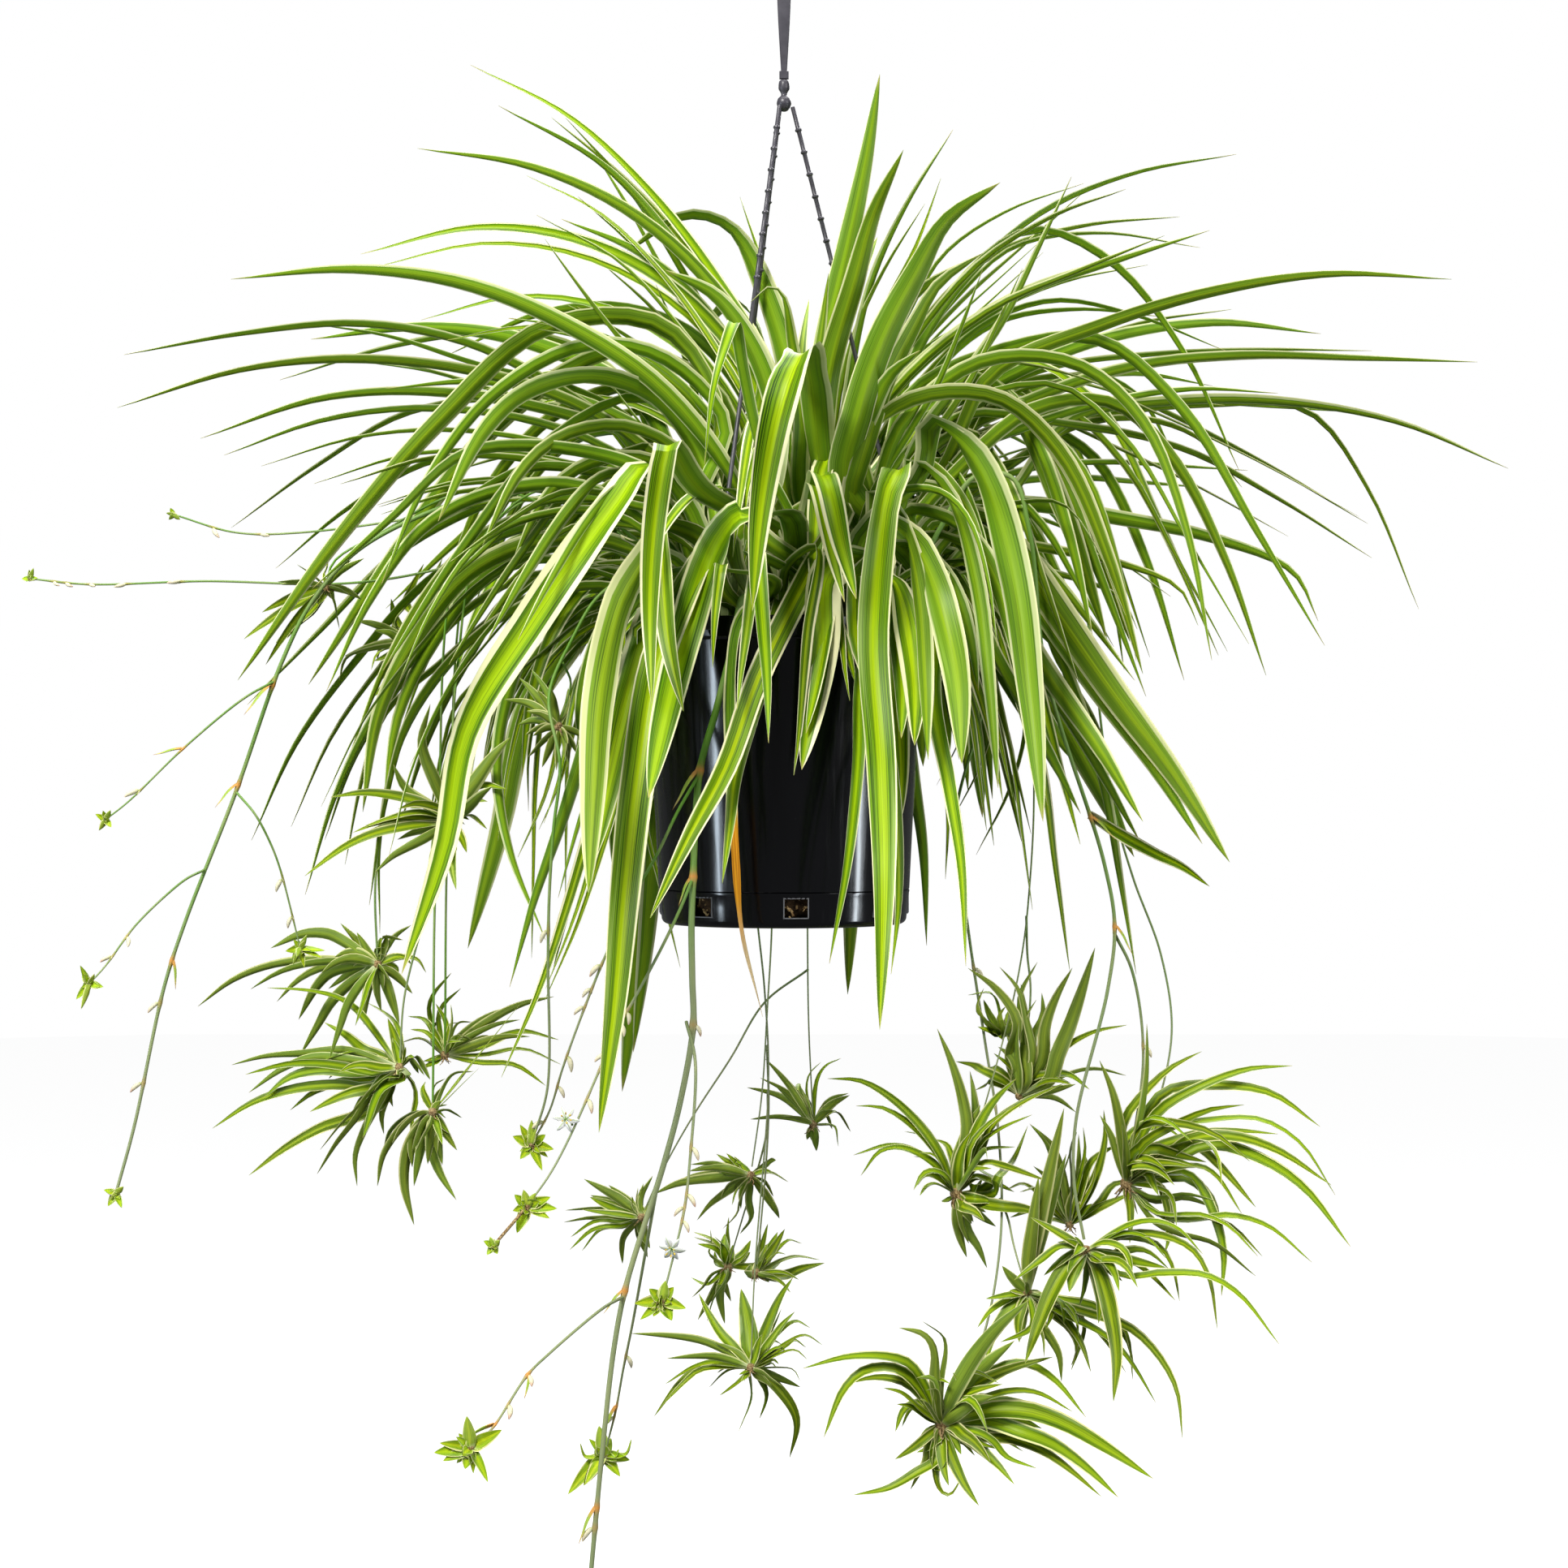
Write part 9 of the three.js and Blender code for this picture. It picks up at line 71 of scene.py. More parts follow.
        (6.89, 0.3, 3.2, 0.9, [-0.1,51,-474,-0.87,-0.47,0.11,-16.6,88.5,-442.9,-0.91,-0.4,0.14,-14,101.5,-421.1,-0.99,0.1,0.14,-11,114.9,-421.2,-0.97,-0.09,-0.24,-6.4,128.6,-461.2,-0.98,-0.14,-0.14,-2.9,142.5,-504.4,-0.98,-0.16,-0.12,-1.7,161.7,-542,-0.98,-0.15,-0.11])
    ],
    "shoot_back_right": [
        (5.5, 0.3, 3.2, 0.9, [42.2,37.3,-474,-0.67,0.72,0.18,20.4,4.7,-424.1,-0.56,0.79,0.25,47.1,9.8,-377.4,-0.55,0.84,0.05,47.9,16.7,-329.6,-0.57,0.82,-0.09,53.8,24.6,-285.3,-0.58,0.82,0,68.3,31,-244.9,-0.55,0.82,0.13,89.9,35.9,-201.5,-0.54,0.83,0.15,106.3,40,-156.6,-0.55,0.83,0.12]),
        (5.5, 0.3, 3.2, 0.9, [37.5,45,-474,0.84,0.38,-0.38,62.1,46.2,-417.1,0.8,0.39,-0.46,83.9,43.4,-394.1,0.64,0.43,-0.64,115.4,40.4,-368.3,0.34,0.78,-0.52,137.1,38.9,-365.9,-0.14,0.85,-0.5,162.3,38.5,-384.5,-0.6,0.62,-0.52,186,36,-425.6,-0.79,0.47,-0.4,202.4,31.8,-470.9,-0.81,0.47,-0.34]),
        (6.39, 0.3, 3.2, 0.9, [40.2,44.5,-474,0.85,0.29,-0.44,69.2,44.7,-418.1,0.74,0.34,-0.58,113.8,37.6,-383.1,0.41,0.5,-0.77,160.4,31.1,-378,0,0.43,-0.9,223.8,27.4,-387.6,-0.15,0.36,-0.92,289.4,24.9,-401.7,-0.26,0.37,-0.89,342.6,22.3,-424.8,-0.56,0.39,-0.73,358.9,19.9,-457.9,-0.8,0.42,-0.42]),
        (5.5, 0.3, 3.2, 0.9, [40.2,44.5,-474,-0.56,0.71,0.42,90.9,61.7,-435.3,-0.52,0.74,0.42,84.4,50,-428.7,0.04,0.63,0.77,102.4,50.9,-427,-0.12,0.99,0.07,111.4,53.4,-430.6,-0.22,0.97,-0.13,129.8,52.8,-460,-0.43,0.85,-0.29,143.5,48.6,-493.3,-0.47,0.85,-0.24,150.2,44.6,-530,-0.5,0.85,-0.18]),
        (5.5, 0.3, 3.2, 0.9, [40.2,44.5,-474,-0.16,0.57,-0.81,47.8,124.3,-419,-0.82,0.18,0.54,64.1,120.2,-463.7,0.37,0.92,0.1,85.4,116.9,-485,0.54,0.79,0.28,102.9,110.1,-509.8,0.63,0.77,0,109.8,97.2,-546.5,0.72,0.68,-0.15,113.5,81.4,-588.9,0.69,0.68,-0.25,110.9,64.1,-632.7,0.66,0.68,-0.31]),
        (5.5, 0.3, 3.2, 0.9, [40.1,44.5,-474,-0.86,0.5,0.1,101,138,-417.7,-0.69,0.58,0.44,119.5,125.4,-456.7,0.41,0.9,0.16,152.8,122.9,-463.2,0.33,0.94,-0.03,163.7,109.2,-483.4,-0.22,0.88,-0.41,168.6,97.4,-526.2,-0.41,0.89,-0.18,156.9,88,-570.7,-0.45,0.89,0.02,133.2,81.3,-616.4,-0.44,0.89,0.1]),
        (10.19, 0.3, 4.4, 0.8, [41.9,36.8,-474,0.98,0.19,-0.1,51.6,30.3,-389.5,0.94,0.22,-0.26,78.2,43.6,-338.4,0.63,0.57,-0.52,111.7,49.2,-295.5,0.2,0.88,-0.42,147.2,51.9,-289.3,-0.14,0.96,-0.26,181.1,50.7,-328,-0.66,0.61,-0.44,210.4,44.2,-396,-0.86,0.35,-0.36,233.8,32.9,-470.9,-0.88,0.35,-0.33]),
        (4.93, 0.3, 3.2, 0.9, [33.3,38.2,-474,0.48,0.87,0.06,39.8,29.5,-398.5,0.47,0.88,-0.04,53.1,33.9,-329.6,0.43,0.88,-0.21,83.5,38.5,-272.5,0.37,0.87,-0.32,126.2,43.7,-219.5,0.3,0.87,-0.4,178.1,49.5,-176,0.19,0.86,-0.47,239.9,56.4,-149.4,0.06,0.85,-0.52,310.5,64.4,-135,0.01,0.85,-0.53]),
        (4.97, 0.3, 3.2, 0.9, [33.4,38.1,-474,0.46,0.89,-0.07,42.2,38.7,-411.1,0.45,0.88,-0.16,57.2,49.3,-343.7,0.4,0.84,-0.37,76.3,80.2,-281.4,0.3,0.79,-0.53,110.3,106.5,-227.6,0.16,0.86,-0.49,152.4,117,-191.8,0.11,0.87,-0.48,211.3,123.9,-172.9,0.02,0.86,-0.51,280.1,130,-165.5,-0.02,0.85,-0.52]),
        (4.92, 0.3, 3.2, 0.9, [33.4,38.1,-474,0.4,0.88,-0.24,72.7,36.7,-413.4,0.45,0.88,-0.13,71.7,34.7,-360,0.45,0.89,-0.1,100.4,34.3,-313.8,0.29,0.91,-0.29,138.4,37.1,-284.6,0.09,0.91,-0.4,189.9,43.9,-272,0.01,0.91,-0.42,244.5,51.2,-252.5,0.01,0.91,-0.42,306,56.6,-242.7,-0.01,0.91,-0.42]),
        (4.9, 0.3, 3.2, 0.9, [34.9,36.1,-474,0.5,0.86,0.04,51.8,22.7,-405.8,0.46,0.88,-0.12,81.4,28.4,-352.3,0.32,0.88,-0.36,127.2,34.6,-309.2,0.15,0.92,-0.37,179.4,39.7,-285.2,0.05,0.92,-0.38,249.9,41.5,-275.3,0.03,0.92,-0.38,324.1,41,-272.3,0.01,0.92,-0.38,398.8,40.1,-273.4,0,0.92,-0.38]),
        (5.5, 0.3, 3.2, 0.9, [33.5,37.9,-474,0.48,0.87,-0.12,70.3,27.4,-405.4,0.43,0.88,-0.21,121.1,24.9,-345.3,0.16,0.91,-0.38,203.3,39.7,-318.7,0.01,0.91,-0.41,288,39,-310,0.01,0.92,-0.4,355.4,39.7,-314.5,-0.18,0.94,-0.27,397,44.1,-366.4,-0.32,0.94,-0.11,432.9,50.5,-447.9,-0.33,0.94,-0.07]),
        (4.95, 0.3, 3.2, 0.9, [33.5,37.9,-474,0.51,0.86,-0.05,62.5,24.3,-411.4,0.41,0.88,-0.23,93.8,40.7,-353.9,0.22,0.84,-0.5,150.9,69.5,-296.5,-0.06,0.88,-0.47,206.7,84.5,-284.3,-0.19,0.94,-0.29,264.4,89.3,-308.2,-0.2,0.94,-0.26,336.8,96,-344.3,-0.23,0.94,-0.25,408.6,104.5,-385.1,-0.25,0.94,-0.24]),
        (5.49, 0.3, 3.2, 0.9, [33.5,37.8,-474,0.46,0.84,0.27,26.6,16.9,-397.8,0.48,0.88,-0.03,64.3,24.5,-350.4,0.33,0.88,-0.33,95.2,28.8,-297.7,0.34,0.89,-0.3,132.9,28.6,-258.5,0.22,0.93,-0.28,181.1,25.9,-241.4,0.07,0.95,-0.32,236.3,22.8,-251.9,-0.04,0.95,-0.3,296.7,20,-276.3,-0.07,0.95,-0.29]),
        (5.5, 0.3, 3.2, 0.9, [33.5,37.8,-474,0.43,0.89,-0.14,27.6,49.8,-416,0.41,0.86,-0.3,61.7,63.1,-361.1,0.33,0.85,-0.41,84.6,78.3,-311.9,0.34,0.86,-0.37,118.1,81.2,-268.4,0.32,0.91,-0.27,151.5,74.5,-247.1,0.26,0.89,-0.37,202.3,68.4,-240.6,0.09,0.89,-0.45,258.6,64.5,-246.4,0.01,0.89,-0.46]),
        (5.5, 0.3, 3.2, 0.9, [33.6,37.6,-474,0.78,0.57,-0.27,52.5,43,-408.6,0.73,0.55,-0.41,83.6,51.7,-367.3,0.52,0.57,-0.63,124.7,68.7,-325.6,0.38,0.55,-0.74,172.7,90,-293.4,0.11,0.59,-0.8,217.8,112.3,-280.1,-0.39,0.69,-0.62,253.8,134.7,-294.3,-0.7,0.65,-0.28,281.8,156.3,-336.9,-0.75,0.65,-0.16]),
        (11.38, 0.3, 4.4, 0.8, [38.8,35.1,-474,-0.85,0.42,-0.3,33.9,89.3,-384,-0.54,0.63,-0.55,37.7,125.2,-369.6,-0.85,0.49,0.21,44,128.9,-435.5,-0.95,0.31,-0.02,48.9,146.7,-530.8,-0.99,0.15,0.05,50.9,236,-625.5,-0.99,0.12,0.1,48.9,307.3,-728.8,-0.99,0.13,0.11]),
        (12.51, 0.3, 4.4, 0.8, [42.9,41.2,-474,-0.68,0.34,-0.65,10.6,94,-412.8,-0.62,0.65,-0.44,52.4,102.5,-397.2,-0.36,0.91,-0.22,67.7,119.5,-401.7,-0.48,0.85,0.23,87.3,135.2,-444.8,-0.75,0.66,0,96.7,152.7,-498.7,-0.97,0.25,0,101.2,187,-554.7,-0.98,0.2,0.04]),
        (6.51, 0.3, 3.2, 0.9, [42.9,41.2,-474,-0.79,0.62,0.06,79.9,83.8,-429.7,-0.65,0.76,-0.03,105,95.6,-425.9,-0.56,0.81,0.18,79.9,94.7,-477.8,-0.89,0.42,0.19,88.8,117.3,-547.9,-0.96,0.29,0,100.2,163.2,-615.1,-0.96,0.26,0.06,104.6,205.1,-685.8,-0.96,0.26,0.1]),
        (11.89, 0.3, 4.4, 0.8, [38.8,35.1,-474,-0.74,0.14,-0.66,24.8,79.7,-448.7,-0.79,0.46,-0.41,45.9,90.2,-426.1,-0.44,0.88,-0.19,58.6,99.9,-432.9,-0.5,0.85,0.14,66.1,108.3,-464.8,-0.88,0.48,0.02,68.2,121,-502.8,-0.99,0.15,0.05,67.9,144.2,-542.9,-0.99,0.13,0.08]),
        (13.39, 0.3, 4.4, 0.8, [38.8,35.1,-474,-0.77,0.56,-0.32,52.1,100,-391.7,-0.45,0.78,-0.44,64.1,120.9,-347.2,-0.53,0.81,-0.25,98,144.9,-345.4,-0.35,0.93,0.04,125.1,146.9,-413.4,-0.79,0.6,-0.14,135.7,158.1,-501,-0.98,0.18,-0.06,145.3,201.4,-591.8,-0.99,0.14,-0.03]),
        (8.27, 0.3, 4.4, 0.8, [37.5,45,-474,-0.59,0.75,0.3,74.3,52.7,-419.9,-0.47,0.84,-0.27,52,76.9,-399.1,-0.63,0.48,-0.61,81.9,96.9,-393.4,-0.44,0.9,0.08,107.2,105.4,-414.1,-0.45,0.88,-0.15,124.2,106.9,-463.5,-0.86,0.49,-0.16,131.8,114.7,-518.5,-0.9,0.42,-0.07]),
        (7.66, 0.3, 4.4, 0.8, [41.8,36.8,-474,-0.66,0.68,0.33,103.3,59.2,-396.3,-0.7,0.67,-0.24,48.4,89.8,-342.8,-0.05,0.81,-0.59,102.2,112.2,-324.1,-0.2,0.89,-0.4,149.6,111.4,-345.5,-0.41,0.79,-0.46,184.1,103.3,-412.8,-0.86,0.37,-0.36,207.6,101.2,-495.5,-0.91,0.31,-0.27]),
        (9.9, 0.3, 4.4, 0.8, [41.8,36.8,-474,-0.83,0.49,0.28,36.4,-9.7,-408.1,-0.82,0.44,0.38,76.5,-12,-343.3,-0.56,0.71,0.43,111,-12.3,-308.7,-0.07,0.97,0.23,148,-12.8,-318.3,-0.21,0.94,-0.26,184.6,-18,-387.5,-0.83,0.41,-0.37,212.8,-18.8,-471.3,-0.91,0.29,-0.31]),
        (5.91, 0.3, 3.2, 0.9, [33.5,37.9,-474,0.89,0.37,-0.28,58.2,48,-382.7,0.79,0.51,-0.34,81.7,63.8,-323.3,0.29,0.69,-0.66,137.6,95.5,-298.8,-0.35,0.74,-0.57,193.1,118,-321.7,-0.61,0.71,-0.34,225.5,124.1,-395.9,-0.9,0.36,-0.24,240.6,126.6,-486.7,-0.94,0.32,-0.15]),
        (5.86, 0.3, 3.2, 0.9, [33.6,37.6,-474,0.92,0.34,-0.18,55.6,16.8,-402.3,0.73,0.57,-0.38,105.1,26.9,-350.5,0.39,0.61,-0.69,166.3,33.1,-325.4,-0.07,0.84,-0.54,209.1,39.8,-344.7,-0.56,0.72,-0.4,246.4,45.3,-414.9,-0.88,0.34,-0.35,272.8,49.6,-496.6,-0.91,0.31,-0.28]),
        (12.4, 0.3, 4.4, 0.8, [42.2,37.3,-474,0.58,0.48,-0.66,100.9,52.3,-411.9,0.87,0.48,-0.12,33.7,80.1,-367.9,0.55,0.83,-0.05,47,94.2,-313.6,0.62,0.72,-0.32,67.1,93.9,-271.1,0.63,0.72,-0.31,87.6,94.4,-230.3,0.42,0.81,-0.4,122,98.5,-204.3,0.41,0.65,-0.64])
    ],
    "shoot_front_right": [
        (11.69, 0.3, 4.4, 0.8, [44.2,-38.7,-474,0.66,0.29,-0.7,88.6,-38.9,-432.3,0.98,0.19,0.1,39.2,-64.9,-374.5,0.84,0.28,0.46,46.8,-82.6,-330.1,0.9,0.4,-0.15,62.2,-83.5,-284,0.83,0.42,-0.36,83.5,-80.3,-242.3,0.78,0.44,-0.44,104.2,-80.9,-207.3,0.6,0.6,-0.53,137.7,-82.6,-183.9,0.52,0.49,-0.7]),
        (10.36, 0.3, 4.4, 0.8, [40.8,-40.9,-474,0.96,0.25,-0.11,54.9,-61.4,-396.2,0.9,0.44,-0.03,72.1,-98.9,-365.2,0.96,0.17,0.22,64.6,-123.6,-389.7,0.84,0.49,-0.23,55.9,-119.4,-469.6,0.99,0.11,-0.05,59.7,-153.2,-552.9,1,0.05,-0.02,58.6,-242.6,-629.6,1,0.04,-0.06,54.6,-286.1,-707.3,1,0.05,-0.08]),
        (5.5, 0.3, 3.2, 0.9, [45,-35.7,-474,0.99,0.06,0.13,44.2,-107.3,-436.4,0.99,0.01,-0.1,45.3,-102.6,-474.4,0.94,0.28,0.18,57.9,-105.5,-511.2,0.95,0.26,0.17,66.1,-127.1,-555.8,0.98,0.18,0.01,69.5,-165.5,-599.9,0.99,0.12,-0.08,68.4,-202.5,-640.5,0.98,0.12,-0.16,63.4,-221,-679.9,0.97,0.13,-0.19]),
        (11.47, 0.3, 4.4, 0.8, [44.9,-34.8,-474,0.88,0.45,-0.17,61.4,-48.7,-425.9,0.72,0.69,0.09,65.7,-65,-403.9,0.58,0.53,0.62,68,-89.3,-397.8,0.63,0.54,-0.56,88.9,-112.1,-423.1,-0.36,0.7,-0.62,100.2,-131.3,-463.5,-0.87,0.32,-0.37,106.1,-159.8,-506.1,-1,0,-0.06,106,-208.2,-555.4,-1,-0.01,0.01]),
        (6.05, 0.3, 3.2, 0.9, [44.9,-34.8,-474,0.8,0.49,-0.36,75.3,-55.9,-434.4,0.63,0.76,-0.17,100.2,-69.7,-426,0.7,0.7,-0.14,101,-83.5,-445.4,0.84,0.5,-0.23,94,-96.7,-506.7,1,0.09,-0.02,102.4,-129.8,-566.9,0.99,0.06,0.08,107.8,-174.9,-619.3,1,0.05,0.02,108.4,-208,-675.9,1,0.05,-0.02]),
        (11.03, 0.3, 4.4, 0.8, [40.8,-40.9,-474,0.82,0.56,-0.14,49.9,-47.9,-448.1,0.82,0.57,-0.07,61.4,-64,-420.8,0.73,0.53,0.42,62.5,-81.5,-427.6,0.73,0.52,-0.45,72.7,-96.3,-439.7,0.63,0.75,-0.18,79.3,-106.6,-474.8,0.97,0.24,0.04,82,-121.1,-506.1,0.99,0.12,-0.05,80.6,-145.1,-543.5,0.99,0.1,-0.1]),
        (7.76, 0.3, 4.4, 0.8, [44.8,-34.5,-470,0.48,0.8,-0.35,77.2,-45.1,-449.4,0.29,0.96,-0.06,108.3,-52.9,-455.3,0.47,0.88,-0.1,105.6,-61.3,-459.4,-0.14,0.89,0.43,73.9,-68.4,-434.7,0.72,0.23,-0.66,71.7,-80.1,-502.5,0.97,0.25,-0.06,74.4,-101.5,-555.3,0.97,0.21,-0.11,72.7,-131,-589.7,0.97,0.16,-0.19]),
        (12.39, 0.3, 4.4, 0.8, [40.8,-40.9,-474,0.96,0.29,0.05,47.3,-72.2,-411.1,0.76,0.65,-0.11,87.3,-77.3,-368.7,0.51,0.85,-0.11,94.8,-90.9,-334.8,0.59,0.79,-0.17,124.7,-104.3,-365.2,-0.47,0.77,-0.44,144.5,-118.5,-435,-0.9,0.35,-0.26,152.5,-142.4,-511.8,-0.97,0.19,-0.15,156.7,-181.1,-590.1,-0.97,0.18,-0.14]),
        (5.5, 0.3, 3.2, 0.9, [40.8,-40.9,-474,0.03,-0.57,-0.82,60.9,-117.5,-420.7,0.65,0.14,0.75,51.8,-109.3,-471,0.4,0.92,0.02,46.6,-109.5,-501.6,0.77,0.62,-0.12,46.6,-117,-546.6,0.82,0.53,-0.22,42,-140.6,-594.9,0.83,0.45,-0.34,36.7,-167.3,-635.6,0.8,0.45,-0.4,27.4,-187,-675.7,0.77,0.48,-0.42]),
        (7.75, 0.3, 4.4, 0.8, [39.5,-31,-474,0.69,0.47,-0.56,86.1,-30,-415.8,0.61,0.74,-0.29,84.2,-40.8,-406.1,0.48,0.61,0.63,80.3,-51.8,-390.4,0.7,0.59,-0.39,109.4,-65.3,-397.7,0.05,0.81,-0.59,131.1,-81.3,-426.5,-0.6,0.58,-0.55,144.7,-98.8,-471.5,-0.92,0.25,-0.29,150.2,-120.3,-519.8,-0.95,0.23,-0.21]),
        (7.26, 0.3, 4.4, 0.8, [43.8,-39.2,-474,0.96,0.19,-0.18,58.5,-36.5,-394.6,0.95,0.32,-0.02,50.5,-52.8,-344.4,0.64,0.76,0.09,84.7,-67.7,-319,0.34,0.7,-0.63,138.3,-72.8,-319.9,-0.22,0.76,-0.61,178,-69.6,-355.4,-0.72,0.51,-0.47,208.5,-66.3,-421.2,-0.88,0.36,-0.32,231,-64.5,-496.4,-0.89,0.37,-0.26]),
        (5.55, 0.3, 3.2, 0.9, [35.5,-38.2,-474,0.95,0.19,-0.26,57.7,-32.9,-388.5,0.93,0.28,-0.24,76.8,-55.2,-333.2,0.81,0.33,-0.49,126.9,-62.2,-294.9,0.32,0.54,-0.77,187.9,-70.3,-297.8,-0.2,0.6,-0.77,229.6,-81,-336,-0.7,0.47,-0.53,256.1,-92.5,-407.7,-0.89,0.35,-0.29,269.7,-104.5,-489.2,-0.91,0.36,-0.2]),
        (5.62, 0.3, 3.2, 0.9, [35.6,-38.4,-474,0.81,0.27,-0.51,73.6,-29.6,-409.2,0.76,0.34,-0.55,113.1,-33,-363,0.66,0.38,-0.65,163.1,-37.9,-322.7,0.38,0.46,-0.8,214.5,-41.2,-319.2,-0.22,0.7,-0.68,253.3,-40.7,-355,-0.73,0.45,-0.52,288.2,-40,-422,-0.87,0.31,-0.38,314.3,-40,-496.6,-0.9,0.31,-0.31])
    ],
    "shoot_front": [
        (6.95, 0.3, 3.2, 0.9, [4.2,-52.7,-474,0.93,-0.29,-0.23,22.1,-31.5,-428.9,0.98,-0.19,-0.02,10.7,-30.3,-372.1,0.97,-0.23,0.08,11.6,-39.4,-327.4,0.98,-0.19,0,5.1,-56.6,-279.4,0.93,-0.37,-0.01,-0.8,-72,-253.3,0.64,-0.76,-0.1,-8,-71.6,-248.1,-0.17,-0.91,0.37,-21.4,-70.1,-258,-0.42,-0.79,0.45]),
        (5.5, 0.3, 3.2, 0.9, [3,-54,-474,0.64,-0.71,-0.29,8,-76.5,-407,0.66,-0.73,-0.18,-11.7,-93.8,-364.2,0.68,-0.73,-0.09,-25.2,-120.4,-308.7,0.81,-0.58,-0.13,-29.9,-137.2,-283.3,0.97,-0.22,-0.06,-31.6,-155.5,-285.2,0.97,-0.07,-0.25,-42.7,-169.3,-324.2,0.83,-0.54,-0.14,-48.7,-160.1,-371.8,0.77,-0.6,-0.21]),
        (9.5, 0.3, 4.4, 0.8, [4.6,-51.9,-474,0.91,-0.37,-0.21,14.4,-58,-421.4,0.86,-0.44,0.27,-52.3,-105.3,-381.8,0.8,-0.46,0.39,-68.5,-149,-360.2,0.97,-0.21,0.12,-71.5,-182.1,-363.3,0.87,-0.49,-0.02,-79.1,-165.8,-406.5,0.97,-0.19,-0.16,-82.4,-159,-458.3,0.98,-0.18,0,-80.3,-175.1,-518.7,0.98,-0.17,0.08]),
        (8.75, 0.3, 4.4, 0.8, [4.5,-47.8,-470,0.49,-0.59,0.64,-37.3,-55.8,-445.4,0.69,-0.52,0.51,-51.3,-64.9,-411.4,0.78,-0.5,0.38,-73.9,-79.2,-401.1,0.74,-0.56,0.36,-79,-97.5,-405.1,0.66,-0.6,0.45,-77.2,-109.8,-437.2,0.92,-0.34,0.19,-72.5,-121,-480.3,0.93,-0.25,0.25,-62.3,-139.4,-522.3,0.92,-0.23,0.32]),
        (6.83, 0.3, 3.2, 0.9, [4.6,-51.9,-474,0.88,0.09,-0.47,25.6,-85.3,-441.8,0.92,-0.37,0.09,-13.7,-80.9,-408.3,0.63,-0.45,0.63,-28.8,-78.4,-382.8,0.45,-0.84,0.3,-39,-83.4,-377.6,0.55,-0.79,-0.25,-56.6,-97.4,-383.7,0.76,-0.58,-0.29,-71.2,-113.8,-401.1,0.88,-0.35,-0.33,-86.5,-126.3,-432.9,0.9,-0.28,-0.33]),
        (12.54, 0.3, 4.4, 0.8, [4.6,-51.9,-474,0.95,-0.27,-0.14,4.8,-91.5,-397,0.88,-0.45,-0.14,-26.2,-136.3,-399.2,0.77,-0.63,-0.09,-30.4,-134.5,-399.3,0.05,-0.64,-0.76,-48.2,-106.2,-426,0.78,-0.38,-0.5,-62.8,-102.2,-474.8,0.97,-0.16,-0.2,-74,-133.4,-526,0.99,-0.1,-0.09,-81.3,-196.9,-575.8,1,-0.06,-0.07]),
        (11.48, 0.3, 4.4, 0.8, [4.6,-51.9,-474,0.81,-0.39,0.44,-27.6,-73.5,-434.4,0.67,-0.74,-0.03,-36.7,-91.6,-404.4,0.52,-0.85,-0.05,-76,-100.8,-476.3,0.94,-0.21,-0.26,-90.5,-133.7,-562.6,0.99,0.03,-0.14,-96.3,-182.2,-634.9,0.99,0.04,-0.09,-101.4,-202.9,-703.8,0.99,0.03,-0.1,-109.5,-221,-773.6,0.99,0.03,-0.12]),
        (9.82, 0.3, 4.4, 0.8, [0.8,-54.9,-474,0.81,0.41,-0.42,28.2,-54.6,-420.8,0.92,0.39,-0.08,13.7,-69.3,-397,0.93,0.25,0.27,22.4,-86.7,-371,0.92,0.38,0.13,23.9,-102.8,-370.7,0.98,0.19,-0.07,27.1,-114.8,-381.1,0.93,0.35,0.12,34.1,-114.7,-415.7,0.97,-0.05,0.25,45.2,-120.4,-451.8,0.95,-0.08,0.3]),
        (12.61, 0.3, 4.4, 0.8, [0.8,-54.9,-474,0.86,0.49,-0.17,15.7,-72.5,-449.3,0.67,0.63,-0.38,53.8,-84.3,-428.7,0.78,0.61,-0.12,33.9,-92,-428.9,0.21,0.21,-0.95,26.3,-99.1,-438.1,0.89,0.36,-0.26,23.9,-104.1,-479.4,0.99,0.01,-0.1,17.7,-109,-521.1,0.99,-0.05,-0.15,11.1,-123.4,-558.4,0.99,-0.06,-0.15]),
        (5.5, 0.3, 3.2, 0.9, [4.9,-49.1,-470,0.74,0.1,0.67,2.8,-57.1,-466.4,0.73,0.19,0.65,-0.7,-73.9,-456.4,0.7,0.53,0.48,2,-90.1,-428.8,0.8,0.59,0.02,22,-106.2,-417.7,0.45,0.85,-0.26,15.1,-110.6,-473,0.83,0.55,-0.13,9.7,-114.4,-534.3,0.81,0.56,-0.2,6.1,-128.7,-561.9,0.78,0.51,-0.36]),
        (5.5, 0.3, 3.2, 0.9, [5,-50.5,-474,0.77,0.33,0.54,7.6,-148.9,-417.1,0.95,0.15,0.27,17.2,-144.2,-466.1,0.41,0.84,0.35,30.8,-140.4,-464.3,-0.27,0.68,-0.68,33.9,-136.9,-465.6,0.44,0.58,0.69,36.7,-131.7,-475.2,0.84,0.33,0.43,41.1,-124.3,-489.6,0.86,0.31,0.4,45.3,-116,-505.9,0.83,0.38,0.4]),
        (8.19, 0.3, 4.4, 0.8, [0.2,-45,-474,0.89,-0.44,0.1,-5.7,-41.3,-405,0.63,-0.61,-0.49,41.2,-74.6,-384,0.55,0.58,-0.61,14.9,-94.2,-436.4,0.82,0.28,-0.5,-16,-117,-500.4,0.9,0.1,-0.42,-34.4,-137.6,-553.4,0.9,0.07,-0.43,-57.4,-192.7,-600,0.88,0.04,-0.47,-78.2,-244.3,-645.7,0.89,0.05,-0.46]),
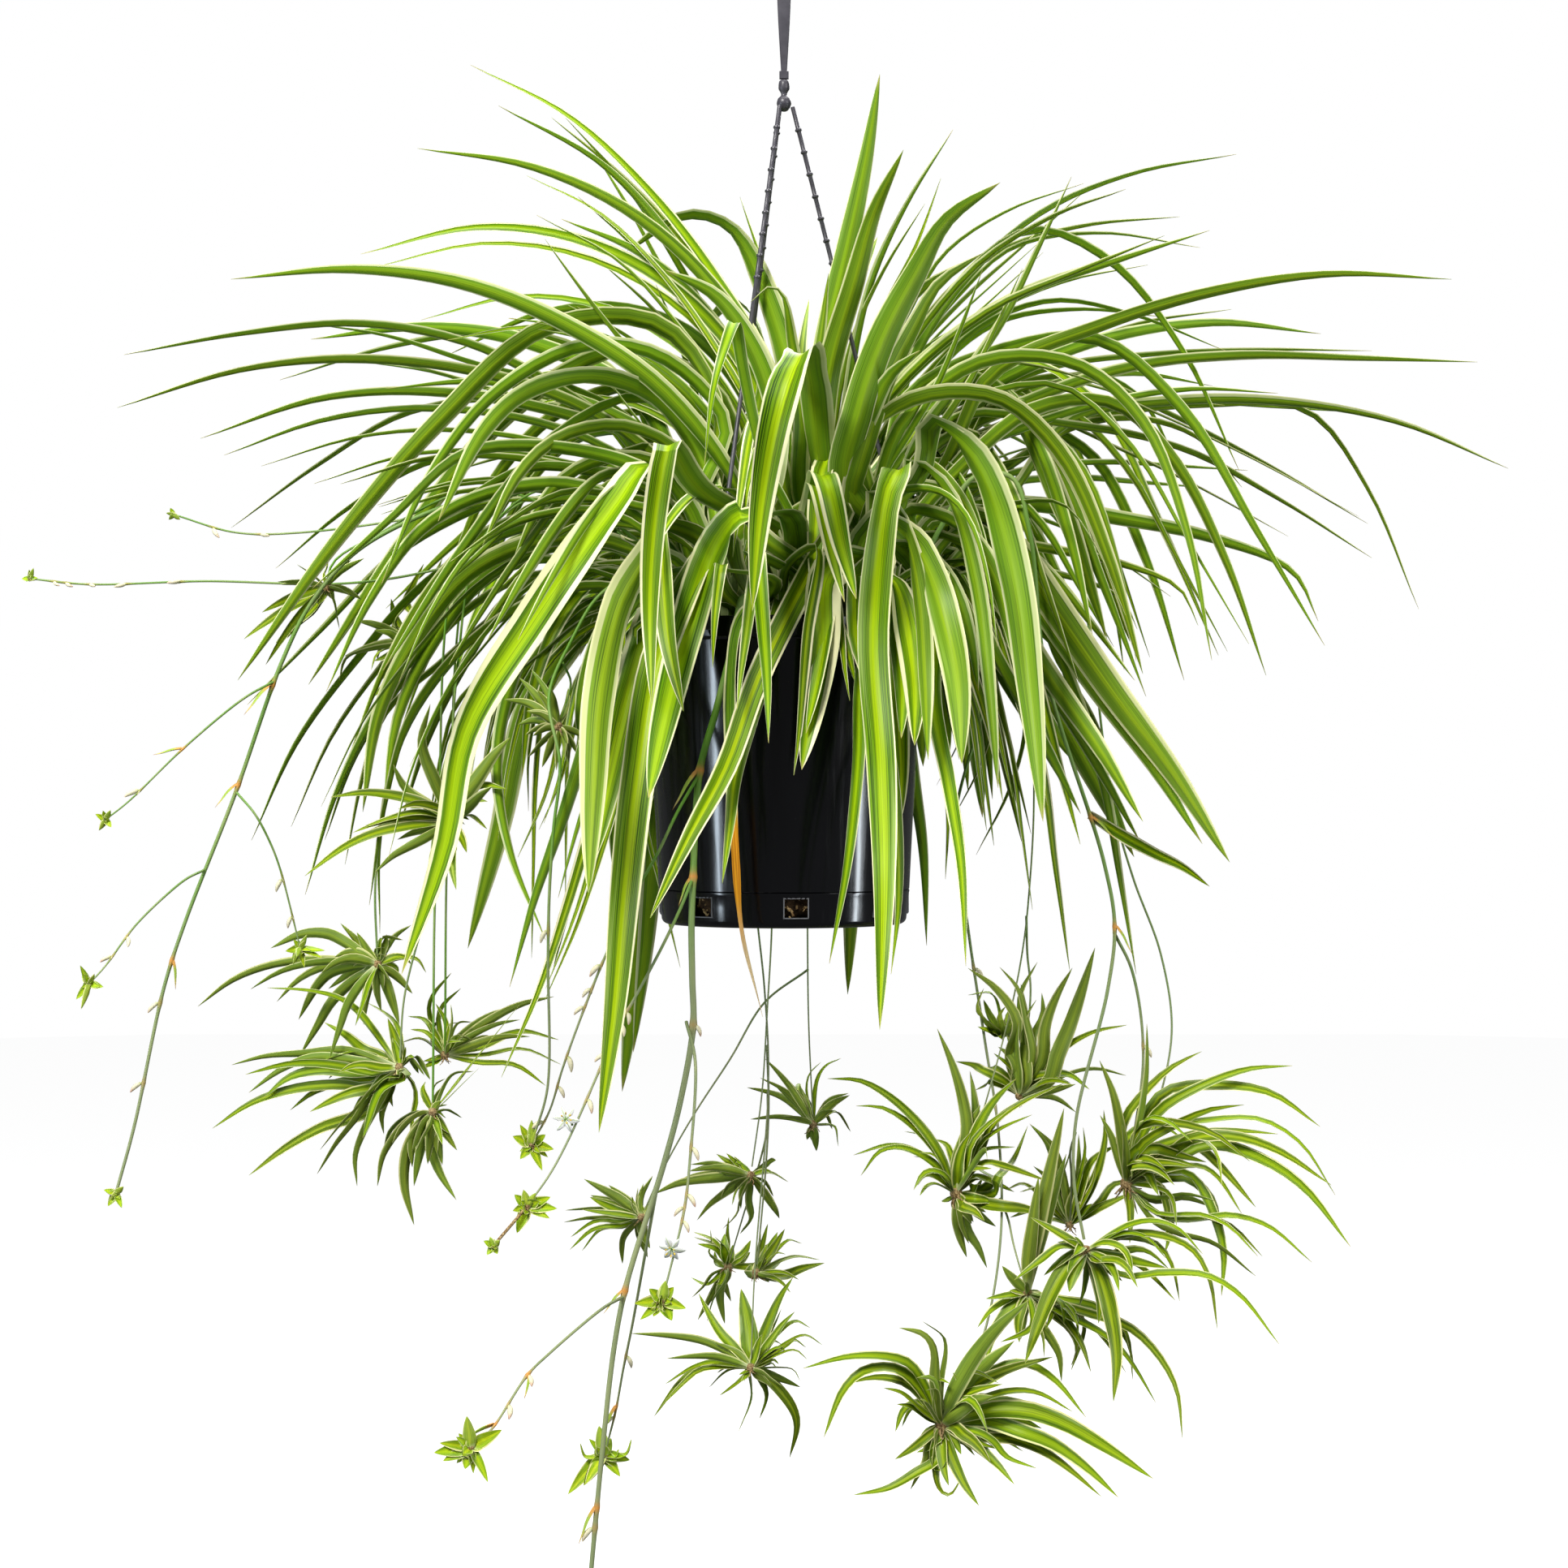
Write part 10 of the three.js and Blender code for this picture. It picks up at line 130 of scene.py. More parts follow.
        (6.05, 0.3, 3.2, 0.9, [0.2,-45,-474,0.97,-0.18,-0.16,-8.3,-122.9,-435.3,1,-0.03,-0.05,-2,-123.9,-467.3,0.92,-0.38,-0.04,-10.8,-123.1,-489.4,0.9,-0.32,-0.31,-21.7,-120.1,-527.5,0.96,-0.18,-0.23,-30.1,-132.4,-562.6,0.99,-0.12,-0.11,-33.5,-155.3,-593.4,1,-0.08,-0.05,-37.3,-182.9,-627.4,1,-0.08,-0.05]),
        (6.26, 0.3, 3.2, 0.9, [-0.1,-45,-474,0.97,-0.02,-0.24,8.2,-75.8,-437.3,0.97,-0.24,0.06,-20.1,-113.8,-421.5,0.91,-0.36,0.2,-17.2,-131.1,-421.7,0.89,-0.1,0.44,-15.4,-137.6,-436.5,0.94,-0.32,0.13,-12.4,-138.3,-474.1,0.98,-0.18,0.08,-10.3,-143,-508.4,0.98,-0.2,0.09,-9.5,-152.9,-542.1,0.98,-0.2,0.08])
    ],
    "shoot_front_left": [
        (10.05, 0.3, 4.4, 0.8, [-35.8,-36.6,-474,0.97,-0.15,0.21,-45.5,-29.7,-425.1,0.95,-0.2,-0.23,-15.3,-42,-385.9,0.65,-0.49,-0.58,-1.7,-53.9,-355.1,0.43,-0.83,-0.36,-6,-65.3,-321.7,0.8,-0.6,0.06,-21.7,-72.7,-283.3,0.76,-0.54,0.36,-43.6,-74.1,-254.4,0.5,-0.62,0.6,-75.9,-73.5,-238.2,0.38,-0.51,0.77]),
        (5.31, 0.3, 3.2, 0.9, [-37.1,-38.1,-474,0.45,-0.78,0.42,-44,-17,-427.5,0.48,-0.87,0.1,-34.6,-26.1,-380.8,0.43,-0.88,-0.21,-39.4,-31.4,-356.5,0.39,-0.92,0.08,-67.4,-34.8,-323.9,0.38,-0.89,0.25,-99.7,-37.6,-285.7,0.38,-0.89,0.25,-129.2,-40.2,-248.6,0.39,-0.89,0.24,-155.4,-42.7,-212.9,0.4,-0.89,0.23]),
        (6.69, 0.3, 3.2, 0.9, [-37.1,-38.1,-474,0.93,-0.28,-0.24,-22.2,-43,-409.5,0.87,-0.48,-0.12,-28.2,-47.2,-376.9,0.69,-0.68,0.25,-79.5,-65.8,-311.8,0.68,-0.3,0.67,-142.2,-71.6,-271,0.45,-0.3,0.84,-206.4,-73.3,-246,0.24,-0.31,0.92,-277.3,-77.6,-238,0.02,-0.33,0.94,-352.6,-82.6,-245.5,-0.07,-0.34,0.94]),
        (6.13, 0.3, 3.2, 0.9, [-37.1,-38.1,-474,0.96,-0.21,0.2,-56.3,-42.8,-387.2,0.97,-0.26,-0.01,-37.8,-44.5,-333.5,0.77,-0.62,0.14,-77.5,-47.7,-290.5,0.42,-0.63,0.65,-128.6,-53.3,-283,-0.09,-0.62,0.78,-185.3,-62.6,-314.5,-0.53,-0.45,0.72,-226.9,-75.4,-369.7,-0.79,-0.32,0.51,-255.7,-90.6,-440.7,-0.85,-0.33,0.41]),
        (8.23, 0.3, 4.4, 0.8, [-37.1,-38,-474,0.96,-0.29,0,-40.5,-49.5,-419.2,0.94,-0.31,0.12,-51.1,-37.8,-359.4,0.8,-0.52,0.3,-77.5,-48.7,-320.3,0.67,-0.65,0.35,-116.6,-76.5,-306.2,0.51,-0.61,0.61,-158.5,-114.4,-319.4,0.04,-0.54,0.84,-185.4,-149.6,-350.7,-0.62,-0.41,0.67,-209.1,-182,-408.5,-0.78,-0.35,0.52]),
        (5.5, 0.3, 3.2, 0.9, [-37,-38,-474,0.86,-0.49,0.11,-50.3,-46.8,-405.9,0.72,-0.68,0.16,-71,-51.6,-377.4,0.42,-0.88,0.21,-99.8,-59.3,-360.1,0.35,-0.55,0.76,-162.2,-73,-350.3,0.17,-0.57,0.81,-205.3,-89.3,-358.4,-0.17,-0.64,0.75,-247.7,-108.5,-400.4,-0.47,-0.52,0.71,-293.3,-130,-445.8,-0.47,-0.52,0.72]),
        (5.5, 0.3, 3.2, 0.9, [-36.9,-38,-474,0.74,-0.6,0.31,-49.3,-25.9,-421.2,0.67,-0.69,0.28,-64.1,-31.3,-393.5,0.46,-0.89,0.03,-73.1,-36.8,-375.5,0.4,-0.72,0.57,-127.1,-42.4,-363.1,0.19,-0.72,0.66,-166.2,-48.4,-362.2,-0.07,-0.73,0.68,-208.5,-55.7,-385.5,-0.29,-0.7,0.65,-254,-64.5,-418,-0.32,-0.7,0.63]),
        (12.23, 0.3, 4.4, 0.8, [-35.4,-35.9,-474,0.93,-0.31,0.19,-59.1,-55.3,-390.6,0.73,-0.68,0.08,-86.3,-77.5,-359.5,0.72,-0.68,-0.11,-108.4,-107.4,-390.9,0.88,-0.4,-0.28,-153.7,-152.7,-465,0.84,0.1,-0.54,-188.5,-208,-534.8,0.71,0.46,-0.54,-198.2,-247.1,-604.3,0.84,0.38,-0.39,-218,-286,-675.8,0.88,0.26,-0.39]),
        (6.07, 0.3, 3.2, 0.9, [-35.4,-32,-470,0.84,-0.31,0.44,-61.3,-37.4,-424.9,0.87,-0.32,0.37,-74.6,-45.2,-388.1,0.82,-0.44,0.38,-98,-57.2,-368,0.62,-0.73,0.28,-116.9,-74.5,-370.2,0.21,-0.7,0.68,-137.8,-96,-395.6,-0.54,-0.47,0.7,-161.6,-122.3,-437.1,-0.77,-0.26,0.59,-182.5,-153.3,-479.7,-0.78,-0.26,0.57]),
        (11.49, 0.3, 4.4, 0.8, [-35.4,-35.9,-474,0.8,-0.46,0.38,-66.3,-48.4,-423.7,0.6,-0.78,0.17,-97,-69.1,-409.7,0.84,-0.46,-0.29,-86.6,-91.8,-412.8,0.01,-0.72,0.7,-105.4,-115.8,-457.5,-0.73,-0.5,0.47,-114.5,-147.3,-515.4,-0.94,-0.24,0.25,-114.7,-197.5,-571.9,-0.99,-0.12,0.11,-113.3,-259,-630.5,-0.99,-0.12,0.1]),
        (11.05, 0.3, 4.4, 0.8, [-35.4,-35.9,-474,0.82,-0.48,0.32,-54.6,-44,-437.3,0.59,-0.79,0.17,-71.6,-53,-428.2,0.63,-0.78,-0.03,-79.1,-63.8,-437.9,0.64,-0.75,0.15,-89.7,-77.1,-471.7,0.94,-0.31,-0.12,-101.3,-98.5,-521.8,0.99,-0.08,-0.15,-109.2,-134.4,-568.8,0.99,-0.05,-0.11,-115.4,-181.5,-614.6,0.99,-0.04,-0.1]),
        (5.5, 0.3, 3.2, 0.9, [-40.1,-29,-474,0.91,0.29,-0.28,-6.6,-100.1,-437.8,0.99,-0.03,-0.1,-38.5,-115.5,-432,0.71,-0.71,-0.01,-38.5,-132,-430,1,-0.02,-0.09,-39.1,-140.1,-433.4,0.99,-0.04,-0.11,-41.6,-144,-453.3,0.99,-0.01,-0.1,-43.1,-146.6,-471.8,1,0,-0.06,-44,-146.2,-495.4,1,0,-0.04]),
        (5.56, 0.3, 3.2, 0.9, [-38.1,-29.4,-474,0.86,-0.3,0.41,-63,-37.8,-427.8,0.78,-0.33,0.53,-101.8,-44.6,-389.2,0.59,-0.43,0.69,-136.4,-52.1,-373.7,0.17,-0.47,0.87,-193.3,-61.8,-380.8,-0.17,-0.46,0.87,-231.9,-73.3,-403.8,-0.54,-0.46,0.7,-264.2,-86.8,-451.3,-0.77,-0.38,0.52,-289,-102.2,-509.1,-0.8,-0.39,0.45]),
        (7.27, 0.3, 4.4, 0.8, [-38.1,-29.4,-474,0.77,-0.39,0.51,-66.7,-34.1,-434.2,0.62,-0.48,0.62,-109.7,-38.6,-409.7,0.28,-0.59,0.76,-155.9,-43.1,-408.1,-0.09,-0.63,0.77,-202.7,-47.7,-428.6,-0.42,-0.64,0.65,-237.3,-52.8,-470.4,-0.76,-0.37,0.52,-262.2,-58.4,-523,-0.88,-0.37,0.3,-271.2,-64.5,-585.3,-0.91,-0.38,0.17]),
        (5.5, 0.3, 3.2, 0.9, [-38.6,-38.8,-474,0.23,-0.83,0.51,-76.3,-34,-449.6,0.22,-0.83,0.52,-123.5,-37.9,-437.1,0.06,-0.84,0.55,-170.4,-41.6,-450.9,-0.19,-0.85,0.5,-212.6,-44.2,-482.1,-0.34,-0.86,0.39,-243.8,-46.1,-525,-0.44,-0.86,0.24,-259.6,-48.1,-581.9,-0.48,-0.87,0.13,-269,-50.5,-645.9,-0.48,-0.87,0.1]),
        (5.55, 0.3, 3.2, 0.9, [-38.6,-38.8,-474,0.9,-0.26,0.35,-68.9,-86.4,-431.7,0.54,-0.45,0.72,-100.4,-91.4,-460.5,-0.4,-0.84,0.36,-109.7,-92.5,-490.1,-0.79,-0.55,0.28,-124.1,-96,-537.2,-0.93,-0.22,0.3,-139.9,-102.4,-589.1,-0.92,-0.21,0.32,-157.1,-109.7,-640.2,-0.92,-0.21,0.31,-171.6,-119.4,-694.4,-0.93,-0.22,0.29]),
        (5.5, 0.3, 3.2, 0.9, [-40.2,-29,-474,0.11,-0.55,-0.83,-66.9,-80.2,-443.8,0.4,-0.66,-0.63,-113.5,-77.7,-469.1,0.66,-0.68,-0.33,-99.6,-72,-525.9,0.91,-0.41,-0.07,-120.4,-73.6,-583,0.88,-0.37,-0.29,-138.1,-72.7,-641.8,0.88,-0.37,-0.3,-156.8,-68.8,-697.7,0.86,-0.37,-0.36,-181.9,-64.5,-756.2,0.84,-0.37,-0.39])
    ],
    "shoot_back_left": [
        (6.39, 0.3, 3.2, 0.9, [-35.2,44.1,-474,0.97,-0.19,-0.16,-29.4,26.7,-417.6,0.96,-0.19,-0.19,-17.8,24.4,-366.3,0.93,-0.31,-0.21,-10.7,21.8,-327.8,0.76,-0.65,0.09,-29.5,21.7,-285.3,0.81,-0.35,0.47,-61,21.8,-240.2,0.7,-0.34,0.63,-98,21.8,-209.4,0.48,-0.36,0.8,-149.6,22.2,-187.5,0.36,-0.37,0.86]),
        (5.5, 0.3, 3.2, 0.9, [-35.1,35.9,-474,0.77,-0.59,-0.22,-31.2,15.5,-406.5,0.73,-0.65,0.21,-66.8,44.4,-340.2,0.83,-0.55,0.09,-5.8,71.2,-301.7,0.6,-0.79,0.12,-29.6,86,-251,0.6,-0.7,0.38,-66.7,76.1,-197.5,0.65,-0.68,0.35,-109.7,61.4,-151.7,0.59,-0.67,0.44,-158.4,50.8,-112.9,0.54,-0.68,0.5]),
        (4.95, 0.3, 3.2, 0.9, [-35.1,35.9,-474,0.56,-0.74,0.37,-41.9,61.7,-411.6,0.56,-0.83,-0.02,-18.7,44.6,-351.9,0.42,-0.83,-0.37,-11.1,33.8,-313.1,0.31,-0.95,-0.02,-38.5,36.3,-276.3,0.27,-0.89,0.36,-77.3,49.8,-225,0.25,-0.85,0.46,-104.7,72.5,-173.6,0.23,-0.81,0.53,-138.6,104.2,-115.3,0.21,-0.8,0.56]),
        (5.5, 0.3, 3.2, 0.9, [-35.1,35.9,-474,0.89,-0.3,0.34,-58.8,39.4,-408.6,0.94,-0.3,-0.18,-12.1,32.3,-349.2,0.79,-0.55,-0.25,-25.8,39.5,-305.9,0.69,-0.52,0.51,-62.5,53.3,-260.1,0.43,-0.5,0.75,-113.5,64.2,-239.7,0.07,-0.49,0.87,-169.3,66,-244.6,-0.24,-0.47,0.85,-230.1,63.2,-272.8,-0.36,-0.46,0.81]),
        (5.5, 0.3, 3.2, 0.9, [-36.8,35.1,-474,0.45,-0.87,0.18,-65.5,30.5,-423.8,0.46,-0.88,0.11,-76.6,27.8,-360.3,0.45,-0.88,0.13,-102.5,26.1,-322.8,0.26,-0.92,0.29,-142.4,28.3,-300.7,0.09,-0.92,0.37,-205,32.2,-284.1,0.05,-0.92,0.38,-267.6,36.3,-264,0.04,-0.92,0.38,-322.8,40,-254.6,0,-0.92,0.38]),
        (5.5, 0.3, 3.2, 0.9, [-35.5,35.7,-474,0.53,-0.83,0.2,-60.9,33.8,-415.2,0.5,-0.83,0.25,-84.4,44.1,-348.6,0.46,-0.83,0.33,-108.2,55.1,-294,0.24,-0.87,0.43,-150.1,67.8,-263.8,-0.03,-0.87,0.49,-211.1,80.6,-255,-0.17,-0.86,0.48,-279,92.8,-264,-0.24,-0.86,0.46,-352.9,104.7,-284.5,-0.26,-0.85,0.45]),
        (5.5, 0.3, 3.2, 0.9, [-35.5,35.7,-474,0.39,-0.87,0.31,-78.1,40.8,-405.5,0.41,-0.87,0.27,-100.1,44,-350.1,0.29,-0.91,0.31,-132.8,55.5,-312.6,-0.05,-0.9,0.43,-197.7,72.5,-301.4,-0.23,-0.89,0.4,-264.1,89.9,-310.1,-0.34,-0.9,0.27,-327.2,109.2,-343.5,-0.4,-0.89,0.21,-391.6,130,-385.8,-0.42,-0.89,0.19]),
        (5.5, 0.3, 3.2, 0.9, [-35.5,35.7,-474,0.45,-0.83,0.34,-75.4,35.2,-422.2,0.44,-0.82,0.37,-97.5,52.3,-365.2,0.23,-0.87,0.44,-126.7,64,-339.4,-0.01,-0.89,0.45,-190.2,67,-338.3,-0.04,-0.9,0.44,-245.2,65.6,-346.5,-0.14,-0.89,0.43,-300.5,64.5,-378.7,-0.26,-0.88,0.39,-348.9,64.5,-419.2,-0.3,-0.88,0.36]),
        (5.5, 0.3, 3.2, 0.9, [-36.1,44.6,-474,0.53,-0.63,0.57,-65.5,67.5,-421.1,0.45,-0.7,0.55,-112,62.3,-390.1,0.43,-0.73,0.53,-157.5,56.2,-362.5,0.16,-0.77,0.61,-211.7,50.4,-379.7,-0.2,-0.78,0.6,-266,46.1,-412.3,-0.36,-0.78,0.51,-316.9,42.8,-464.8,-0.42,-0.78,0.46,-364.1,40,-513.5,-0.43,-0.78,0.46]),
        (5.5, 0.3, 3.2, 0.9, [-36.2,44.6,-474,0.23,-0.88,0.41,-90.7,43.5,-445.8,0.21,-0.88,0.42,-142.5,42.7,-425.2,0.09,-0.89,0.45,-177,44.1,-426.6,-0.2,-0.9,0.39,-219.1,48.6,-451.4,-0.38,-0.88,0.29,-261.8,56.8,-498.3,-0.46,-0.87,0.19,-296,68.5,-550.6,-0.52,-0.85,0.07,-318.3,83.1,-606.3,-0.54,-0.84,0]),
        (5.5, 0.3, 3.2, 0.9, [-36.6,35.2,-474,0.44,-0.86,0.27,-77.4,24.3,-442.4,0.22,-0.87,0.44,-131.2,30.2,-436.3,-0.12,-0.9,0.42,-184.4,36.5,-447.3,-0.29,-0.91,0.31,-230.4,43.2,-489.2,-0.38,-0.9,0.2,-262.2,48.9,-540.4,-0.42,-0.9,0.1,-275.9,52.1,-603.2,-0.44,-0.9,0.01,-276.2,53.8,-669.5,-0.44,-0.9,-0.02]),
        (5.5, 0.3, 3.2, 0.9, [-36.6,35.2,-474,0.57,-0.65,0.5,-74.3,25.3,-444,0.37,-0.68,0.64,-128,39.5,-416.8,-0.05,-0.69,0.73,-160.6,54.2,-423,-0.55,-0.74,0.4,-192.9,74.2,-441.6,-0.68,-0.71,0.19,-226,99.9,-489.1,-0.72,-0.69,0.07,-254.1,128,-540.6,-0.74,-0.67,-0.01,-275.9,156,-598.9,-0.74,-0.67,-0.04]),
        (4.93, 0.3, 3.2, 0.9, [-38.2,45,-474,-0.83,-0.53,0.19,-59.9,95,-429.6,-0.48,-0.74,-0.47,-122.5,90.7,-460.1,0.32,-0.87,-0.37,-146.8,82.4,-475.7,0.46,-0.87,-0.17,-165.2,77.9,-512,0.52,-0.85,-0.07,-171.7,74.9,-565.2,0.58,-0.81,0.02,-172.8,70.3,-625.9,0.58,-0.81,0.06,-173.4,64.5,-686.8,0.58,-0.81,0.07]),
        (10.57, 0.3, 4.4, 0.8, [-33.8,37.3,-474,0.78,-0.62,0.12,-51.6,25.7,-416,0.77,-0.62,-0.12,-11.9,47.3,-383.1,0.64,-0.77,-0.04,-4.7,61.2,-353.1,0.37,-0.86,0.36,-17.6,75.7,-309,0.49,-0.78,0.4,-40.5,79.1,-273.8,0.33,-0.81,0.49,-74.2,85.2,-255.6,0.25,-0.69,0.68]),
        (7.04, 0.3, 3.2, 0.9, [-35.1,35.9,-474,0.82,-0.57,-0.03,-52.9,5.6,-396.2,0.65,-0.76,0.08,-70.8,18.2,-354.3,0.46,-0.77,0.44,-98.2,29.2,-306.5,0.55,-0.42,0.72,-167.4,39.1,-269.2,0.26,-0.37,0.89,-244,48.9,-255.8,-0.01,-0.36,0.93,-324.3,61.4,-262.5,-0.13,-0.35,0.93]),
        (6.46, 0.3, 3.2, 0.9, [-35.1,35.9,-474,0.92,-0.34,-0.21,-22.7,16.3,-389.9,0.83,-0.55,0.02,-43.8,28,-333.9,0.36,-0.82,0.45,-92.4,36.2,-298.4,-0.02,-0.84,0.53,-150.9,44.1,-312.8,-0.49,-0.61,0.62,-202.8,56.8,-365.6,-0.82,-0.32,0.47,-238.1,75.9,-441.7,-0.89,-0.3,0.34]),
        (8.92, 0.3, 4.4, 0.8, [-35.1,35.9,-474,0.75,-0.44,0.5,-71.1,45.3,-412.5,0.79,-0.52,0.33,-55.4,78.9,-358,0.32,-0.79,0.52,-89.8,95.8,-324.6,-0.14,-0.9,0.42,-136.2,108.7,-321,-0.45,-0.84,0.3,-176.3,134.9,-345.1,-0.74,-0.64,0.2,-208.2,166.2,-403.6,-0.87,-0.44,0.23]),
        (5.5, 0.3, 3.2, 0.9, [-35,36,-474,-0.82,-0.57,-0.02,-53.9,61,-394.3,-0.58,-0.81,0.03,-49.8,50.9,-366.8,0.04,-0.9,0.44,-121.2,72.3,-365.4,-0.14,-0.58,0.8,-179,91.7,-360,-0.35,-0.7,0.62,-225.7,98.5,-395.5,-0.63,-0.39,0.67,-278.8,105.8,-444.4,-0.66,-0.37,0.66]),
        (5.5, 0.3, 3.2, 0.9, [-35,36,-474,0.75,-0.66,-0.02,-59.1,6.9,-415.8,0.54,-0.84,-0.05,-57.9,16.3,-393.6,0.05,-0.85,0.52,-88.3,27,-379.8,0.01,-0.72,0.7,-140.7,37.7,-370.4,-0.2,-0.76,0.62,-181.7,45.3,-386.7,-0.46,-0.65,0.61,-233.3,54.3,-422.4,-0.51,-0.63,0.59]),
        (13.44, 0.3, 4.4, 0.8, [-33.4,38.1,-474,-0.78,-0.6,-0.17,-83.6,76.9,-379.8,-0.49,-0.85,0.21,-111.1,110.9,-359.3,-0.61,-0.78,-0.13,-133.1,124.4,-431.3,-0.91,-0.18,0.37,-186.4,176,-513.6,-0.69,0.44,0.58,-209.7,225.2,-597.8,-0.85,0.33,0.41,-237.8,261.6,-691,-0.88,0.28,0.38]),
        (6.55, 0.3, 3.2, 0.9, [-33.4,42,-474,-0.83,-0.55,0,-47.8,63.6,-425,-0.83,-0.56,-0.04,-62.4,77.6,-380.7,-0.71,-0.7,0.09,-80,103.6,-366.8,-0.8,-0.6,-0.03,-99.4,127.1,-378.5,-0.67,-0.74,0.02,-123.1,140.5,-426.7,-0.88,-0.37,0.29,-147,165.5,-475.3,-0.91,-0.3,0.29]),
        (12.49, 0.3, 4.4, 0.8, [-33.4,38.1,-474,-0.79,-0.54,0.28,-26.1,58.4,-413.6,-0.46,-0.72,0.51,-22.1,84.5,-398.6,-0.6,-0.8,-0.05,-96.3,113.1,-435,0.07,-0.84,-0.54,-114,140.4,-497.6,0.79,-0.46,-0.41,-120.9,186.2,-566.1,0.98,-0.1,-0.17,-126.5,246.5,-638.2,0.99,-0.07,-0.14]),
        (5.92, 0.3, 3.2, 0.9, [-36.1,44.6,-474,-0.86,-0.5,-0.07,-57.3,74.3,-426.5,-0.77,-0.61,-0.19,-86.3,80.6,-382.4,-0.45,-0.79,-0.42,-132.1,89.9,-375.8,-0.12,-0.72,-0.69,-180,105.6,-392,0.25,-0.67,-0.7,-215,127,-440.6,0.76,-0.35,-0.55,-241.8,150.6,-506.9,0.84,-0.31,-0.45]),
        (7.66, 0.3, 4.4, 0.8, [-36.1,44.6,-474,-0.8,-0.59,-0.07,-62.1,75,-433.7,-0.58,-0.81,-0.08,-101.2,84.6,-403.2,-0.24,-0.89,-0.38,-146.6,90.7,-416.1,0.18,-0.88,-0.43,-185.3,92.5,-453.8,0.64,-0.62,-0.46,-212.9,95.3,-515.5,0.86,-0.43,-0.26,-222.3,98.2,-585.5,0.92,-0.37,-0.14]),
        (5.5, 0.3, 3.2, 0.9, [-36.6,35.2,-474,-0.08,-0.79,-0.61,-79.5,19.4,-447.8,-0.08,-0.83,-0.55,-126.5,24.9,-444.9,-0.01,-0.89,-0.45,-177.9,30.3,-467.5,0.26,-0.85,-0.46,-215.4,35.3,-513.9,0.49,-0.81,-0.33,-233.4,40,-574.2,0.56,-0.81,-0.17,-243.2,44.6,-645.9,0.56,-0.82,-0.13]),
        (5.89, 0.3, 3.2, 0.9, [-36.6,35.2,-474,-0.9,-0.38,-0.21,-62,77.3,-440.9,-0.68,-0.51,-0.53,-72,78.1,-469.6,-0.34,-0.93,0.12,-111.9,86.7,-513.2,-0.79,-0.53,0.3,-126.9,100.7,-573.7,-0.93,-0.32,0.19,-147,117.3,-635.3,-0.92,-0.33,0.2,-163.3,126.1,-698.7,-0.92,-0.33,0.19]),
        (11.81, 0.3, 4.4, 0.8, [-33.4,38.1,-474,-0.7,-0.64,-0.3,-62.9,49.4,-429.5,-0.48,-0.85,-0.22,-96.3,59.4,-418.8,-0.62,-0.78,-0.11,-87.6,72.9,-455.5,-0.53,-0.8,-0.29,-96.4,92,-507.3,-0.93,-0.37,0.01,-108.9,122.7,-562.4,-0.98,-0.18,0.1,-120.5,164.6,-617.8,-0.98,-0.16,0.08])
    ],
    "shoot_left": [
        (5.5, 0.3, 3.2, 0.9, [-61.1,-2.1,-474,-0.68,-0.7,0.22,-30,-9.3,-401.6,-0.62,-0.74,0.25,-5.2,-4.2,-342.8,-0.55,-0.81,0.2,-6.3,-0.3,-297.8,-0.68,-0.71,-0.19,-42.4,2.6,-233.9,-0.69,-0.58,-0.44,-91,5,-170.6,-0.63,-0.56,-0.54,-144.1,7.5,-121.2,-0.49,-0.57,-0.66,-209.5,10,-86.7,-0.4,-0.57,-0.72]),
        (5.68, 0.3, 3.2, 0.9, [-61.1,-2.1,-474,0.99,-0.12,-0.01,-61.1,-9.9,-400.8,0.96,-0.1,-0.28,-22.7,-14.7,-336.4,0.83,-0.38,-0.4,-13.9,-19,-294.8,0.75,-0.64,0.16,-51.5,-22.6,-234.4,0.72,-0.37,0.59,-102.6,-25.4,-190.3,0.51,-0.38,0.77,-166.1,-27.8,-162.2,0.26,-0.4,0.88,-239.9,-30,-151,0.15,-0.41,0.9]),
        (5.5, 0.3, 3.2, 0.9, [-61.1,-2.1,-474,-0.85,-0.37,0.38,-35.2,8.5,-405.4,-0.81,-0.43,0.39,-8.1,9.5,-352.1,-0.73,-0.67,0.1,-24.3,13.1,-291.6,-0.83,-0.37,-0.43,-72.1,18.5,-235.7,-0.63,-0.19,-0.75,-136.7,25,-200.9,-0.32,-0.13,-0.94,-207.5,32.3,-191,0.03,-0.15,-0.99,-287,40,-207.8,0.19,-0.16,-0.97]),
        (7.36, 0.3, 4.4, 0.8, [-61.3,-2.2,-474,0.96,-0.21,-0.19,-46.5,-19,-378.3,0.93,-0.34,-0.14,-44.3,-23.2,-314,0.61,-0.79,0.13,-81.3,-27.8,-266,0.33,-0.67,0.67,-156.2,-32.8,-268.6,-0.26,-0.68,0.69,-224.8,-38.3,-329.8,-0.67,-0.32,0.67,-293.6,-44.1,-412.2,-0.76,-0.27,0.6,-354.2,-50.5,-500.1,-0.78,-0.27,0.56]),
        (5.5, 0.3, 3.2, 0.9, [-61.5,-2.4,-474,0.6,-0.77,0.21,-80.6,2.8,-401.3,0.6,-0.77,0.21,-104,0.5,-339.5,0.47,-0.83,0.31,-151.2,-1.1,-303.3,0.3,-0.83,0.47,-215.4,-1.4,-272.2,0.16,-0.83,0.53,-285.7,-0.9,-260.9,0.01,-0.83,0.55,-360,-0.4,-267.6,-0.08,-0.84,0.54,-439,0,-281.8,-0.1,-0.84,0.54]),
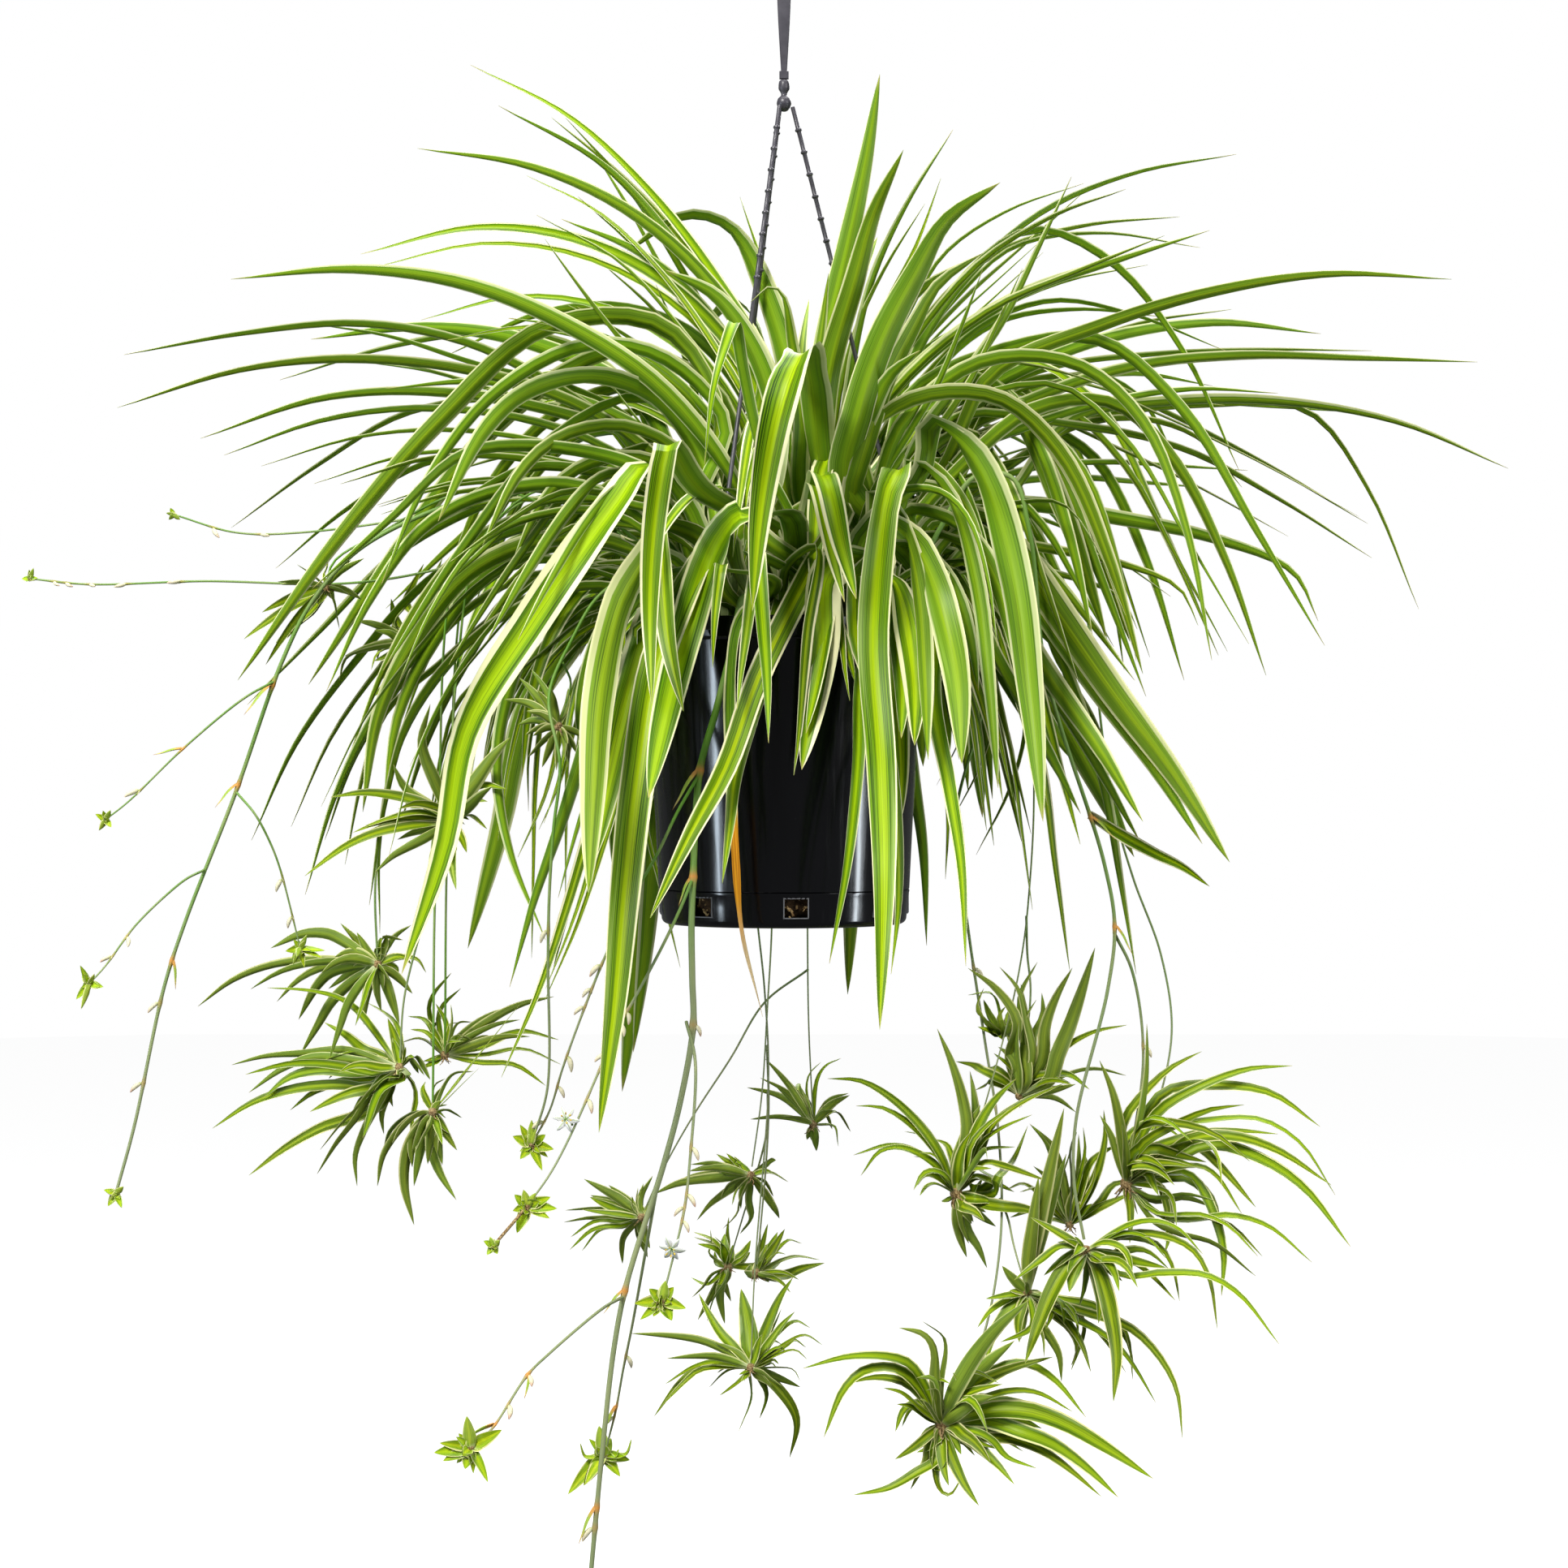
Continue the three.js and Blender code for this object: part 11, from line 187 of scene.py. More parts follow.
        (5.5, 0.3, 3.2, 0.9, [-61.5,-2.3,-474,0.77,-0.63,-0.12,-48.2,1.3,-408.1,0.69,-0.73,-0.01,-64.1,-6.4,-371.4,0.54,-0.77,0.35,-124.5,-13.3,-322.4,0.4,-0.71,0.58,-195.3,-19.6,-297.2,0.21,-0.73,0.65,-278.3,-26.3,-288.1,0.07,-0.74,0.67,-354.8,-33.1,-296.2,-0.08,-0.75,0.65,-434.5,-40,-322,-0.14,-0.76,0.63]),
        (5.5, 0.3, 3.2, 0.9, [-62.1,6.6,-474,0.9,-0.43,0.07,-72.2,-5.8,-424.2,0.84,-0.49,0.24,-92.7,-6.5,-393.1,0.33,-0.65,0.68,-149.7,-7.2,-387.5,-0.05,-0.6,0.8,-195.8,-7.9,-400.3,-0.39,-0.61,0.69,-231.6,-8.6,-434.8,-0.65,-0.55,0.52,-262.2,-9.3,-485.4,-0.74,-0.55,0.38,-286.9,-10,-545.5,-0.77,-0.55,0.32]),
        (5.5, 0.3, 3.2, 0.9, [-62.1,6.6,-474,0.54,-0.77,0.33,-92.4,7.3,-423.5,0.39,-0.82,0.42,-136,12.4,-394.3,0.03,-0.88,0.47,-185,17.7,-398.7,-0.24,-0.87,0.43,-239.9,23.2,-430.9,-0.38,-0.86,0.35,-287.6,29,-482.6,-0.45,-0.85,0.28,-329.8,35,-538.9,-0.5,-0.84,0.22,-361.5,41.1,-605.5,-0.52,-0.84,0.17]),
        (5.5, 0.3, 3.2, 0.9, [-62.1,6.6,-474,0.54,-0.71,0.46,-100.6,1.8,-436.7,0.45,-0.73,0.52,-145.8,-5.1,-418.4,0.2,-0.81,0.55,-185.6,-12.1,-425.7,-0.17,-0.81,0.56,-228.6,-19.1,-464.5,-0.42,-0.76,0.49,-265.9,-26,-516.4,-0.5,-0.77,0.39,-293.6,-33,-574.4,-0.54,-0.79,0.29,-312.2,-40,-639.5,-0.56,-0.79,0.25]),
        (5.5, 0.3, 3.2, 0.9, [-62.2,6.6,-474,0.42,-0.87,0.27,-103.1,-1.5,-437.2,0.24,-0.88,0.4,-147.7,0.6,-437.3,-0.1,-0.91,0.4,-180.5,2.7,-447.4,-0.24,-0.92,0.32,-226.9,4.7,-485.1,-0.28,-0.91,0.29,-266.3,6.6,-520.1,-0.35,-0.91,0.21,-281.4,8.3,-561.8,-0.41,-0.91,0.08,-293.6,10,-621.2,-0.42,-0.91,0.06]),
        (5.5, 0.3, 3.2, 0.9, [-62.6,-2.8,-474,0.78,-0.45,0.44,-89.1,-12,-436.7,0.62,-0.59,0.51,-118.2,-20.1,-426.3,0.12,-0.82,0.56,-154,-28.8,-447,-0.48,-0.66,0.58,-176.4,-38.7,-496,-0.83,-0.43,0.34,-186.5,-49.5,-553,-0.88,-0.46,0.11,-177.1,-63.7,-609.4,-0.89,-0.44,-0.14,-152.2,-82.2,-666.9,-0.86,-0.45,-0.23]),
        (5.5, 0.3, 3.2, 0.9, [-64.2,7,-474,-0.66,-0.75,0.04,-113.5,53.4,-419.2,-0.78,-0.5,-0.38,-100.4,53.7,-460.2,0.1,-0.99,0.02,-120.1,51.6,-469.9,0.39,-0.9,-0.2,-139.1,45.9,-499.3,0.6,-0.79,-0.13,-151.7,38,-536.1,0.62,-0.79,-0.01,-162,29.1,-576.8,0.62,-0.78,-0.03,-178.9,20,-616.6,0.62,-0.78,-0.09]),
        (5.5, 0.3, 3.2, 0.9, [-61.2,-2.1,-474,0.58,-0.69,-0.42,-22.6,-13.2,-402,0.57,-0.75,-0.34,-0.8,-13.6,-347.2,0.45,-0.9,-0.02,-17,-13.4,-286.5,0.58,-0.76,0.3,-65.6,-13.1,-217.8,0.55,-0.72,0.43,-118.9,-13.5,-158.7,0.44,-0.73,0.53,-188.4,-14.4,-119.5,0.34,-0.73,0.59]),
        (7.51, 0.3, 4.4, 0.8, [-61.3,-2.2,-474,0.88,-0.38,-0.28,-31.3,-8.7,-372.3,0.77,-0.64,-0.08,-41.1,0.1,-309.8,0.29,-0.87,0.39,-104.6,10.2,-276.5,-0.14,-0.86,0.48,-181.3,20.2,-315,-0.58,-0.53,0.62,-257.4,27.2,-405.1,-0.78,-0.25,0.57,-321.8,34.8,-500.1,-0.81,-0.25,0.53]),
        (5.5, 0.3, 3.2, 0.9, [-61.5,-2.4,-474,0.66,-0.71,-0.27,-29.7,-0.2,-401.9,0.44,-0.9,0,-47.5,4.6,-357.2,0.34,-0.76,0.55,-137,9,-322.6,0.18,-0.66,0.73,-222.7,13.3,-305.4,0.03,-0.66,0.75,-307.6,19.4,-307.6,-0.17,-0.65,0.74,-392.9,25,-334.6,-0.27,-0.64,0.72])
    ],
    "shoot_right": [
        (5.63, 0.3, 3.2, 0.9, [64.8,-2.9,-474,0.92,0.08,0.37,49.3,-19.5,-432,0.96,0.25,0.12,58.8,-23.2,-385.8,0.67,0.74,-0.09,62,-23.5,-368.2,0.36,0.92,-0.18,82.8,-26.4,-354.9,0.41,0.84,-0.36,98.1,-37.2,-359.5,0,0.78,-0.63,118,-51.6,-386.1,-0.67,0.51,-0.54,133.9,-62.6,-428.4,-0.83,0.37,-0.41]),
        (5.67, 0.3, 3.2, 0.9, [63.5,7,-474,0.8,0.25,-0.54,84.8,-6.1,-448.4,0.65,0.34,-0.68,120.9,-12.9,-429.2,0.38,0.77,-0.51,138.1,-20,-429.3,0.42,0.91,0,152.3,-27.4,-455.6,0.84,0.49,0.22,166.1,-34.9,-504.4,0.96,0.12,0.24,178.9,-42.5,-554.8,0.97,0.11,0.23,192.1,-50.5,-606.5,0.97,0.11,0.23]),
        (5.5, 0.3, 3.2, 0.9, [63.5,7,-474,0.76,0.58,-0.29,87.1,-7.6,-440.9,0.73,0.58,-0.35,105.7,-6,-407.3,0.55,0.71,-0.45,125.4,-7.4,-394.2,0.22,0.93,-0.28,143.1,-12.8,-400.4,-0.15,0.83,-0.53,177,-21.4,-430.3,-0.48,0.61,-0.63,202,-30.8,-462.7,-0.54,0.62,-0.57,228.6,-39.9,-499.8,-0.55,0.62,-0.55]),
        (11.28, 0.3, 4.4, 0.8, [63.5,7,-474,0.92,0.35,-0.18,81.9,-11.9,-418.7,0.76,0.63,-0.17,104.4,-19.7,-387.1,0.31,0.94,-0.11,140.4,-28.5,-396.5,-0.1,0.91,-0.4,172.5,-38.4,-445.3,-0.71,0.44,-0.55,211.3,-49,-504.2,-0.75,0.32,-0.58,252.1,-63.4,-562.2,-0.75,0.32,-0.58,284.2,-82.5,-617.2,-0.76,0.32,-0.56]),
        (5.5, 0.3, 3.2, 0.9, [66.2,6.5,-474,0.81,0.58,-0.08,75,-1.6,-443.7,0.79,0.6,-0.09,83.3,-8.7,-424.1,0.72,0.69,-0.06,91.9,-17.6,-424.4,0.59,0.81,0.01,110.4,-28.2,-450.4,0.81,0.55,0.19,122.5,-39.4,-492.6,0.87,0.48,0.12,134.2,-50.1,-535.2,0.89,0.46,0.06,141.1,-63.9,-579,0.9,0.44,0]),
        (5.5, 0.3, 3.2, 0.9, [66.2,6.5,-474,-0.46,0.57,0.68,68.5,-13,-456.2,-0.41,0.78,0.47,68.2,-17.8,-432.4,0.1,0.96,0.27,94.2,-20.9,-437.6,0.15,0.99,0.04,100.8,-22.3,-441.4,0.34,0.92,0.2,114.9,-22.3,-466.2,0.66,0.69,0.31,126.4,-21.4,-498.6,0.68,0.67,0.29,140.1,-20,-530.6,0.67,0.68,0.31]),
        (5.5, 0.3, 3.2, 0.9, [66.1,6.5,-474,0.54,0.66,-0.52,100.9,8.3,-436,0.18,0.66,-0.73,151.1,0,-459.5,-0.06,0.86,-0.51,174,-6.2,-468.3,-0.3,0.87,-0.39,196.7,-10.2,-518.1,-0.69,0.66,-0.3,212.1,-13.2,-569.4,-0.73,0.66,-0.2,222.3,-16.4,-631.1,-0.73,0.66,-0.16,232,-20,-692.6,-0.73,0.66,-0.15]),
        (5.5, 0.3, 3.2, 0.9, [66.1,6.5,-474,-0.8,0.59,0.06,93.9,40.2,-433.8,-0.51,0.73,0.46,135,37.4,-447.1,0.13,0.85,0.51,161.3,36.5,-444.7,0.21,0.97,0.1,171.5,30.1,-453.3,-0.07,0.93,-0.35,185.3,22.9,-485.3,-0.3,0.89,-0.33,208.4,15.8,-524.8,-0.32,0.9,-0.31,222,10,-561.5,-0.35,0.89,-0.27]),
        (6.27, 0.3, 3.2, 0.9, [67.9,-1.2,-474,0.98,0.2,0.1,57.8,9.7,-394.3,0.95,0.31,0.04,56.3,15.1,-331.8,0.56,0.78,-0.29,96.5,17.5,-299.4,0.26,0.73,-0.63,140.4,13.1,-299.7,-0.22,0.76,-0.61,177.2,2.2,-348.2,-0.79,0.39,-0.48,209.2,-7.3,-428.5,-0.89,0.26,-0.37,239.2,-13.5,-509.6,-0.9,0.26,-0.35]),
        (5.5, 0.3, 3.2, 0.9, [59.4,0.2,-474,0.68,0.71,-0.16,72.3,-0.6,-422.5,0.73,0.68,0.07,74.7,-27.2,-376.7,0.77,0.62,0.16,88.8,-42.4,-339.6,0.66,0.72,-0.19,117.8,-46.6,-301.1,0.61,0.69,-0.4,143.2,-46.3,-263.5,0.64,0.67,-0.36,165.3,-47.4,-218.6,0.69,0.66,-0.3,186.3,-50.7,-173.8,0.7,0.66,-0.28]),
        (5.5, 0.3, 3.2, 0.9, [59.4,0.1,-474,0.76,0.63,-0.18,74.7,8.4,-380.7,0.76,0.64,-0.11,79.8,4.7,-301.3,0.69,0.7,-0.17,118.7,1.6,-232.3,0.53,0.74,-0.41,164.4,0.1,-198.7,0.07,0.91,-0.42,217.1,-0.2,-219.3,-0.34,0.84,-0.43,266,-0.1,-280.2,-0.53,0.78,-0.33,302.9,0,-359.1,-0.57,0.78,-0.26]),
        (5.5, 0.3, 3.2, 0.9, [59.4,0.1,-474,0.91,0.39,0.15,46.7,3,-405.6,0.9,0.39,0.19,35.7,-6.6,-349.8,0.79,0.62,-0.04,65,-14.8,-314.8,0.66,0.55,-0.52,104.9,-20.1,-277.1,0.57,0.46,-0.68,157.9,-23.8,-244.1,0.4,0.47,-0.78,216.4,-26.9,-224.3,0.29,0.48,-0.82,278.7,-29.9,-204.7,0.28,0.48,-0.83]),
        (5.5, 0.3, 3.2, 0.9, [59.4,0.1,-474,0.89,0.4,-0.23,84.2,-9.6,-396.2,0.87,0.42,-0.26,108.7,-25.5,-351.6,0.8,0.54,-0.24,135.1,-42.3,-300.7,0.65,0.47,-0.6,203.2,-54.8,-271.1,0.36,0.52,-0.78,274.7,-62.3,-250.3,0.23,0.53,-0.81,349.5,-70.2,-240,0.1,0.55,-0.83,425.6,-82.5,-245.5,0.03,0.57,-0.82]),
        (5.5, 0.3, 3.2, 0.9, [59.5,-0.1,-474,0.78,0.62,0.11,57.6,-11,-397.8,0.74,0.64,-0.2,97.8,-3.6,-345.1,0.38,0.71,-0.59,159.1,4.1,-313.2,0.28,0.67,-0.69,229.8,-2.7,-290.2,0.22,0.67,-0.71,302.1,-11.3,-283.7,0.08,0.68,-0.73,380.1,-16.1,-286.3,0.01,0.68,-0.73,456.5,-20,-289.5,0,0.68,-0.73]),
        (5.5, 0.3, 3.2, 0.9, [59.5,-0.1,-474,0.44,0.69,-0.57,109.4,12,-420.8,0.48,0.7,-0.53,152.4,12.4,-372.3,0.52,0.74,-0.44,190.6,12.2,-323.8,0.32,0.77,-0.56,263.4,10.8,-310.7,0.06,0.76,-0.65,340.9,10.1,-312,-0.06,0.76,-0.65,412.9,10.1,-326,-0.19,0.76,-0.63,484.1,10,-356.4,-0.26,0.75,-0.6]),
        (5.5, 0.3, 3.2, 0.9, [59.5,-0.1,-474,0.63,0.76,0.19,68.6,-22.7,-414.4,0.54,0.83,-0.15,103.9,-13.6,-387.3,0.39,0.89,-0.25,138.8,-30.7,-333.4,0.27,0.9,-0.33,203,-23.7,-333,-0.11,0.9,-0.43,265.2,-22.2,-347.7,-0.11,0.91,-0.4,324.3,-30.3,-380.5,-0.11,0.91,-0.4,383.1,-40,-419.9,-0.11,0.91,-0.39]),
        (5.5, 0.3, 3.2, 0.9, [59.5,-0.2,-474,0.93,0.37,0.02,66.4,-22,-377.8,0.91,0.4,-0.04,80.8,-31.4,-314,0.66,0.59,-0.47,148.7,-37.5,-282.1,0.27,0.62,-0.73,206.1,-45.2,-278.8,-0.15,0.7,-0.69,259.1,-57.1,-326.7,-0.61,0.53,-0.58,301.8,-70.4,-401.8,-0.7,0.53,-0.48,344.8,-82.5,-479,-0.7,0.54,-0.47]),
        (5.5, 0.3, 3.2, 0.9, [59.6,-0.4,-474,0.46,0.74,-0.49,94.8,13.6,-419.4,0.47,0.75,-0.45,113,20.4,-383.9,0.37,0.81,-0.45,156.7,24.4,-349.4,0.29,0.8,-0.52,198.3,26.8,-325.3,0.14,0.84,-0.52,243.6,27.6,-321.1,-0.07,0.87,-0.5,281,28.3,-334.8,-0.32,0.85,-0.42,309.1,29.9,-366.9,-0.43,0.84,-0.34]),
        (5.78, 0.3, 3.2, 0.9, [63.5,7,-474,-0.81,0.55,0.23,83.8,23.3,-441.3,-0.5,0.75,0.43,126.3,23.1,-428.3,-0.09,0.98,0.2,122.2,26.5,-439.1,-0.41,0.91,0.09,136.7,34.2,-490.9,-0.87,0.46,-0.15,149,41.9,-547.9,-0.93,0.34,-0.16,161.9,49.4,-606.5,-0.93,0.34,-0.16]),
        (11.59, 0.3, 4.4, 0.8, [63.5,7,-474,-0.79,0.61,0.06,85.1,29.4,-418.1,-0.39,0.92,0.02,124,30.9,-412.9,-0.11,0.99,0.05,130.3,34.1,-414.9,-0.51,0.84,-0.18,166.5,41.4,-483.7,-0.84,0.36,-0.41,206.8,55.5,-552.5,-0.87,0.27,-0.42,241.8,76.7,-617.8,-0.88,0.26,-0.39]),
        (5.5, 0.3, 3.2, 0.9, [59.4,0.1,-474,0.82,0.35,-0.45,95.7,10.8,-399.9,0.81,0.54,-0.21,84.2,18.2,-334.2,0.53,0.77,-0.36,143,26.1,-296.5,0.38,0.41,-0.83,214.1,36,-266.4,0.2,0.35,-0.91,292.4,56.8,-251.6,-0.04,0.3,-0.95,374.5,98.1,-253.2,-0.16,0.27,-0.95]),
        (5.5, 0.3, 3.2, 0.9, [59.5,-0.1,-474,-0.72,0.53,0.44,119.4,13.2,-391.2,-0.83,0.54,0.15,90.6,4.9,-317.3,-0.66,0.69,0.29,155.1,2.1,-284.3,-0.09,0.79,0.61,211,15.7,-313.7,0.47,0.57,0.68,257.5,47.6,-392.7,0.73,0.33,0.6,304.1,104.5,-477.3,0.73,0.31,0.61]),
        (5.5, 0.3, 3.2, 0.9, [66.1,6.5,-474,-0.49,0.79,0.36,118.5,13.7,-418.9,-0.16,0.85,0.5,146,13.5,-460.3,0.14,0.99,0.07,153,14.3,-495.1,0.56,0.81,0.17,172.6,15.1,-554.6,0.77,0.61,0.18,182.3,15.7,-623.1,0.78,0.61,0.11,191.7,16.2,-692.6,0.78,0.61,0.11])
    ],
}

PLANTLET_LEAVES = {
    "plantlet_left_1": [
        (3.88, 0.27, 2.3, 0.8, [-276,40,-689.8,0.46,-0.35,0.81,-297.4,44.7,-675.6,0.34,-0.39,0.85,-311.8,52.3,-669.7,0,-0.3,0.95,-331,60.7,-670.5,-0.33,-0.22,0.92,-353.1,69.1,-680.4,-0.46,-0.19,0.87]),
        (3, 0.27, 2.3, 0.8, [-276,40,-689.8,-0.13,-0.51,0.85,-303.6,51.4,-687.2,-0.18,-0.49,0.85,-333.5,63.3,-688.4,-0.29,-0.46,0.84,-360.3,75.1,-694,-0.44,-0.41,0.8,-384.3,87.1,-704.4,-0.61,-0.36,0.7,-409.8,102.3,-723,-0.68,-0.34,0.65]),
        (3.88, 0.27, 2.3, 0.8, [-276,40,-689.8,-0.27,-0.52,0.81,-297.8,47.7,-692.2,-0.35,-0.55,0.76,-311.2,52.2,-697.3,-0.6,-0.5,0.62,-320.5,56.4,-706.8,-0.81,-0.43,0.4,-333.4,65.1,-729.2,-0.85,-0.41,0.33]),
        (3, 0.27, 2.3, 0.8, [-276,40,-689.8,0.46,-0.37,0.81,-285.5,49,-680.3,0.5,-0.42,0.76,-293.1,50.9,-672.3,0.59,-0.45,0.67,-302.6,52.5,-662.8,0.59,-0.45,0.67]),
        (3, 0.27, 2.3, 0.8, [-276,40,-689.8,0.31,0.73,-0.6,-268.9,48.3,-676.1,0.29,0.72,-0.63,-264.3,52.6,-670.1,0.32,0.75,-0.58,-254.8,51.8,-663.9,0.42,0.72,-0.55]),
        (3.31, 0.27, 2.3, 0.8, [-276,40,-689.8,-0.71,0.7,0,-274.2,41.7,-673.3,-0.46,0.89,0.01,-271.8,41.9,-671.2,-0.25,0.9,-0.37,-259.6,45.6,-673.5,-0.34,0.74,-0.58]),
        (3, 0.27, 2.3, 0.8, [-276,40,-689.8,-0.41,0.74,0.53,-259.7,45.7,-685,-0.3,0.77,0.56,-249.6,48.4,-687.1,0.05,0.86,0.5,-244.2,51.1,-696,0.17,0.91,0.38]),
        (3, 0.27, 2.3, 0.8, [-276,40,-689.8,-0.61,0.35,-0.71,-266.7,44.1,-695.7,-0.65,0.34,-0.68,-261.4,46.5,-700.5,-0.77,0.29,-0.57,-253.5,50.1,-710.3,-0.8,0.28,-0.54]),
        (3.33, 0.27, 2.3, 0.8, [-276,40,-689.8,-0.62,-0.35,0.7,-294.2,48.5,-701.9,-0.68,-0.33,0.66,-309.4,55.9,-716.2,-0.8,-0.28,0.53,-319.7,63.1,-732.4,-0.87,-0.25,0.43,-333.7,73.5,-754.5,-0.87,-0.25,0.43]),
        (3, 0.27, 2.3, 0.8, [-276,40,-689.8,-0.87,-0.44,0.22,-282.4,45.5,-704,-0.89,-0.42,0.18,-285.3,49.1,-714.7,-0.92,-0.38,0.04,-287.3,54.4,-731.7,-0.93,-0.37,0]),
        (3.31, 0.27, 2.3, 0.8, [-276,40,-689.8,-0.92,0,-0.39,-270.5,42.2,-702.8,-0.94,-0.01,-0.35,-266.3,43.8,-715.5,-0.95,-0.01,-0.3,-261.8,45.5,-731,-0.96,-0.01,-0.28])
    ],
    "plantlet_left_2": [
        (3, 0.27, 2.3, 0.8, [-258.5,20,-757.8,0.14,-0.52,0.84,-285.2,27,-749.1,0.03,-0.48,0.88,-299.4,36.7,-747.6,-0.21,-0.39,0.9,-327.2,46.3,-750.7,-0.2,-0.41,0.89,-354.1,51,-753.1,-0.25,-0.39,0.89,-377.8,57.7,-759.7,-0.35,-0.37,0.86]),
        (3, 0.27, 2.3, 0.8, [-258.5,20,-757.8,0.08,-0.18,0.98,-292.4,28.2,-753.6,0.05,-0.17,0.98,-317.3,34.2,-752.2,-0.18,-0.1,0.98,-341.2,44.4,-761.1,-0.48,-0.02,0.88,-365.4,53.4,-778.2,-0.58,0,0.82]),
        (3.85, 0.27, 2.3, 0.8, [-258.5,20,-757.8,0.03,-0.27,-0.96,-286.2,30.4,-761.5,-0.02,-0.25,-0.97,-315.2,38.5,-761.2,0.03,-0.26,-0.96,-336.5,44,-766.8,0.34,-0.34,-0.88,-354.8,49.9,-781.1,0.49,-0.39,-0.78]),
        (3.31, 0.27, 2.3, 0.8, [-258.5,20,-757.8,0.27,-0.5,-0.82,-281,30.4,-771.5,0.04,-0.54,-0.84,-302.9,37.4,-771.1,-0.09,-0.48,-0.87,-331.7,45.3,-774.5,0.12,-0.32,-0.94,-362.7,54.9,-784.7,0.3,-0.36,-0.88,-392.9,67.2,-804.2,0.39,-0.38,-0.84]),
        (3.84, 0.27, 2.3, 0.8, [-258.5,20,-757.8,-0.61,-0.44,-0.66,-272.4,29.3,-751.1,-0.56,-0.48,-0.68,-285.6,35.4,-746.4,-0.52,-0.49,-0.7,-296.2,35.1,-737.5,-0.52,-0.49,-0.7,-311.5,38.5,-729.3,-0.49,-0.5,-0.71]),
        (3.86, 0.27, 2.3, 0.8, [-258.5,20,-757.8,0.67,-0.46,-0.59,-270.3,33.4,-781.9,0.53,-0.43,-0.73,-289.2,41.7,-792.8,0.28,-0.38,-0.88,-313.2,44.5,-800.4,0.32,-0.36,-0.88,-339.7,52.1,-815.3,0.44,-0.32,-0.84,-367.1,63.3,-836,0.48,-0.33,-0.81]),
        (3, 0.27, 2.3, 0.8, [-258.5,20,-757.8,-0.62,-0.74,0.24,-278.6,30.6,-776.9,-0.63,-0.74,0.24,-290.6,35.3,-794.7,-0.64,-0.74,0.23,-304.1,41.8,-811.4,-0.65,-0.73,0.21,-318.1,48.7,-833,-0.66,-0.73,0.19]),
        (3, 0.27, 2.3, 0.8, [-258.5,20,-757.8,-0.76,-0.6,0.25,-273.2,28.8,-781.6,-0.77,-0.6,0.23,-285.5,37.2,-803.9,-0.79,-0.58,0.18,-291.3,41.7,-820.3,-0.85,-0.53,-0.02,-290.7,46.7,-841,-0.85,-0.5,-0.15]),
        (3, 0.27, 2.3, 0.8, [-258.5,20,-757.8,-0.66,-0.73,-0.18,-275.8,30.5,-735.6,-0.64,-0.74,-0.2,-290.5,37.1,-719.4,-0.55,-0.78,-0.3,-303.2,41,-712,-0.36,-0.84,-0.41,-325,46.3,-707.7,-0.27,-0.86,-0.44,-352.7,53.8,-706.7,-0.25,-0.86,-0.44]),
        (3.82, 0.27, 2.3, 0.8, [-258.5,20,-757.8,-0.52,0.81,0.28,-250,22.8,-750.3,-0.38,0.92,0.12,-247.4,23.7,-750.7,-0.51,0.85,-0.13,-238.6,27,-766.7,-0.74,0.62,-0.28]),
        (4.37, 0.27, 2.3, 0.8, [-258.5,20,-757.8,-0.3,-0.77,-0.56,-252.7,21,-762.4,-0.39,-0.8,-0.45,-254.4,21.5,-764.1,0.35,-0.78,-0.52,-269.8,19.1,-771.1,0.43,-0.8,-0.41,-284.1,27.2,-806.1,0.8,-0.43,-0.42]),
        (3.28, 0.27, 2.3, 0.8, [-258.5,20,-757.8,-0.98,0.1,-0.15,-260.2,21.9,-745.9,-0.98,0.09,-0.2,-262.3,23.1,-737.4,-0.95,0.07,-0.31,-266.8,24.5,-725.5,-0.93,0.07,-0.35])
    ],
    "plantlet_left_3": [
        (3.75, 0.27, 2.3, 0.8, [-230.3,-30,-782.4,-0.73,-0.59,0.35,-243.4,-22.6,-797.4,-0.8,-0.55,0.26,-249.9,-17.1,-815,-0.88,-0.48,0.05,-251,-12.3,-833.4,-0.89,-0.42,-0.19,-245.5,-5.7,-859.9,-0.88,-0.4,-0.28]),
        (3.21, 0.27, 2.3, 0.8, [-230.3,-30,-782.4,-0.87,-0.39,0.29,-236.6,-25,-794.6,-0.92,-0.35,0.2,-238.8,-20.8,-805.3,-0.94,-0.32,0.11,-241.8,-17.6,-818.3,-0.94,-0.32,0.11,-244.5,-13.8,-833,-0.94,-0.31,0.09]),
        (3.2, 0.27, 2.3, 0.8, [-230.3,-30,-782.4,-0.94,-0.26,-0.22,-229.2,-23.5,-794.8,-0.94,-0.27,-0.22,-227.6,-20.3,-805.4,-0.94,-0.27,-0.21,-225.2,-18.6,-818.4,-0.94,-0.27,-0.21]),
        (3, 0.27, 2.3, 0.8, [-230.3,-30,-782.4,-0.98,-0.18,0.09,-231.6,-28.8,-794,-0.98,-0.18,0.07,-233.1,-24.2,-804.7,-0.98,-0.18,0.06,-234.8,-19,-817.8,-0.98,-0.18,0.06]),
        (3, 0.27, 2.3, 0.8, [-230.3,-30,-782.4,0.59,0.59,0.55,-225.3,-26,-792.1,0.59,0.59,0.55,-221.1,-23.2,-799.4,0.59,0.59,0.55,-215.4,-20.4,-808.6,0.58,0.59,0.55]),
        (3, 0.27, 2.3, 0.8, [-230.3,-30,-782.4,-0.34,0.94,-0.1,-223.5,-27.4,-780.6,-0.34,0.94,-0.1,-220.4,-26.3,-781.1,-0.36,0.93,-0.11,-211.8,-23.7,-786.8,-0.39,0.9,-0.18]),
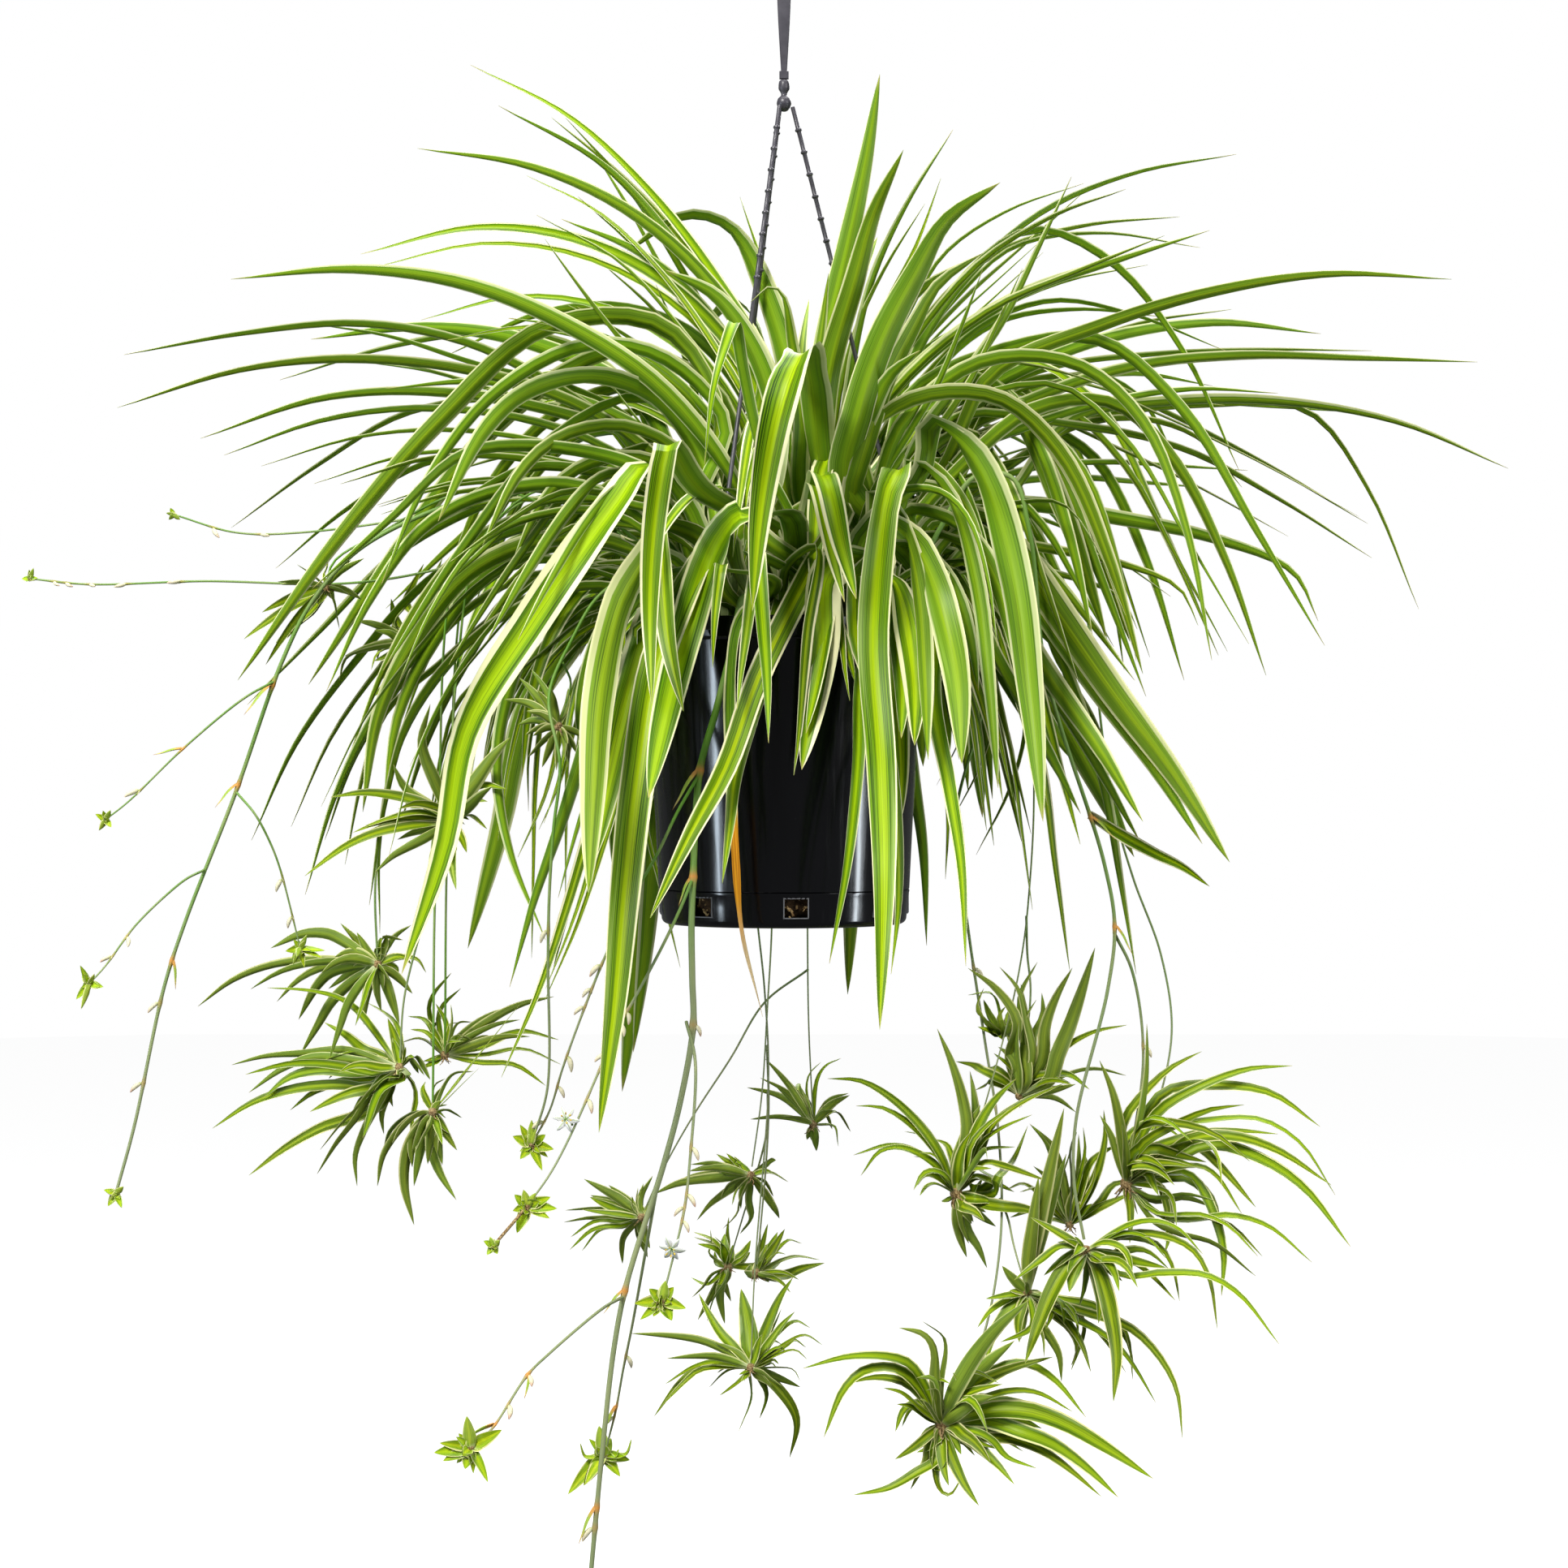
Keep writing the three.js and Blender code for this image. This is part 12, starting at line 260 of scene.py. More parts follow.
        (3, 0.27, 2.3, 0.8, [-230.3,-30,-782.4,-0.43,-0.77,0.48,-243.6,-24.8,-785.9,-0.55,-0.72,0.43,-255.1,-20.1,-797.2,-0.68,-0.66,0.31,-264.9,-15.3,-813,-0.78,-0.61,0.14,-269.1,-10.4,-833.4,-0.81,-0.59,0.03]),
        (3, 0.27, 2.3, 0.8, [-230.3,-30,-782.4,0.25,0.88,-0.4,-221.5,-23.3,-762.1,0.09,0.93,-0.35,-216.6,-22.1,-757.6,0,0.92,-0.38,-204.6,-21.1,-756.6,-0.04,0.9,-0.43]),
        (3, 0.27, 2.3, 0.8, [-230.3,-30,-782.4,0.32,0.86,-0.39,-228.7,-26.7,-773.9,0.31,0.86,-0.41,-227.3,-25.6,-770.7,0.28,0.83,-0.48,-223,-23.8,-765.5,0.26,0.82,-0.5]),
        (0.56, 0.27, 2.3, 0.8, [-230.3,-30,-782.4,-0.6,0.79,0.13,-216.6,-22.2,-766.2,-0.61,0.78,0.13,-203.2,-14.6,-748.4,-0.6,0.79,0.14,-189.6,-8,-731.3,-0.59,0.79,0.15,-176,-0.7,-714.3,-0.6,0.79,0.14])
    ],
    "plantlet_left_4": [
        (3, 0.27, 2.3, 0.8, [-233,64.5,-753.7,0.41,0.26,-0.87,-216.4,85.7,-739.7,0.4,0.27,-0.88,-200.5,95.5,-729.2,0.33,0.27,-0.91,-183,106.5,-721.4,0.16,0.21,-0.96,-162.6,120.2,-717.5,0.07,0.19,-0.98]),
        (3, 0.27, 2.3, 0.8, [-233,64.5,-753.7,-0.54,0.57,0.62,-207.9,82.8,-748.6,-0.58,0.56,0.6,-191.7,94.2,-741.6,-0.57,0.56,0.61,-180.9,101.2,-740.3,-0.28,0.64,0.72,-158.8,115.4,-747.4,-0.19,0.66,0.73]),
        (3, 0.27, 2.3, 0.8, [-233,64.5,-753.7,-0.65,-0.66,0.38,-244.4,87.2,-734,-0.53,-0.77,0.35,-246.6,88.2,-722.4,-0.43,-0.89,0.14,-243.9,90,-714,-0.32,-0.77,0.55,-232.3,98.6,-699.5,-0.25,-0.73,0.63]),
        (3, 0.27, 2.3, 0.8, [-233,64.5,-753.7,-0.73,0.59,-0.34,-232.7,74.2,-737.7,-0.72,0.57,-0.39,-234.5,78.6,-730.5,-0.61,0.51,-0.6,-241.5,84.6,-720,-0.56,0.5,-0.66]),
        (3, 0.27, 2.3, 0.8, [-233,64.5,-753.7,0.24,0.81,-0.53,-227.3,74.9,-735,-0.04,0.86,-0.5,-224.4,77.5,-732.1,-0.33,0.85,-0.41,-216.3,80.7,-732.1,-0.34,0.86,-0.37]),
        (3, 0.27, 2.3, 0.8, [-233,64.5,-753.7,-0.54,0.81,0.21,-224.3,67.3,-741.9,-0.36,0.93,0.03,-221.6,68.6,-741,-0.68,0.73,-0.05,-214.7,76.1,-744.6,-0.74,0.67,-0.02]),
        (3, 0.27, 2.3, 0.8, [-233,64.5,-753.7,-0.58,-0.81,-0.1,-243.5,69.6,-734,-0.6,-0.79,-0.06,-249.2,74.9,-729.3,-0.68,-0.71,-0.17,-260.6,84.7,-728.5,-0.64,-0.72,-0.28]),
        (2.93, 0.27, 2.3, 0.8, [-233,64.5,-753.7,0.09,-0.61,-0.78,-238.8,68.3,-757.4,0.1,-0.62,-0.78,-243.2,70.8,-759.9,0.1,-0.63,-0.77,-249.8,74,-763.5,0.11,-0.63,-0.77])
    ],
    "plantlet_upper_left": [
        (3.15, 0.27, 2.3, 0.8, [-217,-40,-591.8,-0.31,-0.48,-0.82,-231.3,-49.5,-580.8,-0.21,-0.42,-0.88,-248.1,-58.8,-575.4,-0.01,-0.34,-0.94,-268.4,-70.5,-572.8,0.17,-0.27,-0.95,-288.7,-83.5,-575.8,0.28,-0.23,-0.93]),
        (3.68, 0.27, 2.3, 0.8, [-217,-40,-591.8,-0.63,0.54,0.56,-206,-44.6,-575.1,-0.44,0.65,0.62,-199.9,-49.7,-569.8,0.05,0.58,0.81,-192.7,-55.6,-568.1,0.36,0.53,0.77,-179.4,-62.4,-570.6,0.41,0.53,0.74]),
        (3.67, 0.27, 2.3, 0.8, [-217,-40,-591.8,0.82,0.34,0.46,-225.4,-52.8,-567.5,0.82,0.34,0.47,-232,-63.2,-548.5,0.84,0.36,0.4,-232.6,-69.7,-536.8,0.89,0.45,0.09,-225.8,-81.6,-516.7,0.88,0.48,-0.01]),
        (3, 0.27, 2.3, 0.8, [-217,-40,-591.8,0.31,-0.4,-0.86,-240.5,-53.6,-594,0.36,-0.38,-0.85,-264.3,-68,-599.3,0.49,-0.32,-0.81,-281.7,-81.4,-608.2,0.68,-0.23,-0.7,-302.4,-101.6,-625.4,0.73,-0.2,-0.65]),
        (3.17, 0.27, 2.3, 0.8, [-217,-40,-591.8,0.45,0.87,-0.21,-207.2,-43.9,-587.2,0.38,0.92,-0.05,-203.2,-45.4,-587.8,0.42,0.9,0.12,-192.8,-49.4,-596.5,0.54,0.79,0.28]),
        (3.16, 0.27, 2.3, 0.8, [-217,-40,-591.8,0.99,-0.09,0.07,-216.6,-45.6,-604.5,0.99,-0.08,0.09,-215.9,-50.6,-615.2,0.99,-0.06,0.14,-214.4,-54.8,-624.1,0.98,-0.03,0.22,-211.6,-59.9,-635.6,0.97,-0.02,0.25]),
        (3, 0.27, 2.3, 0.8, [-217,-40,-591.8,-0.32,-0.42,0.85,-231.3,-48.8,-601.6,-0.3,-0.4,0.87,-243,-55.7,-608.1,-0.28,-0.39,0.88,-252.3,-61.2,-613.8,-0.38,-0.43,0.82,-262.7,-69.2,-624.3,-0.44,-0.45,0.78]),
        (4.73, 0.27, 2.3, 0.8, [-217,-40,-591.8,0.82,-0.1,-0.56,-208,-51.6,-576.6,0.8,-0.08,-0.59,-197.6,-58.7,-563.4,0.77,-0.07,-0.63,-187.8,-64.8,-550.3,0.75,-0.05,-0.66,-175.8,-73.1,-537.8,0.71,-0.03,-0.7]),
        (3, 0.27, 2.3, 0.8, [-217,-40,-591.8,0.23,-0.83,-0.51,-230.5,-47.2,-586.3,0.27,-0.8,-0.53,-239.2,-51.6,-585.6,0.43,-0.74,-0.52,-254.5,-59,-589.2,0.52,-0.7,-0.49,-271.2,-68.2,-595.7,0.56,-0.68,-0.47]),
        (3, 0.27, 2.3, 0.8, [-217,-40,-591.8,0.77,0.58,0.27,-211.6,-43.9,-599,0.78,0.57,0.25,-209.1,-45.8,-603.4,0.83,0.53,0.16,-206,-48.8,-611.8,0.84,0.52,0.12]),
        (3, 0.27, 2.3, 0.8, [-217,-40,-591.8,0.64,-0.77,-0.03,-224.5,-45.8,-603.8,0.66,-0.75,0,-227.8,-49.4,-611.5,0.7,-0.71,0.11,-228.8,-52.6,-619.5,0.71,-0.66,0.25,-228.1,-57.9,-633.6,0.7,-0.65,0.28])
    ],
    "plantlet_inner_1": [
        (3, 0.27, 2.3, 0.8, [-251.4,20,-471.5,-0.21,-0.45,0.87,-267.9,24.7,-473,-0.15,-0.45,0.88,-279.4,20.9,-475.9,-0.24,-0.43,0.87,-295.6,24,-481.2,-0.35,-0.43,0.83]),
        (3, 0.27, 2.3, 0.8, [-251.4,20,-471.5,-0.78,-0.43,0.45,-259.7,25.6,-480.5,-0.76,-0.45,0.47,-265.2,25.9,-487.9,-0.74,-0.45,0.49,-271.4,26.3,-497.5,-0.76,-0.45,0.47]),
        (3, 0.27, 2.3, 0.8, [-251.4,20,-471.5,0.73,-0.56,-0.39,-257.9,20.8,-484.7,0.68,-0.55,-0.49,-264.6,24,-494.3,0.59,-0.51,-0.63,-270.5,26.9,-501.6,0.55,-0.51,-0.66,-279.4,29.2,-510.5,0.54,-0.51,-0.67]),
        (3.28, 0.27, 2.3, 0.8, [-251.4,20,-471.5,-0.77,-0.41,0.48,-247.1,28.9,-457,-0.84,-0.5,0.19,-256.2,37.9,-445.9,-0.77,-0.63,-0.11,-251.7,30.7,-435.5,-0.83,-0.5,0.25,-243.4,30.2,-419,-0.77,-0.53,0.37]),
        (3, 0.27, 2.3, 0.8, [-251.4,20,-471.5,0.64,0.71,-0.28,-248.4,23.5,-455.8,0.6,0.66,-0.45,-242.5,32,-442.3,0.59,0.66,-0.47,-237.3,32.4,-429.3,0.67,0.69,-0.28,-231,31.9,-415,0.67,0.69,-0.27]),
        (3.28, 0.27, 2.3, 0.8, [-251.4,20,-471.5,-0.89,-0.42,-0.2,-260.7,34.5,-460.4,-0.84,-0.51,-0.18,-263.5,33.6,-454.1,-0.78,-0.48,-0.41,-264.8,26.1,-442.8,-0.83,-0.41,-0.37]),
        (3, 0.27, 2.3, 0.8, [-251.4,20,-471.5,0.38,-0.62,0.68,-264.8,19.8,-464.3,0.45,-0.59,0.67,-273.4,15.5,-460.8,0.06,-0.57,0.82,-287.9,27.2,-457.5,-0.14,-0.43,0.89]),
        (2.87, 0.27, 2.3, 0.8, [-251.4,20,-471.5,0.05,-0.91,0.42,-276.4,16.5,-476.1,-0.07,-0.94,0.33,-290.9,20,-480.3,-0.36,-0.93,0.11,-296,23,-484.5,-0.42,-0.91,-0.08,-299.7,25.6,-497.5,-0.39,-0.92,-0.07]),
        (3, 0.27, 2.3, 0.8, [-251.4,20,-471.5,-0.78,0.28,0.55,-244.8,19.8,-462,-0.84,0.28,0.46,-240.7,24.1,-454.2,-0.9,0.25,0.36,-235.8,26.1,-443.9,-0.89,0.26,0.37])
    ],
    "plantlet_inner_2": [
        (3.15, 0.27, 2.3, 0.8, [-145.4,-63.2,-530.4,0.48,-0.55,0.69,-158.7,-60.4,-518.9,0.39,-0.52,0.76,-166.6,-56.5,-514.9,0.09,-0.46,0.88,-180.8,-53.2,-512.8,0.02,-0.45,0.89]),
        (3, 0.27, 2.3, 0.8, [-145.4,-63.2,-530.4,0.67,-0.34,0.66,-154.2,-56.4,-518.1,0.68,-0.36,0.64,-161.3,-55.4,-509.1,0.66,-0.36,0.66,-171.4,-52.7,-498.6,0.63,-0.35,0.7]),
        (3, 0.27, 2.3, 0.8, [-145.4,-63.2,-530.4,0.61,-0.67,0.42,-150.4,-58.2,-514.9,0.6,-0.67,0.44,-154.9,-55.5,-505.5,0.56,-0.66,0.51,-163.5,-52.6,-493.4,0.54,-0.65,0.54]),
        (3, 0.27, 2.3, 0.8, [-145.4,-63.2,-530.4,-0.83,-0.53,0.18,-149.2,-60.1,-539.4,-0.83,-0.53,0.18,-152.6,-57.9,-547.2,-0.82,-0.54,0.21,-156.4,-55.8,-556.5,-0.81,-0.54,0.22]),
        (3, 0.27, 2.3, 0.8, [-145.4,-63.2,-530.4,-0.68,0.73,-0.08,-141.3,-60.2,-538.2,-0.69,0.72,-0.03,-140,-58.7,-543.8,-0.71,0.7,0.1,-139.6,-56,-556.5,-0.71,0.69,0.12]),
        (3, 0.27, 2.3, 0.8, [-145.4,-63.2,-530.4,-0.21,-0.8,0.57,-153.8,-60.8,-530,-0.25,-0.79,0.56,-158,-59.7,-531,-0.4,-0.76,0.51,-166.8,-57.6,-535.5,-0.43,-0.75,0.5]),
        (3, 0.27, 2.3, 0.8, [-145.4,-63.2,-530.4,-0.64,0.73,-0.24,-139.4,-60.2,-537.1,-0.65,0.73,-0.23,-136.7,-58.8,-541.1,-0.67,0.72,-0.16,-133.2,-57,-548.6,-0.68,0.72,-0.14])
    ],
    "plantlet_left_5": [
        (3, 0.27, 2.3, 0.8, [-301.5,-20,-437.1,0.39,-0.18,-0.9,-316.1,-13.3,-444.7,0.39,-0.18,-0.9,-330.5,-8.4,-451.9,0.43,-0.19,-0.88,-343.7,-4.2,-459.9,0.49,-0.21,-0.85,-359.2,0.7,-470.8,0.51,-0.22,-0.83]),
        (3, 0.27, 2.3, 0.8, [-301.5,-20,-437.1,0.52,-0.59,-0.62,-309.3,-14.4,-448.8,0.49,-0.57,-0.66,-315.9,-11.4,-455.2,0.4,-0.53,-0.75,-326.9,-7.7,-463.1,0.44,-0.54,-0.72,-337.4,-3.9,-473.7,0.48,-0.55,-0.68]),
        (3, 0.27, 2.3, 0.8, [-301.5,-20,-437.1,0.11,0.78,-0.62,-297.2,-13.9,-428.6,0.15,0.85,-0.51,-293.7,-14,-424.9,0.12,0.84,-0.53,-287,-9.3,-419.2,0.01,0.77,-0.64]),
        (3, 0.27, 2.3, 0.8, [-301.5,-20,-437.1,-0.38,0.66,-0.65,-292.5,-16.4,-438.7,-0.41,0.65,-0.65,-287.7,-14.6,-440.4,-0.51,0.61,-0.61,-279.6,-12.1,-445.1,-0.54,0.6,-0.59]),
        (3, 0.27, 2.3, 0.8, [-301.5,-20,-437.1,0.58,-0.66,-0.48,-303.4,-17.9,-442.2,0.58,-0.66,-0.48,-304.8,-16.8,-445.4,0.57,-0.65,-0.49,-307.6,-15.2,-450.7,0.57,-0.65,-0.5]),
        (2.82, 0.27, 2.3, 0.8, [-301.5,-20,-437.1,-0.21,-0.83,0.52,-312.9,-15.9,-435,-0.21,-0.83,0.52,-321,-13.4,-434.6,-0.23,-0.82,0.52,-333.6,-10.2,-435.3,-0.24,-0.82,0.52]),
        (3, 0.27, 2.3, 0.8, [-301.5,-20,-437.1,0.3,0.91,-0.29,-293,-18.8,-424.3,0.19,0.88,-0.43,-287.2,-13.1,-416.5,0.06,0.8,-0.59,-276.5,-7.3,-407.2,0.06,0.82,-0.57])
    ],
    "plantlet_young_1": [
        (2.59, 0.36, 2, 0.8, [-159.2,-104.5,-794.7,-0.4,-0.1,-0.91,-163,-105,-793,-0.4,-0.1,-0.91,-166.9,-105.4,-791.2,-0.4,-0.1,-0.91,-170.8,-105.9,-789.5,-0.4,-0.1,-0.91]),
        (2.07, 0.36, 2, 0.8, [-159.2,-104.5,-794.7,-0.86,-0.1,-0.5,-161.5,-105,-790.6,-0.86,-0.1,-0.5,-163.9,-105.5,-786.4,-0.86,-0.1,-0.5,-166.2,-106,-782.3,-0.86,-0.1,-0.5]),
        (2.07, 0.36, 2, 0.8, [-159.2,-104.5,-794.7,1,0.1,0,-159.1,-105,-789.6,1,0.1,0,-159.1,-105.6,-784.4,1,0.1,0,-159,-106.1,-779.2,1,0.1,0]),
        (2.33, 0.36, 2, 0.8, [-159.2,-104.5,-794.7,-0.57,0.1,0.82,-156.2,-104.9,-792.6,-0.57,0.1,0.82,-153.3,-105.2,-790.6,-0.57,0.1,0.82,-150.4,-105.6,-788.5,-0.57,0.1,0.82]),
        (2.59, 0.36, 2, 0.8, [-159.2,-104.5,-794.7,0.21,0.1,0.97,-154.5,-105,-795.7,0.21,0.1,0.97,-149.9,-105.5,-796.7,0.21,0.1,0.97,-145.2,-106,-797.6,0.21,0.1,0.97]),
        (2.07, 0.36, 2, 0.8, [-159.2,-104.5,-794.7,0.92,0.1,0.38,-156.9,-105.1,-800.1,0.92,0.1,0.38,-154.6,-105.7,-805.5,0.92,0.1,0.38,-152.4,-106.4,-810.9,0.92,0.1,0.38]),
        (2.33, 0.36, 2, 0.8, [-159.2,-104.5,-794.7,0.79,0,-0.61,-161.5,-104.9,-797.8,0.79,0,-0.61,-163.9,-105.3,-800.8,0.79,0,-0.61,-166.2,-105.7,-803.8,0.79,0,-0.61])
    ],
    "plantlet_young_2": [
        (2.28, 0.36, 2, 0.8, [-152.9,-208,-819.1,-0.64,-0.19,-0.74,-155.4,-208.4,-816.8,-0.64,-0.19,-0.74,-158,-208.8,-814.5,-0.64,-0.19,-0.74,-160.5,-209.2,-812.2,-0.64,-0.19,-0.74]),
        (2.03, 0.36, 2, 0.8, [-152.9,-208,-819.1,0.97,0.1,0.24,-153.7,-208.4,-815.8,0.97,0.1,0.24,-154.4,-208.8,-812.5,0.97,0.1,0.24,-155.2,-209.2,-809.3,0.97,0.1,0.24]),
        (2.54, 0.36, 2, 0.8, [-152.9,-208,-819.1,-0.36,0.1,0.93,-148.3,-208.6,-817.2,-0.36,0.1,0.93,-143.8,-209.2,-815.4,-0.36,0.1,0.93,-139.2,-209.7,-813.5,-0.36,0.1,0.93]),
        (2.54, 0.36, 2, 0.8, [-152.9,-208,-819.1,0.08,0.1,0.99,-147,-208.7,-819.5,0.08,0.1,0.99,-141.2,-209.4,-819.9,0.08,0.1,0.99,-135.3,-210.1,-820.3,0.08,0.1,0.99]),
        (2.03, 0.36, 2, 0.8, [-152.9,-208,-819.1,0.48,0.19,0.86,-148.5,-208.6,-821.4,0.48,0.19,0.86,-144.1,-209.2,-823.8,0.48,0.19,0.86,-139.7,-209.8,-826.1,0.48,0.19,0.86]),
        (2.79, 0.36, 2, 0.8, [-152.9,-208,-819.1,0.93,0,-0.36,-154.9,-208.7,-824.3,0.93,0,-0.36,-157,-209.4,-829.5,0.93,0,-0.36,-159,-210.1,-834.8,0.93,0,-0.36]),
        (2.03, 0.36, 2, 0.8, [-152.9,-208,-819.1,0.31,-0.1,-0.94,-155.8,-208.4,-820,0.31,-0.1,-0.94,-158.6,-208.7,-820.9,0.31,-0.1,-0.94,-161.5,-209.1,-821.8,0.31,-0.1,-0.94]),
        (1.78, 0.36, 2, 0.8, [-152.9,-208,-819.1,0.85,0,-0.53,-151.3,-208.4,-816.5,0.85,0,-0.53,-149.6,-208.7,-813.8,0.85,0,-0.53,-148,-209.1,-811.2,0.85,0,-0.53]),
        (1.75, 0.36, 2, 0.8, [-172,-221,-840.8,-0.29,-0.63,-0.72,-173.9,-221.3,-839.8,-0.29,-0.63,-0.72,-175.7,-221.5,-838.8,-0.29,-0.63,-0.72,-177.6,-221.8,-837.8,-0.29,-0.63,-0.72]),
        (1.75, 0.36, 2, 0.8, [-172,-221,-840.8,0.75,-0.47,-0.47,-173.2,-221.3,-842.5,0.75,-0.47,-0.47,-174.5,-221.5,-844.2,0.75,-0.47,-0.47,-175.7,-221.8,-846,0.75,-0.47,-0.47]),
        (1.75, 0.36, 2, 0.8, [-172,-221,-840.8,0.77,0.55,0.33,-171.1,-221.2,-842.4,0.77,0.55,0.33,-170.3,-221.4,-843.9,0.77,0.55,0.33,-169.5,-221.6,-845.5,0.77,0.55,0.33]),
        (1.75, 0.36, 2, 0.8, [-172,-221,-840.8,0.65,0.38,-0.66,-170.7,-221.2,-839.7,0.65,0.38,-0.66,-169.4,-221.4,-838.5,0.65,0.38,-0.66,-168.1,-221.6,-837.4,0.65,0.38,-0.66]),
        (1.75, 0.36, 2, 0.8, [-172,-221,-840.8,0.81,-0.55,0.21,-172.6,-221.2,-839,0.81,-0.55,0.21,-173.2,-221.5,-837.2,0.81,-0.55,0.21,-173.8,-221.7,-835.4,0.81,-0.55,0.21])
    ],
    "plantlet_young_3": [
        (3, 0.36, 2, 0.8, [-178.6,-286,-945.6,0.15,-0.19,-0.97,-185.5,-286.9,-946.5,0.15,-0.19,-0.97,-192.3,-287.7,-947.4,0.15,-0.19,-0.97,-199.2,-288.6,-948.2,0.15,-0.19,-0.97]),
        (2.5, 0.36, 2, 0.8, [-178.6,-286,-945.6,0.44,-0.19,-0.87,-183.8,-286.7,-948.1,0.44,-0.19,-0.87,-189,-287.5,-950.5,0.44,-0.19,-0.87,-194.1,-288.2,-953,0.44,-0.19,-0.87]),
        (2.25, 0.36, 2, 0.8, [-178.6,-286,-945.6,-0.13,-0.2,-0.97,-184.4,-286.7,-944.7,-0.13,-0.2,-0.97,-190.2,-287.5,-943.7,-0.13,-0.2,-0.97,-196,-288.2,-942.8,-0.13,-0.2,-0.97]),
        (2.75, 0.36, 2, 0.8, [-178.6,-286,-945.6,0.99,0.1,0.13,-179.3,-286.7,-939.6,0.99,0.1,0.13,-180,-287.5,-933.6,0.99,0.1,0.13,-180.7,-288.2,-927.5,0.99,0.1,0.13]),
        (3, 0.36, 2, 0.8, [-178.6,-286,-945.6,-0.49,0.1,0.87,-172.7,-286.8,-942.2,-0.49,0.1,0.87,-166.7,-287.7,-938.8,-0.49,0.1,0.87,-160.8,-288.5,-935.3,-0.49,0.1,0.87]),
        (2, 0.36, 2, 0.8, [-178.6,-286,-945.6,0.84,0.29,0.45,-174.5,-287.2,-952.5,0.85,0.29,0.44,-171.8,-287.9,-957.7,0.88,0.29,0.38,-168.6,-288.7,-964.9,0.89,0.28,0.36]),
        (3, 0.36, 2, 0.8, [-178.6,-286,-945.6,0.97,0,-0.25,-179.7,-286.5,-949.6,0.97,0,-0.25,-180.7,-287.1,-953.7,0.97,0,-0.25,-181.7,-287.6,-957.7,0.97,0,-0.25])
    ],
    "plantlet_young_4": [
        (2.81, 0.36, 2, 0.8, [-73.6,-182,-879.7,0.12,-0.19,-0.97,-79.2,-182.7,-880.2,0.12,-0.19,-0.97,-84.7,-183.3,-880.8,0.12,-0.19,-0.97,-90.2,-184,-881.3,0.12,-0.19,-0.97]),
        (2.04, 0.36, 2, 0.8, [-73.6,-182,-879.7,0.66,-0.1,-0.74,-78,-182.7,-883.5,0.66,-0.1,-0.74,-82.4,-183.4,-887.3,0.66,-0.1,-0.74,-86.8,-184.1,-891.1,0.66,-0.1,-0.74]),
        (2.55, 0.36, 2, 0.8, [-73.6,-182,-879.7,-0.64,-0.19,-0.74,-76.2,-182.4,-877.3,-0.64,-0.19,-0.74,-78.8,-182.8,-875,-0.64,-0.19,-0.74,-81.4,-183.2,-872.6,-0.64,-0.19,-0.74]),
        (2.55, 0.36, 2, 0.8, [-73.6,-182,-879.7,0.99,0,-0.17,-73,-182.5,-875.7,0.99,0,-0.17,-72.3,-182.9,-871.7,0.99,0,-0.17,-71.6,-183.4,-867.7,0.99,0,-0.17]),
        (2.55, 0.36, 2, 0.8, [-73.6,-182,-879.7,-0.75,0.1,0.66,-71.3,-182.4,-877,-0.75,0.1,0.66,-69,-182.8,-874.3,-0.75,0.1,0.66,-66.7,-183.2,-871.6,-0.75,0.1,0.66]),
        (2.55, 0.36, 2, 0.8, [-73.6,-182,-879.7,0.32,0.19,0.93,-68.9,-182.6,-881.2,0.32,0.19,0.93,-64.1,-183.2,-882.8,0.32,0.19,0.93,-59.3,-183.8,-884.3,0.32,0.19,0.93]),
        (3.06, 0.36, 2, 0.8, [-73.6,-182,-879.7,0.9,0.1,0.43,-71.6,-182.5,-883.7,0.9,0.1,0.43,-69.7,-183.1,-887.7,0.9,0.1,0.43,-67.7,-183.6,-891.7,0.9,0.1,0.43]),
        (2.3, 0.36, 2, 0.8, [-73.6,-182,-879.7,0.87,0,-0.49,-75.4,-182.4,-882.9,0.87,0,-0.49,-77.2,-182.9,-886.1,0.87,0,-0.49,-79,-183.3,-889.3,0.87,0,-0.49])
    ],
    "plantlet_young_5": [
        (3.42, 0.36, 2, 0.8, [-116.3,-50.5,-1002.3,0.62,-0.38,-0.69,-123.9,-51.1,-1008.7,0.66,-0.38,-0.65,-130.9,-51.7,-1016.5,0.72,-0.37,-0.58,-139.9,-52.3,-1027.6,0.73,-0.37,-0.57]),
        (2.37, 0.36, 2, 0.8, [-116.3,-50.5,-1002.3,0.1,-0.92,-0.37,-127.2,-51,-1003.9,0.06,-0.97,-0.24,-129.3,-51.1,-1002.8,-0.12,-0.99,-0.11,-132.1,-51.4,-994.7,-0.21,-0.97,-0.1]),
        (1.84, 0.36, 2, 0.8, [-116.3,-50.5,-1002.3,-0.69,-0.19,-0.69,-119.6,-50.7,-998.9,-0.69,-0.19,-0.69,-123,-51,-995.5,-0.69,-0.19,-0.69,-126.3,-51.2,-992.1,-0.69,-0.19,-0.69]),
        (3.42, 0.36, 2, 0.8, [-116.3,-50.5,-1002.3,0.98,0.1,0.19,-117.5,-50.8,-996.1,0.98,0.1,0.19,-118.7,-51.1,-989.9,0.98,0.1,0.19,-120,-51.4,-983.7,0.98,0.1,0.19]),
        (3.16, 0.36, 2, 0.8, [-116.3,-50.5,-1002.3,0.05,0.92,0.38,-104.6,-51,-1002.5,0.03,0.99,0.16,-102.1,-51.2,-1001,-0.08,0.99,0.09,-98.9,-51.5,-992.1,-0.3,0.94,0.14]),
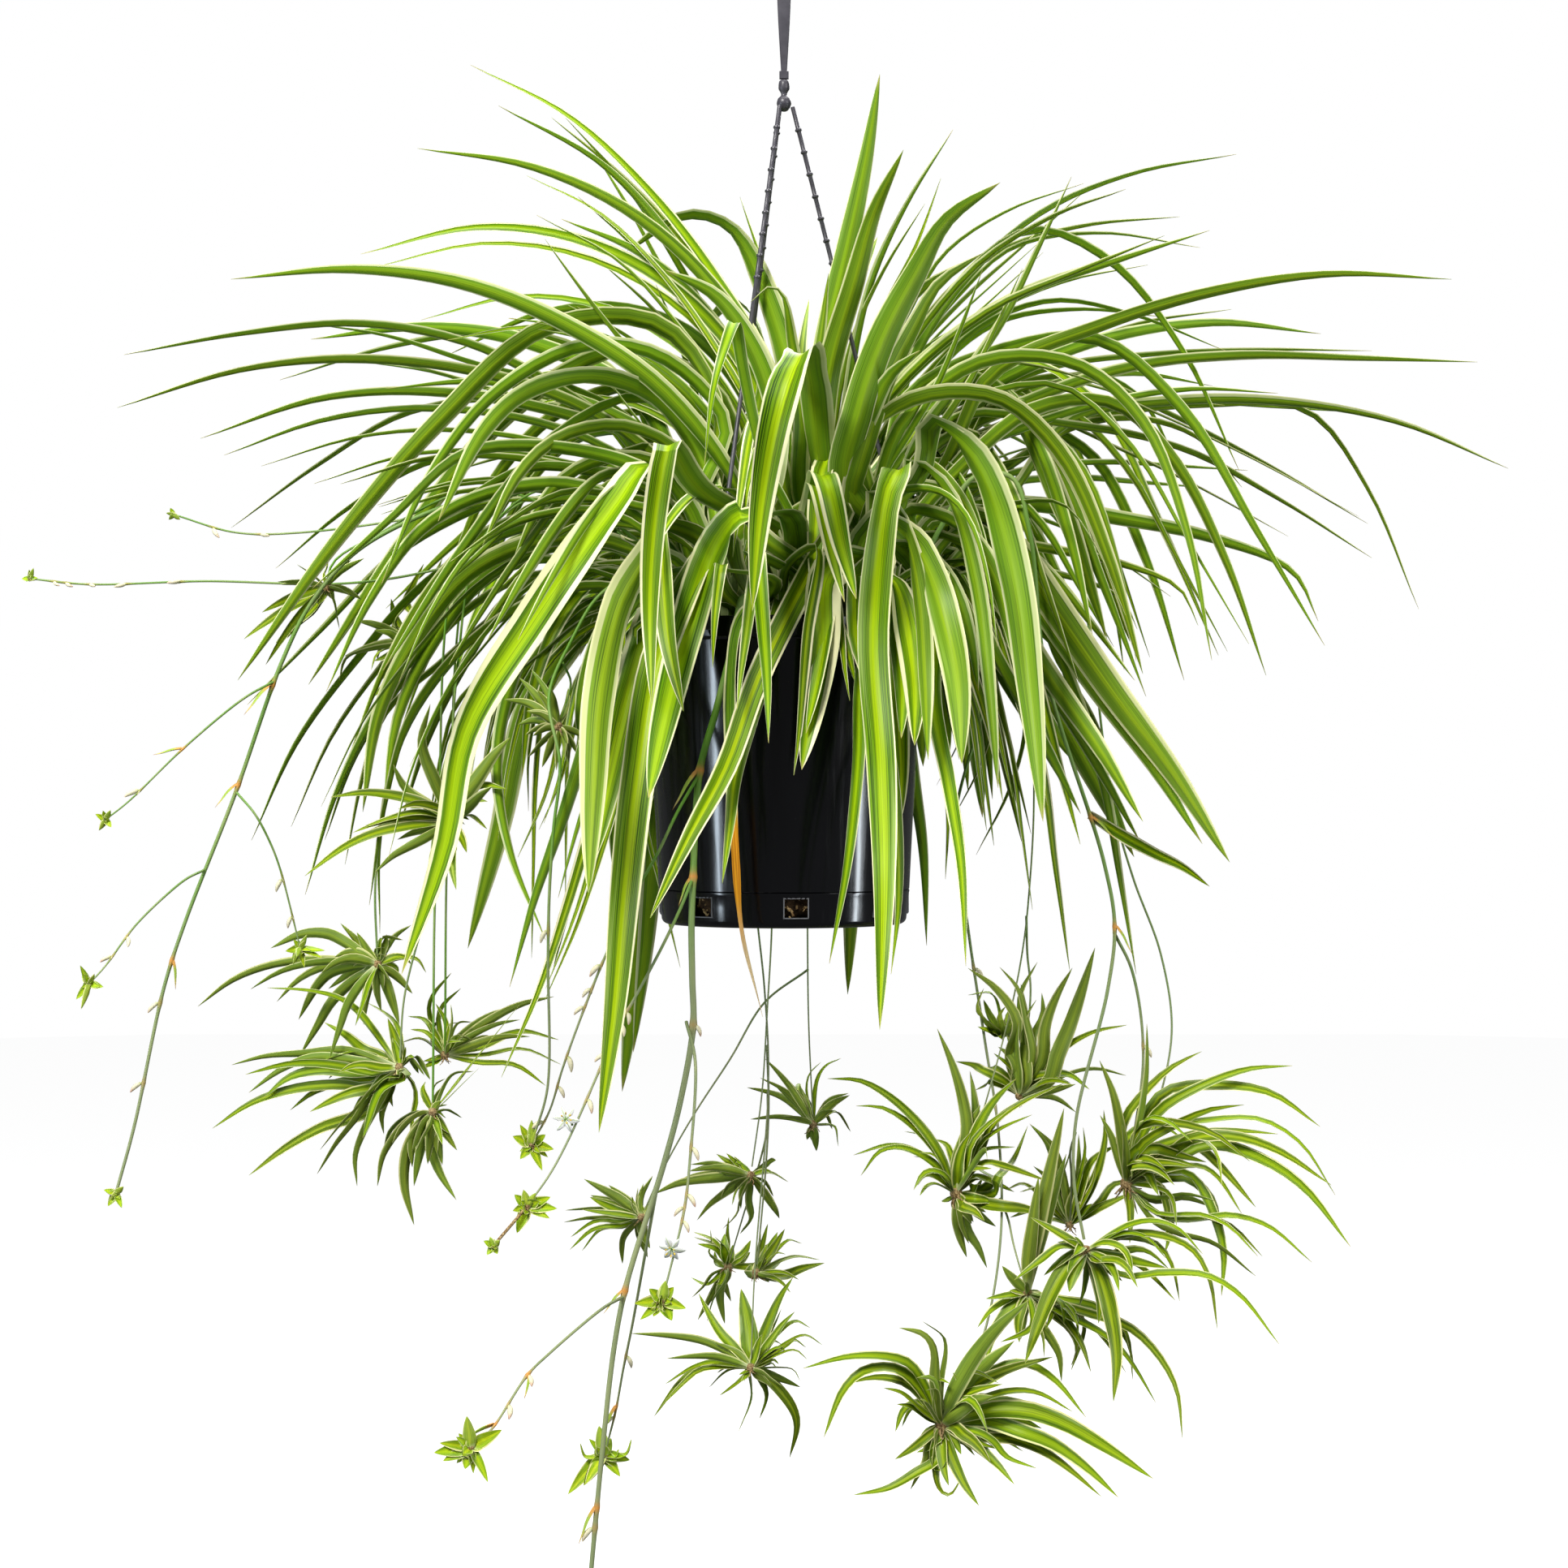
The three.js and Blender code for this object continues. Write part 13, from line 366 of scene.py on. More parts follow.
        (2.63, 0.36, 2, 0.8, [-116.3,-50.5,-1002.3,0.21,0.19,0.96,-110.9,-50.8,-1003.4,0.21,0.19,0.96,-105.4,-51.1,-1004.6,0.21,0.19,0.96,-100,-51.3,-1005.8,0.21,0.19,0.96]),
        (2.63, 0.36, 2, 0.8, [-116.3,-50.5,-1002.3,0.8,0.19,0.56,-113,-50.8,-1006.9,0.8,0.19,0.56,-109.6,-51.1,-1011.6,0.8,0.19,0.56,-106.3,-51.4,-1016.3,0.8,0.19,0.56]),
        (2.37, 0.36, 2, 0.8, [-116.3,-50.5,-1002.3,0.93,0,-0.37,-114.9,-50.7,-998.7,0.93,0,-0.37,-113.5,-50.9,-995.2,0.93,0,-0.37,-112.1,-51.1,-991.6,0.93,0,-0.37])
    ],
    "plantlet_middle_1": [
        (3.44, 0.27, 2.3, 0.8, [-104.9,208,-885.8,0.54,-0.12,0.84,-114.4,216.7,-878.6,0.5,-0.11,0.86,-122.4,222.6,-873.6,0.42,-0.11,0.9,-134.4,229.2,-867.9,0.37,-0.1,0.92,-148.5,236.5,-861.6,0.36,-0.1,0.93]),
        (3, 0.27, 2.3, 0.8, [-104.9,208,-885.8,-0.24,-0.45,-0.86,-117.7,208.4,-882.5,-0.37,-0.43,-0.82,-128.5,215.4,-879.2,-0.54,-0.35,-0.76,-144,230.8,-874.1,-0.58,-0.33,-0.75]),
        (2.41, 0.27, 2.3, 0.8, [-104.9,208,-885.8,-0.42,-0.47,0.78,-118.7,223.2,-884,-0.39,-0.54,0.75,-133.2,232.2,-882.8,-0.22,-0.69,0.69,-145.6,233.1,-882.8,-0.22,-0.7,0.68,-162.7,239.5,-885,-0.33,-0.67,0.67]),
        (3, 0.27, 2.3, 0.8, [-104.9,208,-885.8,-0.28,-0.8,-0.54,-116.5,217,-893.1,-0.32,-0.81,-0.49,-130.8,224.2,-895.2,-0.3,-0.83,-0.47,-138.1,228.1,-898.9,-0.03,-0.86,-0.5,-150.3,236.3,-914.7,0.14,-0.83,-0.54]),
        (3.73, 0.27, 2.3, 0.8, [-104.9,208,-885.8,-0.77,-0.6,0.23,-116.5,217.8,-898.9,-0.72,-0.69,0.05,-119.5,221.9,-906.3,-0.65,-0.72,-0.24,-119.8,228.8,-923.1,-0.69,-0.67,-0.26]),
        (3, 0.27, 2.3, 0.8, [-104.9,208,-885.8,0.61,0.67,-0.43,-105.8,215.6,-875.3,0.58,0.66,-0.48,-104.3,219.2,-869.5,0.45,0.66,-0.6,-97.4,225.9,-857.8,0.42,0.66,-0.62]),
        (3, 0.27, 2.3, 0.8, [-104.9,208,-885.8,-0.57,-0.79,0.23,-109.1,212.5,-880.8,-0.56,-0.79,0.24,-110.5,214.3,-878.2,-0.49,-0.82,0.3,-112,217.5,-871.7,-0.47,-0.83,0.31]),
        (3, 0.27, 2.3, 0.8, [-104.9,208,-885.8,-0.71,0.7,-0.09,-103,210.3,-882.6,-0.71,0.7,-0.09,-101.2,212.6,-879.3,-0.71,0.7,-0.09,-99.3,215,-876.1,-0.71,0.7,-0.09])
    ],
    "plantlet_middle_2": [
        (3.42, 0.27, 2.3, 0.8, [-23.9,156,-848.1,-0.14,0.02,0.99,-45.7,170.8,-851.4,-0.15,0.03,0.99,-64.7,182.1,-854.8,-0.2,0.03,0.98,-78.8,188.9,-858.8,-0.35,0.06,0.93,-94.9,197,-867.1,-0.43,0.07,0.9]),
        (3, 0.27, 2.3, 0.8, [-23.9,156,-848.1,0.22,-0.28,0.94,-41.4,159,-843.1,0.03,-0.21,0.98,-51.8,172.1,-843.8,-0.27,-0.12,0.96,-67.7,181.1,-847.8,-0.32,-0.14,0.94]),
        (3, 0.27, 2.3, 0.8, [-23.9,156,-848.1,-0.66,-0.23,-0.72,-32.6,171.7,-845,-0.61,-0.32,-0.73,-39.7,168.4,-840.2,-0.51,-0.37,-0.78,-48.7,172.7,-835,-0.59,-0.35,-0.73]),
        (2.39, 0.27, 2.3, 0.8, [-23.9,156,-848.1,-0.54,0.81,0.23,-12,163.6,-846.7,-0.52,0.82,0.26,-7.1,166.5,-847.9,-0.31,0.89,0.33,2.9,171.8,-854.8,-0.25,0.91,0.33]),
        (3, 0.27, 2.3, 0.8, [-23.9,156,-848.1,-0.59,0.8,-0.09,-15.9,161.5,-851.6,-0.6,0.8,-0.05,-12.9,163.8,-854.6,-0.58,0.81,0.09,-7.6,168.9,-865,-0.56,0.82,0.11]),
        (3, 0.27, 2.3, 0.8, [-23.9,156,-848.1,-0.6,-0.78,0.18,-36.2,164.1,-853.6,-0.61,-0.78,0.15,-40.3,167.1,-857.1,-0.62,-0.78,0.01,-45.7,171.7,-866.5,-0.62,-0.79,-0.03]),
        (3.7, 0.27, 2.3, 0.8, [-23.9,156,-848.1,-0.81,-0.53,-0.26,-25.3,169.2,-870,-0.61,-0.69,-0.39,-23.6,174,-880.6,-0.6,-0.77,-0.22,-31.8,180.7,-893.7,-0.72,-0.69,0.1]),
        (2.98, 0.27, 2.3, 0.8, [-23.9,156,-848.1,-0.66,-0.75,-0.01,-27.8,159.4,-844.1,-0.66,-0.75,-0.01,-31.7,162.9,-840,-0.66,-0.75,-0.01,-35.7,166.3,-836,-0.66,-0.75,-0.01])
    ],
    "plantlet_middle_3": [
        (3, 0.27, 2.3, 0.8, [-41.6,234,-925.8,-0.72,-0.63,0.3,-48.8,248.1,-912.9,-0.67,-0.72,0.17,-53.7,249.4,-908.1,-0.39,-0.9,-0.21,-67.6,254.1,-903.4,-0.39,-0.87,-0.3]),
        (3.46, 0.27, 2.3, 0.8, [-41.6,234,-925.8,-0.85,-0.4,-0.33,-43.5,230.2,-916.1,-0.88,-0.44,-0.18,-44.1,232.9,-910.9,-0.93,-0.26,0.25,-44.2,244.9,-903.3,-0.93,-0.2,0.31]),
        (3, 0.27, 2.3, 0.8, [-41.6,234,-925.8,0.15,-0.74,-0.65,-55.1,243.5,-939.6,-0.12,-0.84,-0.52,-59.5,246,-941,-0.44,-0.86,-0.25,-69.3,249.9,-936.9,-0.46,-0.84,-0.28]),
        (3.46, 0.27, 2.3, 0.8, [-41.6,234,-925.8,-0.82,-0.54,0.19,-46.9,236.6,-940.9,-0.89,-0.46,-0.04,-47.7,248.1,-952.8,-0.87,-0.38,-0.32,-44.5,258.1,-972.9,-0.85,-0.41,-0.34]),
        (3, 0.27, 2.3, 0.8, [-41.6,234,-925.8,-0.94,-0.3,0.13,-49.5,251.7,-942,-0.9,-0.39,0.21,-56.6,252.5,-954.6,-0.83,-0.45,0.32,-64.7,259.6,-970.2,-0.87,-0.42,0.26]),
        (3, 0.27, 2.3, 0.8, [-41.6,234,-925.8,-0.67,-0.34,0.66,-42.5,256.1,-915.3,-0.61,-0.61,0.51,-42.4,252.6,-904.3,-0.59,-0.81,-0.03,-41.4,254.5,-892.5,-0.57,-0.8,0.18]),
        (4.32, 0.27, 2.3, 0.8, [-41.6,234,-925.8,-0.72,0.63,0.29,-33,241.1,-919.9,-0.73,0.63,0.26,-29.5,244.1,-916.4,-0.76,0.63,0.14,-24.9,248.4,-908.7,-0.77,0.63,0.1])
    ],
    "plantlet_middle_4": [
        (4.24, 0.27, 2.3, 0.8, [-19.6,130,-913.7,-0.4,0.61,0.69,-6.6,142.3,-917.2,-0.38,0.64,0.67,1.1,146.9,-918,-0.4,0.7,0.59,12.8,150.9,-914.1,-0.43,0.7,0.57,29.1,158.7,-911.4,-0.43,0.69,0.59]),
        (3, 0.27, 2.3, 0.8, [-19.6,130,-913.7,-0.7,0.7,0.1,-1.1,145.8,-895.8,-0.61,0.79,-0.01,4,148.6,-893.1,-0.42,0.89,0.2,12.8,152.5,-896.5,-0.31,0.92,0.26]),
        (3, 0.27, 2.3, 0.8, [-19.6,130,-913.7,-0.63,-0.53,0.57,-17.1,138.5,-903.2,-0.62,-0.55,0.56,-14.7,144.6,-893.8,-0.62,-0.59,0.51,-11.6,150.9,-882.3,-0.62,-0.61,0.5]),
        (3, 0.27, 2.3, 0.8, [-19.6,130,-913.7,-0.85,0.52,-0.01,-17.1,134.2,-907.7,-0.85,0.52,-0.01,-14.6,138.4,-901.6,-0.85,0.52,-0.01,-12.1,142.6,-895.5,-0.85,0.52,-0.01]),
        (2.38, 0.27, 2.3, 0.8, [-19.6,130,-913.7,-0.62,0.77,0.17,-0.7,143.4,-906.4,-0.59,0.78,0.2,9.5,149.6,-905,-0.41,0.86,0.32,25.6,157,-908.8,-0.33,0.88,0.34]),
        (3, 0.27, 2.3, 0.8, [-19.6,130,-913.7,-0.26,0.46,-0.85,-13.2,129.5,-915.9,-0.57,0.38,-0.73,-6.9,137.8,-919.6,-0.66,0.3,-0.69,-0.6,141.9,-922.6,-0.58,0.37,-0.72])
    ],
    "plantlet_middle_5": [
        (3, 0.27, 2.3, 0.8, [-23.1,82.5,-971.8,0.22,-0.31,0.92,-38.8,95.9,-963.5,0.17,-0.32,0.93,-57.1,106.1,-957.4,0.03,-0.31,0.95,-79.2,116.2,-955.8,-0.12,-0.29,0.95,-108.1,129.8,-956.8,-0.16,-0.28,0.95]),
        (3, 0.27, 2.3, 0.8, [-23.1,82.5,-971.8,-0.38,-0.51,-0.77,-45.8,101.2,-973.1,-0.29,-0.54,-0.79,-61.3,111.4,-977.6,0.12,-0.68,-0.73,-73.7,112.5,-988.3,0.41,-0.71,-0.57,-91.7,123.2,-1014.1,0.51,-0.6,-0.61]),
        (3, 0.27, 2.3, 0.8, [-23.1,82.5,-971.8,-0.24,-0.86,-0.45,-43,86.8,-969.1,-0.31,-0.84,-0.45,-54.6,93.6,-970.7,-0.34,-0.79,-0.51,-67,102,-976.8,-0.22,-0.81,-0.55,-83.3,114,-989.3,-0.18,-0.81,-0.55]),
        (3.37, 0.27, 2.3, 0.8, [-23.1,82.5,-971.8,-0.81,-0.32,-0.49,-32.9,91,-961.1,-0.79,-0.32,-0.52,-43.6,99.5,-951.4,-0.81,-0.32,-0.49,-51.5,107.2,-940.8,-0.88,-0.29,-0.38,-60,115.7,-926.2,-0.89,-0.29,-0.35]),
        (6.17, 0.27, 2.3, 0.8, [-23.1,82.5,-971.8,-0.95,0.23,-0.21,-23.9,90.9,-958.9,-0.95,0.23,-0.23,-25.1,97.7,-948.1,-0.94,0.22,-0.27,-27.3,104.2,-935.9,-0.93,0.22,-0.3,-30.2,111.2,-922.1,-0.93,0.22,-0.3]),
        (3.37, 0.27, 2.3, 0.8, [-23.1,82.5,-971.8,-0.92,0.01,0.4,-15.7,94.5,-955.4,-0.92,0.01,0.4,-9.1,104.3,-940.5,-0.91,0.01,0.42,-2.7,111.7,-927.7,-0.86,0.03,0.51,6.3,119.5,-915.4,-0.82,0.05,0.57]),
        (3, 0.27, 2.3, 0.8, [-23.1,82.5,-971.8,-0.68,0.73,0.06,-7.2,95.7,-952.8,-0.65,0.75,0.11,4.2,101.9,-944.2,-0.55,0.79,0.26,9.4,104.2,-943.3,-0.23,0.86,0.45,18.2,108.1,-948.8,-0.11,0.89,0.44]),
        (3, 0.27, 2.3, 0.8, [-23.1,82.5,-971.8,-0.62,0.63,0.47,1,96.3,-958.6,-0.58,0.75,0.32,7.4,99.5,-955.5,-0.34,0.87,0.36,15.3,103.2,-961.6,-0.04,0.87,0.48]),
        (3, 0.27, 2.3, 0.8, [-23.1,82.5,-971.8,-0.61,0.26,-0.75,-12,92.1,-977.6,-0.56,0.31,-0.77,-1.3,95.2,-982.5,-0.51,0.34,-0.79,11.3,101.1,-989,-0.55,0.33,-0.77]),
        (3.65, 0.27, 2.3, 0.8, [-23.1,82.5,-971.8,0.39,0.43,0.81,-6.7,94.6,-986,0.49,0.47,0.74,6.1,103,-1004.1,0.65,0.51,0.56,9.2,109.2,-1017.7,0.82,0.54,0.18,4,119,-1042.4,0.89,0.46,-0.01]),
        (2.35, 0.27, 2.3, 0.8, [-23.1,82.5,-971.8,-0.15,0.96,0.25,-1.2,81.7,-955.9,-0.14,0.96,0.26,11,81.3,-949.3,-0.07,0.96,0.29,16.8,81.1,-949.3,0.14,0.95,0.27,26.4,80.9,-955.7,0.19,0.95,0.25]),
        (2.35, 0.27, 2.3, 0.8, [-23.1,82.5,-971.8,0.31,-0.92,-0.22,-29.3,82.1,-979.1,0.3,-0.92,-0.24,-34.7,81.9,-983.8,0.25,-0.92,-0.28,-44.4,81.6,-990.7,0.24,-0.93,-0.29])
    ],
    "plantlet_middle_6": [
        (3, 0.27, 2.3, 0.8, [21.2,182,-814.3,0.28,-0.5,0.82,8.7,193.4,-803.2,0.25,-0.49,0.84,-0.3,200.3,-797.2,0.12,-0.48,0.87,-10.1,205.8,-793.9,-0.03,-0.47,0.88,-26.9,213.4,-791,-0.06,-0.47,0.88]),
        (3, 0.27, 2.3, 0.8, [21.2,182,-814.3,-0.28,-0.61,0.74,5,193.3,-811.2,-0.31,-0.62,0.72,-6.5,199.8,-811,-0.38,-0.63,0.68,-24.4,208.2,-813.7,-0.4,-0.64,0.66]),
        (3, 0.27, 2.3, 0.8, [21.2,182,-814.3,-0.51,0.73,-0.44,22.4,196.6,-791.7,-0.53,0.75,-0.4,25.4,203,-780.8,-0.55,0.81,-0.2,31.2,206.9,-773.6,-0.5,0.87,0.04,41.8,211.8,-769.3,-0.45,0.88,0.12]),
        (3, 0.27, 2.3, 0.8, [21.2,182,-814.3,0.26,0.68,-0.68,29.7,192.1,-801.1,0.15,0.71,-0.69,34.6,195.9,-797.1,-0.1,0.71,-0.7,47,201.5,-794,-0.15,0.71,-0.68]),
        (3, 0.27, 2.3, 0.8, [21.2,182,-814.3,-0.54,0.83,0.12,35.5,189.9,-805.7,-0.5,0.87,0.03,39.4,192.2,-806.5,-0.41,0.91,0.12,48.7,197.9,-821.5,-0.54,0.84,-0.02]),
        (3, 0.27, 2.3, 0.8, [21.2,182,-814.3,-0.94,0.33,0.06,22,185.8,-821.3,-0.94,0.33,0.06,22.9,189.5,-828.2,-0.94,0.33,0.06,23.7,193.3,-835.2,-0.94,0.33,0.06]),
        (3, 0.27, 2.3, 0.8, [21.2,182,-814.3,0.32,-0.66,0.68,14.2,193.5,-800,0.3,-0.66,0.69,7.6,200.2,-790.9,0.23,-0.69,0.69,-4.8,208.6,-778.6,0.21,-0.7,0.69])
    ],
    "plantlet_right_1": [
        (3.86, 0.27, 2.3, 0.8, [160.6,50.5,-780.1,0.9,0.38,0.24,154,49.3,-753.4,0.93,0.33,0.15,157.9,34.1,-728,0.9,0.34,0.27,144.3,37.4,-706.7,0.71,0.26,0.65,124.8,35.6,-692.3,0.56,0.24,0.79]),
        (3, 0.27, 2.3, 0.8, [160.6,50.5,-780.1,0.79,0.62,-0.04,168.8,41.8,-752.3,0.8,0.6,0.08,164.4,38.8,-728.9,0.78,0.58,0.25,158.2,35.7,-706,0.73,0.55,0.4,146.2,35.5,-691.7,0.65,0.53,0.55]),
        (3, 0.27, 2.3, 0.8, [160.6,50.5,-780.1,0.72,-0.69,-0.02,163.9,53,-750.9,0.7,-0.72,-0.06,160.8,45.9,-725.6,0.7,-0.7,-0.14,160.9,41.5,-709.5,0.64,-0.67,-0.36,171.5,36.1,-688.4,0.59,-0.66,-0.47]),
        (3.86, 0.27, 2.3, 0.8, [160.6,50.5,-780.1,0.86,0.03,-0.51,175.3,44.4,-755.7,0.94,-0.01,-0.33,177.2,41.8,-732.9,0.98,-0.02,-0.2,184.1,38.5,-712.7,0.92,0,-0.4,195.1,35.5,-692.3,0.88,0.01,-0.47]),
        (4.96, 0.27, 2.3, 0.8, [160.6,50.5,-780.1,0.59,0.33,-0.74,180.1,40.5,-768.9,0.78,0.25,-0.57,185.3,37.5,-751.7,0.92,0.22,-0.33,194.1,39.2,-730.7,0.92,0.21,-0.33,202.5,36,-704.8,0.94,0.2,-0.27,210.2,32.6,-678.4,0.95,0.2,-0.25]),
        (3.87, 0.27, 2.3, 0.8, [160.6,50.5,-780.1,0.84,0.3,-0.45,169.5,49.5,-764,0.93,0.28,-0.25,169,47.6,-752.4,0.97,0.24,0.08,168.2,47.5,-740.7,0.96,0.21,0.16,164.1,46.9,-722.8,0.95,0.21,0.22]),
        (3, 0.27, 2.3, 0.8, [160.6,50.5,-780.1,-0.4,0.83,0.39,178.1,49,-759,-0.33,0.81,0.48,193,42.6,-745,-0.2,0.78,0.59,210.2,39.3,-735.6,-0.1,0.78,0.62,232,36.5,-730.8,-0.04,0.77,0.64]),
        (3.59, 0.27, 2.3, 0.8, [160.6,50.5,-780.1,-0.48,0.7,0.53,174.5,50.6,-767.6,-0.27,0.77,0.57,184,46.8,-764.3,0.16,0.74,0.65,195,44.4,-765.5,0.39,0.71,0.58,207.4,42.6,-774.9,0.52,0.64,0.57]),
        (3, 0.27, 2.3, 0.8, [160.6,50.5,-780.1,0.22,0.28,-0.93,173.4,47.7,-777.9,0.24,0.28,-0.93,184.6,45.8,-775.3,0.27,0.27,-0.92,198.1,44,-771.7,0.28,0.27,-0.92]),
        (3, 0.27, 2.3, 0.8, [160.6,50.5,-780.1,-0.51,-0.82,-0.27,157.3,47.7,-765.5,-0.5,-0.81,-0.32,153.8,46.6,-759.6,-0.43,-0.78,-0.46,143.1,47,-751,-0.42,-0.77,-0.48]),
        (3, 0.27, 2.3, 0.8, [160.6,50.5,-780.1,-0.55,-0.47,-0.69,151.5,46.8,-770.4,-0.39,-0.42,-0.82,134.8,38,-761.4,-0.6,-0.52,-0.6,129.2,60.5,-759.8,-0.65,-0.23,-0.72,118.9,76.4,-759.2,-0.59,-0.35,-0.73]),
        (2.34, 0.27, 2.3, 0.8, [160.6,50.5,-780.1,-0.08,0.68,-0.72,184.4,63.3,-770.8,-0.13,0.66,-0.74,204,75.5,-765.1,-0.24,0.61,-0.75,217.9,83.8,-764.9,-0.42,0.56,-0.71,238.1,94.2,-770.5,-0.48,0.56,-0.68])
    ],
    "plantlet_right_2": [
        (3, 0.27, 2.3, 0.8, [116.2,30,-843.7,-0.79,-0.46,-0.41,105.3,24.6,-816.7,-0.75,-0.44,-0.49,89.9,20.7,-795.1,-0.64,-0.42,-0.64,70.6,17.3,-777.1,-0.51,-0.39,-0.77,51.1,14.6,-766.3,-0.23,-0.35,-0.91,29.3,12,-764.7,-0.03,-0.33,-0.94]),
        (3.82, 0.27, 2.3, 0.8, [116.2,30,-843.7,0.98,0.18,-0.12,120.2,25.2,-819,0.98,0.18,-0.12,123.1,21.2,-799.7,0.99,0.15,0.03,119.9,18.9,-778.5,0.96,0.12,0.23,113.2,16,-756.2,0.93,0.11,0.35,102.7,12.7,-731.6,0.91,0.1,0.4]),
        (3, 0.27, 2.3, 0.8, [116.2,30,-843.7,-0.46,-0.67,-0.58,100.8,22.1,-822.4,-0.32,-0.71,-0.62,79,18.2,-811.4,-0.06,-0.8,-0.6,64.5,18.7,-814,0.33,-0.78,-0.53,51.8,19.6,-830.3,0.5,-0.76,-0.43]),
        (2.87, 0.27, 2.3, 0.8, [116.2,30,-843.7,-0.29,-0.92,-0.26,99,29.5,-822.5,-0.24,-0.91,-0.33,85.2,27.2,-813,-0.09,-0.89,-0.45,70.7,26.2,-810.7,0.23,-0.85,-0.48,46.9,18.9,-816.6,0.36,-0.82,-0.45]),
        (3.82, 0.27, 2.3, 0.8, [116.2,30,-843.7,-0.86,0.36,0.35,123.1,20.9,-817.4,-0.86,0.37,0.36,130.7,18.5,-796.8,-0.84,0.36,0.42,140,18.5,-781.4,-0.73,0.33,0.6,155.7,16.4,-765.1,-0.66,0.32,0.68]),
        (4.65, 0.27, 2.3, 0.8, [116.2,30,-843.7,0.93,-0.37,-0.05,117.4,30.7,-824.8,0.91,-0.38,-0.16,121,26.9,-810,0.88,-0.35,-0.32,124.8,25.3,-798.6,0.84,-0.34,-0.43,132,20.8,-783.6,0.81,-0.32,-0.49]),
        (3, 0.27, 2.3, 0.8, [116.2,30,-843.7,-0.49,0.73,0.47,131.8,22,-815.1,-0.51,0.74,0.43,140.2,18.3,-795.7,-0.48,0.74,0.47,158.3,17.8,-781.8,-0.31,0.7,0.64,187.1,13.9,-768.1,-0.23,0.69,0.68]),
        (3, 0.27, 2.3, 0.8, [116.2,30,-843.7,-0.48,0.88,-0.03,125.3,35.5,-825.3,-0.32,0.94,0.14,131.1,31,-816.9,0.05,0.83,0.55,137.9,26.8,-813.2,0.2,0.85,0.49,155.1,22.3,-811.6,0.19,0.87,0.46]),
        (3.83, 0.27, 2.3, 0.8, [116.2,30,-843.7,0.38,0.38,0.84,132.8,25.5,-849.2,0.37,0.36,0.86,147.6,13.5,-850.2,0.19,0.41,0.89,163.1,19.4,-852.9,0.18,0.4,0.9,182.1,19.3,-859.7,0.31,0.4,0.86]),
        (3.28, 0.27, 2.3, 0.8, [116.2,30,-843.7,-0.42,0.75,0.51,129.1,24.8,-825.6,-0.17,0.89,0.42,135.8,23.6,-821.9,0.09,0.92,0.38,148.4,22.3,-824.4,0.25,0.71,0.66,176.7,20.4,-834.2,0.31,0.55,0.78]),
        (3, 0.27, 2.3, 0.8, [116.2,30,-843.7,-0.61,-0.27,-0.74,125.9,35.4,-853.7,-0.6,-0.26,-0.76,133.4,38.9,-860.4,-0.55,-0.24,-0.8,143.9,42.5,-868.1,-0.52,-0.23,-0.82]),
        (3.31, 0.27, 2.3, 0.8, [116.2,30,-843.7,-0.96,-0.28,-0.08,116.8,32.9,-860.5,-0.95,-0.26,-0.17,119,39,-873.1,-0.92,-0.2,-0.33,124.3,45.6,-889.5,-0.91,-0.19,-0.37]),
        (3.31, 0.27, 2.3, 0.8, [116.2,30,-843.7,-0.83,-0.3,-0.47,122.2,39.3,-860.4,-0.84,-0.32,-0.43,124.8,43.8,-871,-0.84,-0.31,-0.45,132.2,45.4,-882.9,-0.82,-0.3,-0.49,138.4,49.9,-897.4,-0.84,-0.31,-0.45]),
        (3, 0.27, 2.3, 0.8, [116.2,30,-843.7,-0.01,0.82,0.57,139.9,31.1,-845,-0.06,0.42,0.91,141.8,6.2,-831.1,-0.8,0.54,0.26,156.8,45.1,-821.7,-0.92,0.37,0.16,166.5,55,-801.6,-0.84,0.53,0.14]),
        (2.32, 0.27, 2.3, 0.8, [116.2,30,-843.7,-0.64,-0.77,0.07,107.5,39,-824.3,-0.61,-0.79,0.02,99.4,44,-810.7,-0.56,-0.83,-0.08,94.2,46.1,-806.3,-0.38,-0.9,-0.22,82.5,49.7,-804.4,-0.32,-0.92,-0.24])
    ],
    "plantlet_right_3": [
        (3.33, 0.27, 2.3, 0.8, [196.2,64.5,-869.6,0.95,0.19,0.26,190.9,57.9,-845.8,0.94,0.18,0.28,184.7,53.6,-824,0.92,0.17,0.35,179,51.3,-811.1,0.8,0.14,0.58,167.6,49,-799.3,0.7,0.12,0.7]),
        (3, 0.27, 2.3, 0.8, [196.2,64.5,-869.6,0.77,0.58,0.26,194.1,59.6,-852.5,0.78,0.62,-0.03,201.1,59.7,-838,0.77,0.64,-0.08,201.4,54.2,-823.6,0.79,0.59,0.16,201,51.2,-806.8,0.79,0.6,0.12]),
        (3.33, 0.27, 2.3, 0.8, [196.2,64.5,-869.6,-0.68,0.58,0.44,202.3,53,-845,-0.71,0.62,0.34,208.1,56.1,-829.2,-0.75,0.6,0.28,213.6,56.5,-822.4,-0.42,0.56,0.71,228.2,51.2,-813.4,-0.3,0.53,0.79]),
        (3, 0.27, 2.3, 0.8, [196.2,64.5,-869.6,-0.76,0.36,0.55,207.9,53,-845.9,-0.79,0.38,0.49,215.1,49.7,-827.7,-0.86,0.41,0.29,219,49.7,-808.3,-0.9,0.44,0.09,217.8,47.7,-789.8,-0.89,0.45,-0.01]),
        (3, 0.27, 2.3, 0.8, [196.2,64.5,-869.6,-0.22,-0.75,-0.62,181.5,60.2,-859.2,-0.06,-0.84,-0.54,173.5,58.4,-857.9,0.24,-0.83,-0.51,154.8,55.3,-863.8,0.31,-0.74,-0.6]),
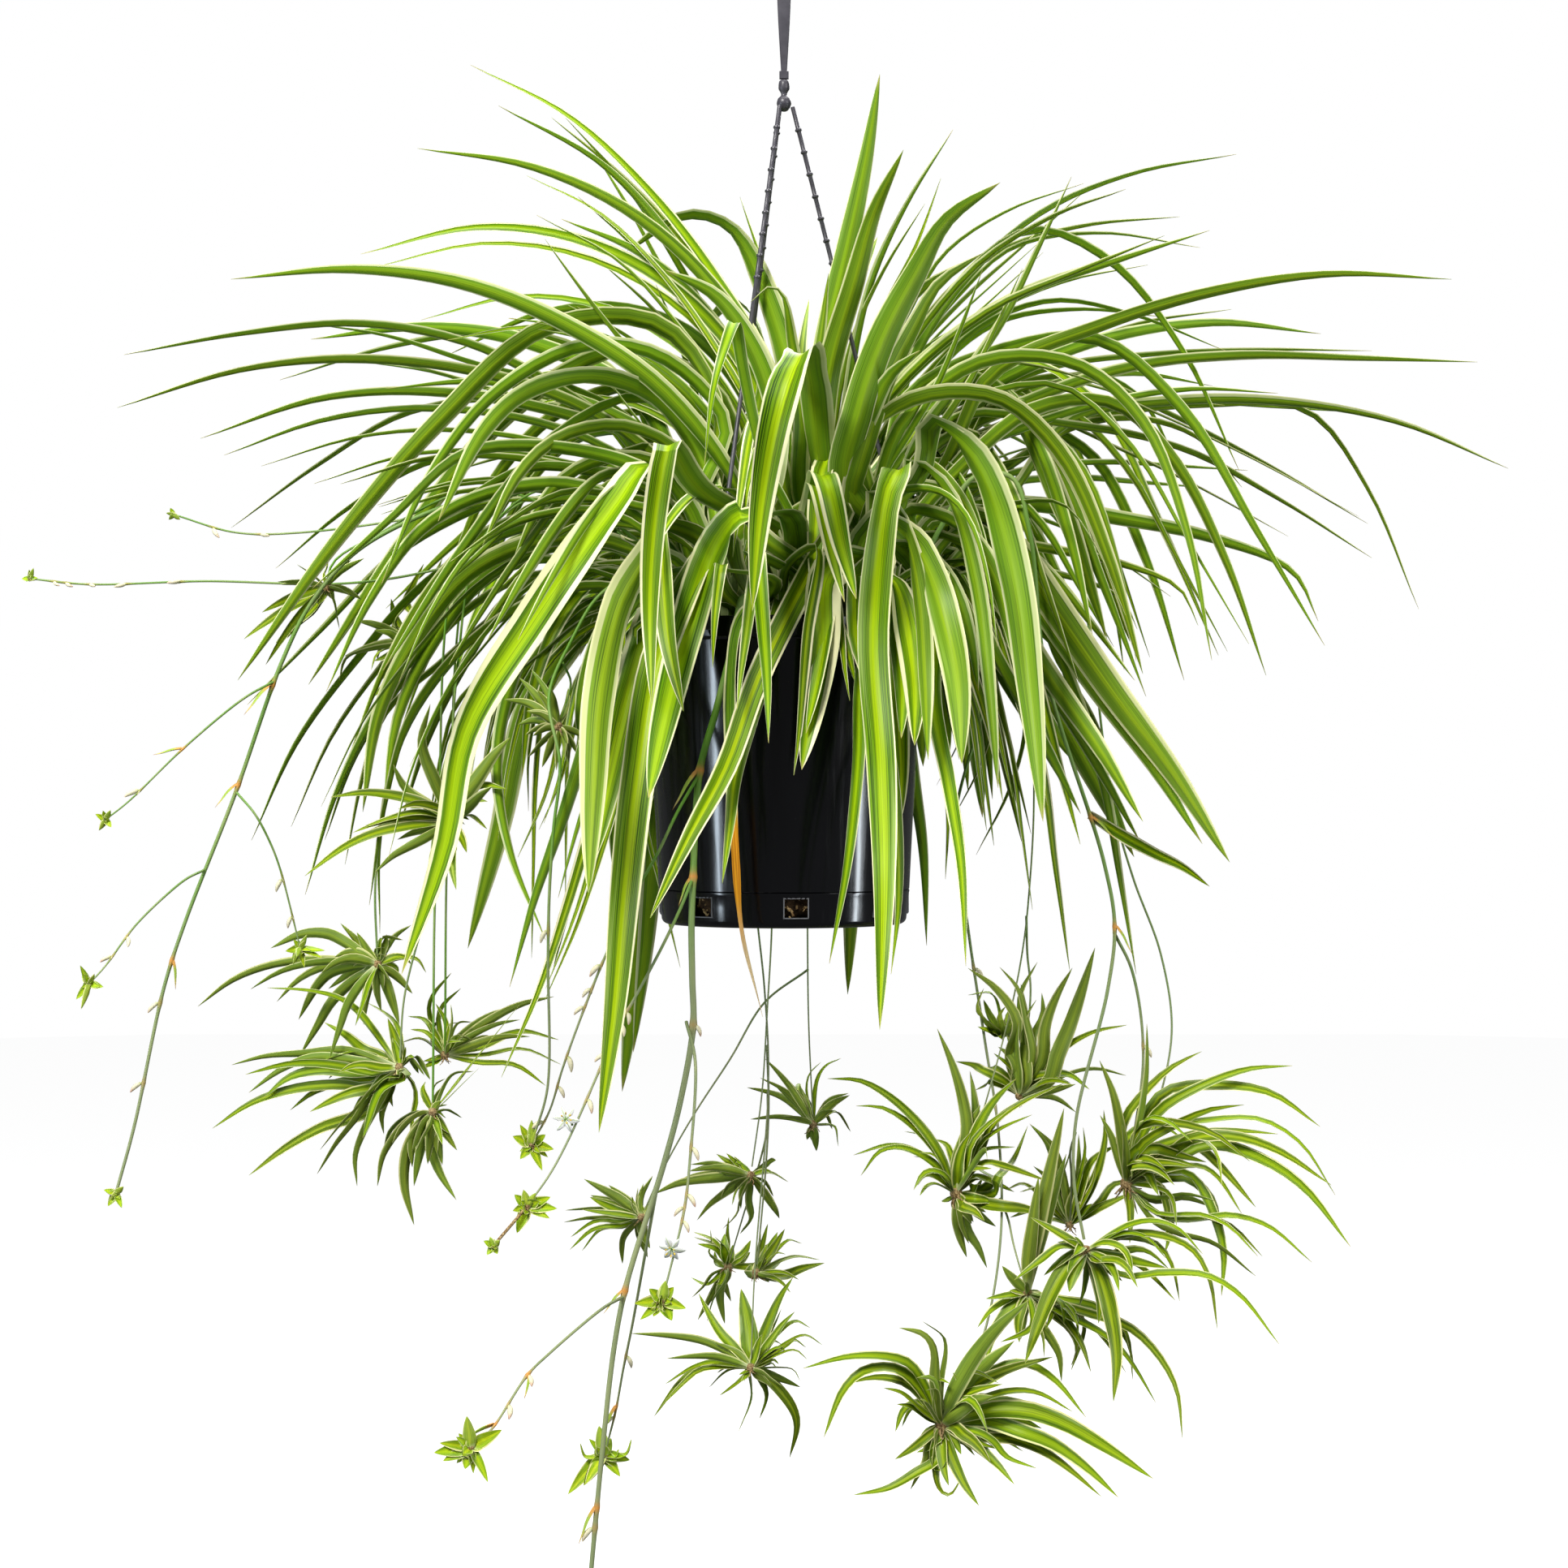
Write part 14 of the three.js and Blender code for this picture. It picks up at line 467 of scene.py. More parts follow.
        (3, 0.27, 2.3, 0.8, [196.2,64.5,-869.6,-0.32,0.53,0.78,206.4,60.9,-863,-0.31,0.53,0.78,215.2,58.5,-857.9,-0.29,0.53,0.79,225.9,56.2,-852.6,-0.28,0.53,0.8,237.9,53.9,-847,-0.28,0.53,0.8]),
        (3, 0.27, 2.3, 0.8, [196.2,64.5,-869.6,-0.33,-0.75,-0.57,178.1,58.4,-851.3,-0.32,-0.76,-0.57,166.6,56,-841.7,-0.08,-0.91,-0.4,161.8,55.1,-840.6,0.22,-0.9,-0.37,151.9,53.6,-844.7,0.28,-0.89,-0.35])
    ],
    "plantlet_right_4": [
        (3.2, 0.27, 2.3, 0.8, [226.7,-10,-831.9,-0.78,0.54,0.33,234.5,-17.6,-801.4,-0.73,0.52,0.44,247.9,-23.3,-781.2,-0.54,0.47,0.7,270.5,-27.7,-766.9,-0.35,0.44,0.83,303.6,-28.4,-754.6,-0.19,0.41,0.89,332.8,-31.3,-752,-0.04,0.4,0.92]),
        (3.74, 0.27, 2.3, 0.8, [226.7,-10,-831.9,-0.84,0.47,0.27,239.5,-14.1,-785.5,-0.64,0.69,0.33,252.5,-15.5,-770,-0.17,0.76,0.62,284.2,-20.7,-765.6,0.07,0.42,0.91,319.5,-26.6,-770.2,0.39,0.36,0.85,350.9,-31.1,-791.8,0.57,0.33,0.75]),
        (3.74, 0.27, 2.3, 0.8, [226.7,-10,-831.9,-0.4,0.48,0.78,252.2,-20.5,-812,-0.36,0.47,0.81,268.2,-35.5,-798.6,-0.19,0.47,0.86,297.2,-26.5,-798.9,0.09,0.4,0.91,324.7,-27.3,-808.1,0.45,0.38,0.81,358,-32.8,-829.9,0.55,0.36,0.75]),
        (3, 0.27, 2.3, 0.8, [226.7,-10,-831.9,-0.33,0.93,0.19,248.3,-9.2,-797.8,-0.2,0.9,0.38,281.3,-16.1,-789,0.12,0.86,0.5,313.5,-24.2,-787.8,0.28,0.84,0.47,339,-27.4,-802.9,0.46,0.82,0.35,361.1,-30.4,-836.6,0.53,0.8,0.27]),
        (3.73, 0.27, 2.3, 0.8, [226.7,-10,-831.9,-0.32,0.52,0.79,257.1,-17.4,-814.8,-0.28,0.58,0.77,281.4,-20,-804.5,0.08,0.53,0.85,316.6,-26.1,-814.9,0.44,0.32,0.84,342.6,-29.2,-833.5,0.71,0.28,0.65,370.4,-34.3,-870,0.78,0.27,0.56]),
        (3, 0.27, 2.3, 0.8, [226.7,-10,-831.9,-0.47,0.71,0.52,239.6,-17.7,-809.5,-0.45,0.69,0.57,257.8,-13.5,-802.9,-0.25,0.65,0.72,274.3,-17.7,-797.4,-0.02,0.61,0.79,296.3,-22,-795.5,0.1,0.6,0.79,324,-26.5,-797.2,0.14,0.6,0.79]),
        (3, 0.27, 2.3, 0.8, [226.7,-10,-831.9,0.54,0.76,0.36,249.3,-16.2,-852.3,0.43,0.82,0.38,265.1,-19.8,-854.5,0.17,0.86,0.48,293.2,-25.8,-850.6,0.15,0.8,0.59,318,-27.5,-857.5,0.38,0.76,0.52,345.6,-31,-880.6,0.48,0.75,0.46]),
        (3, 0.27, 2.3, 0.8, [226.7,-10,-831.9,-0.36,0.81,-0.46,244.5,-16,-856.2,-0.29,0.79,-0.53,259.7,-19.2,-863.4,-0.08,0.75,-0.66,282.3,-23.5,-869.2,-0.21,0.77,-0.61,309.6,-26.7,-890.4,-0.32,0.78,-0.53]),
        (3.75, 0.27, 2.3, 0.8, [226.7,-10,-831.9,-0.54,0.63,0.56,246.7,-10.7,-812.1,-0.43,0.75,0.51,261.5,-6.8,-806.8,-0.11,0.83,0.54,273.7,-10,-807.7,0.52,0.72,0.46,287.5,-17.7,-819.4,0.72,0.43,0.54,310,-23.7,-845.5,0.75,0.36,0.56]),
        (3.74, 0.27, 2.3, 0.8, [226.7,-10,-831.9,-0.13,0.63,0.77,256,-14.5,-823.2,0.01,0.81,0.58,268.9,-15,-825.5,0.31,0.89,0.34,279.9,-15.9,-841.7,0.83,0.48,0.29,289.4,-20.7,-874.2,0.98,0.18,0.09,287.4,-25.2,-904,0.98,0.16,-0.09]),
        (3, 0.27, 2.3, 0.8, [226.7,-10,-831.9,0.09,0.76,0.64,253.4,-22.6,-820.5,0.11,0.8,0.6,272.6,-26.4,-818.1,0.28,0.86,0.43,282.9,-30.6,-823.6,0.64,0.73,0.24,298.5,-39.6,-847.5,0.68,0.71,0.18]),
        (3.19, 0.27, 2.3, 0.8, [226.7,-10,-831.9,0.98,0.09,0.18,223.4,-20.4,-808.3,0.98,0.08,0.19,219.7,-28.4,-787.2,0.97,0.07,0.23,214.6,-34.6,-767.9,0.94,0.03,0.34,205.7,-41.2,-747.8,0.91,0.01,0.41]),
        (3, 0.27, 2.3, 0.8, [226.7,-10,-831.9,0.8,0.58,0.15,230.6,-22.7,-804.6,0.8,0.59,0.13,234.4,-32.7,-777.9,0.8,0.59,0.12,236.3,-41,-752.4,0.8,0.57,0.17,235.3,-50.3,-723.3,0.8,0.56,0.21]),
        (3, 0.27, 2.3, 0.8, [226.7,-10,-831.9,0.86,0.5,-0.13,228.3,-16,-844,0.86,0.49,-0.16,228.3,-20,-854.2,0.86,0.47,-0.2,227.2,-24.9,-869.3,0.86,0.46,-0.22]),
        (3, 0.27, 2.3, 0.8, [226.7,-10,-831.9,-0.21,0.71,0.67,239.9,-17.2,-820.1,-0.11,0.72,0.68,247.5,-22.1,-815.6,0.13,0.63,0.76,255.6,-26.9,-814.8,0.29,0.59,0.75,272.3,-30.4,-818.5,0.29,0.59,0.75])
    ],
    "plantlet_right_5": [
        (5.25, 0.27, 2.3, 0.8, [195.8,-50.5,-869.6,0.58,-0.68,-0.46,182.9,-55,-879.2,0.65,-0.65,-0.38,173.5,-59,-893.4,0.76,-0.6,-0.25,164.1,-64.1,-914.4,0.82,-0.54,-0.2,154.7,-70.3,-939.5,0.83,-0.53,-0.18]),
        (5.24, 0.27, 2.3, 0.8, [195.8,-50.5,-869.6,0.85,0.35,0.39,204,-55.3,-883.2,0.91,0.32,0.25,210.9,-62.1,-910,0.95,0.3,0.1,213.8,-68.2,-935,0.96,0.27,-0.06,211,-75,-963,0.95,0.26,-0.16]),
        (3, 0.27, 2.3, 0.8, [195.8,-50.5,-869.6,0.56,0.73,0.39,219.4,-60.7,-884.5,0.41,0.76,0.5,243.5,-68.4,-881.2,0.17,0.77,0.62,271.3,-74.5,-882.2,0.31,0.75,0.59,291,-78.6,-893.5,0.6,0.68,0.42,315,-87.5,-923.8,0.7,0.62,0.37]),
        (3, 0.27, 2.3, 0.8, [195.8,-50.5,-869.6,0.09,0.88,0.47,215.9,-50.5,-873.6,0.21,0.87,0.45,227.7,-54,-877.6,0.43,0.83,0.36,238.2,-56.7,-885.6,0.58,0.78,0.23,251.8,-65.4,-899.7,0.64,0.75,0.15]),
        (3, 0.27, 2.3, 0.8, [195.8,-50.5,-869.6,-0.06,0.81,0.58,223.2,-56.9,-858,0.04,0.79,0.61,245.6,-61.2,-859,0.27,0.76,0.58,263.3,-64,-867.4,0.54,0.73,0.42,273.6,-66.5,-885.4,0.76,0.65,0.08,277.6,-74.5,-916.3,0.81,0.58,-0.04]),
        (3.15, 0.27, 2.3, 0.8, [195.8,-50.5,-869.6,0.05,-0.81,-0.59,182.3,-53.7,-866.3,0.15,-0.88,-0.44,176.3,-55.1,-867.2,0.36,-0.88,-0.3,166.2,-57.5,-874.4,0.52,-0.71,-0.48,148.6,-61.5,-887.3,0.54,-0.66,-0.53]),
        (3.41, 0.27, 2.3, 0.8, [195.8,-50.5,-869.6,0.23,-0.01,0.97,209.7,-56.2,-873,0.19,0.01,0.98,219.9,-59.7,-874.1,0.17,0.01,0.99,233,-59.7,-876.9,0.19,0,0.98,246.4,-62.3,-879.3,0.18,0.01,0.98]),
        (3, 0.27, 2.3, 0.8, [195.8,-50.5,-869.6,-0.31,-0.62,-0.72,184.2,-53.8,-861.7,-0.3,-0.62,-0.73,172.8,-56.5,-854.9,-0.29,-0.61,-0.73,159.3,-59.4,-847.3,-0.28,-0.61,-0.74]),
        (3, 0.27, 2.3, 0.8, [195.8,-50.5,-869.6,-0.05,0.9,0.43,221.4,-57.1,-852.8,0,0.89,0.45,237.2,-60.6,-849,0.19,0.87,0.46,253.6,-63.8,-853.5,0.42,0.84,0.35,269.1,-68.1,-869.5,0.51,0.82,0.27])
    ],
    "plantlet_right_6": [
        (3, 0.27, 2.3, 0.8, [160.4,-20,-902.2,0.38,0.63,0.68,176.6,-21,-910.3,0.53,0.6,0.59,186.4,-24.1,-921.2,0.74,0.55,0.38,194.8,-29.4,-933.9,0.8,0.54,0.26,201,-30.7,-952.4,0.81,0.53,0.23]),
        (3, 0.27, 2.3, 0.8, [160.4,-20,-902.2,0.25,0.77,0.59,185.9,-22.5,-909.8,0.22,0.86,0.45,196.2,-21.2,-917.7,0.3,0.93,0.21,197.6,-22.7,-926,0.58,0.75,-0.31,188.4,-29.3,-951.7,0.74,0.53,-0.41]),
        (3.2, 0.27, 2.3, 0.8, [160.4,-20,-902.2,-0.79,0.46,-0.41,167.8,-24.1,-921.1,-0.76,0.45,-0.48,176.5,-26.4,-933.7,-0.73,0.44,-0.52,180.6,-27.7,-942.2,-0.84,0.48,-0.25,181.9,-30,-959,-0.86,0.49,-0.13]),
        (3, 0.27, 2.3, 0.8, [160.4,-20,-902.2,0.37,0.53,0.76,195,-29.2,-912.8,0.36,0.54,0.76,225.2,-34.3,-922.2,0.46,0.52,0.71,243.6,-35.9,-939.3,0.72,0.48,0.5,256.2,-38.5,-962.5,0.88,0.43,0.21,259.5,-42.2,-993.6,0.91,0.41,0.05]),
        (3, 0.27, 2.3, 0.8, [160.4,-20,-902.2,0.55,0.76,0.35,181.7,-29.9,-913.9,0.42,0.81,0.42,204,-31.1,-924.3,0.33,0.82,0.46,218.3,-32.9,-934.8,0.5,0.79,0.34,229.4,-36.7,-948.9,0.57,0.78,0.27,242.6,-38.1,-971.1,0.56,0.78,0.28]),
        (3, 0.27, 2.3, 0.8, [160.4,-20,-902.2,0.18,0.92,0.35,195.7,-23.2,-911.7,0.21,0.92,0.35,218.1,-26.4,-919.7,0.34,0.9,0.29,225.3,-28.7,-929.2,0.53,0.85,0,228.4,-32.8,-957.4,0.54,0.84,-0.06]),
        (4.78, 0.27, 2.3, 0.8, [160.4,-20,-902.2,0.95,-0.28,-0.14,162.3,-24.9,-879.2,0.95,-0.28,-0.18,166.4,-28.7,-856.3,0.94,-0.27,-0.22,171.8,-32.5,-830.8,0.94,-0.27,-0.24,177.1,-36.1,-805.2,0.94,-0.27,-0.23,182.6,-39.5,-779.2,0.94,-0.27,-0.23]),
        (3, 0.27, 2.3, 0.8, [160.4,-20,-902.2,0.22,-0.82,-0.53,150.8,-21.8,-903.3,0.21,-0.82,-0.53,142.4,-23.1,-904.4,0.19,-0.82,-0.54,132.8,-24.4,-905.7,0.18,-0.82,-0.54]),
        (3.2, 0.27, 2.3, 0.8, [160.4,-20,-902.2,0.7,-0.19,0.69,153.6,-21.6,-895.7,0.71,-0.19,0.68,148.9,-22.7,-890.9,0.75,-0.18,0.64,143.5,-23.8,-884.4,0.77,-0.18,0.62]),
        (4.27, 0.27, 2.3, 0.8, [160.4,-20,-902.2,0.53,-0.67,-0.52,154.7,-21.6,-905.9,0.61,-0.65,-0.45,142.5,-24.6,-920.1,0.67,-0.64,-0.37,136.5,-26.4,-930.7,0.77,-0.61,-0.19,132.5,-28.6,-947.5,0.8,-0.59,-0.11])
    ],
    "plantlet_right_7": [
        (5.78, 0.27, 2.3, 0.8, [102.7,-40,-985,-0.15,0.62,0.77,130.3,-46.3,-974.5,-0.05,0.6,0.8,155.1,-51.4,-973.1,0.18,0.56,0.81,177.9,-55.1,-979.2,0.41,0.51,0.75,207,-61.5,-994.7,0.53,0.42,0.73,237.2,-69.1,-1013.8,0.56,0.42,0.72]),
        (4.73, 0.27, 2.3, 0.8, [102.7,-40,-985,-0.04,0.48,0.88,130.8,-43.6,-981.9,0.15,0.44,0.88,154.8,-54.6,-986.8,0.36,0.41,0.84,173.6,-56.2,-993.9,0.47,0.4,0.79,194.5,-59.3,-1008.2,0.62,0.37,0.69,215.3,-64.4,-1026.9,0.67,0.36,0.65]),
        (3.16, 0.27, 2.3, 0.8, [102.7,-40,-985,0.34,0.33,0.88,125.8,-47.1,-991.3,0.21,0.37,0.91,149.7,-45.3,-993.6,0.22,0.36,0.91,167.9,-50.9,-999.9,0.49,0.32,0.81,184.6,-56,-1010.6,0.62,0.3,0.72,204.6,-61.8,-1027,0.65,0.29,0.7]),
        (3.42, 0.27, 2.3, 0.8, [102.7,-40,-985,-0.55,0.62,0.56,123.3,-44.6,-959.3,-0.47,0.66,0.59,142.2,-46.3,-946,-0.24,0.7,0.67,157.1,-48.1,-943.6,0.26,0.66,0.7,174.6,-51.7,-952.8,0.61,0.58,0.54,195.1,-57.1,-976.7,0.72,0.45,0.53]),
        (3, 0.27, 2.3, 0.8, [102.7,-40,-985,-0.15,0.87,0.48,125.3,-45.1,-968.7,-0.1,0.86,0.51,148.1,-48.7,-961.2,0.04,0.83,0.55,164.9,-51.4,-962.1,0.3,0.8,0.52,186.4,-55.2,-973.4,0.39,0.79,0.48]),
        (3.69, 0.27, 2.3, 0.8, [102.7,-40,-985,-0.61,0.62,0.49,113.3,-44.3,-966.1,-0.53,0.6,0.6,125.6,-49.2,-955.7,-0.32,0.55,0.77,147.8,-52.9,-945.6,-0.23,0.54,0.81,173.8,-55.1,-938.2,-0.19,0.53,0.82]),
        (3.16, 0.27, 2.3, 0.8, [102.7,-40,-985,-0.79,-0.46,-0.4,90.8,-44.9,-956.3,-0.66,-0.6,-0.45,81.6,-47.5,-943.8,-0.38,-0.63,-0.68,67.6,-49.7,-938.8,-0.03,-0.58,-0.81,41.5,-53.3,-938.2,0.17,-0.56,-0.81,12.1,-57.8,-945.1,0.27,-0.55,-0.79]),
        (4.22, 0.27, 2.3, 0.8, [102.7,-40,-985,-0.67,-0.55,-0.5,84.1,-44.3,-955.4,-0.44,-0.75,-0.49,70.9,-46.2,-946.8,-0.03,-0.83,-0.56,51.9,-48,-948.4,0.31,-0.79,-0.52,38.6,-49.9,-960.2,0.66,-0.67,-0.33,25.8,-53.4,-990.6,0.81,-0.52,-0.28]),
        (3.17, 0.27, 2.3, 0.8, [102.7,-40,-985,0.87,-0.49,0.03,99.6,-46.8,-1005.3,0.78,-0.56,-0.27,85.7,-49.8,-1013.9,0.43,-0.65,-0.63,67.2,-49.5,-1024.3,0.29,-0.67,-0.69,45.2,-52.6,-1028.1,0.22,-0.68,-0.7]),
        (3, 0.27, 2.3, 0.8, [102.7,-40,-985,-0.67,-0.55,0.51,94.4,-39.9,-995.7,-0.75,-0.55,0.37,92.4,-40.9,-1007.1,-0.72,-0.56,0.4,87.6,-45.4,-1015.8,-0.66,-0.52,0.55,82.2,-47.6,-1025.6,-0.68,-0.54,0.49]),
        (3.68, 0.27, 2.3, 0.8, [102.7,-40,-985,0.88,-0.26,0.39,106.8,-47.4,-999.2,0.87,-0.24,0.42,111.1,-53,-1009.7,0.84,-0.2,0.51,117.5,-59.3,-1021.4,0.78,-0.16,0.6,125.3,-66,-1031.7,0.74,-0.14,0.65]),
        (3.68, 0.27, 2.3, 0.8, [102.7,-40,-985,0.86,0.46,-0.23,98.7,-48.3,-1016.4,0.64,0.74,-0.19,102.6,-50.9,-1026.5,0.4,0.91,0.01,107.5,-52,-1027.9,0.12,0.96,0.26,114.5,-55,-1017,-0.24,0.89,0.39]),
        (3.42, 0.27, 2.3, 0.8, [102.7,-40,-985,0.55,0.42,0.72,116.8,-47.6,-991.5,0.59,0.4,0.7,127,-53.4,-997.7,0.67,0.36,0.64,137.3,-59.7,-1006.2,0.76,0.32,0.57,148.1,-68,-1017.7,0.79,0.3,0.53]),
        (3, 0.27, 2.3, 0.8, [102.7,-40,-985,0.4,0.7,0.59,126.9,-51.2,-988,0.48,0.75,0.46,135.4,-56.4,-992.3,0.68,0.68,0.3,143.4,-62,-1001,0.61,0.69,0.38,161.9,-72.1,-1006.3,0.52,0.73,0.45]),
        (3.67, 0.27, 2.3, 0.8, [102.7,-40,-985,0.89,0.35,0.3,97.6,-54.5,-953.4,0.89,0.38,0.25,96.2,-60.8,-931.3,0.67,0.64,0.38,89.6,-65.2,-921.6,0.23,0.58,0.78,73.9,-72.4,-916.2,0.05,0.52,0.85]),
        (2.75, 0.27, 2.3, 0.8, [102.7,-40,-985,0.48,-0.84,-0.26,102.2,-49.6,-955.2,0.48,-0.81,-0.33,104.5,-60.6,-931.6,0.48,-0.79,-0.38,102.4,-64.9,-922.7,0.53,-0.84,-0.08,89,-72.1,-912.1,0.55,-0.83,0.12]),
        (3, 0.27, 2.3, 0.8, [102.7,-40,-985,0.01,-0.86,-0.51,89,-47.1,-973.4,0,-0.87,-0.5,80.4,-51.7,-964.8,-0.01,-0.87,-0.49,75.5,-53.9,-961.1,0.11,-0.84,-0.54,64.5,-58.4,-957.5,0.15,-0.82,-0.55]),
        (5.24, 0.27, 2.3, 0.8, [102.7,-40,-985,0.73,-0.48,-0.49,109.5,-52.3,-963,0.71,-0.47,-0.52,121.9,-64.1,-937.4,0.67,-0.43,-0.61,136.1,-77.5,-915.8,0.57,-0.38,-0.72,155.4,-94.3,-894.7,0.52,-0.36,-0.77]),
        (3, 0.27, 2.3, 0.8, [102.7,-40,-985,0.51,0.18,-0.84,91.8,-45.7,-992.8,0.49,0.17,-0.85,83.1,-50.1,-998.4,0.45,0.15,-0.88,71.9,-55,-1004.4,0.42,0.14,-0.89]),
        (3, 0.27, 2.3, 0.8, [102.7,-40,-985,-0.63,0.68,0.37,111,-47.1,-958.1,-0.37,0.83,0.41,116.7,-51.1,-950.1,0.06,0.86,0.5,124.8,-54,-948,0.38,0.8,0.46,138.3,-59.1,-954.2,0.48,0.77,0.41])
    ],
}

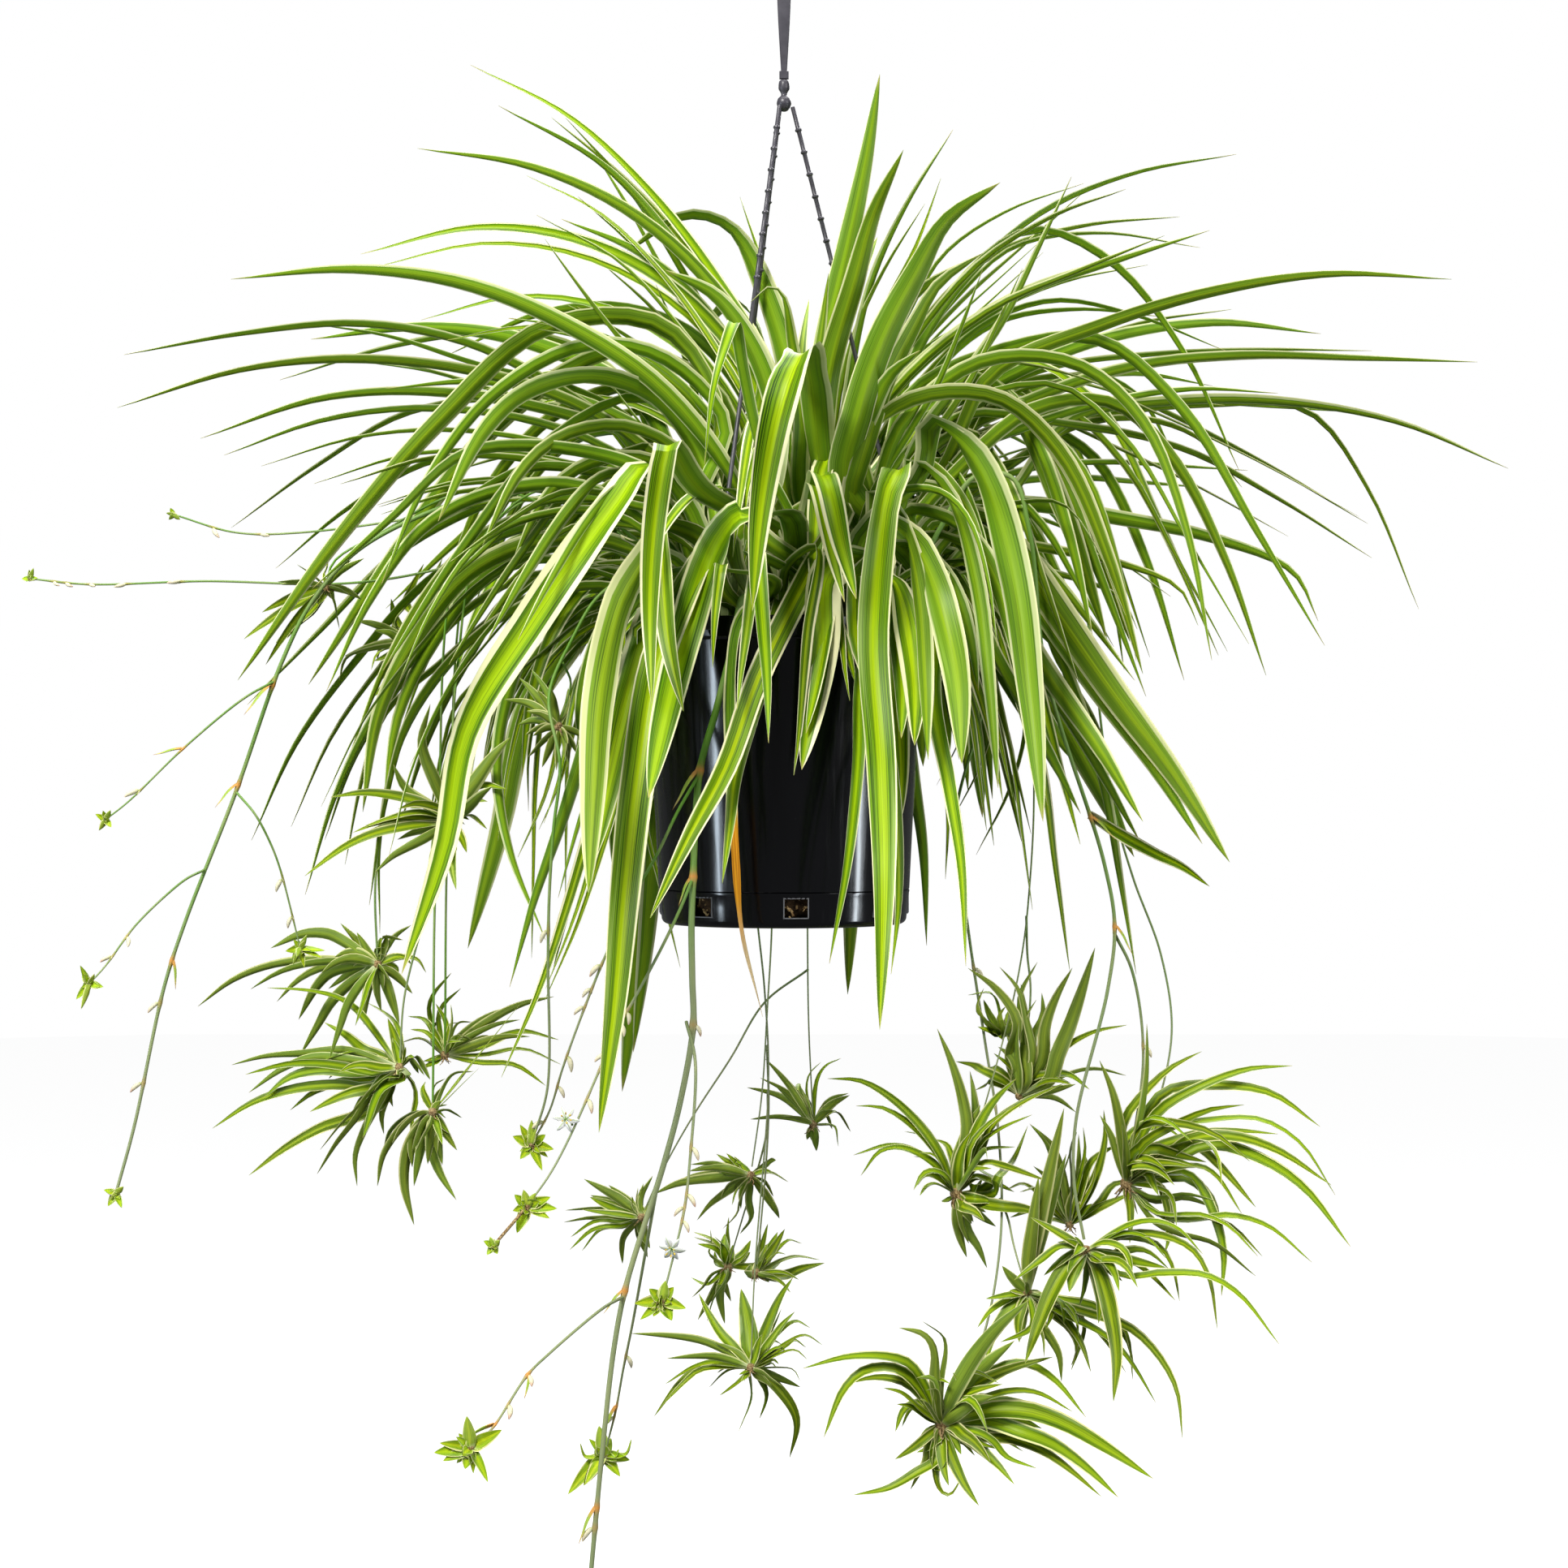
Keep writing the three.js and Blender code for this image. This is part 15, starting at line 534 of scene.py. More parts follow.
RUNNER_LEAVES = {
    "runner_left_1": [
        (1.75, 0.36, 2, 0.8, [-414.2,40,-384.6,-0.27,-0.87,0.41,-415.3,39.8,-385.8,-0.27,-0.87,0.41,-416.3,39.6,-386.9,-0.27,-0.87,0.41,-417.4,39.4,-388,-0.27,-0.87,0.41]),
        (1.75, 0.36, 2, 0.8, [-414.2,40,-384.6,-0.46,-0.82,-0.34,-414.9,39.8,-383.2,-0.46,-0.82,-0.34,-415.6,39.6,-381.7,-0.46,-0.82,-0.34,-416.3,39.4,-380.3,-0.46,-0.82,-0.34]),
        (1.75, 0.36, 2, 0.8, [-414.2,40,-384.6,-0.35,0.7,-0.62,-412.7,39.8,-385.8,-0.35,0.7,-0.62,-411.2,39.5,-386.9,-0.35,0.7,-0.62,-409.7,39.3,-388,-0.35,0.7,-0.62]),
        (1.73, 0.36, 2, 0.8, [-414.2,40,-384.6,0.21,-0.87,0.44,-415.8,39.8,-384.3,0.21,-0.87,0.44,-417.4,39.6,-383.9,0.21,-0.87,0.44,-419,39.4,-383.6,0.21,-0.87,0.44])
    ],
    "runner_left_2": [
        (1.75, 0.36, 2, 0.8, [-504.2,10,-430.2,0.08,-0.55,-0.83,-505.9,9.8,-430.2,0.08,-0.55,-0.83,-507.7,9.5,-430.2,0.08,-0.55,-0.83,-509.4,9.3,-430.2,0.08,-0.55,-0.83]),
        (1.75, 0.36, 2, 0.8, [-504.2,10,-430.2,0.48,0.87,-0.05,-503.4,9.7,-427.9,0.48,0.87,-0.05,-502.6,9.4,-425.5,0.48,0.87,-0.05,-501.8,9.1,-423.2,0.48,0.87,-0.05]),
        (1.71, 0.36, 2, 0.8, [-504.2,10,-430.2,-0.28,-0.95,-0.14,-504.3,9.7,-428.2,-0.28,-0.95,-0.14,-504.4,9.5,-426.3,-0.28,-0.95,-0.14,-504.5,9.2,-424.3,-0.28,-0.95,-0.14]),
        (1.71, 0.36, 2, 0.8, [-504.2,10,-430.2,0.03,0.77,0.64,-502.5,9.8,-430,0.03,0.77,0.64,-500.8,9.6,-429.9,0.03,0.77,0.64,-499.1,9.4,-429.7,0.03,0.77,0.64])
    ],
    "runner_left_3": [
        (1.75, 0.36, 2, 0.8, [-427.9,-104.5,-590,-0.19,-0.67,-0.72,-429.7,-105.3,-588.8,-0.19,-0.67,-0.72,-431.6,-106.1,-587.6,-0.19,-0.66,-0.72,-433.5,-106.8,-586.4,-0.19,-0.66,-0.72]),
        (1.75, 0.36, 2, 0.8, [-427.9,-104.5,-590,-0.44,-0.73,0.52,-429,-105.4,-592.2,-0.44,-0.73,0.52,-430.2,-106.2,-594.4,-0.44,-0.73,0.52,-431.4,-107.1,-596.6,-0.44,-0.73,0.52]),
        (1.75, 0.36, 2, 0.8, [-427.9,-104.5,-590,0.67,0.74,-0.12,-426.7,-105.2,-588,0.67,0.74,-0.12,-425.5,-106,-585.9,0.67,0.74,-0.12,-424.3,-106.8,-583.9,0.67,0.74,-0.12]),
        (1.75, 0.36, 2, 0.8, [-427.9,-104.5,-590,0.67,0.67,0.31,-426.5,-105.1,-591.5,0.67,0.67,0.31,-425.2,-105.8,-593.1,0.67,0.67,0.31,-423.8,-106.4,-594.6,0.67,0.67,0.31]),
        (1.75, 0.36, 2, 0.8, [-427.9,-104.5,-590,-0.41,-0.84,-0.36,-428.2,-105.1,-588.1,-0.41,-0.84,-0.36,-428.6,-105.8,-586.3,-0.41,-0.84,-0.36,-429,-106.4,-584.4,-0.41,-0.84,-0.36]),
        (1.75, 0.36, 2, 0.8, [-432.2,-130,-691.7,-0.49,-0.73,-0.48,-433.7,-131.5,-687.9,-0.49,-0.73,-0.48,-435.2,-133,-684.1,-0.49,-0.73,-0.48,-436.7,-134.4,-680.3,-0.49,-0.73,-0.48]),
        (1.8, 0.36, 2, 0.8, [-432.2,-130,-691.7,0.77,0.1,-0.63,-434.5,-131.5,-694.8,0.77,0.1,-0.63,-436.9,-133,-697.9,0.77,0.1,-0.63,-439.2,-134.5,-701,0.77,0.1,-0.63]),
        (1.75, 0.36, 2, 0.8, [-432.2,-130,-691.7,-0.55,-0.72,0.41,-433.4,-132,-696.8,-0.55,-0.72,0.41,-434.6,-133.9,-701.9,-0.55,-0.72,0.41,-435.9,-135.9,-706.9,-0.55,-0.72,0.41]),
        (1.8, 0.36, 2, 0.8, [-432.2,-130,-691.7,0.22,0.1,0.97,-429.1,-131,-692.3,0.22,0.1,0.97,-426,-132.1,-692.9,0.22,0.1,0.97,-422.9,-133.1,-693.5,0.22,0.1,0.97]),
        (1.75, 0.36, 2, 0.8, [-432.2,-130,-691.7,-0.52,-0.73,-0.44,-432.9,-130.8,-689.6,-0.52,-0.73,-0.44,-433.5,-131.6,-687.6,-0.52,-0.73,-0.44,-434.2,-132.3,-685.5,-0.52,-0.73,-0.44]),
        (1.75, 0.36, 2, 0.8, [-432.2,-130,-691.7,0.55,0.84,0.01,-431,-130.8,-689.6,0.55,0.84,0.01,-429.8,-131.6,-687.6,0.55,0.84,0.01,-428.6,-132.4,-685.5,0.55,0.84,0.01]),
        (1.75, 0.36, 2, 0.8, [-430.1,-64.5,-830.9,-0.13,-0.54,-0.83,-432.6,-65.1,-830.1,-0.13,-0.54,-0.83,-435.1,-65.7,-829.3,-0.13,-0.54,-0.83,-437.5,-66.2,-828.6,-0.13,-0.54,-0.83]),
        (1.83, 0.36, 2, 0.8, [-430.1,-64.5,-830.9,0.85,0.1,-0.52,-431.7,-65.2,-833.6,0.85,0.1,-0.52,-433.3,-65.9,-836.3,0.85,0.1,-0.52,-434.8,-66.6,-838.9,0.85,0.1,-0.52]),
        (1.75, 0.36, 2, 0.8, [-430.1,-64.5,-830.9,0.76,0.62,0.2,-428.7,-65.2,-833.9,0.76,0.62,0.2,-427.3,-65.9,-837,0.76,0.62,0.2,-426,-66.7,-840,0.76,0.62,0.2]),
        (1.75, 0.36, 2, 0.8, [-430.1,-64.5,-830.9,-0.48,-0.69,0.54,-431,-64.9,-832.2,-0.48,-0.69,0.54,-432,-65.2,-833.6,-0.48,-0.69,0.54,-433,-65.6,-834.9,-0.48,-0.69,0.54]),
        (1.75, 0.36, 2, 0.8, [-430.1,-64.5,-830.9,0.63,0.54,-0.55,-428.4,-64.9,-829.4,0.63,0.54,-0.55,-426.8,-65.4,-828,0.63,0.54,-0.55,-425.1,-65.8,-826.5,0.63,0.54,-0.55]),
        (1.85, 0.36, 2, 0.8, [-315.4,-40,-674.4,0.21,0,-0.98,-318.5,-40.4,-675.1,0.21,0,-0.98,-321.6,-40.8,-675.8,0.21,0,-0.98,-324.7,-41.3,-676.4,0.21,0,-0.98]),
        (1.75, 0.36, 2, 0.8, [-315.4,-40,-674.4,-0.61,-0.7,0.36,-316.9,-40.5,-677.9,-0.61,-0.7,0.36,-318.4,-41,-681.4,-0.61,-0.7,0.36,-319.9,-41.5,-684.9,-0.61,-0.7,0.36]),
        (1.75, 0.36, 2, 0.8, [-315.4,-40,-674.4,0.71,0.7,0.07,-314.4,-40.6,-678.6,0.71,0.7,0.07,-313.5,-41.1,-682.8,0.71,0.7,0.07,-312.5,-41.7,-687,0.71,0.7,0.07]),
        (1.75, 0.36, 2, 0.8, [-315.4,-40,-674.4,0.36,0.7,0.61,-310.5,-40.7,-676.5,0.36,0.7,0.61,-305.7,-41.4,-678.6,0.36,0.7,0.61,-300.8,-42,-680.6,0.36,0.7,0.61]),
        (1.75, 0.36, 2, 0.8, [-315.4,-40,-674.4,0.15,0.63,0.76,-310,-40.7,-674.9,0.15,0.63,0.76,-304.6,-41.4,-675.4,0.15,0.63,0.76,-299.2,-42.1,-675.9,0.15,0.63,0.76]),
        (1.75, 0.36, 2, 0.8, [-315.4,-40,-674.4,0.67,0.7,-0.25,-313.9,-40.4,-671.6,0.67,0.7,-0.25,-312.5,-40.8,-668.7,0.67,0.7,-0.25,-311,-41.2,-665.9,0.67,0.7,-0.25]),
        (1.75, 0.36, 2, 0.8, [-315.4,-40,-674.4,-0.51,-0.7,-0.5,-316.8,-40.3,-672.6,-0.51,-0.7,-0.5,-318.1,-40.6,-670.8,-0.51,-0.7,-0.5,-319.5,-40.9,-669.1,-0.51,-0.7,-0.5])
    ],
    "runner_left_4": [

    ],
    "runner_left_5": [

    ],
    "runner_middle_1": [

    ],
    "runner_middle_2": [

    ],
    "runner_back_1": [

    ],
    "runner_back_2": [

    ],
    "runner_back_3": [

    ],
    "runner_right_1": [
        (5, 0.5, 2.6, 0.8, [198.5,-46.4,-587.4,0.25,-0.45,0.86,217.8,-51.4,-600.1,0.25,-0.45,0.86,238.4,-55.4,-611.6,0.25,-0.45,0.86,258.1,-57.4,-621.5,0.25,-0.45,0.86,275.3,-54.4,-633.7,0.25,-0.45,0.86])
    ],
    "runner_right_2": [

    ],
    "runner_right_3": [
        (2.33, 0.27, 2.3, 0.8, [151.1,64.5,-740.3,0.42,-0.89,-0.16,146.5,58.3,-717.5,0.29,-0.91,-0.3,143.1,52.4,-711.1,0.42,-0.8,-0.43,139,49.9,-709.2,0.04,-0.99,-0.12,125.8,51.8,-711.5,-0.1,-0.97,-0.24]),
        (2.91, 0.27, 2.3, 0.8, [151.1,64.5,-740.3,0.73,-0.68,-0.1,133.7,43.3,-724,0.5,-0.85,-0.2,131.8,48.2,-718.8,0.3,-0.92,0.24,136.1,48.6,-706.9,0.26,-0.96,-0.06]),
        (2.92, 0.27, 2.3, 0.8, [151.1,64.5,-740.3,0.06,-0.78,-0.62,144.5,62.1,-737.9,0.33,-0.5,-0.8,138.3,47.5,-734.8,0.29,-0.58,-0.76,132.3,49.6,-733,-0.41,-0.77,-0.49]),
        (3, 0.27, 2.3, 0.8, [151.1,64.5,-740.3,0.63,-0.74,0.22,144.5,61.5,-731.4,0.64,-0.74,0.2,140.9,59.9,-725.3,0.66,-0.74,0.15,136.7,58,-715.3,0.66,-0.74,0.14]),
        (3, 0.27, 2.3, 0.8, [151.1,64.5,-740.3,0.73,0.69,0.02,152.4,62.8,-733.5,0.73,0.69,0.02,153.8,61.2,-726.7,0.73,0.69,0.01,155.2,59.7,-719.9,0.73,0.69,0.01]),
        (2.33, 0.27, 2.3, 0.8, [151.1,64.5,-740.3,0.47,0.75,-0.46,153.8,63.7,-738.7,0.47,0.75,-0.46,156.5,63,-737.2,0.47,0.75,-0.47,159.2,62.2,-735.7,0.47,0.75,-0.47])
    ],
    "runner_right_4": [

    ],
}

SHOOT_AT = {"shoot_centre": (0, -2), "shoot_back": (0, 46), "shoot_back_right": (38, 40), "shoot_front_right": (40, -36), "shoot_front": (0, -50), "shoot_front_left": (-40, -34), "shoot_back_left": (-38, 40), "shoot_left": (-64, 2), "shoot_right": (64, 2)}

# runner or stalk: name, radius, points
STEMS = {
    "runner_left_1": [("s_left_1", 1.35, [-60,26,-475.5,-47.7,13.8,-443.6,-76.3,17.8,-410.6,-115.5,21.5,-382.2,-153.5,25,-366.4,-195.6,28.3,-373.4,-238.2,31.3,-385.2,-329,36.2,-397.3,-372.2,38.2,-396.9,-414.2,40,-384.6])],
    "runner_left_2": [("s_left_2", 1.35, [-81,-6,-475.5,-82.5,-1.8,-436.7,-96.4,-0.5,-406.7,-122,0.9,-392.6,-155.2,2.2,-400.1,-189.7,3.4,-413.8,-226.1,4.5,-423.3,-266.3,5.5,-431,-305.2,6.4,-434.1,-384.9,8,-432,-465.4,9.4,-434,-504.2,10,-430.2])],
    "runner_left_3": [("s_left_3", 2.16, [-66,-24,-475.5,-69.5,-16.2,-436.6,-91.2,-19.7,-403.6,-123.2,-23.1,-379.2,-161.6,-26.4,-372.1,-203.6,-29.8,-380.1,-244.4,-33.1,-394.9,-280.6,-36.4,-416.6,-307.6,-39.6,-448.2,-326.9,-42.7,-487.9,-355.8,-48.6,-572.5,-387.7,-54.3,-657,-400.9,-56.9,-699.5,-418.8,-62,-787.6,-430.1,-64.5,-830.9]),
        ("s_left_3a", 1.1, [-331.5,-43.6,-500.5,-348.8,-64.1,-513,-383.7,-78.3,-544.5,-415.5,-95.1,-578.7,-427.9,-104.5,-590]),
        ("s_left_3b", 1.1, [-355.8,-48.6,-572.5,-341.7,-58,-587.1,-333.7,-53.7,-603.3,-327.5,-49.8,-620.8,-315.4,-40,-674.4]),
        ("s_left_3c", 1.1, [-375.3,-52,-623,-385,-78.3,-630.2,-409.5,-96.8,-655.8,-425.1,-118.5,-681.8,-432.2,-130,-691.7])],
    "runner_left_4": [("s_left_4", 1.62, [-54,56,-475.5,-85.2,44.6,-436.7,-117.5,46.4,-432.8,-148.9,47.5,-399.2,-186.8,47.2,-402,-224.9,45,-432.6,-250.1,41.6,-479.7,-262.3,38.9,-531.1,-271.9,38.3,-583.7,-277.3,39,-637,-276.1,39.9,-683.3]),
        ("s_left_4a", 1.1, [-237.5,43.3,-456.1,-245,39.8,-457.3,-251.1,26.6,-467.4,-251.2,25.2,-468.3])],
    "runner_left_5": [("s_left_5", 1.35, [-76,22,-475.5,-99.6,6.8,-434.3,-126.7,9.4,-426,-161.5,11.7,-434.5,-187.9,13.8,-465.6,-220,16.7,-562.1,-228.8,17.7,-612.5,-254.6,19.3,-708.1,-258,19.9,-751.6])],
    "runner_middle_1": [("s_mid_1", 1.62, [-60,-46,-475.5,-69,-40.4,-441.2,-90.8,-48.5,-429.8,-118.4,-57.7,-444.8,-136.5,-69.3,-475.3,-149.7,-84.8,-511.3,-141.5,-101.3,-555.5,-144.3,-118,-595.7,-146.4,-124.5,-635.6,-147.4,-122.5,-676,-148.7,-110.7,-758.7,-157.9,-105.2,-790.5]),
        ("s_mid_1a", 1.1, [-141.8,-74.9,-489.7,-137.4,-63,-501.9,-139.2,-63.1,-511.6,-143.4,-63.2,-524.5])],
    "runner_middle_2": [("s_mid_2", 2.43, [-17,-70,-475.5,-39,-94.4,-433.3,-55.3,-88.9,-538.4,-66.9,-83.6,-556,-74,-82.9,-574.6,-74.6,-86.8,-596.2,-65.1,-106.4,-654.4,-61.4,-115.8,-690,-61,-123.1,-727.2,-66.5,-129.2,-765.6,-74.8,-134.2,-803.2,-97.6,-141.9,-876.7,-104.9,-145.2,-914,-120,-156,-1068.4]),
        ("s_mid_2a", 1.35, [-74.4,-85.6,-589.7,-70.4,-88.9,-589.8,-85.8,-96.1,-619.6,-100.2,-100.9,-649.7,-114.6,-102.2,-680.8,-138.9,-103.6,-744.3,-147.7,-104.1,-773.9,-157.1,-104.4,-791]),
        ("s_mid_2b", 1.35, [-67.8,-100.7,-638.6,-68.6,-119.3,-649.6,-78.9,-132.5,-671.5,-100,-154.7,-714.2,-129.6,-187,-781.2,-139.9,-197.5,-801.1,-150.6,-206.2,-815.9]),
        ("s_mid_2c", 1.35, [-61.1,-120.9,-716.1,-54.7,-144.4,-740,-57.7,-159.4,-798.8,-61,-167,-827.9,-72.6,-180.8,-875.7]),
        ("s_mid_2d", 1.35, [-99,-142.6,-884.1,-111.7,-182.2,-886.1,-139.1,-217,-905.2,-150.8,-234.3,-914.8,-168.4,-268.8,-939.1,-176.5,-282.5,-944.3]),
        ("s_mid_2e", 1.35, [-78.2,-135.5,-814.3,-83.7,-133,-845,-96.5,-92.3,-911.9,-102.9,-75.7,-942,-108.5,-61.7,-971.5,-115.3,-51.9,-998.3])],
    "runner_back_1": [("s_back_1", 1.1, [-10,70,-475.5,-33.5,102.2,-438,-26.9,102.2,-491.8,-14.6,106.5,-550.2,-9.2,131,-610.8,-8.8,154.4,-669.7,-12,158.4,-729.3,-15.9,157.2,-790,-23,156.1,-842])],
    "runner_back_2": [("s_back_2", 1.1, [13,74,-475.5,-1.8,100,-429.3,9.9,102.2,-519.8,16.4,126.2,-592,16.9,164.8,-665,17.8,177.3,-738.1,20.9,181.6,-808.2]),
        ("s_back_2a", 1.1, [17.4,174.8,-701.7,-15.7,209.2,-729.7,-39.2,208.9,-769,-65.2,208.6,-808.8,-87.7,208.3,-848.4,-102.4,208,-880.3])],
    "runner_back_3": [("s_back_3", 1.1, [-30,66,-475.5,-26.8,98.4,-437.6,-24.2,95.3,-517.4,-24.5,104,-581.4,-20.6,118.2,-646.6,-13.7,117.1,-712.5,-10.9,107.9,-776.3,-20.4,90.5,-906.8,-22.8,83.3,-965.7]),
        ("s_back_3a", 1.1, [-12,111.5,-750.8,-10.8,112.2,-791.8,-12.5,118.1,-832.5,-19,129.1,-907.6]),
        ("s_back_3b", 1.1, [-11.3,107,-782.9,-13,150.2,-819.8,-31.4,206.1,-889.1,-40.3,230.4,-921])],
    "runner_right_1": [("s_right_1", 2.16, [76,-22,-475.5,86.6,-32.4,-434.9,103.5,-37.2,-397.7,125,-41.3,-366.8,148.2,-44.4,-368.1,159.9,-46.3,-404.6,169.9,-47.1,-494,208,-46.2,-618.5,214.9,-46.3,-659.6,210.3,-46.6,-701.5,189.6,-48.2,-785.8,188.3,-49.3,-826.6,194.6,-50.3,-862.9]),
        ("s_right_1b", 1.1, [189.3,-48.4,-794,189,-14.5,-811.1,192.1,10.3,-828.4,194.3,35.2,-849.2,195.9,59.4,-866.1]),
        ("s_right_1a", 1.35, [214.4,-46.3,-663.8,227.8,-35.2,-690.5,236,-25.1,-745.1,227.6,-11.4,-823.7])],
    "runner_right_2": [("s_right_2", 1.35, [66,30,-475.5,85.2,43.7,-433.1,118.5,47.2,-396.2,151.5,48.8,-370.2,183.8,47.5,-385.4,200,43.3,-425.1,208.3,37.3,-472.6,220.7,23.5,-578.8,234.2,16.6,-630.4,251.9,9.8,-681.1,258.4,3.1,-731.9,247.7,-3.5,-781.9,229.9,-9,-824.2])],
    "runner_right_3": [("s_right_3", 1.1, [54,56,-475.5,125.6,90.8,-365.9,128.5,85.5,-446.6,145.3,88.6,-426.2,158.1,87.9,-441.6,162.2,83.3,-472.2,168.9,77.5,-503.8,171.6,70.1,-543.9,171.3,62.4,-588.3,168.3,54.5,-631.8,163.4,47.9,-675.1,154.9,42.6,-717.6,130.7,33.9,-802.3,118.9,30.7,-836.1]),
        ("s_right_3a", 1.1, [165.3,50.4,-657.8,167.7,70.8,-685.5,169.4,65,-710.1,161.3,51.7,-774.1]),
        ("p_r_1_stalk", 1, [165.4,58.5,-741.6,151.1,64.5,-740.3])],
    "runner_right_4": [("s_right_4", 1.62, [50,66,-475.5,65.9,81.2,-403.5,145.2,80,-438.6,137.1,71.3,-514.6,118.1,70.1,-591.5,126.5,65.1,-667.1,136.3,51.5,-737.7,145.4,34.7,-806,144.9,12.7,-872.9,131.2,-12.9,-934,106.4,-36.4,-978.3]),
        ("s_right_4a", 1.1, [145.1,21.5,-846.1,150.7,24.5,-859.7,153.3,9.7,-874.6,157.5,-5.2,-891.8,159.4,-15,-898.7])],
    "plantlet_young_2": [("p_mid_3_stalk", 1, [-152.9,-208,-819.1,-172,-221,-840.8])],
}

# crown of a young plant: x, y, z, radius
CROWNS = {
    "runner_left_1": [(-414.2, 40, -384.6, 2.2)],
    "runner_left_2": [(-504.2, 10, -430.2, 2.2)],
    "runner_left_3": [(-427.9, -104.5, -590, 2.2), (-432.2, -130, -691.7, 2.2), (-430.1, -64.5, -830.9, 2.2), (-315.4, -40, -674.4, 2.2)],
    "runner_right_3": [(151.1, 64.5, -740.3, 2.2)],
    "plantlet_left_1": [(-276, 40, -689.8, 5)],
    "plantlet_left_2": [(-258.5, 20, -757.8, 5)],
    "plantlet_left_3": [(-230.3, -30, -782.4, 5)],
    "plantlet_left_4": [(-233, 64.5, -753.7, 5)],
    "plantlet_upper_left": [(-217, -40, -591.8, 5)],
    "plantlet_inner_1": [(-251.4, 20, -471.5, 5)],
    "plantlet_inner_2": [(-145.4, -63.2, -530.4, 5)],
    "plantlet_left_5": [(-301.5, -20, -437.1, 5)],
    "plantlet_young_1": [(-159.2, -104.5, -794.7, 3)],
    "plantlet_young_2": [(-152.9, -208, -819.1, 3), (-172, -221, -840.8, 2.2)],
    "plantlet_young_3": [(-178.6, -286, -945.6, 3)],
    "plantlet_young_4": [(-73.6, -182, -879.7, 3)],
    "plantlet_young_5": [(-116.3, -50.5, -1002.3, 3)],
    "plantlet_middle_1": [(-104.9, 208, -885.8, 5)],
    "plantlet_middle_2": [(-23.9, 156, -848.1, 5)],
    "plantlet_middle_3": [(-41.6, 234, -925.8, 5)],
    "plantlet_middle_4": [(-19.6, 130, -913.7, 5)],
    "plantlet_middle_5": [(-23.1, 82.5, -971.8, 5)],
    "plantlet_middle_6": [(21.2, 182, -814.3, 5)],
    "plantlet_right_1": [(160.6, 50.5, -780.1, 5)],
    "plantlet_right_2": [(116.2, 30, -843.7, 7)],
    "plantlet_right_3": [(196.2, 64.5, -869.6, 5)],
    "plantlet_right_4": [(226.7, -10, -831.9, 7)],
    "plantlet_right_5": [(195.8, -50.5, -869.6, 5)],
    "plantlet_right_6": [(160.4, -20, -902.2, 5)],
    "plantlet_right_7": [(102.7, -40, -985, 7)],
}

FLOWERS = {"flower_1": ((-131.6,-188.7,-769.5), (0.15,-0.95,0.25), [-131.6,-188.7,-769.5,-127.7,-184.8,-773.4]), "flower_2": ((-67.9,-178.2,-848.9), (-0.2,-0.9,-0.35), [-67.9,-178.2,-848.9,-66.8,-175,-849.2])}

WITHERED = (4.4, 0.3, 2.2, 0.9, [-8,-80,-474,0.94,-0.33,0.09,-12,-87,-457,0.92,-0.38,0.13,-17,-94,-452,0.76,-0.65,0.04,-24,-101,-456,0.81,-0.5,-0.32,-31,-104,-472,0.95,-0.31,-0.1,-34.5,-104,-544,0.95,-0.3,0,-31,-104,-603,0.9,-0.42,0.07,-27,-106,-657.5,0.8,-0.58,0.17,-13.5,-112,-713.5,0.78,-0.57,0.25])

MM = 0.001
# bracts on the runners: runner, place across and down the picture in pixels, length in mm, and how far its tip hangs out
BRACTS = {
    "s_left_1": [(268, 642, 14), (320, 652, 12)],
    "s_left_2": [(153, 703, 13), (220, 707, 14), (67, 713, 9), (80, 715, 10), (113, 722, 10)],
    "s_left_3": [(332, 840, 26), (295, 968, 20), (205, 1185, 18), (190, 1235, 14), (175, 1330, 14)],
    "s_left_3a": [(214, 917, 18), (162, 965, 16)],
    "s_left_3b": [(354, 1080, 14), (358, 1128, 12)],
    "s_left_3c": [(146, 1150, 12), (139, 1178, 12)],
    "s_left_4": [(500, 1010, 16)],
    "s_mid_1": [(674, 1142, 14)],
    "s_mid_2": [(860, 952, 30, -1), (852, 1083, 20, -1), (853, 1260, 12, 1), (735, 1855, 24, -1), (735, 1885, 16, -1), (764, 1592, 18, -1)],
    "s_mid_2a": [(733, 1186, 16), (720, 1213, 12), (713, 1240, 12), (690, 1295, 16), (687, 1335, 12), (648, 1370, 14)],
    "s_mid_2b": [(766, 1240, 12), (750, 1258, 12), (745, 1300, 12), (745, 1315, 10), (710, 1350, 14)],
    "s_mid_2c": [(868, 1412, 14), (838, 1470, 14), (825, 1485, 12), (850, 1505, 12)],
    "s_mid_2d": [(635, 1680, 18), (650, 1690, 14), (625, 1730, 16), (600, 1751, 20)],
    "s_mid_2e": [(757, 1665, 14), (770, 1735, 22), (737, 1740, 14)],
    "s_right_1": [(1347, 1005, 20), (1378, 1145, 20)],
    "s_right_1a": [(1400, 1290, 14)],
    "s_right_4": [(1215, 1190, 14), (1240, 1360, 16)],
}


# ---- materials ----
def material(name, build, rough=0.5, spec=0.5):
    m = bpy.data.materials.new(name)
    m.use_nodes = True
    t = m.node_tree
    b = t.nodes["Principled BSDF"]
    b.inputs["Roughness"].default_value = rough
    b.inputs["Specular IOR Level"].default_value = spec
    build(t, b)
    return m


def attr(t, name):
    n = t.nodes.new("ShaderNodeAttribute")
    n.attribute_name = name
    return n.outputs["Fac"]


def mth(t, op, a, b=None, c=None, clamp=False):
    n = t.nodes.new("ShaderNodeMath")
    n.operation = op
    n.use_clamp = clamp
    for i, v in enumerate((a, b, c)):
        if v is None:
            continue
        if isinstance(v, (int, float)):
            n.inputs[i].default_value = v
        else:
            t.links.new(v, n.inputs[i])
    return n.outputs[0]


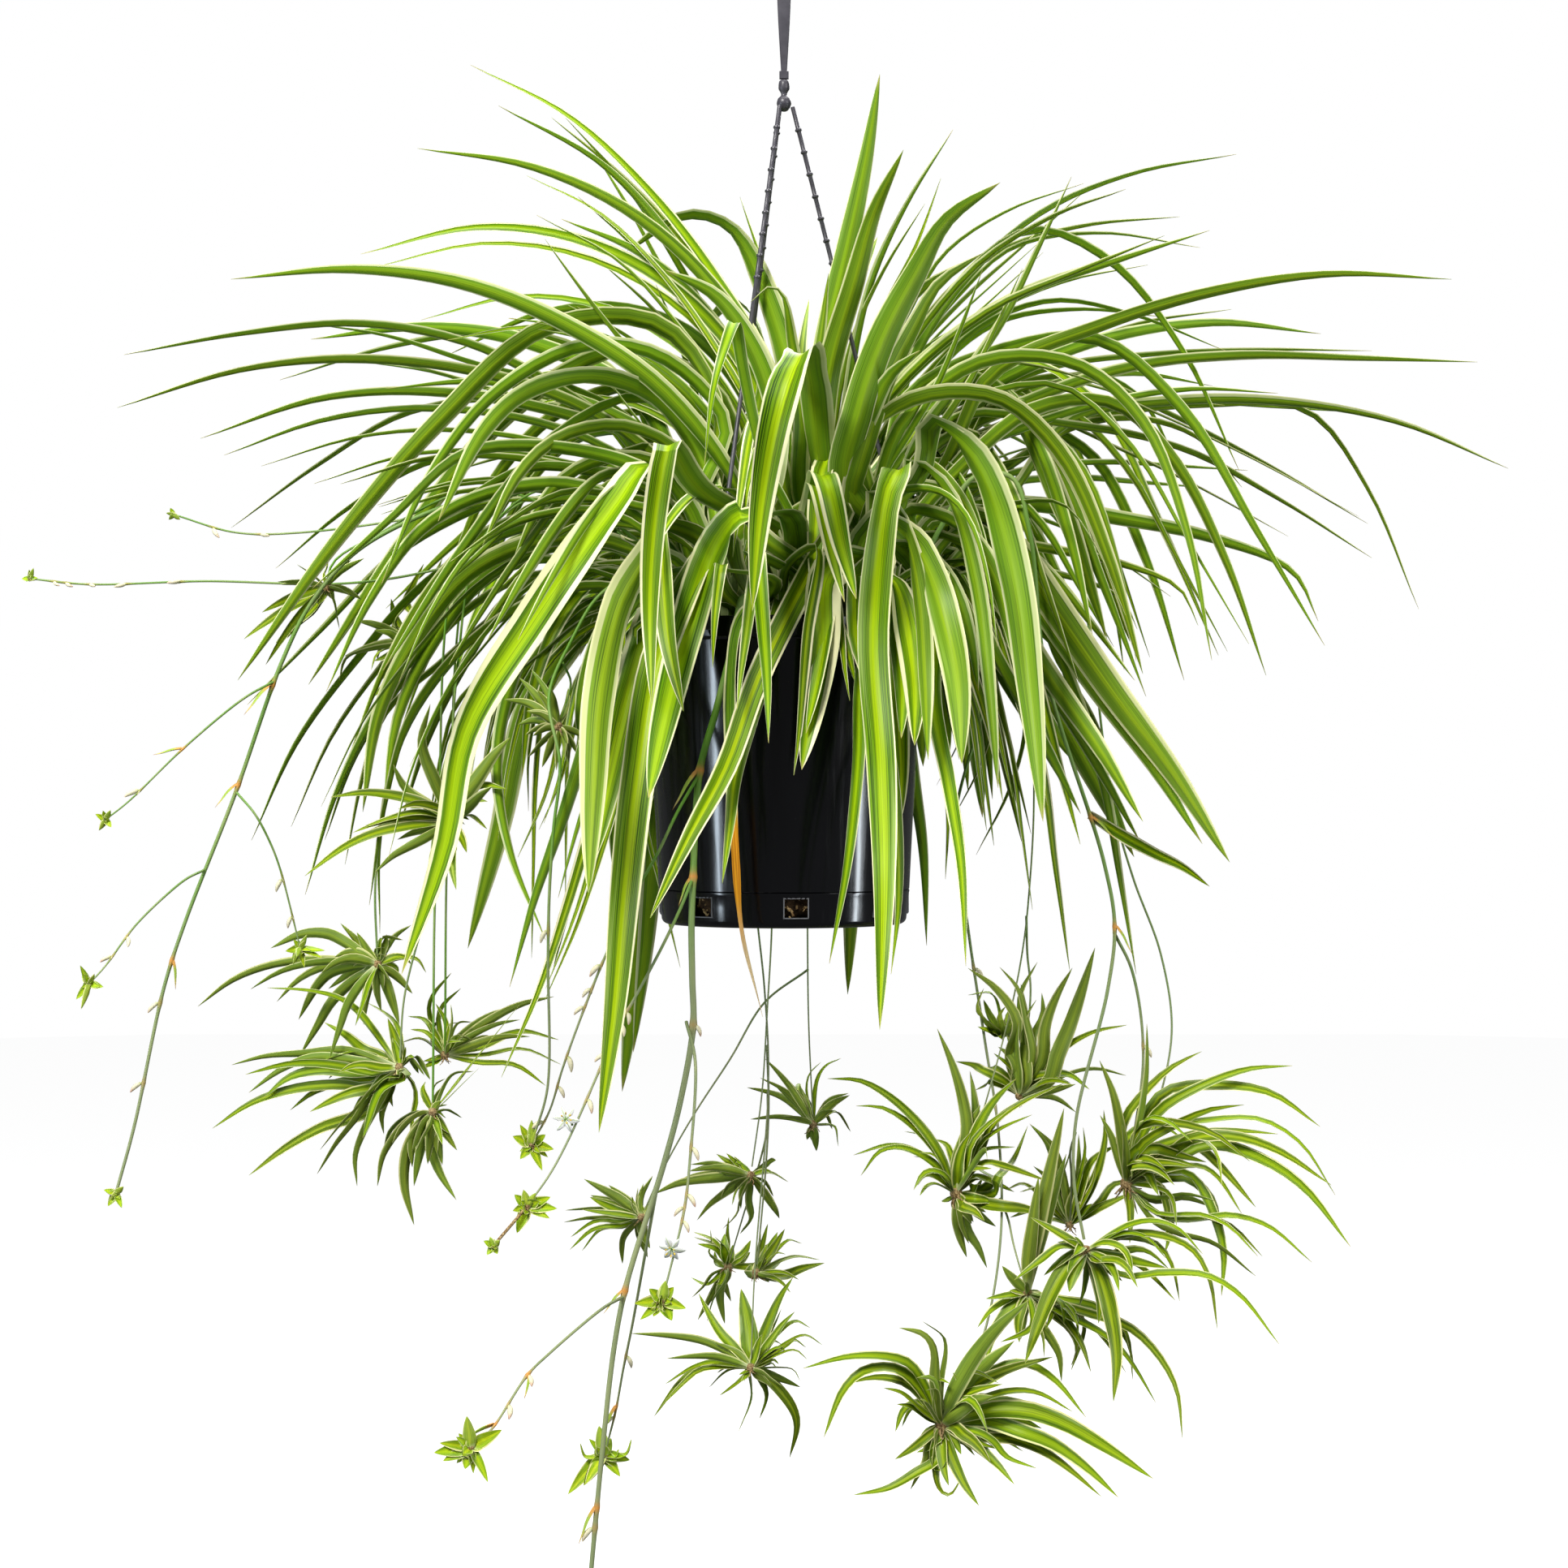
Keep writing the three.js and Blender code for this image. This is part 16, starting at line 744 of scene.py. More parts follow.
def step(t, v, lo, hi):
    n = t.nodes.new("ShaderNodeMapRange")
    n.interpolation_type = "SMOOTHSTEP"
    for k, x in (("Value", v), ("From Min", lo), ("From Max", hi)):
        if isinstance(x, (int, float)):
            n.inputs[k].default_value = x
        else:
            t.links.new(x, n.inputs[k])
    return n.outputs[0]


def mix(t, f, a, b):
    n = t.nodes.new("ShaderNodeMix")
    n.data_type = "RGBA"
    for k, v in ((0, f), (6, a), (7, b)):
        if isinstance(v, (tuple, list)):
            n.inputs[k].default_value = (*v, 1)
        elif isinstance(v, (int, float)):
            n.inputs[k].default_value = v
        else:
            t.links.new(v, n.inputs[k])
    return n.outputs[2]


def noise(t, vec, scale, detail=2.0, rough=0.5, dims="3D"):
    n = t.nodes.new("ShaderNodeTexNoise")
    n.noise_dimensions = dims
    n.inputs["Scale"].default_value = scale
    n.inputs["Detail"].default_value = detail
    n.inputs["Roughness"].default_value = rough
    if vec is not None:
        t.links.new(vec, n.inputs["Vector"])
    return n.outputs["Fac"]


def xyz(t, a, b, c):
    n = t.nodes.new("ShaderNodeCombineXYZ")
    for i, v in enumerate((a, b, c)):
        if isinstance(v, (int, float)):
            n.inputs[i].default_value = v
        else:
            t.links.new(v, n.inputs[i])
    return n.outputs[0]


def leaf_material(name, lime, green, deep, cream, sheen, under_tint, margin_gain=1.0, foot=(0.78, 0.8, 0.5), tip=(0.55, 0.42, 0.14)):
    """A striped blade: a cream margin, green flanks, a bright middle, and fine lines along it."""

    def build(t, b):
        ac, al, rn, un, ma = (attr(t, k) for k in ("across", "along", "rnd", "under", "marg"))
        aa = mth(t, "ABSOLUTE", ac)
        long = mth(t, "MULTIPLY", al, 2.2)
        seed = mth(t, "MULTIPLY", rn, 47.0)
        lines = noise(t, xyz(t, mth(t, "MULTIPLY", ac, 9.0), long, seed), 1.0, 3.0, 0.6)
        fine = noise(t, xyz(t, mth(t, "MULTIPLY", ac, 20.0), mth(t, "MULTIPLY", al, 2.5), seed), 1.0, 2.0, 0.6)
        broad = noise(t, xyz(t, mth(t, "MULTIPLY", ac, 1.2), mth(t, "MULTIPLY", al, 3.0), seed), 1.0, 2.0, 0.5)
        # green flanks to the bright middle
        mid = mth(t, "SUBTRACT", 1.0, step(t, mth(t, "ADD", aa, mth(t, "MULTIPLY", mth(t, "SUBTRACT", lines, 0.5), 0.8)), 0.05, mth(t, "ADD", 0.3, mth(t, "MULTIPLY", rn, 0.4))))
        col = mix(t, step(t, fine, 0.38, 0.6), deep, green)
        col = mix(t, mth(t, "MULTIPLY", mid, 0.85), col, lime)
        col = mix(t, mth(t, "MULTIPLY", step(t, lines, 0.58, 0.72), 0.5), col, lime)
        # painted sheen: pale patches between the green and the margin stand in for light glancing off the blade
        pale = mth(t, "MULTIPLY", step(t, mth(t, "ADD", aa, mth(t, "MULTIPLY", mth(t, "SUBTRACT", fine, 0.5), 0.5)), 0.45, 0.85), step(t, broad, 0.45, 0.62))
        col = mix(t, mth(t, "MULTIPLY", pale, 0.75), col, sheen)
        # margin, ragged by a few lines that run into it
        edge = mth(t, "SUBTRACT", 1.0, mth(t, "MULTIPLY", ma, margin_gain))
        rag = mth(t, "ADD", aa, mth(t, "MULTIPLY", mth(t, "SUBTRACT", lines, 0.5), 0.16))
        m = step(t, rag, mth(t, "SUBTRACT", edge, 0.03), mth(t, "ADD", edge, 0.03))
        col = mix(t, m, col, cream)
        # underside, pale foot, faded tip
        col = mix(t, mth(t, "MULTIPLY", un, 0.55), col, under_tint)
        col = mix(t, mth(t, "MULTIPLY", mth(t, "SUBTRACT", 1.0, step(t, al, 0.0, 0.16)), 0.75), col, foot)
        col = mix(t, mth(t, "MULTIPLY", step(t, al, 0.965, 1.0), mth(t, "MULTIPLY", rn, 0.8)), col, tip)
        # leaves differ a little from one another
        g = t.nodes.new("ShaderNodeHueSaturation")
        t.links.new(mth(t, "ADD", 0.487, mth(t, "MULTIPLY", rn, 0.02)), g.inputs["Hue"])
        dark = mth(t, "MULTIPLY", mth(t, "MULTIPLY", step(t, fine, 0.46, 0.34), 0.34), mth(t, "SUBTRACT", 1.0, m))
        t.links.new(mth(t, "SUBTRACT", mth(t, "ADD", 0.86, mth(t, "MULTIPLY", broad, 0.3)), dark), g.inputs["Value"])
        t.links.new(col, g.inputs["Color"])
        t.links.new(g.outputs[0], b.inputs["Base Color"])

    return material(name, build, 0.4, 0.16)


# the fifth colour of each leaf material is a painted sheen, the pale light glancing off the blades
LEAF = leaf_material("leaf", (0.38, 0.56, 0.002), (0.145, 0.31, 0.002), (0.033, 0.098, 0.001), (0.95, 0.92, 0.54), (0.32, 0.46, 0.11), (0.145, 0.285, 0.018))
YOUNG = leaf_material("plantlet_leaf", (0.36, 0.5, 0.008), (0.17, 0.29, 0.006), (0.075, 0.155, 0.004), (0.86, 0.84, 0.38), (0.31, 0.41, 0.15), (0.24, 0.34, 0.06), 1.1)
NEW = leaf_material("new_leaf", (0.55, 0.7, 0.015), (0.34, 0.54, 0.012), (0.18, 0.34, 0.01), (0.82, 0.8, 0.34), (0.36, 0.48, 0.12), (0.32, 0.44, 0.07), 0.9)


def build_withered(t, b):
    ac, al = attr(t, "across"), attr(t, "along")
    f = noise(t, xyz(t, mth(t, "MULTIPLY", ac, 7.0), mth(t, "MULTIPLY", al, 5.0), 3.0), 1.0, 3.0)
    c = mix(t, step(t, f, 0.35, 0.65), (0.55, 0.2, 0.006), (0.85, 0.42, 0.015))
    c = mix(t, step(t, al, 0.74, 0.88), c, (0.62, 0.47, 0.25))
    # the upper part is still green with a cream margin
    g = mix(t, step(t, f, 0.35, 0.65), (0.03, 0.1, 0.005), (0.2, 0.4, 0.01))
    g = mix(t, step(t, mth(t, "ABSOLUTE", ac), 0.7, 0.8), g, (0.8, 0.8, 0.42))
    c = mix(t, step(t, mth(t, "ADD", al, mth(t, "MULTIPLY", f, 0.06)), 0.56, 0.64), g, c)
    t.links.new(c, b.inputs["Base Color"])


def build_runner(t, b):
    al, rn, nd, hi = (attr(t, k) for k in ("along", "rnd", "under", "marg"))
    f = noise(t, xyz(t, mth(t, "MULTIPLY", al, 8.0), rn, 0.0), 1.0, 3.0)
    # under the pot the runners fade from green to a dull straw
    c = mix(t, hi, (0.12, 0.31, 0.015), (0.27, 0.33, 0.15))
    c = mix(t, mth(t, "MULTIPLY", step(t, f, 0.4, 0.7), 0.5), c, (0.42, 0.44, 0.2))
    c = mix(t, nd, c, (0.72, 0.3, 0.05))
    t.links.new(c, b.inputs["Base Color"])


def build_bract(t, b):
    al, rn = attr(t, "along"), attr(t, "rnd")
    c = mix(t, step(t, al, 0.1, 0.35), (0.66, 0.32, 0.07), (0.36, 0.5, 0.06))
    c = mix(t, step(t, al, 0.55, 0.85), c, (0.66, 0.5, 0.16))
    c = mix(t, step(t, al, 0.86, 1.0), c, (0.36, 0.16, 0.05))
    t.links.new(c, b.inputs["Base Color"])


def build_bud(t, b):
    al, rn = attr(t, "along"), attr(t, "rnd")
    c = mix(t, step(t, al, 0.0, 0.3), (0.42, 0.5, 0.18), (0.8, 0.74, 0.5))
    c = mix(t, mth(t, "MULTIPLY", step(t, al, 0.55, 1.0), rn), c, (0.6, 0.34, 0.24))
    t.links.new(c, b.inputs["Base Color"])


def build_root(t, b):
    tc = t.nodes.new("ShaderNodeTexCoord")
    f = noise(t, tc.outputs["Object"], 900.0, 3.0)
    c = mix(t, step(t, f, 0.35, 0.65), (0.16, 0.085, 0.03), (0.5, 0.36, 0.17))
    t.links.new(c, b.inputs["Base Color"])


def build_pot(t, b):
    tc = t.nodes.new("ShaderNodeTexCoord")
    m = t.nodes.new("ShaderNodeMapping")
    m.inputs["Scale"].default_value = (260.0, 260.0, 7.0)
    t.links.new(tc.outputs["Object"], m.inputs["Vector"])
    f = noise(t, m.outputs[0], 1.0, 4.0, 0.65)
    s = noise(t, tc.outputs["Object"], 520.0, 2.0)
    c = mix(t, mth(t, "MULTIPLY", step(t, f, 0.6, 0.85), 0.35), (0.003, 0.003, 0.004), (0.012, 0.013, 0.018))
    c = mix(t, step(t, s, 0.78, 0.84), c, (0.2, 0.2, 0.22))
    t.links.new(c, b.inputs["Base Color"])
    t.links.new(mth(t, "ADD", 0.13, mth(t, "MULTIPLY", step(t, f, 0.45, 0.75), 0.14)), b.inputs["Roughness"])


def build_mix(t, b):
    tc = t.nodes.new("ShaderNodeTexCoord")
    f = noise(t, tc.outputs["Object"], 260.0, 4.0, 0.7)
    h = noise(t, tc.outputs["Object"], 900.0, 2.0, 0.6)
    c = mix(t, step(t, f, 0.35, 0.65), (0.012, 0.007, 0.004), (0.075, 0.042, 0.02))
    c = mix(t, step(t, h, 0.68, 0.76), c, (0.3, 0.2, 0.1))
    t.links.new(c, b.inputs["Base Color"])


def build_hanger(t, b):
    tc = t.nodes.new("ShaderNodeTexCoord")
    f = noise(t, tc.outputs["Object"], 160.0, 3.0)
    c = mix(t, f, (0.035, 0.033, 0.042), (0.085, 0.08, 0.098))
    t.links.new(c, b.inputs["Base Color"])


def flat(color):
    def build(t, b):
        b.inputs["Base Color"].default_value = (*color, 1)

    return build


def build_petal(t, b):
    ac, al = attr(t, "across"), attr(t, "along")
    c = mix(t, step(t, mth(t, "ABSOLUTE", ac), 0.0, 0.3), (0.55, 0.66, 0.36), (0.86, 0.87, 0.84))
    t.links.new(c, b.inputs["Base Color"])


WITHER = material("withered", build_withered, 0.7, 0.25)
RUNNER = material("runner", build_runner, 0.48, 0.4)
BRACT = material("bract", build_bract, 0.55, 0.3)
BUD = material("bud", build_bud, 0.55, 0.3)
ROOT = material("root", build_root, 0.75, 0.2)
POT = material("pot", build_pot, 0.16, 0.5)
SLOT = material("slot_frame", flat((0.17, 0.17, 0.18)), 0.4, 0.5)
MIX = material("potting_mix", build_mix, 0.95, 0.15)
HANGER = material("hanger", build_hanger, 0.36, 0.5)
PETAL = material("petal", build_petal, 0.55, 0.3)
ANTHER = material("anther", flat((0.75, 0.5, 0.05)), 0.6, 0.3)
FOOT = material("sheath", flat((0.34, 0.42, 0.17)), 0.55, 0.3)


# ---- meshes ----
class Build:
    """Gathers strips, each wound round its own cell of one UV map."""

    def __init__(self):
        self.v, self.f, self.m, self.uv, self.a = [], [], [], [], {k: [] for k in ("across", "along", "rnd", "under", "marg")}
        self.n, self.cells = 0, 0

    def strip(self, rings, mat, att, tip=None, closed=True):
        """rings: (count, sides, 3). att: name to (count, sides) or one number."""
        c, s, _ = rings.shape
        base = self.n
        self.v.append(rings.reshape(-1, 3))
        for k in self.a:
            self.a[k].append(np.broadcast_to(np.asarray(att.get(k, 0.0), float), (c, s)).reshape(-1))
        self.n += c * s
        cell = self.cells
        self.cells += 1
        for i in range(c - 1):
            for j in range(s):
                k = (j + 1) % s
                self.f.append((base + i * s + j, base + i * s + k, base + (i + 1) * s + k, base + (i + 1) * s + j))
                self.uv.append(((cell, j / s, i / c), (cell, (j + 1) / s, i / c), (cell, (j + 1) / s, (i + 1) / c), (cell, j / s, (i + 1) / c)))
                self.m.append(mat)
        ends = [(0, rings[0].mean(0), -1)] + ([(c - 1, rings[-1].mean(0) if tip is None else tip, 1)] if closed else [])
        for i, p, way in ends:
            self.v.append(np.asarray(p, float).reshape(1, 3))
            for k in self.a:
                w = np.broadcast_to(np.asarray(att.get(k, 0.0), float), (c, s))
                self.a[k].append(np.array([w[i].mean()]))
            q = self.n
            self.n += 1
            for j in range(s):
                k = (j + 1) % s
                tri = (base + i * s + j, base + i * s + k, q) if way > 0 else (base + i * s + k, base + i * s + j, q)
                self.f.append(tri)
                y = 0.0 if way < 0 else 1.0
                y2 = 0.5 / c if way < 0 else (c - 0.5) / c
                a, b = (j / s, (j + 1) / s) if way > 0 else ((j + 1) / s, j / s)
                self.uv.append(((cell, a, y2), (cell, b, y2), (cell, (j + 0.5) / s, y)))
                self.m.append(mat)

    def make(self, name, mats, node, angle=48, tall=12.0):
        me = bpy.data.meshes.new(name)
        v = np.concatenate(self.v) * MM
        me.from_pydata(v.tolist(), [], self.f)
        for m in mats:
            me.materials.append(m)
        me.polygons.foreach_set("material_index", self.m)
        for k, parts in self.a.items():
            me.attributes.new(k, "FLOAT", "POINT").data.foreach_set("value", np.concatenate(parts).astype(np.float32))
        cols = max(1, math.ceil(math.sqrt(self.cells * tall)))
        rows = math.ceil(self.cells / cols)
        flat_uv = []
        for face in self.uv:
            for cell, x, y in face:
                flat_uv += [(cell % cols + 0.06 + 0.88 * x) / cols, (cell // cols + 0.02 + 0.96 * y) / rows]
        me.uv_layers.new(name="OFBake").data.foreach_set("uv", flat_uv)
        me.shade_smooth()
        me.set_sharp_from_angle(angle=math.radians(angle))
        me.validate()
        o = bpy.data.objects.new(name, me)
        bpy.context.scene.collection.objects.link(o)
        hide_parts(node)
        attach(o, "root")
        return o


def unit(v):
    return v / np.maximum(np.linalg.norm(v, axis=-1, keepdims=True), 1e-9)


def smooth_line(P, extra, count):
    """An even, smooth curve through P, with extra columns carried along it. Gives points, tangents, columns and the share of the length."""
    P = np.asarray(P, float)
    n = len(P)
    t = np.concatenate([[0], np.cumsum(np.maximum(np.linalg.norm(np.diff(P, axis=0), axis=1), 1e-6) ** 0.5)])
    tang = np.empty_like(P)
    for i in range(n):
        if i == 0:
            tang[i] = (P[1] - P[0]) / (t[1] - t[0])
        elif i == n - 1:
            tang[i] = (P[-1] - P[-2]) / (t[-1] - t[-2])
        else:
            a, b = t[i] - t[i - 1], t[i + 1] - t[i]
            tang[i] = ((P[i] - P[i - 1]) / a * b + (P[i + 1] - P[i]) / b * a) / (a + b)
    dense = np.linspace(0, t[-1], 40 * n)
    k = np.clip(np.searchsorted(t, dense, side="right") - 1, 0, n - 2)
    h = (t[k + 1] - t[k])[:, None]
    u = ((dense - t[k]) / (t[k + 1] - t[k]))[:, None]
    Q = (2 * u**3 - 3 * u**2 + 1) * P[k] + (u**3 - 2 * u**2 + u) * h * tang[k] + (-2 * u**3 + 3 * u**2) * P[k + 1] + (u**3 - u**2) * h * tang[k + 1]
    s = np.concatenate([[0], np.cumsum(np.linalg.norm(np.diff(Q, axis=0), axis=1))])
    want = np.linspace(0, s[-1], count)
    pts = np.stack([np.interp(want, s, Q[:, j]) for j in range(3)], 1)
    at = np.interp(want, s, dense)
    cols = None
    if extra is not None:
        E = np.asarray(extra, float)
        kk = np.clip(np.searchsorted(t, at, side="right") - 1, 0, n - 2)
        uu = ((at - t[kk]) / (t[kk + 1] - t[kk]))[:, None]
        uu = uu * uu * (3 - 2 * uu)
        cols = E[kk] * (1 - uu) + E[kk + 1] * uu
    T = unit(np.gradient(pts, axis=0))
    return pts, T, cols, want / s[-1], s[-1]


def blade(B, row, mat, top=9, count=38, channel=(0.6, 0.34, 0.12), ripple=0.045, ramp=0.42, foot=1.25, thick=0.45, margin=None, sag=0.0):
    hw, base, p, q, flat_row = row
    R = np.asarray(flat_row, float).reshape(-1, 6)
    pts, T, W, s, length = smooth_line(R[:, :3], R[:, 3:], count)
    W = unit(W - T * (W * T).sum(1, keepdims=True))
    N = np.cross(T, W)
    base = min(1.0, base * foot)
    h = hw * (base + (1 - base) * np.sin(np.minimum(1, s / ramp) * math.pi / 2)) * np.maximum(0.0, 1 - s**p) ** q
    h = np.maximum(h, 0.12)
    a = np.array([-1, -0.86, -0.6, -0.3, -0.05, 0.05, 0.3, 0.6, 0.86, 1]) if top > 8 else np.array([-1, -0.8, -0.4, 0, 0.4, 0.8, 1])
    top = len(a)
    ph, fr = rng.uniform(0, 6.28), rng.uniform(3.0, 6.0)
    depth = h * np.interp(s, [0, 0.35, 0.75, 1], [channel[0], channel[1], channel[1] * 0.8, channel[2]])
    lift = -depth[:, None] * (1 - np.abs(a)[None, :] ** 0.92)
    wave = (h * ripple)[:, None] * np.sin(2 * math.pi * fr * s[:, None] + ph + np.sign(a)[None, :] * 1.1) * np.abs(a)[None, :] ** 3
    up = lift + wave
    over = pts[:, None, :] + W[:, None, :] * (a[None, :] * h[:, None])[..., None] + N[:, None, :] * up[..., None]
    th = thick * (1 - np.abs(a[1:-1]) ** 4) * 1.0 + 0.1
    th = np.minimum(th[None, :], h[:, None] * 0.5 + 0.06)
    under = over[:, 1:-1] - N[:, None, :] * th[..., None]
    rings = np.concatenate([over, under[:, ::-1]], 1)
    across = np.concatenate([a, a[1:-1][::-1]])
    side = np.concatenate([np.zeros(top), np.ones(top - 2)])
    side[0] = side[top - 1] = 0.3
    r = rng.uniform()
    mg = rng.choice([0.08, 0.13, 0.18, 0.24, 0.31], p=[0.1, 0.22, 0.28, 0.24, 0.16]) if margin is None else margin
    B.strip(rings, mat, {"across": across[None, :], "along": s[:, None], "rnd": r, "under": side[None, :], "marg": mg * (1 + 0.42 * math.sin(r * 89.0) * np.sign(across))[None, :]}, tip=pts[-1] + T[-1] * 0.4)


def around(T):
    """Two directions across each tangent, carried along without twist."""
    w = np.array([1.0, 0, 0]) if abs(T[0][0]) < 0.8 else np.array([0, 1.0, 0])
    A = []
    for t in T:
        w = w - t * np.dot(w, t)
        w = w / np.linalg.norm(w)
        A.append(w)
    A = np.array(A)
    return A, np.cross(T, A)


def pipe(B, P, radius, mat, sides=10, count=None, att=None):
    P = np.asarray(P, float).reshape(-1, 3)
    length = np.linalg.norm(np.diff(P, axis=0), axis=1).sum()
    count = count or max(4, int(length / 6))
    pts, T, _, s, _ = smooth_line(P, None, count)
    A, C = around(T)
    r = radius(s, pts) if callable(radius) else np.full(len(s), float(radius))
    ang = np.arange(sides) * 2 * math.pi / sides
    rings = pts[:, None, :] + r[:, None, None] * (np.cos(ang)[None, :, None] * A[:, None, :] + np.sin(ang)[None, :, None] * C[:, None, :])
    at = {"along": s[:, None]}
    if att:
        at.update({k: (v(s, pts) if callable(v) else v) for k, v in att.items()})
        at = {k: (np.asarray(v)[:, None] if np.ndim(v) == 1 else v) for k, v in at.items()}
    B.strip(rings, mat, at)
    return pts, T, s


def knob(B, c, r, mat, squash=1.0, sides=14):
    z = np.linspace(-1, 1, 12)[1:-1]
    ang = np.arange(sides) * 2 * math.pi / sides
    rings = np.array([[[c[0] + r * math.sqrt(1 - q * q) * math.cos(t), c[1] + r * math.sqrt(1 - q * q) * math.sin(t), c[2] + r * q * squash] for t in ang] for q in z])
    B.strip(rings, mat, {"along": ((z + 1) / 2)[:, None], "rnd": rng.uniform(), "marg": 0.1})


def project(p):
    s = (2000 + p[1]) / 2000
    return 966 + p[0] / (0.54 * s), 966 - (p[2] + 567.5) / (0.54 * s)


def spin(v, ang):
    v = unit(np.asarray(v, float))
    return np.array(Matrix.Rotation(ang, 3, Vector(v)))


def rosette(B, rows, crowns, leaf_mat, root_mat, more):
    wide = 1.6 if more in (0.6, 0.7) else 1.3
    if more in (0.6, 0.7):
        more = 1.5
    for row in rows:
        blade(B, (row[0] * wide, *row[1:]), leaf_mat, top=7, count=18, channel=(0.6, 0.3, 0.1), ripple=0.03, foot=1.3, thick=0.35, margin=rng.uniform(0.08, 0.2))
    # the young inner leaves, shorter and closer to the crown
    own = {i: [] for i in range(len(crowns))}
    for row in rows:
        p = np.asarray(row[4][:3], float)
        if crowns:
            own[int(np.argmin([np.linalg.norm(p - np.array(c[:3])) for c in crowns]))].append(row)
    for i, mine in own.items():
        c = np.array(crowns[i][:3], float)
        if not mine or more <= 0:
            continue
        for k in range(int(round(len(mine) * more))):
            row = mine[k % len(mine)]
            r6 = np.asarray(row[4], float).reshape(-1, 6)
            M = spin([0, 0, 1], rng.normal(0, 0.6)) @ spin([rng.normal(), rng.normal(), 0], rng.normal(0, 0.35))
            size = rng.uniform(0.32, 0.78) + (0.2 if more == 2.2 else 0.0)
            P = (r6[:, :3] - c) @ M.T * size + c
            blade(B, (row[0] * wide * rng.uniform(0.75, 1.0), row[1], row[2], row[3], np.hstack([P, r6[:, 3:] @ M.T]).ravel()), leaf_mat, top=7, count=12, channel=(0.6, 0.3, 0.1), ripple=0.03, foot=1.3, thick=0.35, margin=rng.uniform(0.08, 0.22))
    for x, y, z, r in crowns:
        knob(B, (x, y, z), r * 0.6, root_mat, 1.1, 12)
        for k in range(14 if r > 6 else 9 if r > 4 else 5 if r > 2.5 else 0):
            a, lean = rng.uniform(0, 2 * math.pi), rng.uniform(0.2, 1.1)
            d = np.array([math.cos(a) * lean, math.sin(a) * lean, -rng.uniform(0.3, 1.0)])
            d /= np.linalg.norm(d)
            L = rng.uniform(0.6, 1.6) * r
            c = np.array([x, y, z])
            bend = np.array([rng.uniform(-1, 1), rng.uniform(-1, 1), -0.4]) * L * 0.2
            pipe(B, np.array([c + d * r * 0.2, c + d * (r * 0.3 + L * 0.5) + bend, c + d * (r * 0.3 + L)]), lambda s, _, k=r: k * 0.13 * (1 - 0.62 * s), root_mat, 6, 6, {"rnd": rng.uniform()})


FILL = {"shoot_left": 46, "shoot_back_left": 38, "shoot_right": 44, "shoot_back_right": 36, "shoot_back": 20, "shoot_front_left": 16, "shoot_front_right": 16, "shoot_front": 3, "shoot_centre": 10}

# some middle lines are drawn afresh: across and down the picture, and depth
REDRAWN = {
    ("shoot_front", 10): [(975, 788, -50), (988, 745, -66), (1003, 728, -78), (1018, 735, -87), (1029, 757, -92), (1038, 785, -96), (1047, 812, -99), (1055, 845, -101)],
    ("shoot_front", 7): [(968, 788, -55), (983, 720, -58), (996, 650, -66), (1009, 590, -79), (1014, 581, -88), (1022, 602, -100), (1036, 668, -110), (1055, 738, -120)],
    ("shoot_front_right", 6): [(1050, 782, -34), (1073, 738, -42), (1092, 703, -52), (1101, 700, -60), (1105, 724, -67), (1107, 841, -78), (1111, 942, -90), (1110, 1010, -100)],
    ("shoot_front_right", 8): [(1043, 789, -41), (1055, 745, -56), (1066, 735, -74), (1067, 777, -92), (1060, 850, -102), (1058, 935, -106), (1045, 1060, -108), (1022, 1187, -111)],
    ("shoot_front", 12): [(966, 789, -45), (963, 745, -64), (962, 738, -84), (948, 805, -103), (924, 887, -109), (906, 956, -112), (899, 1018, -115), (890, 1088, -117)],
    ("shoot_centre", 5): [(966, 793, 3), (951, 738, -18), (941, 701, -50), (933, 694, -80), (927, 721, -102), (920, 775, -116), (913, 828, -126), (908, 874, -136)],
}
STEM_PATHS = {
    "s_mid_2": [(933, 789, -70), (916, 735, -86), (903, 795, -92), (881, 880, -91), (863, 945, -89), (857, 1010, -87), (854, 1083, -86), (852, 1139, -86), (853, 1207, -87), (854, 1265, -88), (838, 1358, -90), (818, 1434, -92), (772, 1582, -95), (757, 1658, -96), (741, 1800, -98), (725, 1972, -100)],
    "s_mid_2a": [(861, 955, -89), (835, 1000, -91), (811, 1050, -91), (780, 1105, -88), (742, 1187, -84), (695, 1311, -82), (677, 1369, -80), (659, 1403, -80)],
    "s_mid_2b": [(852, 1086, -87), (838, 1120, -90), (814, 1170, -98), (783, 1228, -104), (765, 1260, -106), (701, 1403, -113), (678, 1446, -116), (655, 1479, -119)],
}


def reach(u, v):
    """how far the growth spreads in depth, by its distance from the crown"""
    t = np.clip((0.54 * np.hypot(u - 966, v - 793) - 50) / 170, 0, 1)
    return 1.6 * t * t * (3 - 2 * t)


def deep(u, v, y):
    t = np.abs(y)
    return y + np.sign(y) * reach(u, v) * np.where(t < 45, 0, np.where(t < 85, (t - 45) ** 2 / 80, t - 65))


def shallow(u, v, y):
    """undoes deep"""
    c, t = np.maximum(reach(u, v), 1e-6), np.abs(y)
    q = (np.sqrt(1 + c / 20 * np.maximum(t - 45, 0)) - 1) * 40 / c
    return np.sign(y) * np.where(t < 45, t, np.where(q <= 40, 45 + q, (t + 65 * c) / (1 + c)))


def place(u, v, y, f=deep):
    y = f(u, v, y)
    k = 0.54 * (2000 + y) / 2000
    return ((u - 966) * k, y, -567.5 - (v - 966) * k)


def shift(P, f):
    k = 0.54 * (2000 + P[:, 1]) / 2000
    return np.stack(place(966 + P[:, 0] / k, 966 - (P[:, 2] + 567.5) / k, P[:, 1], f), 1)


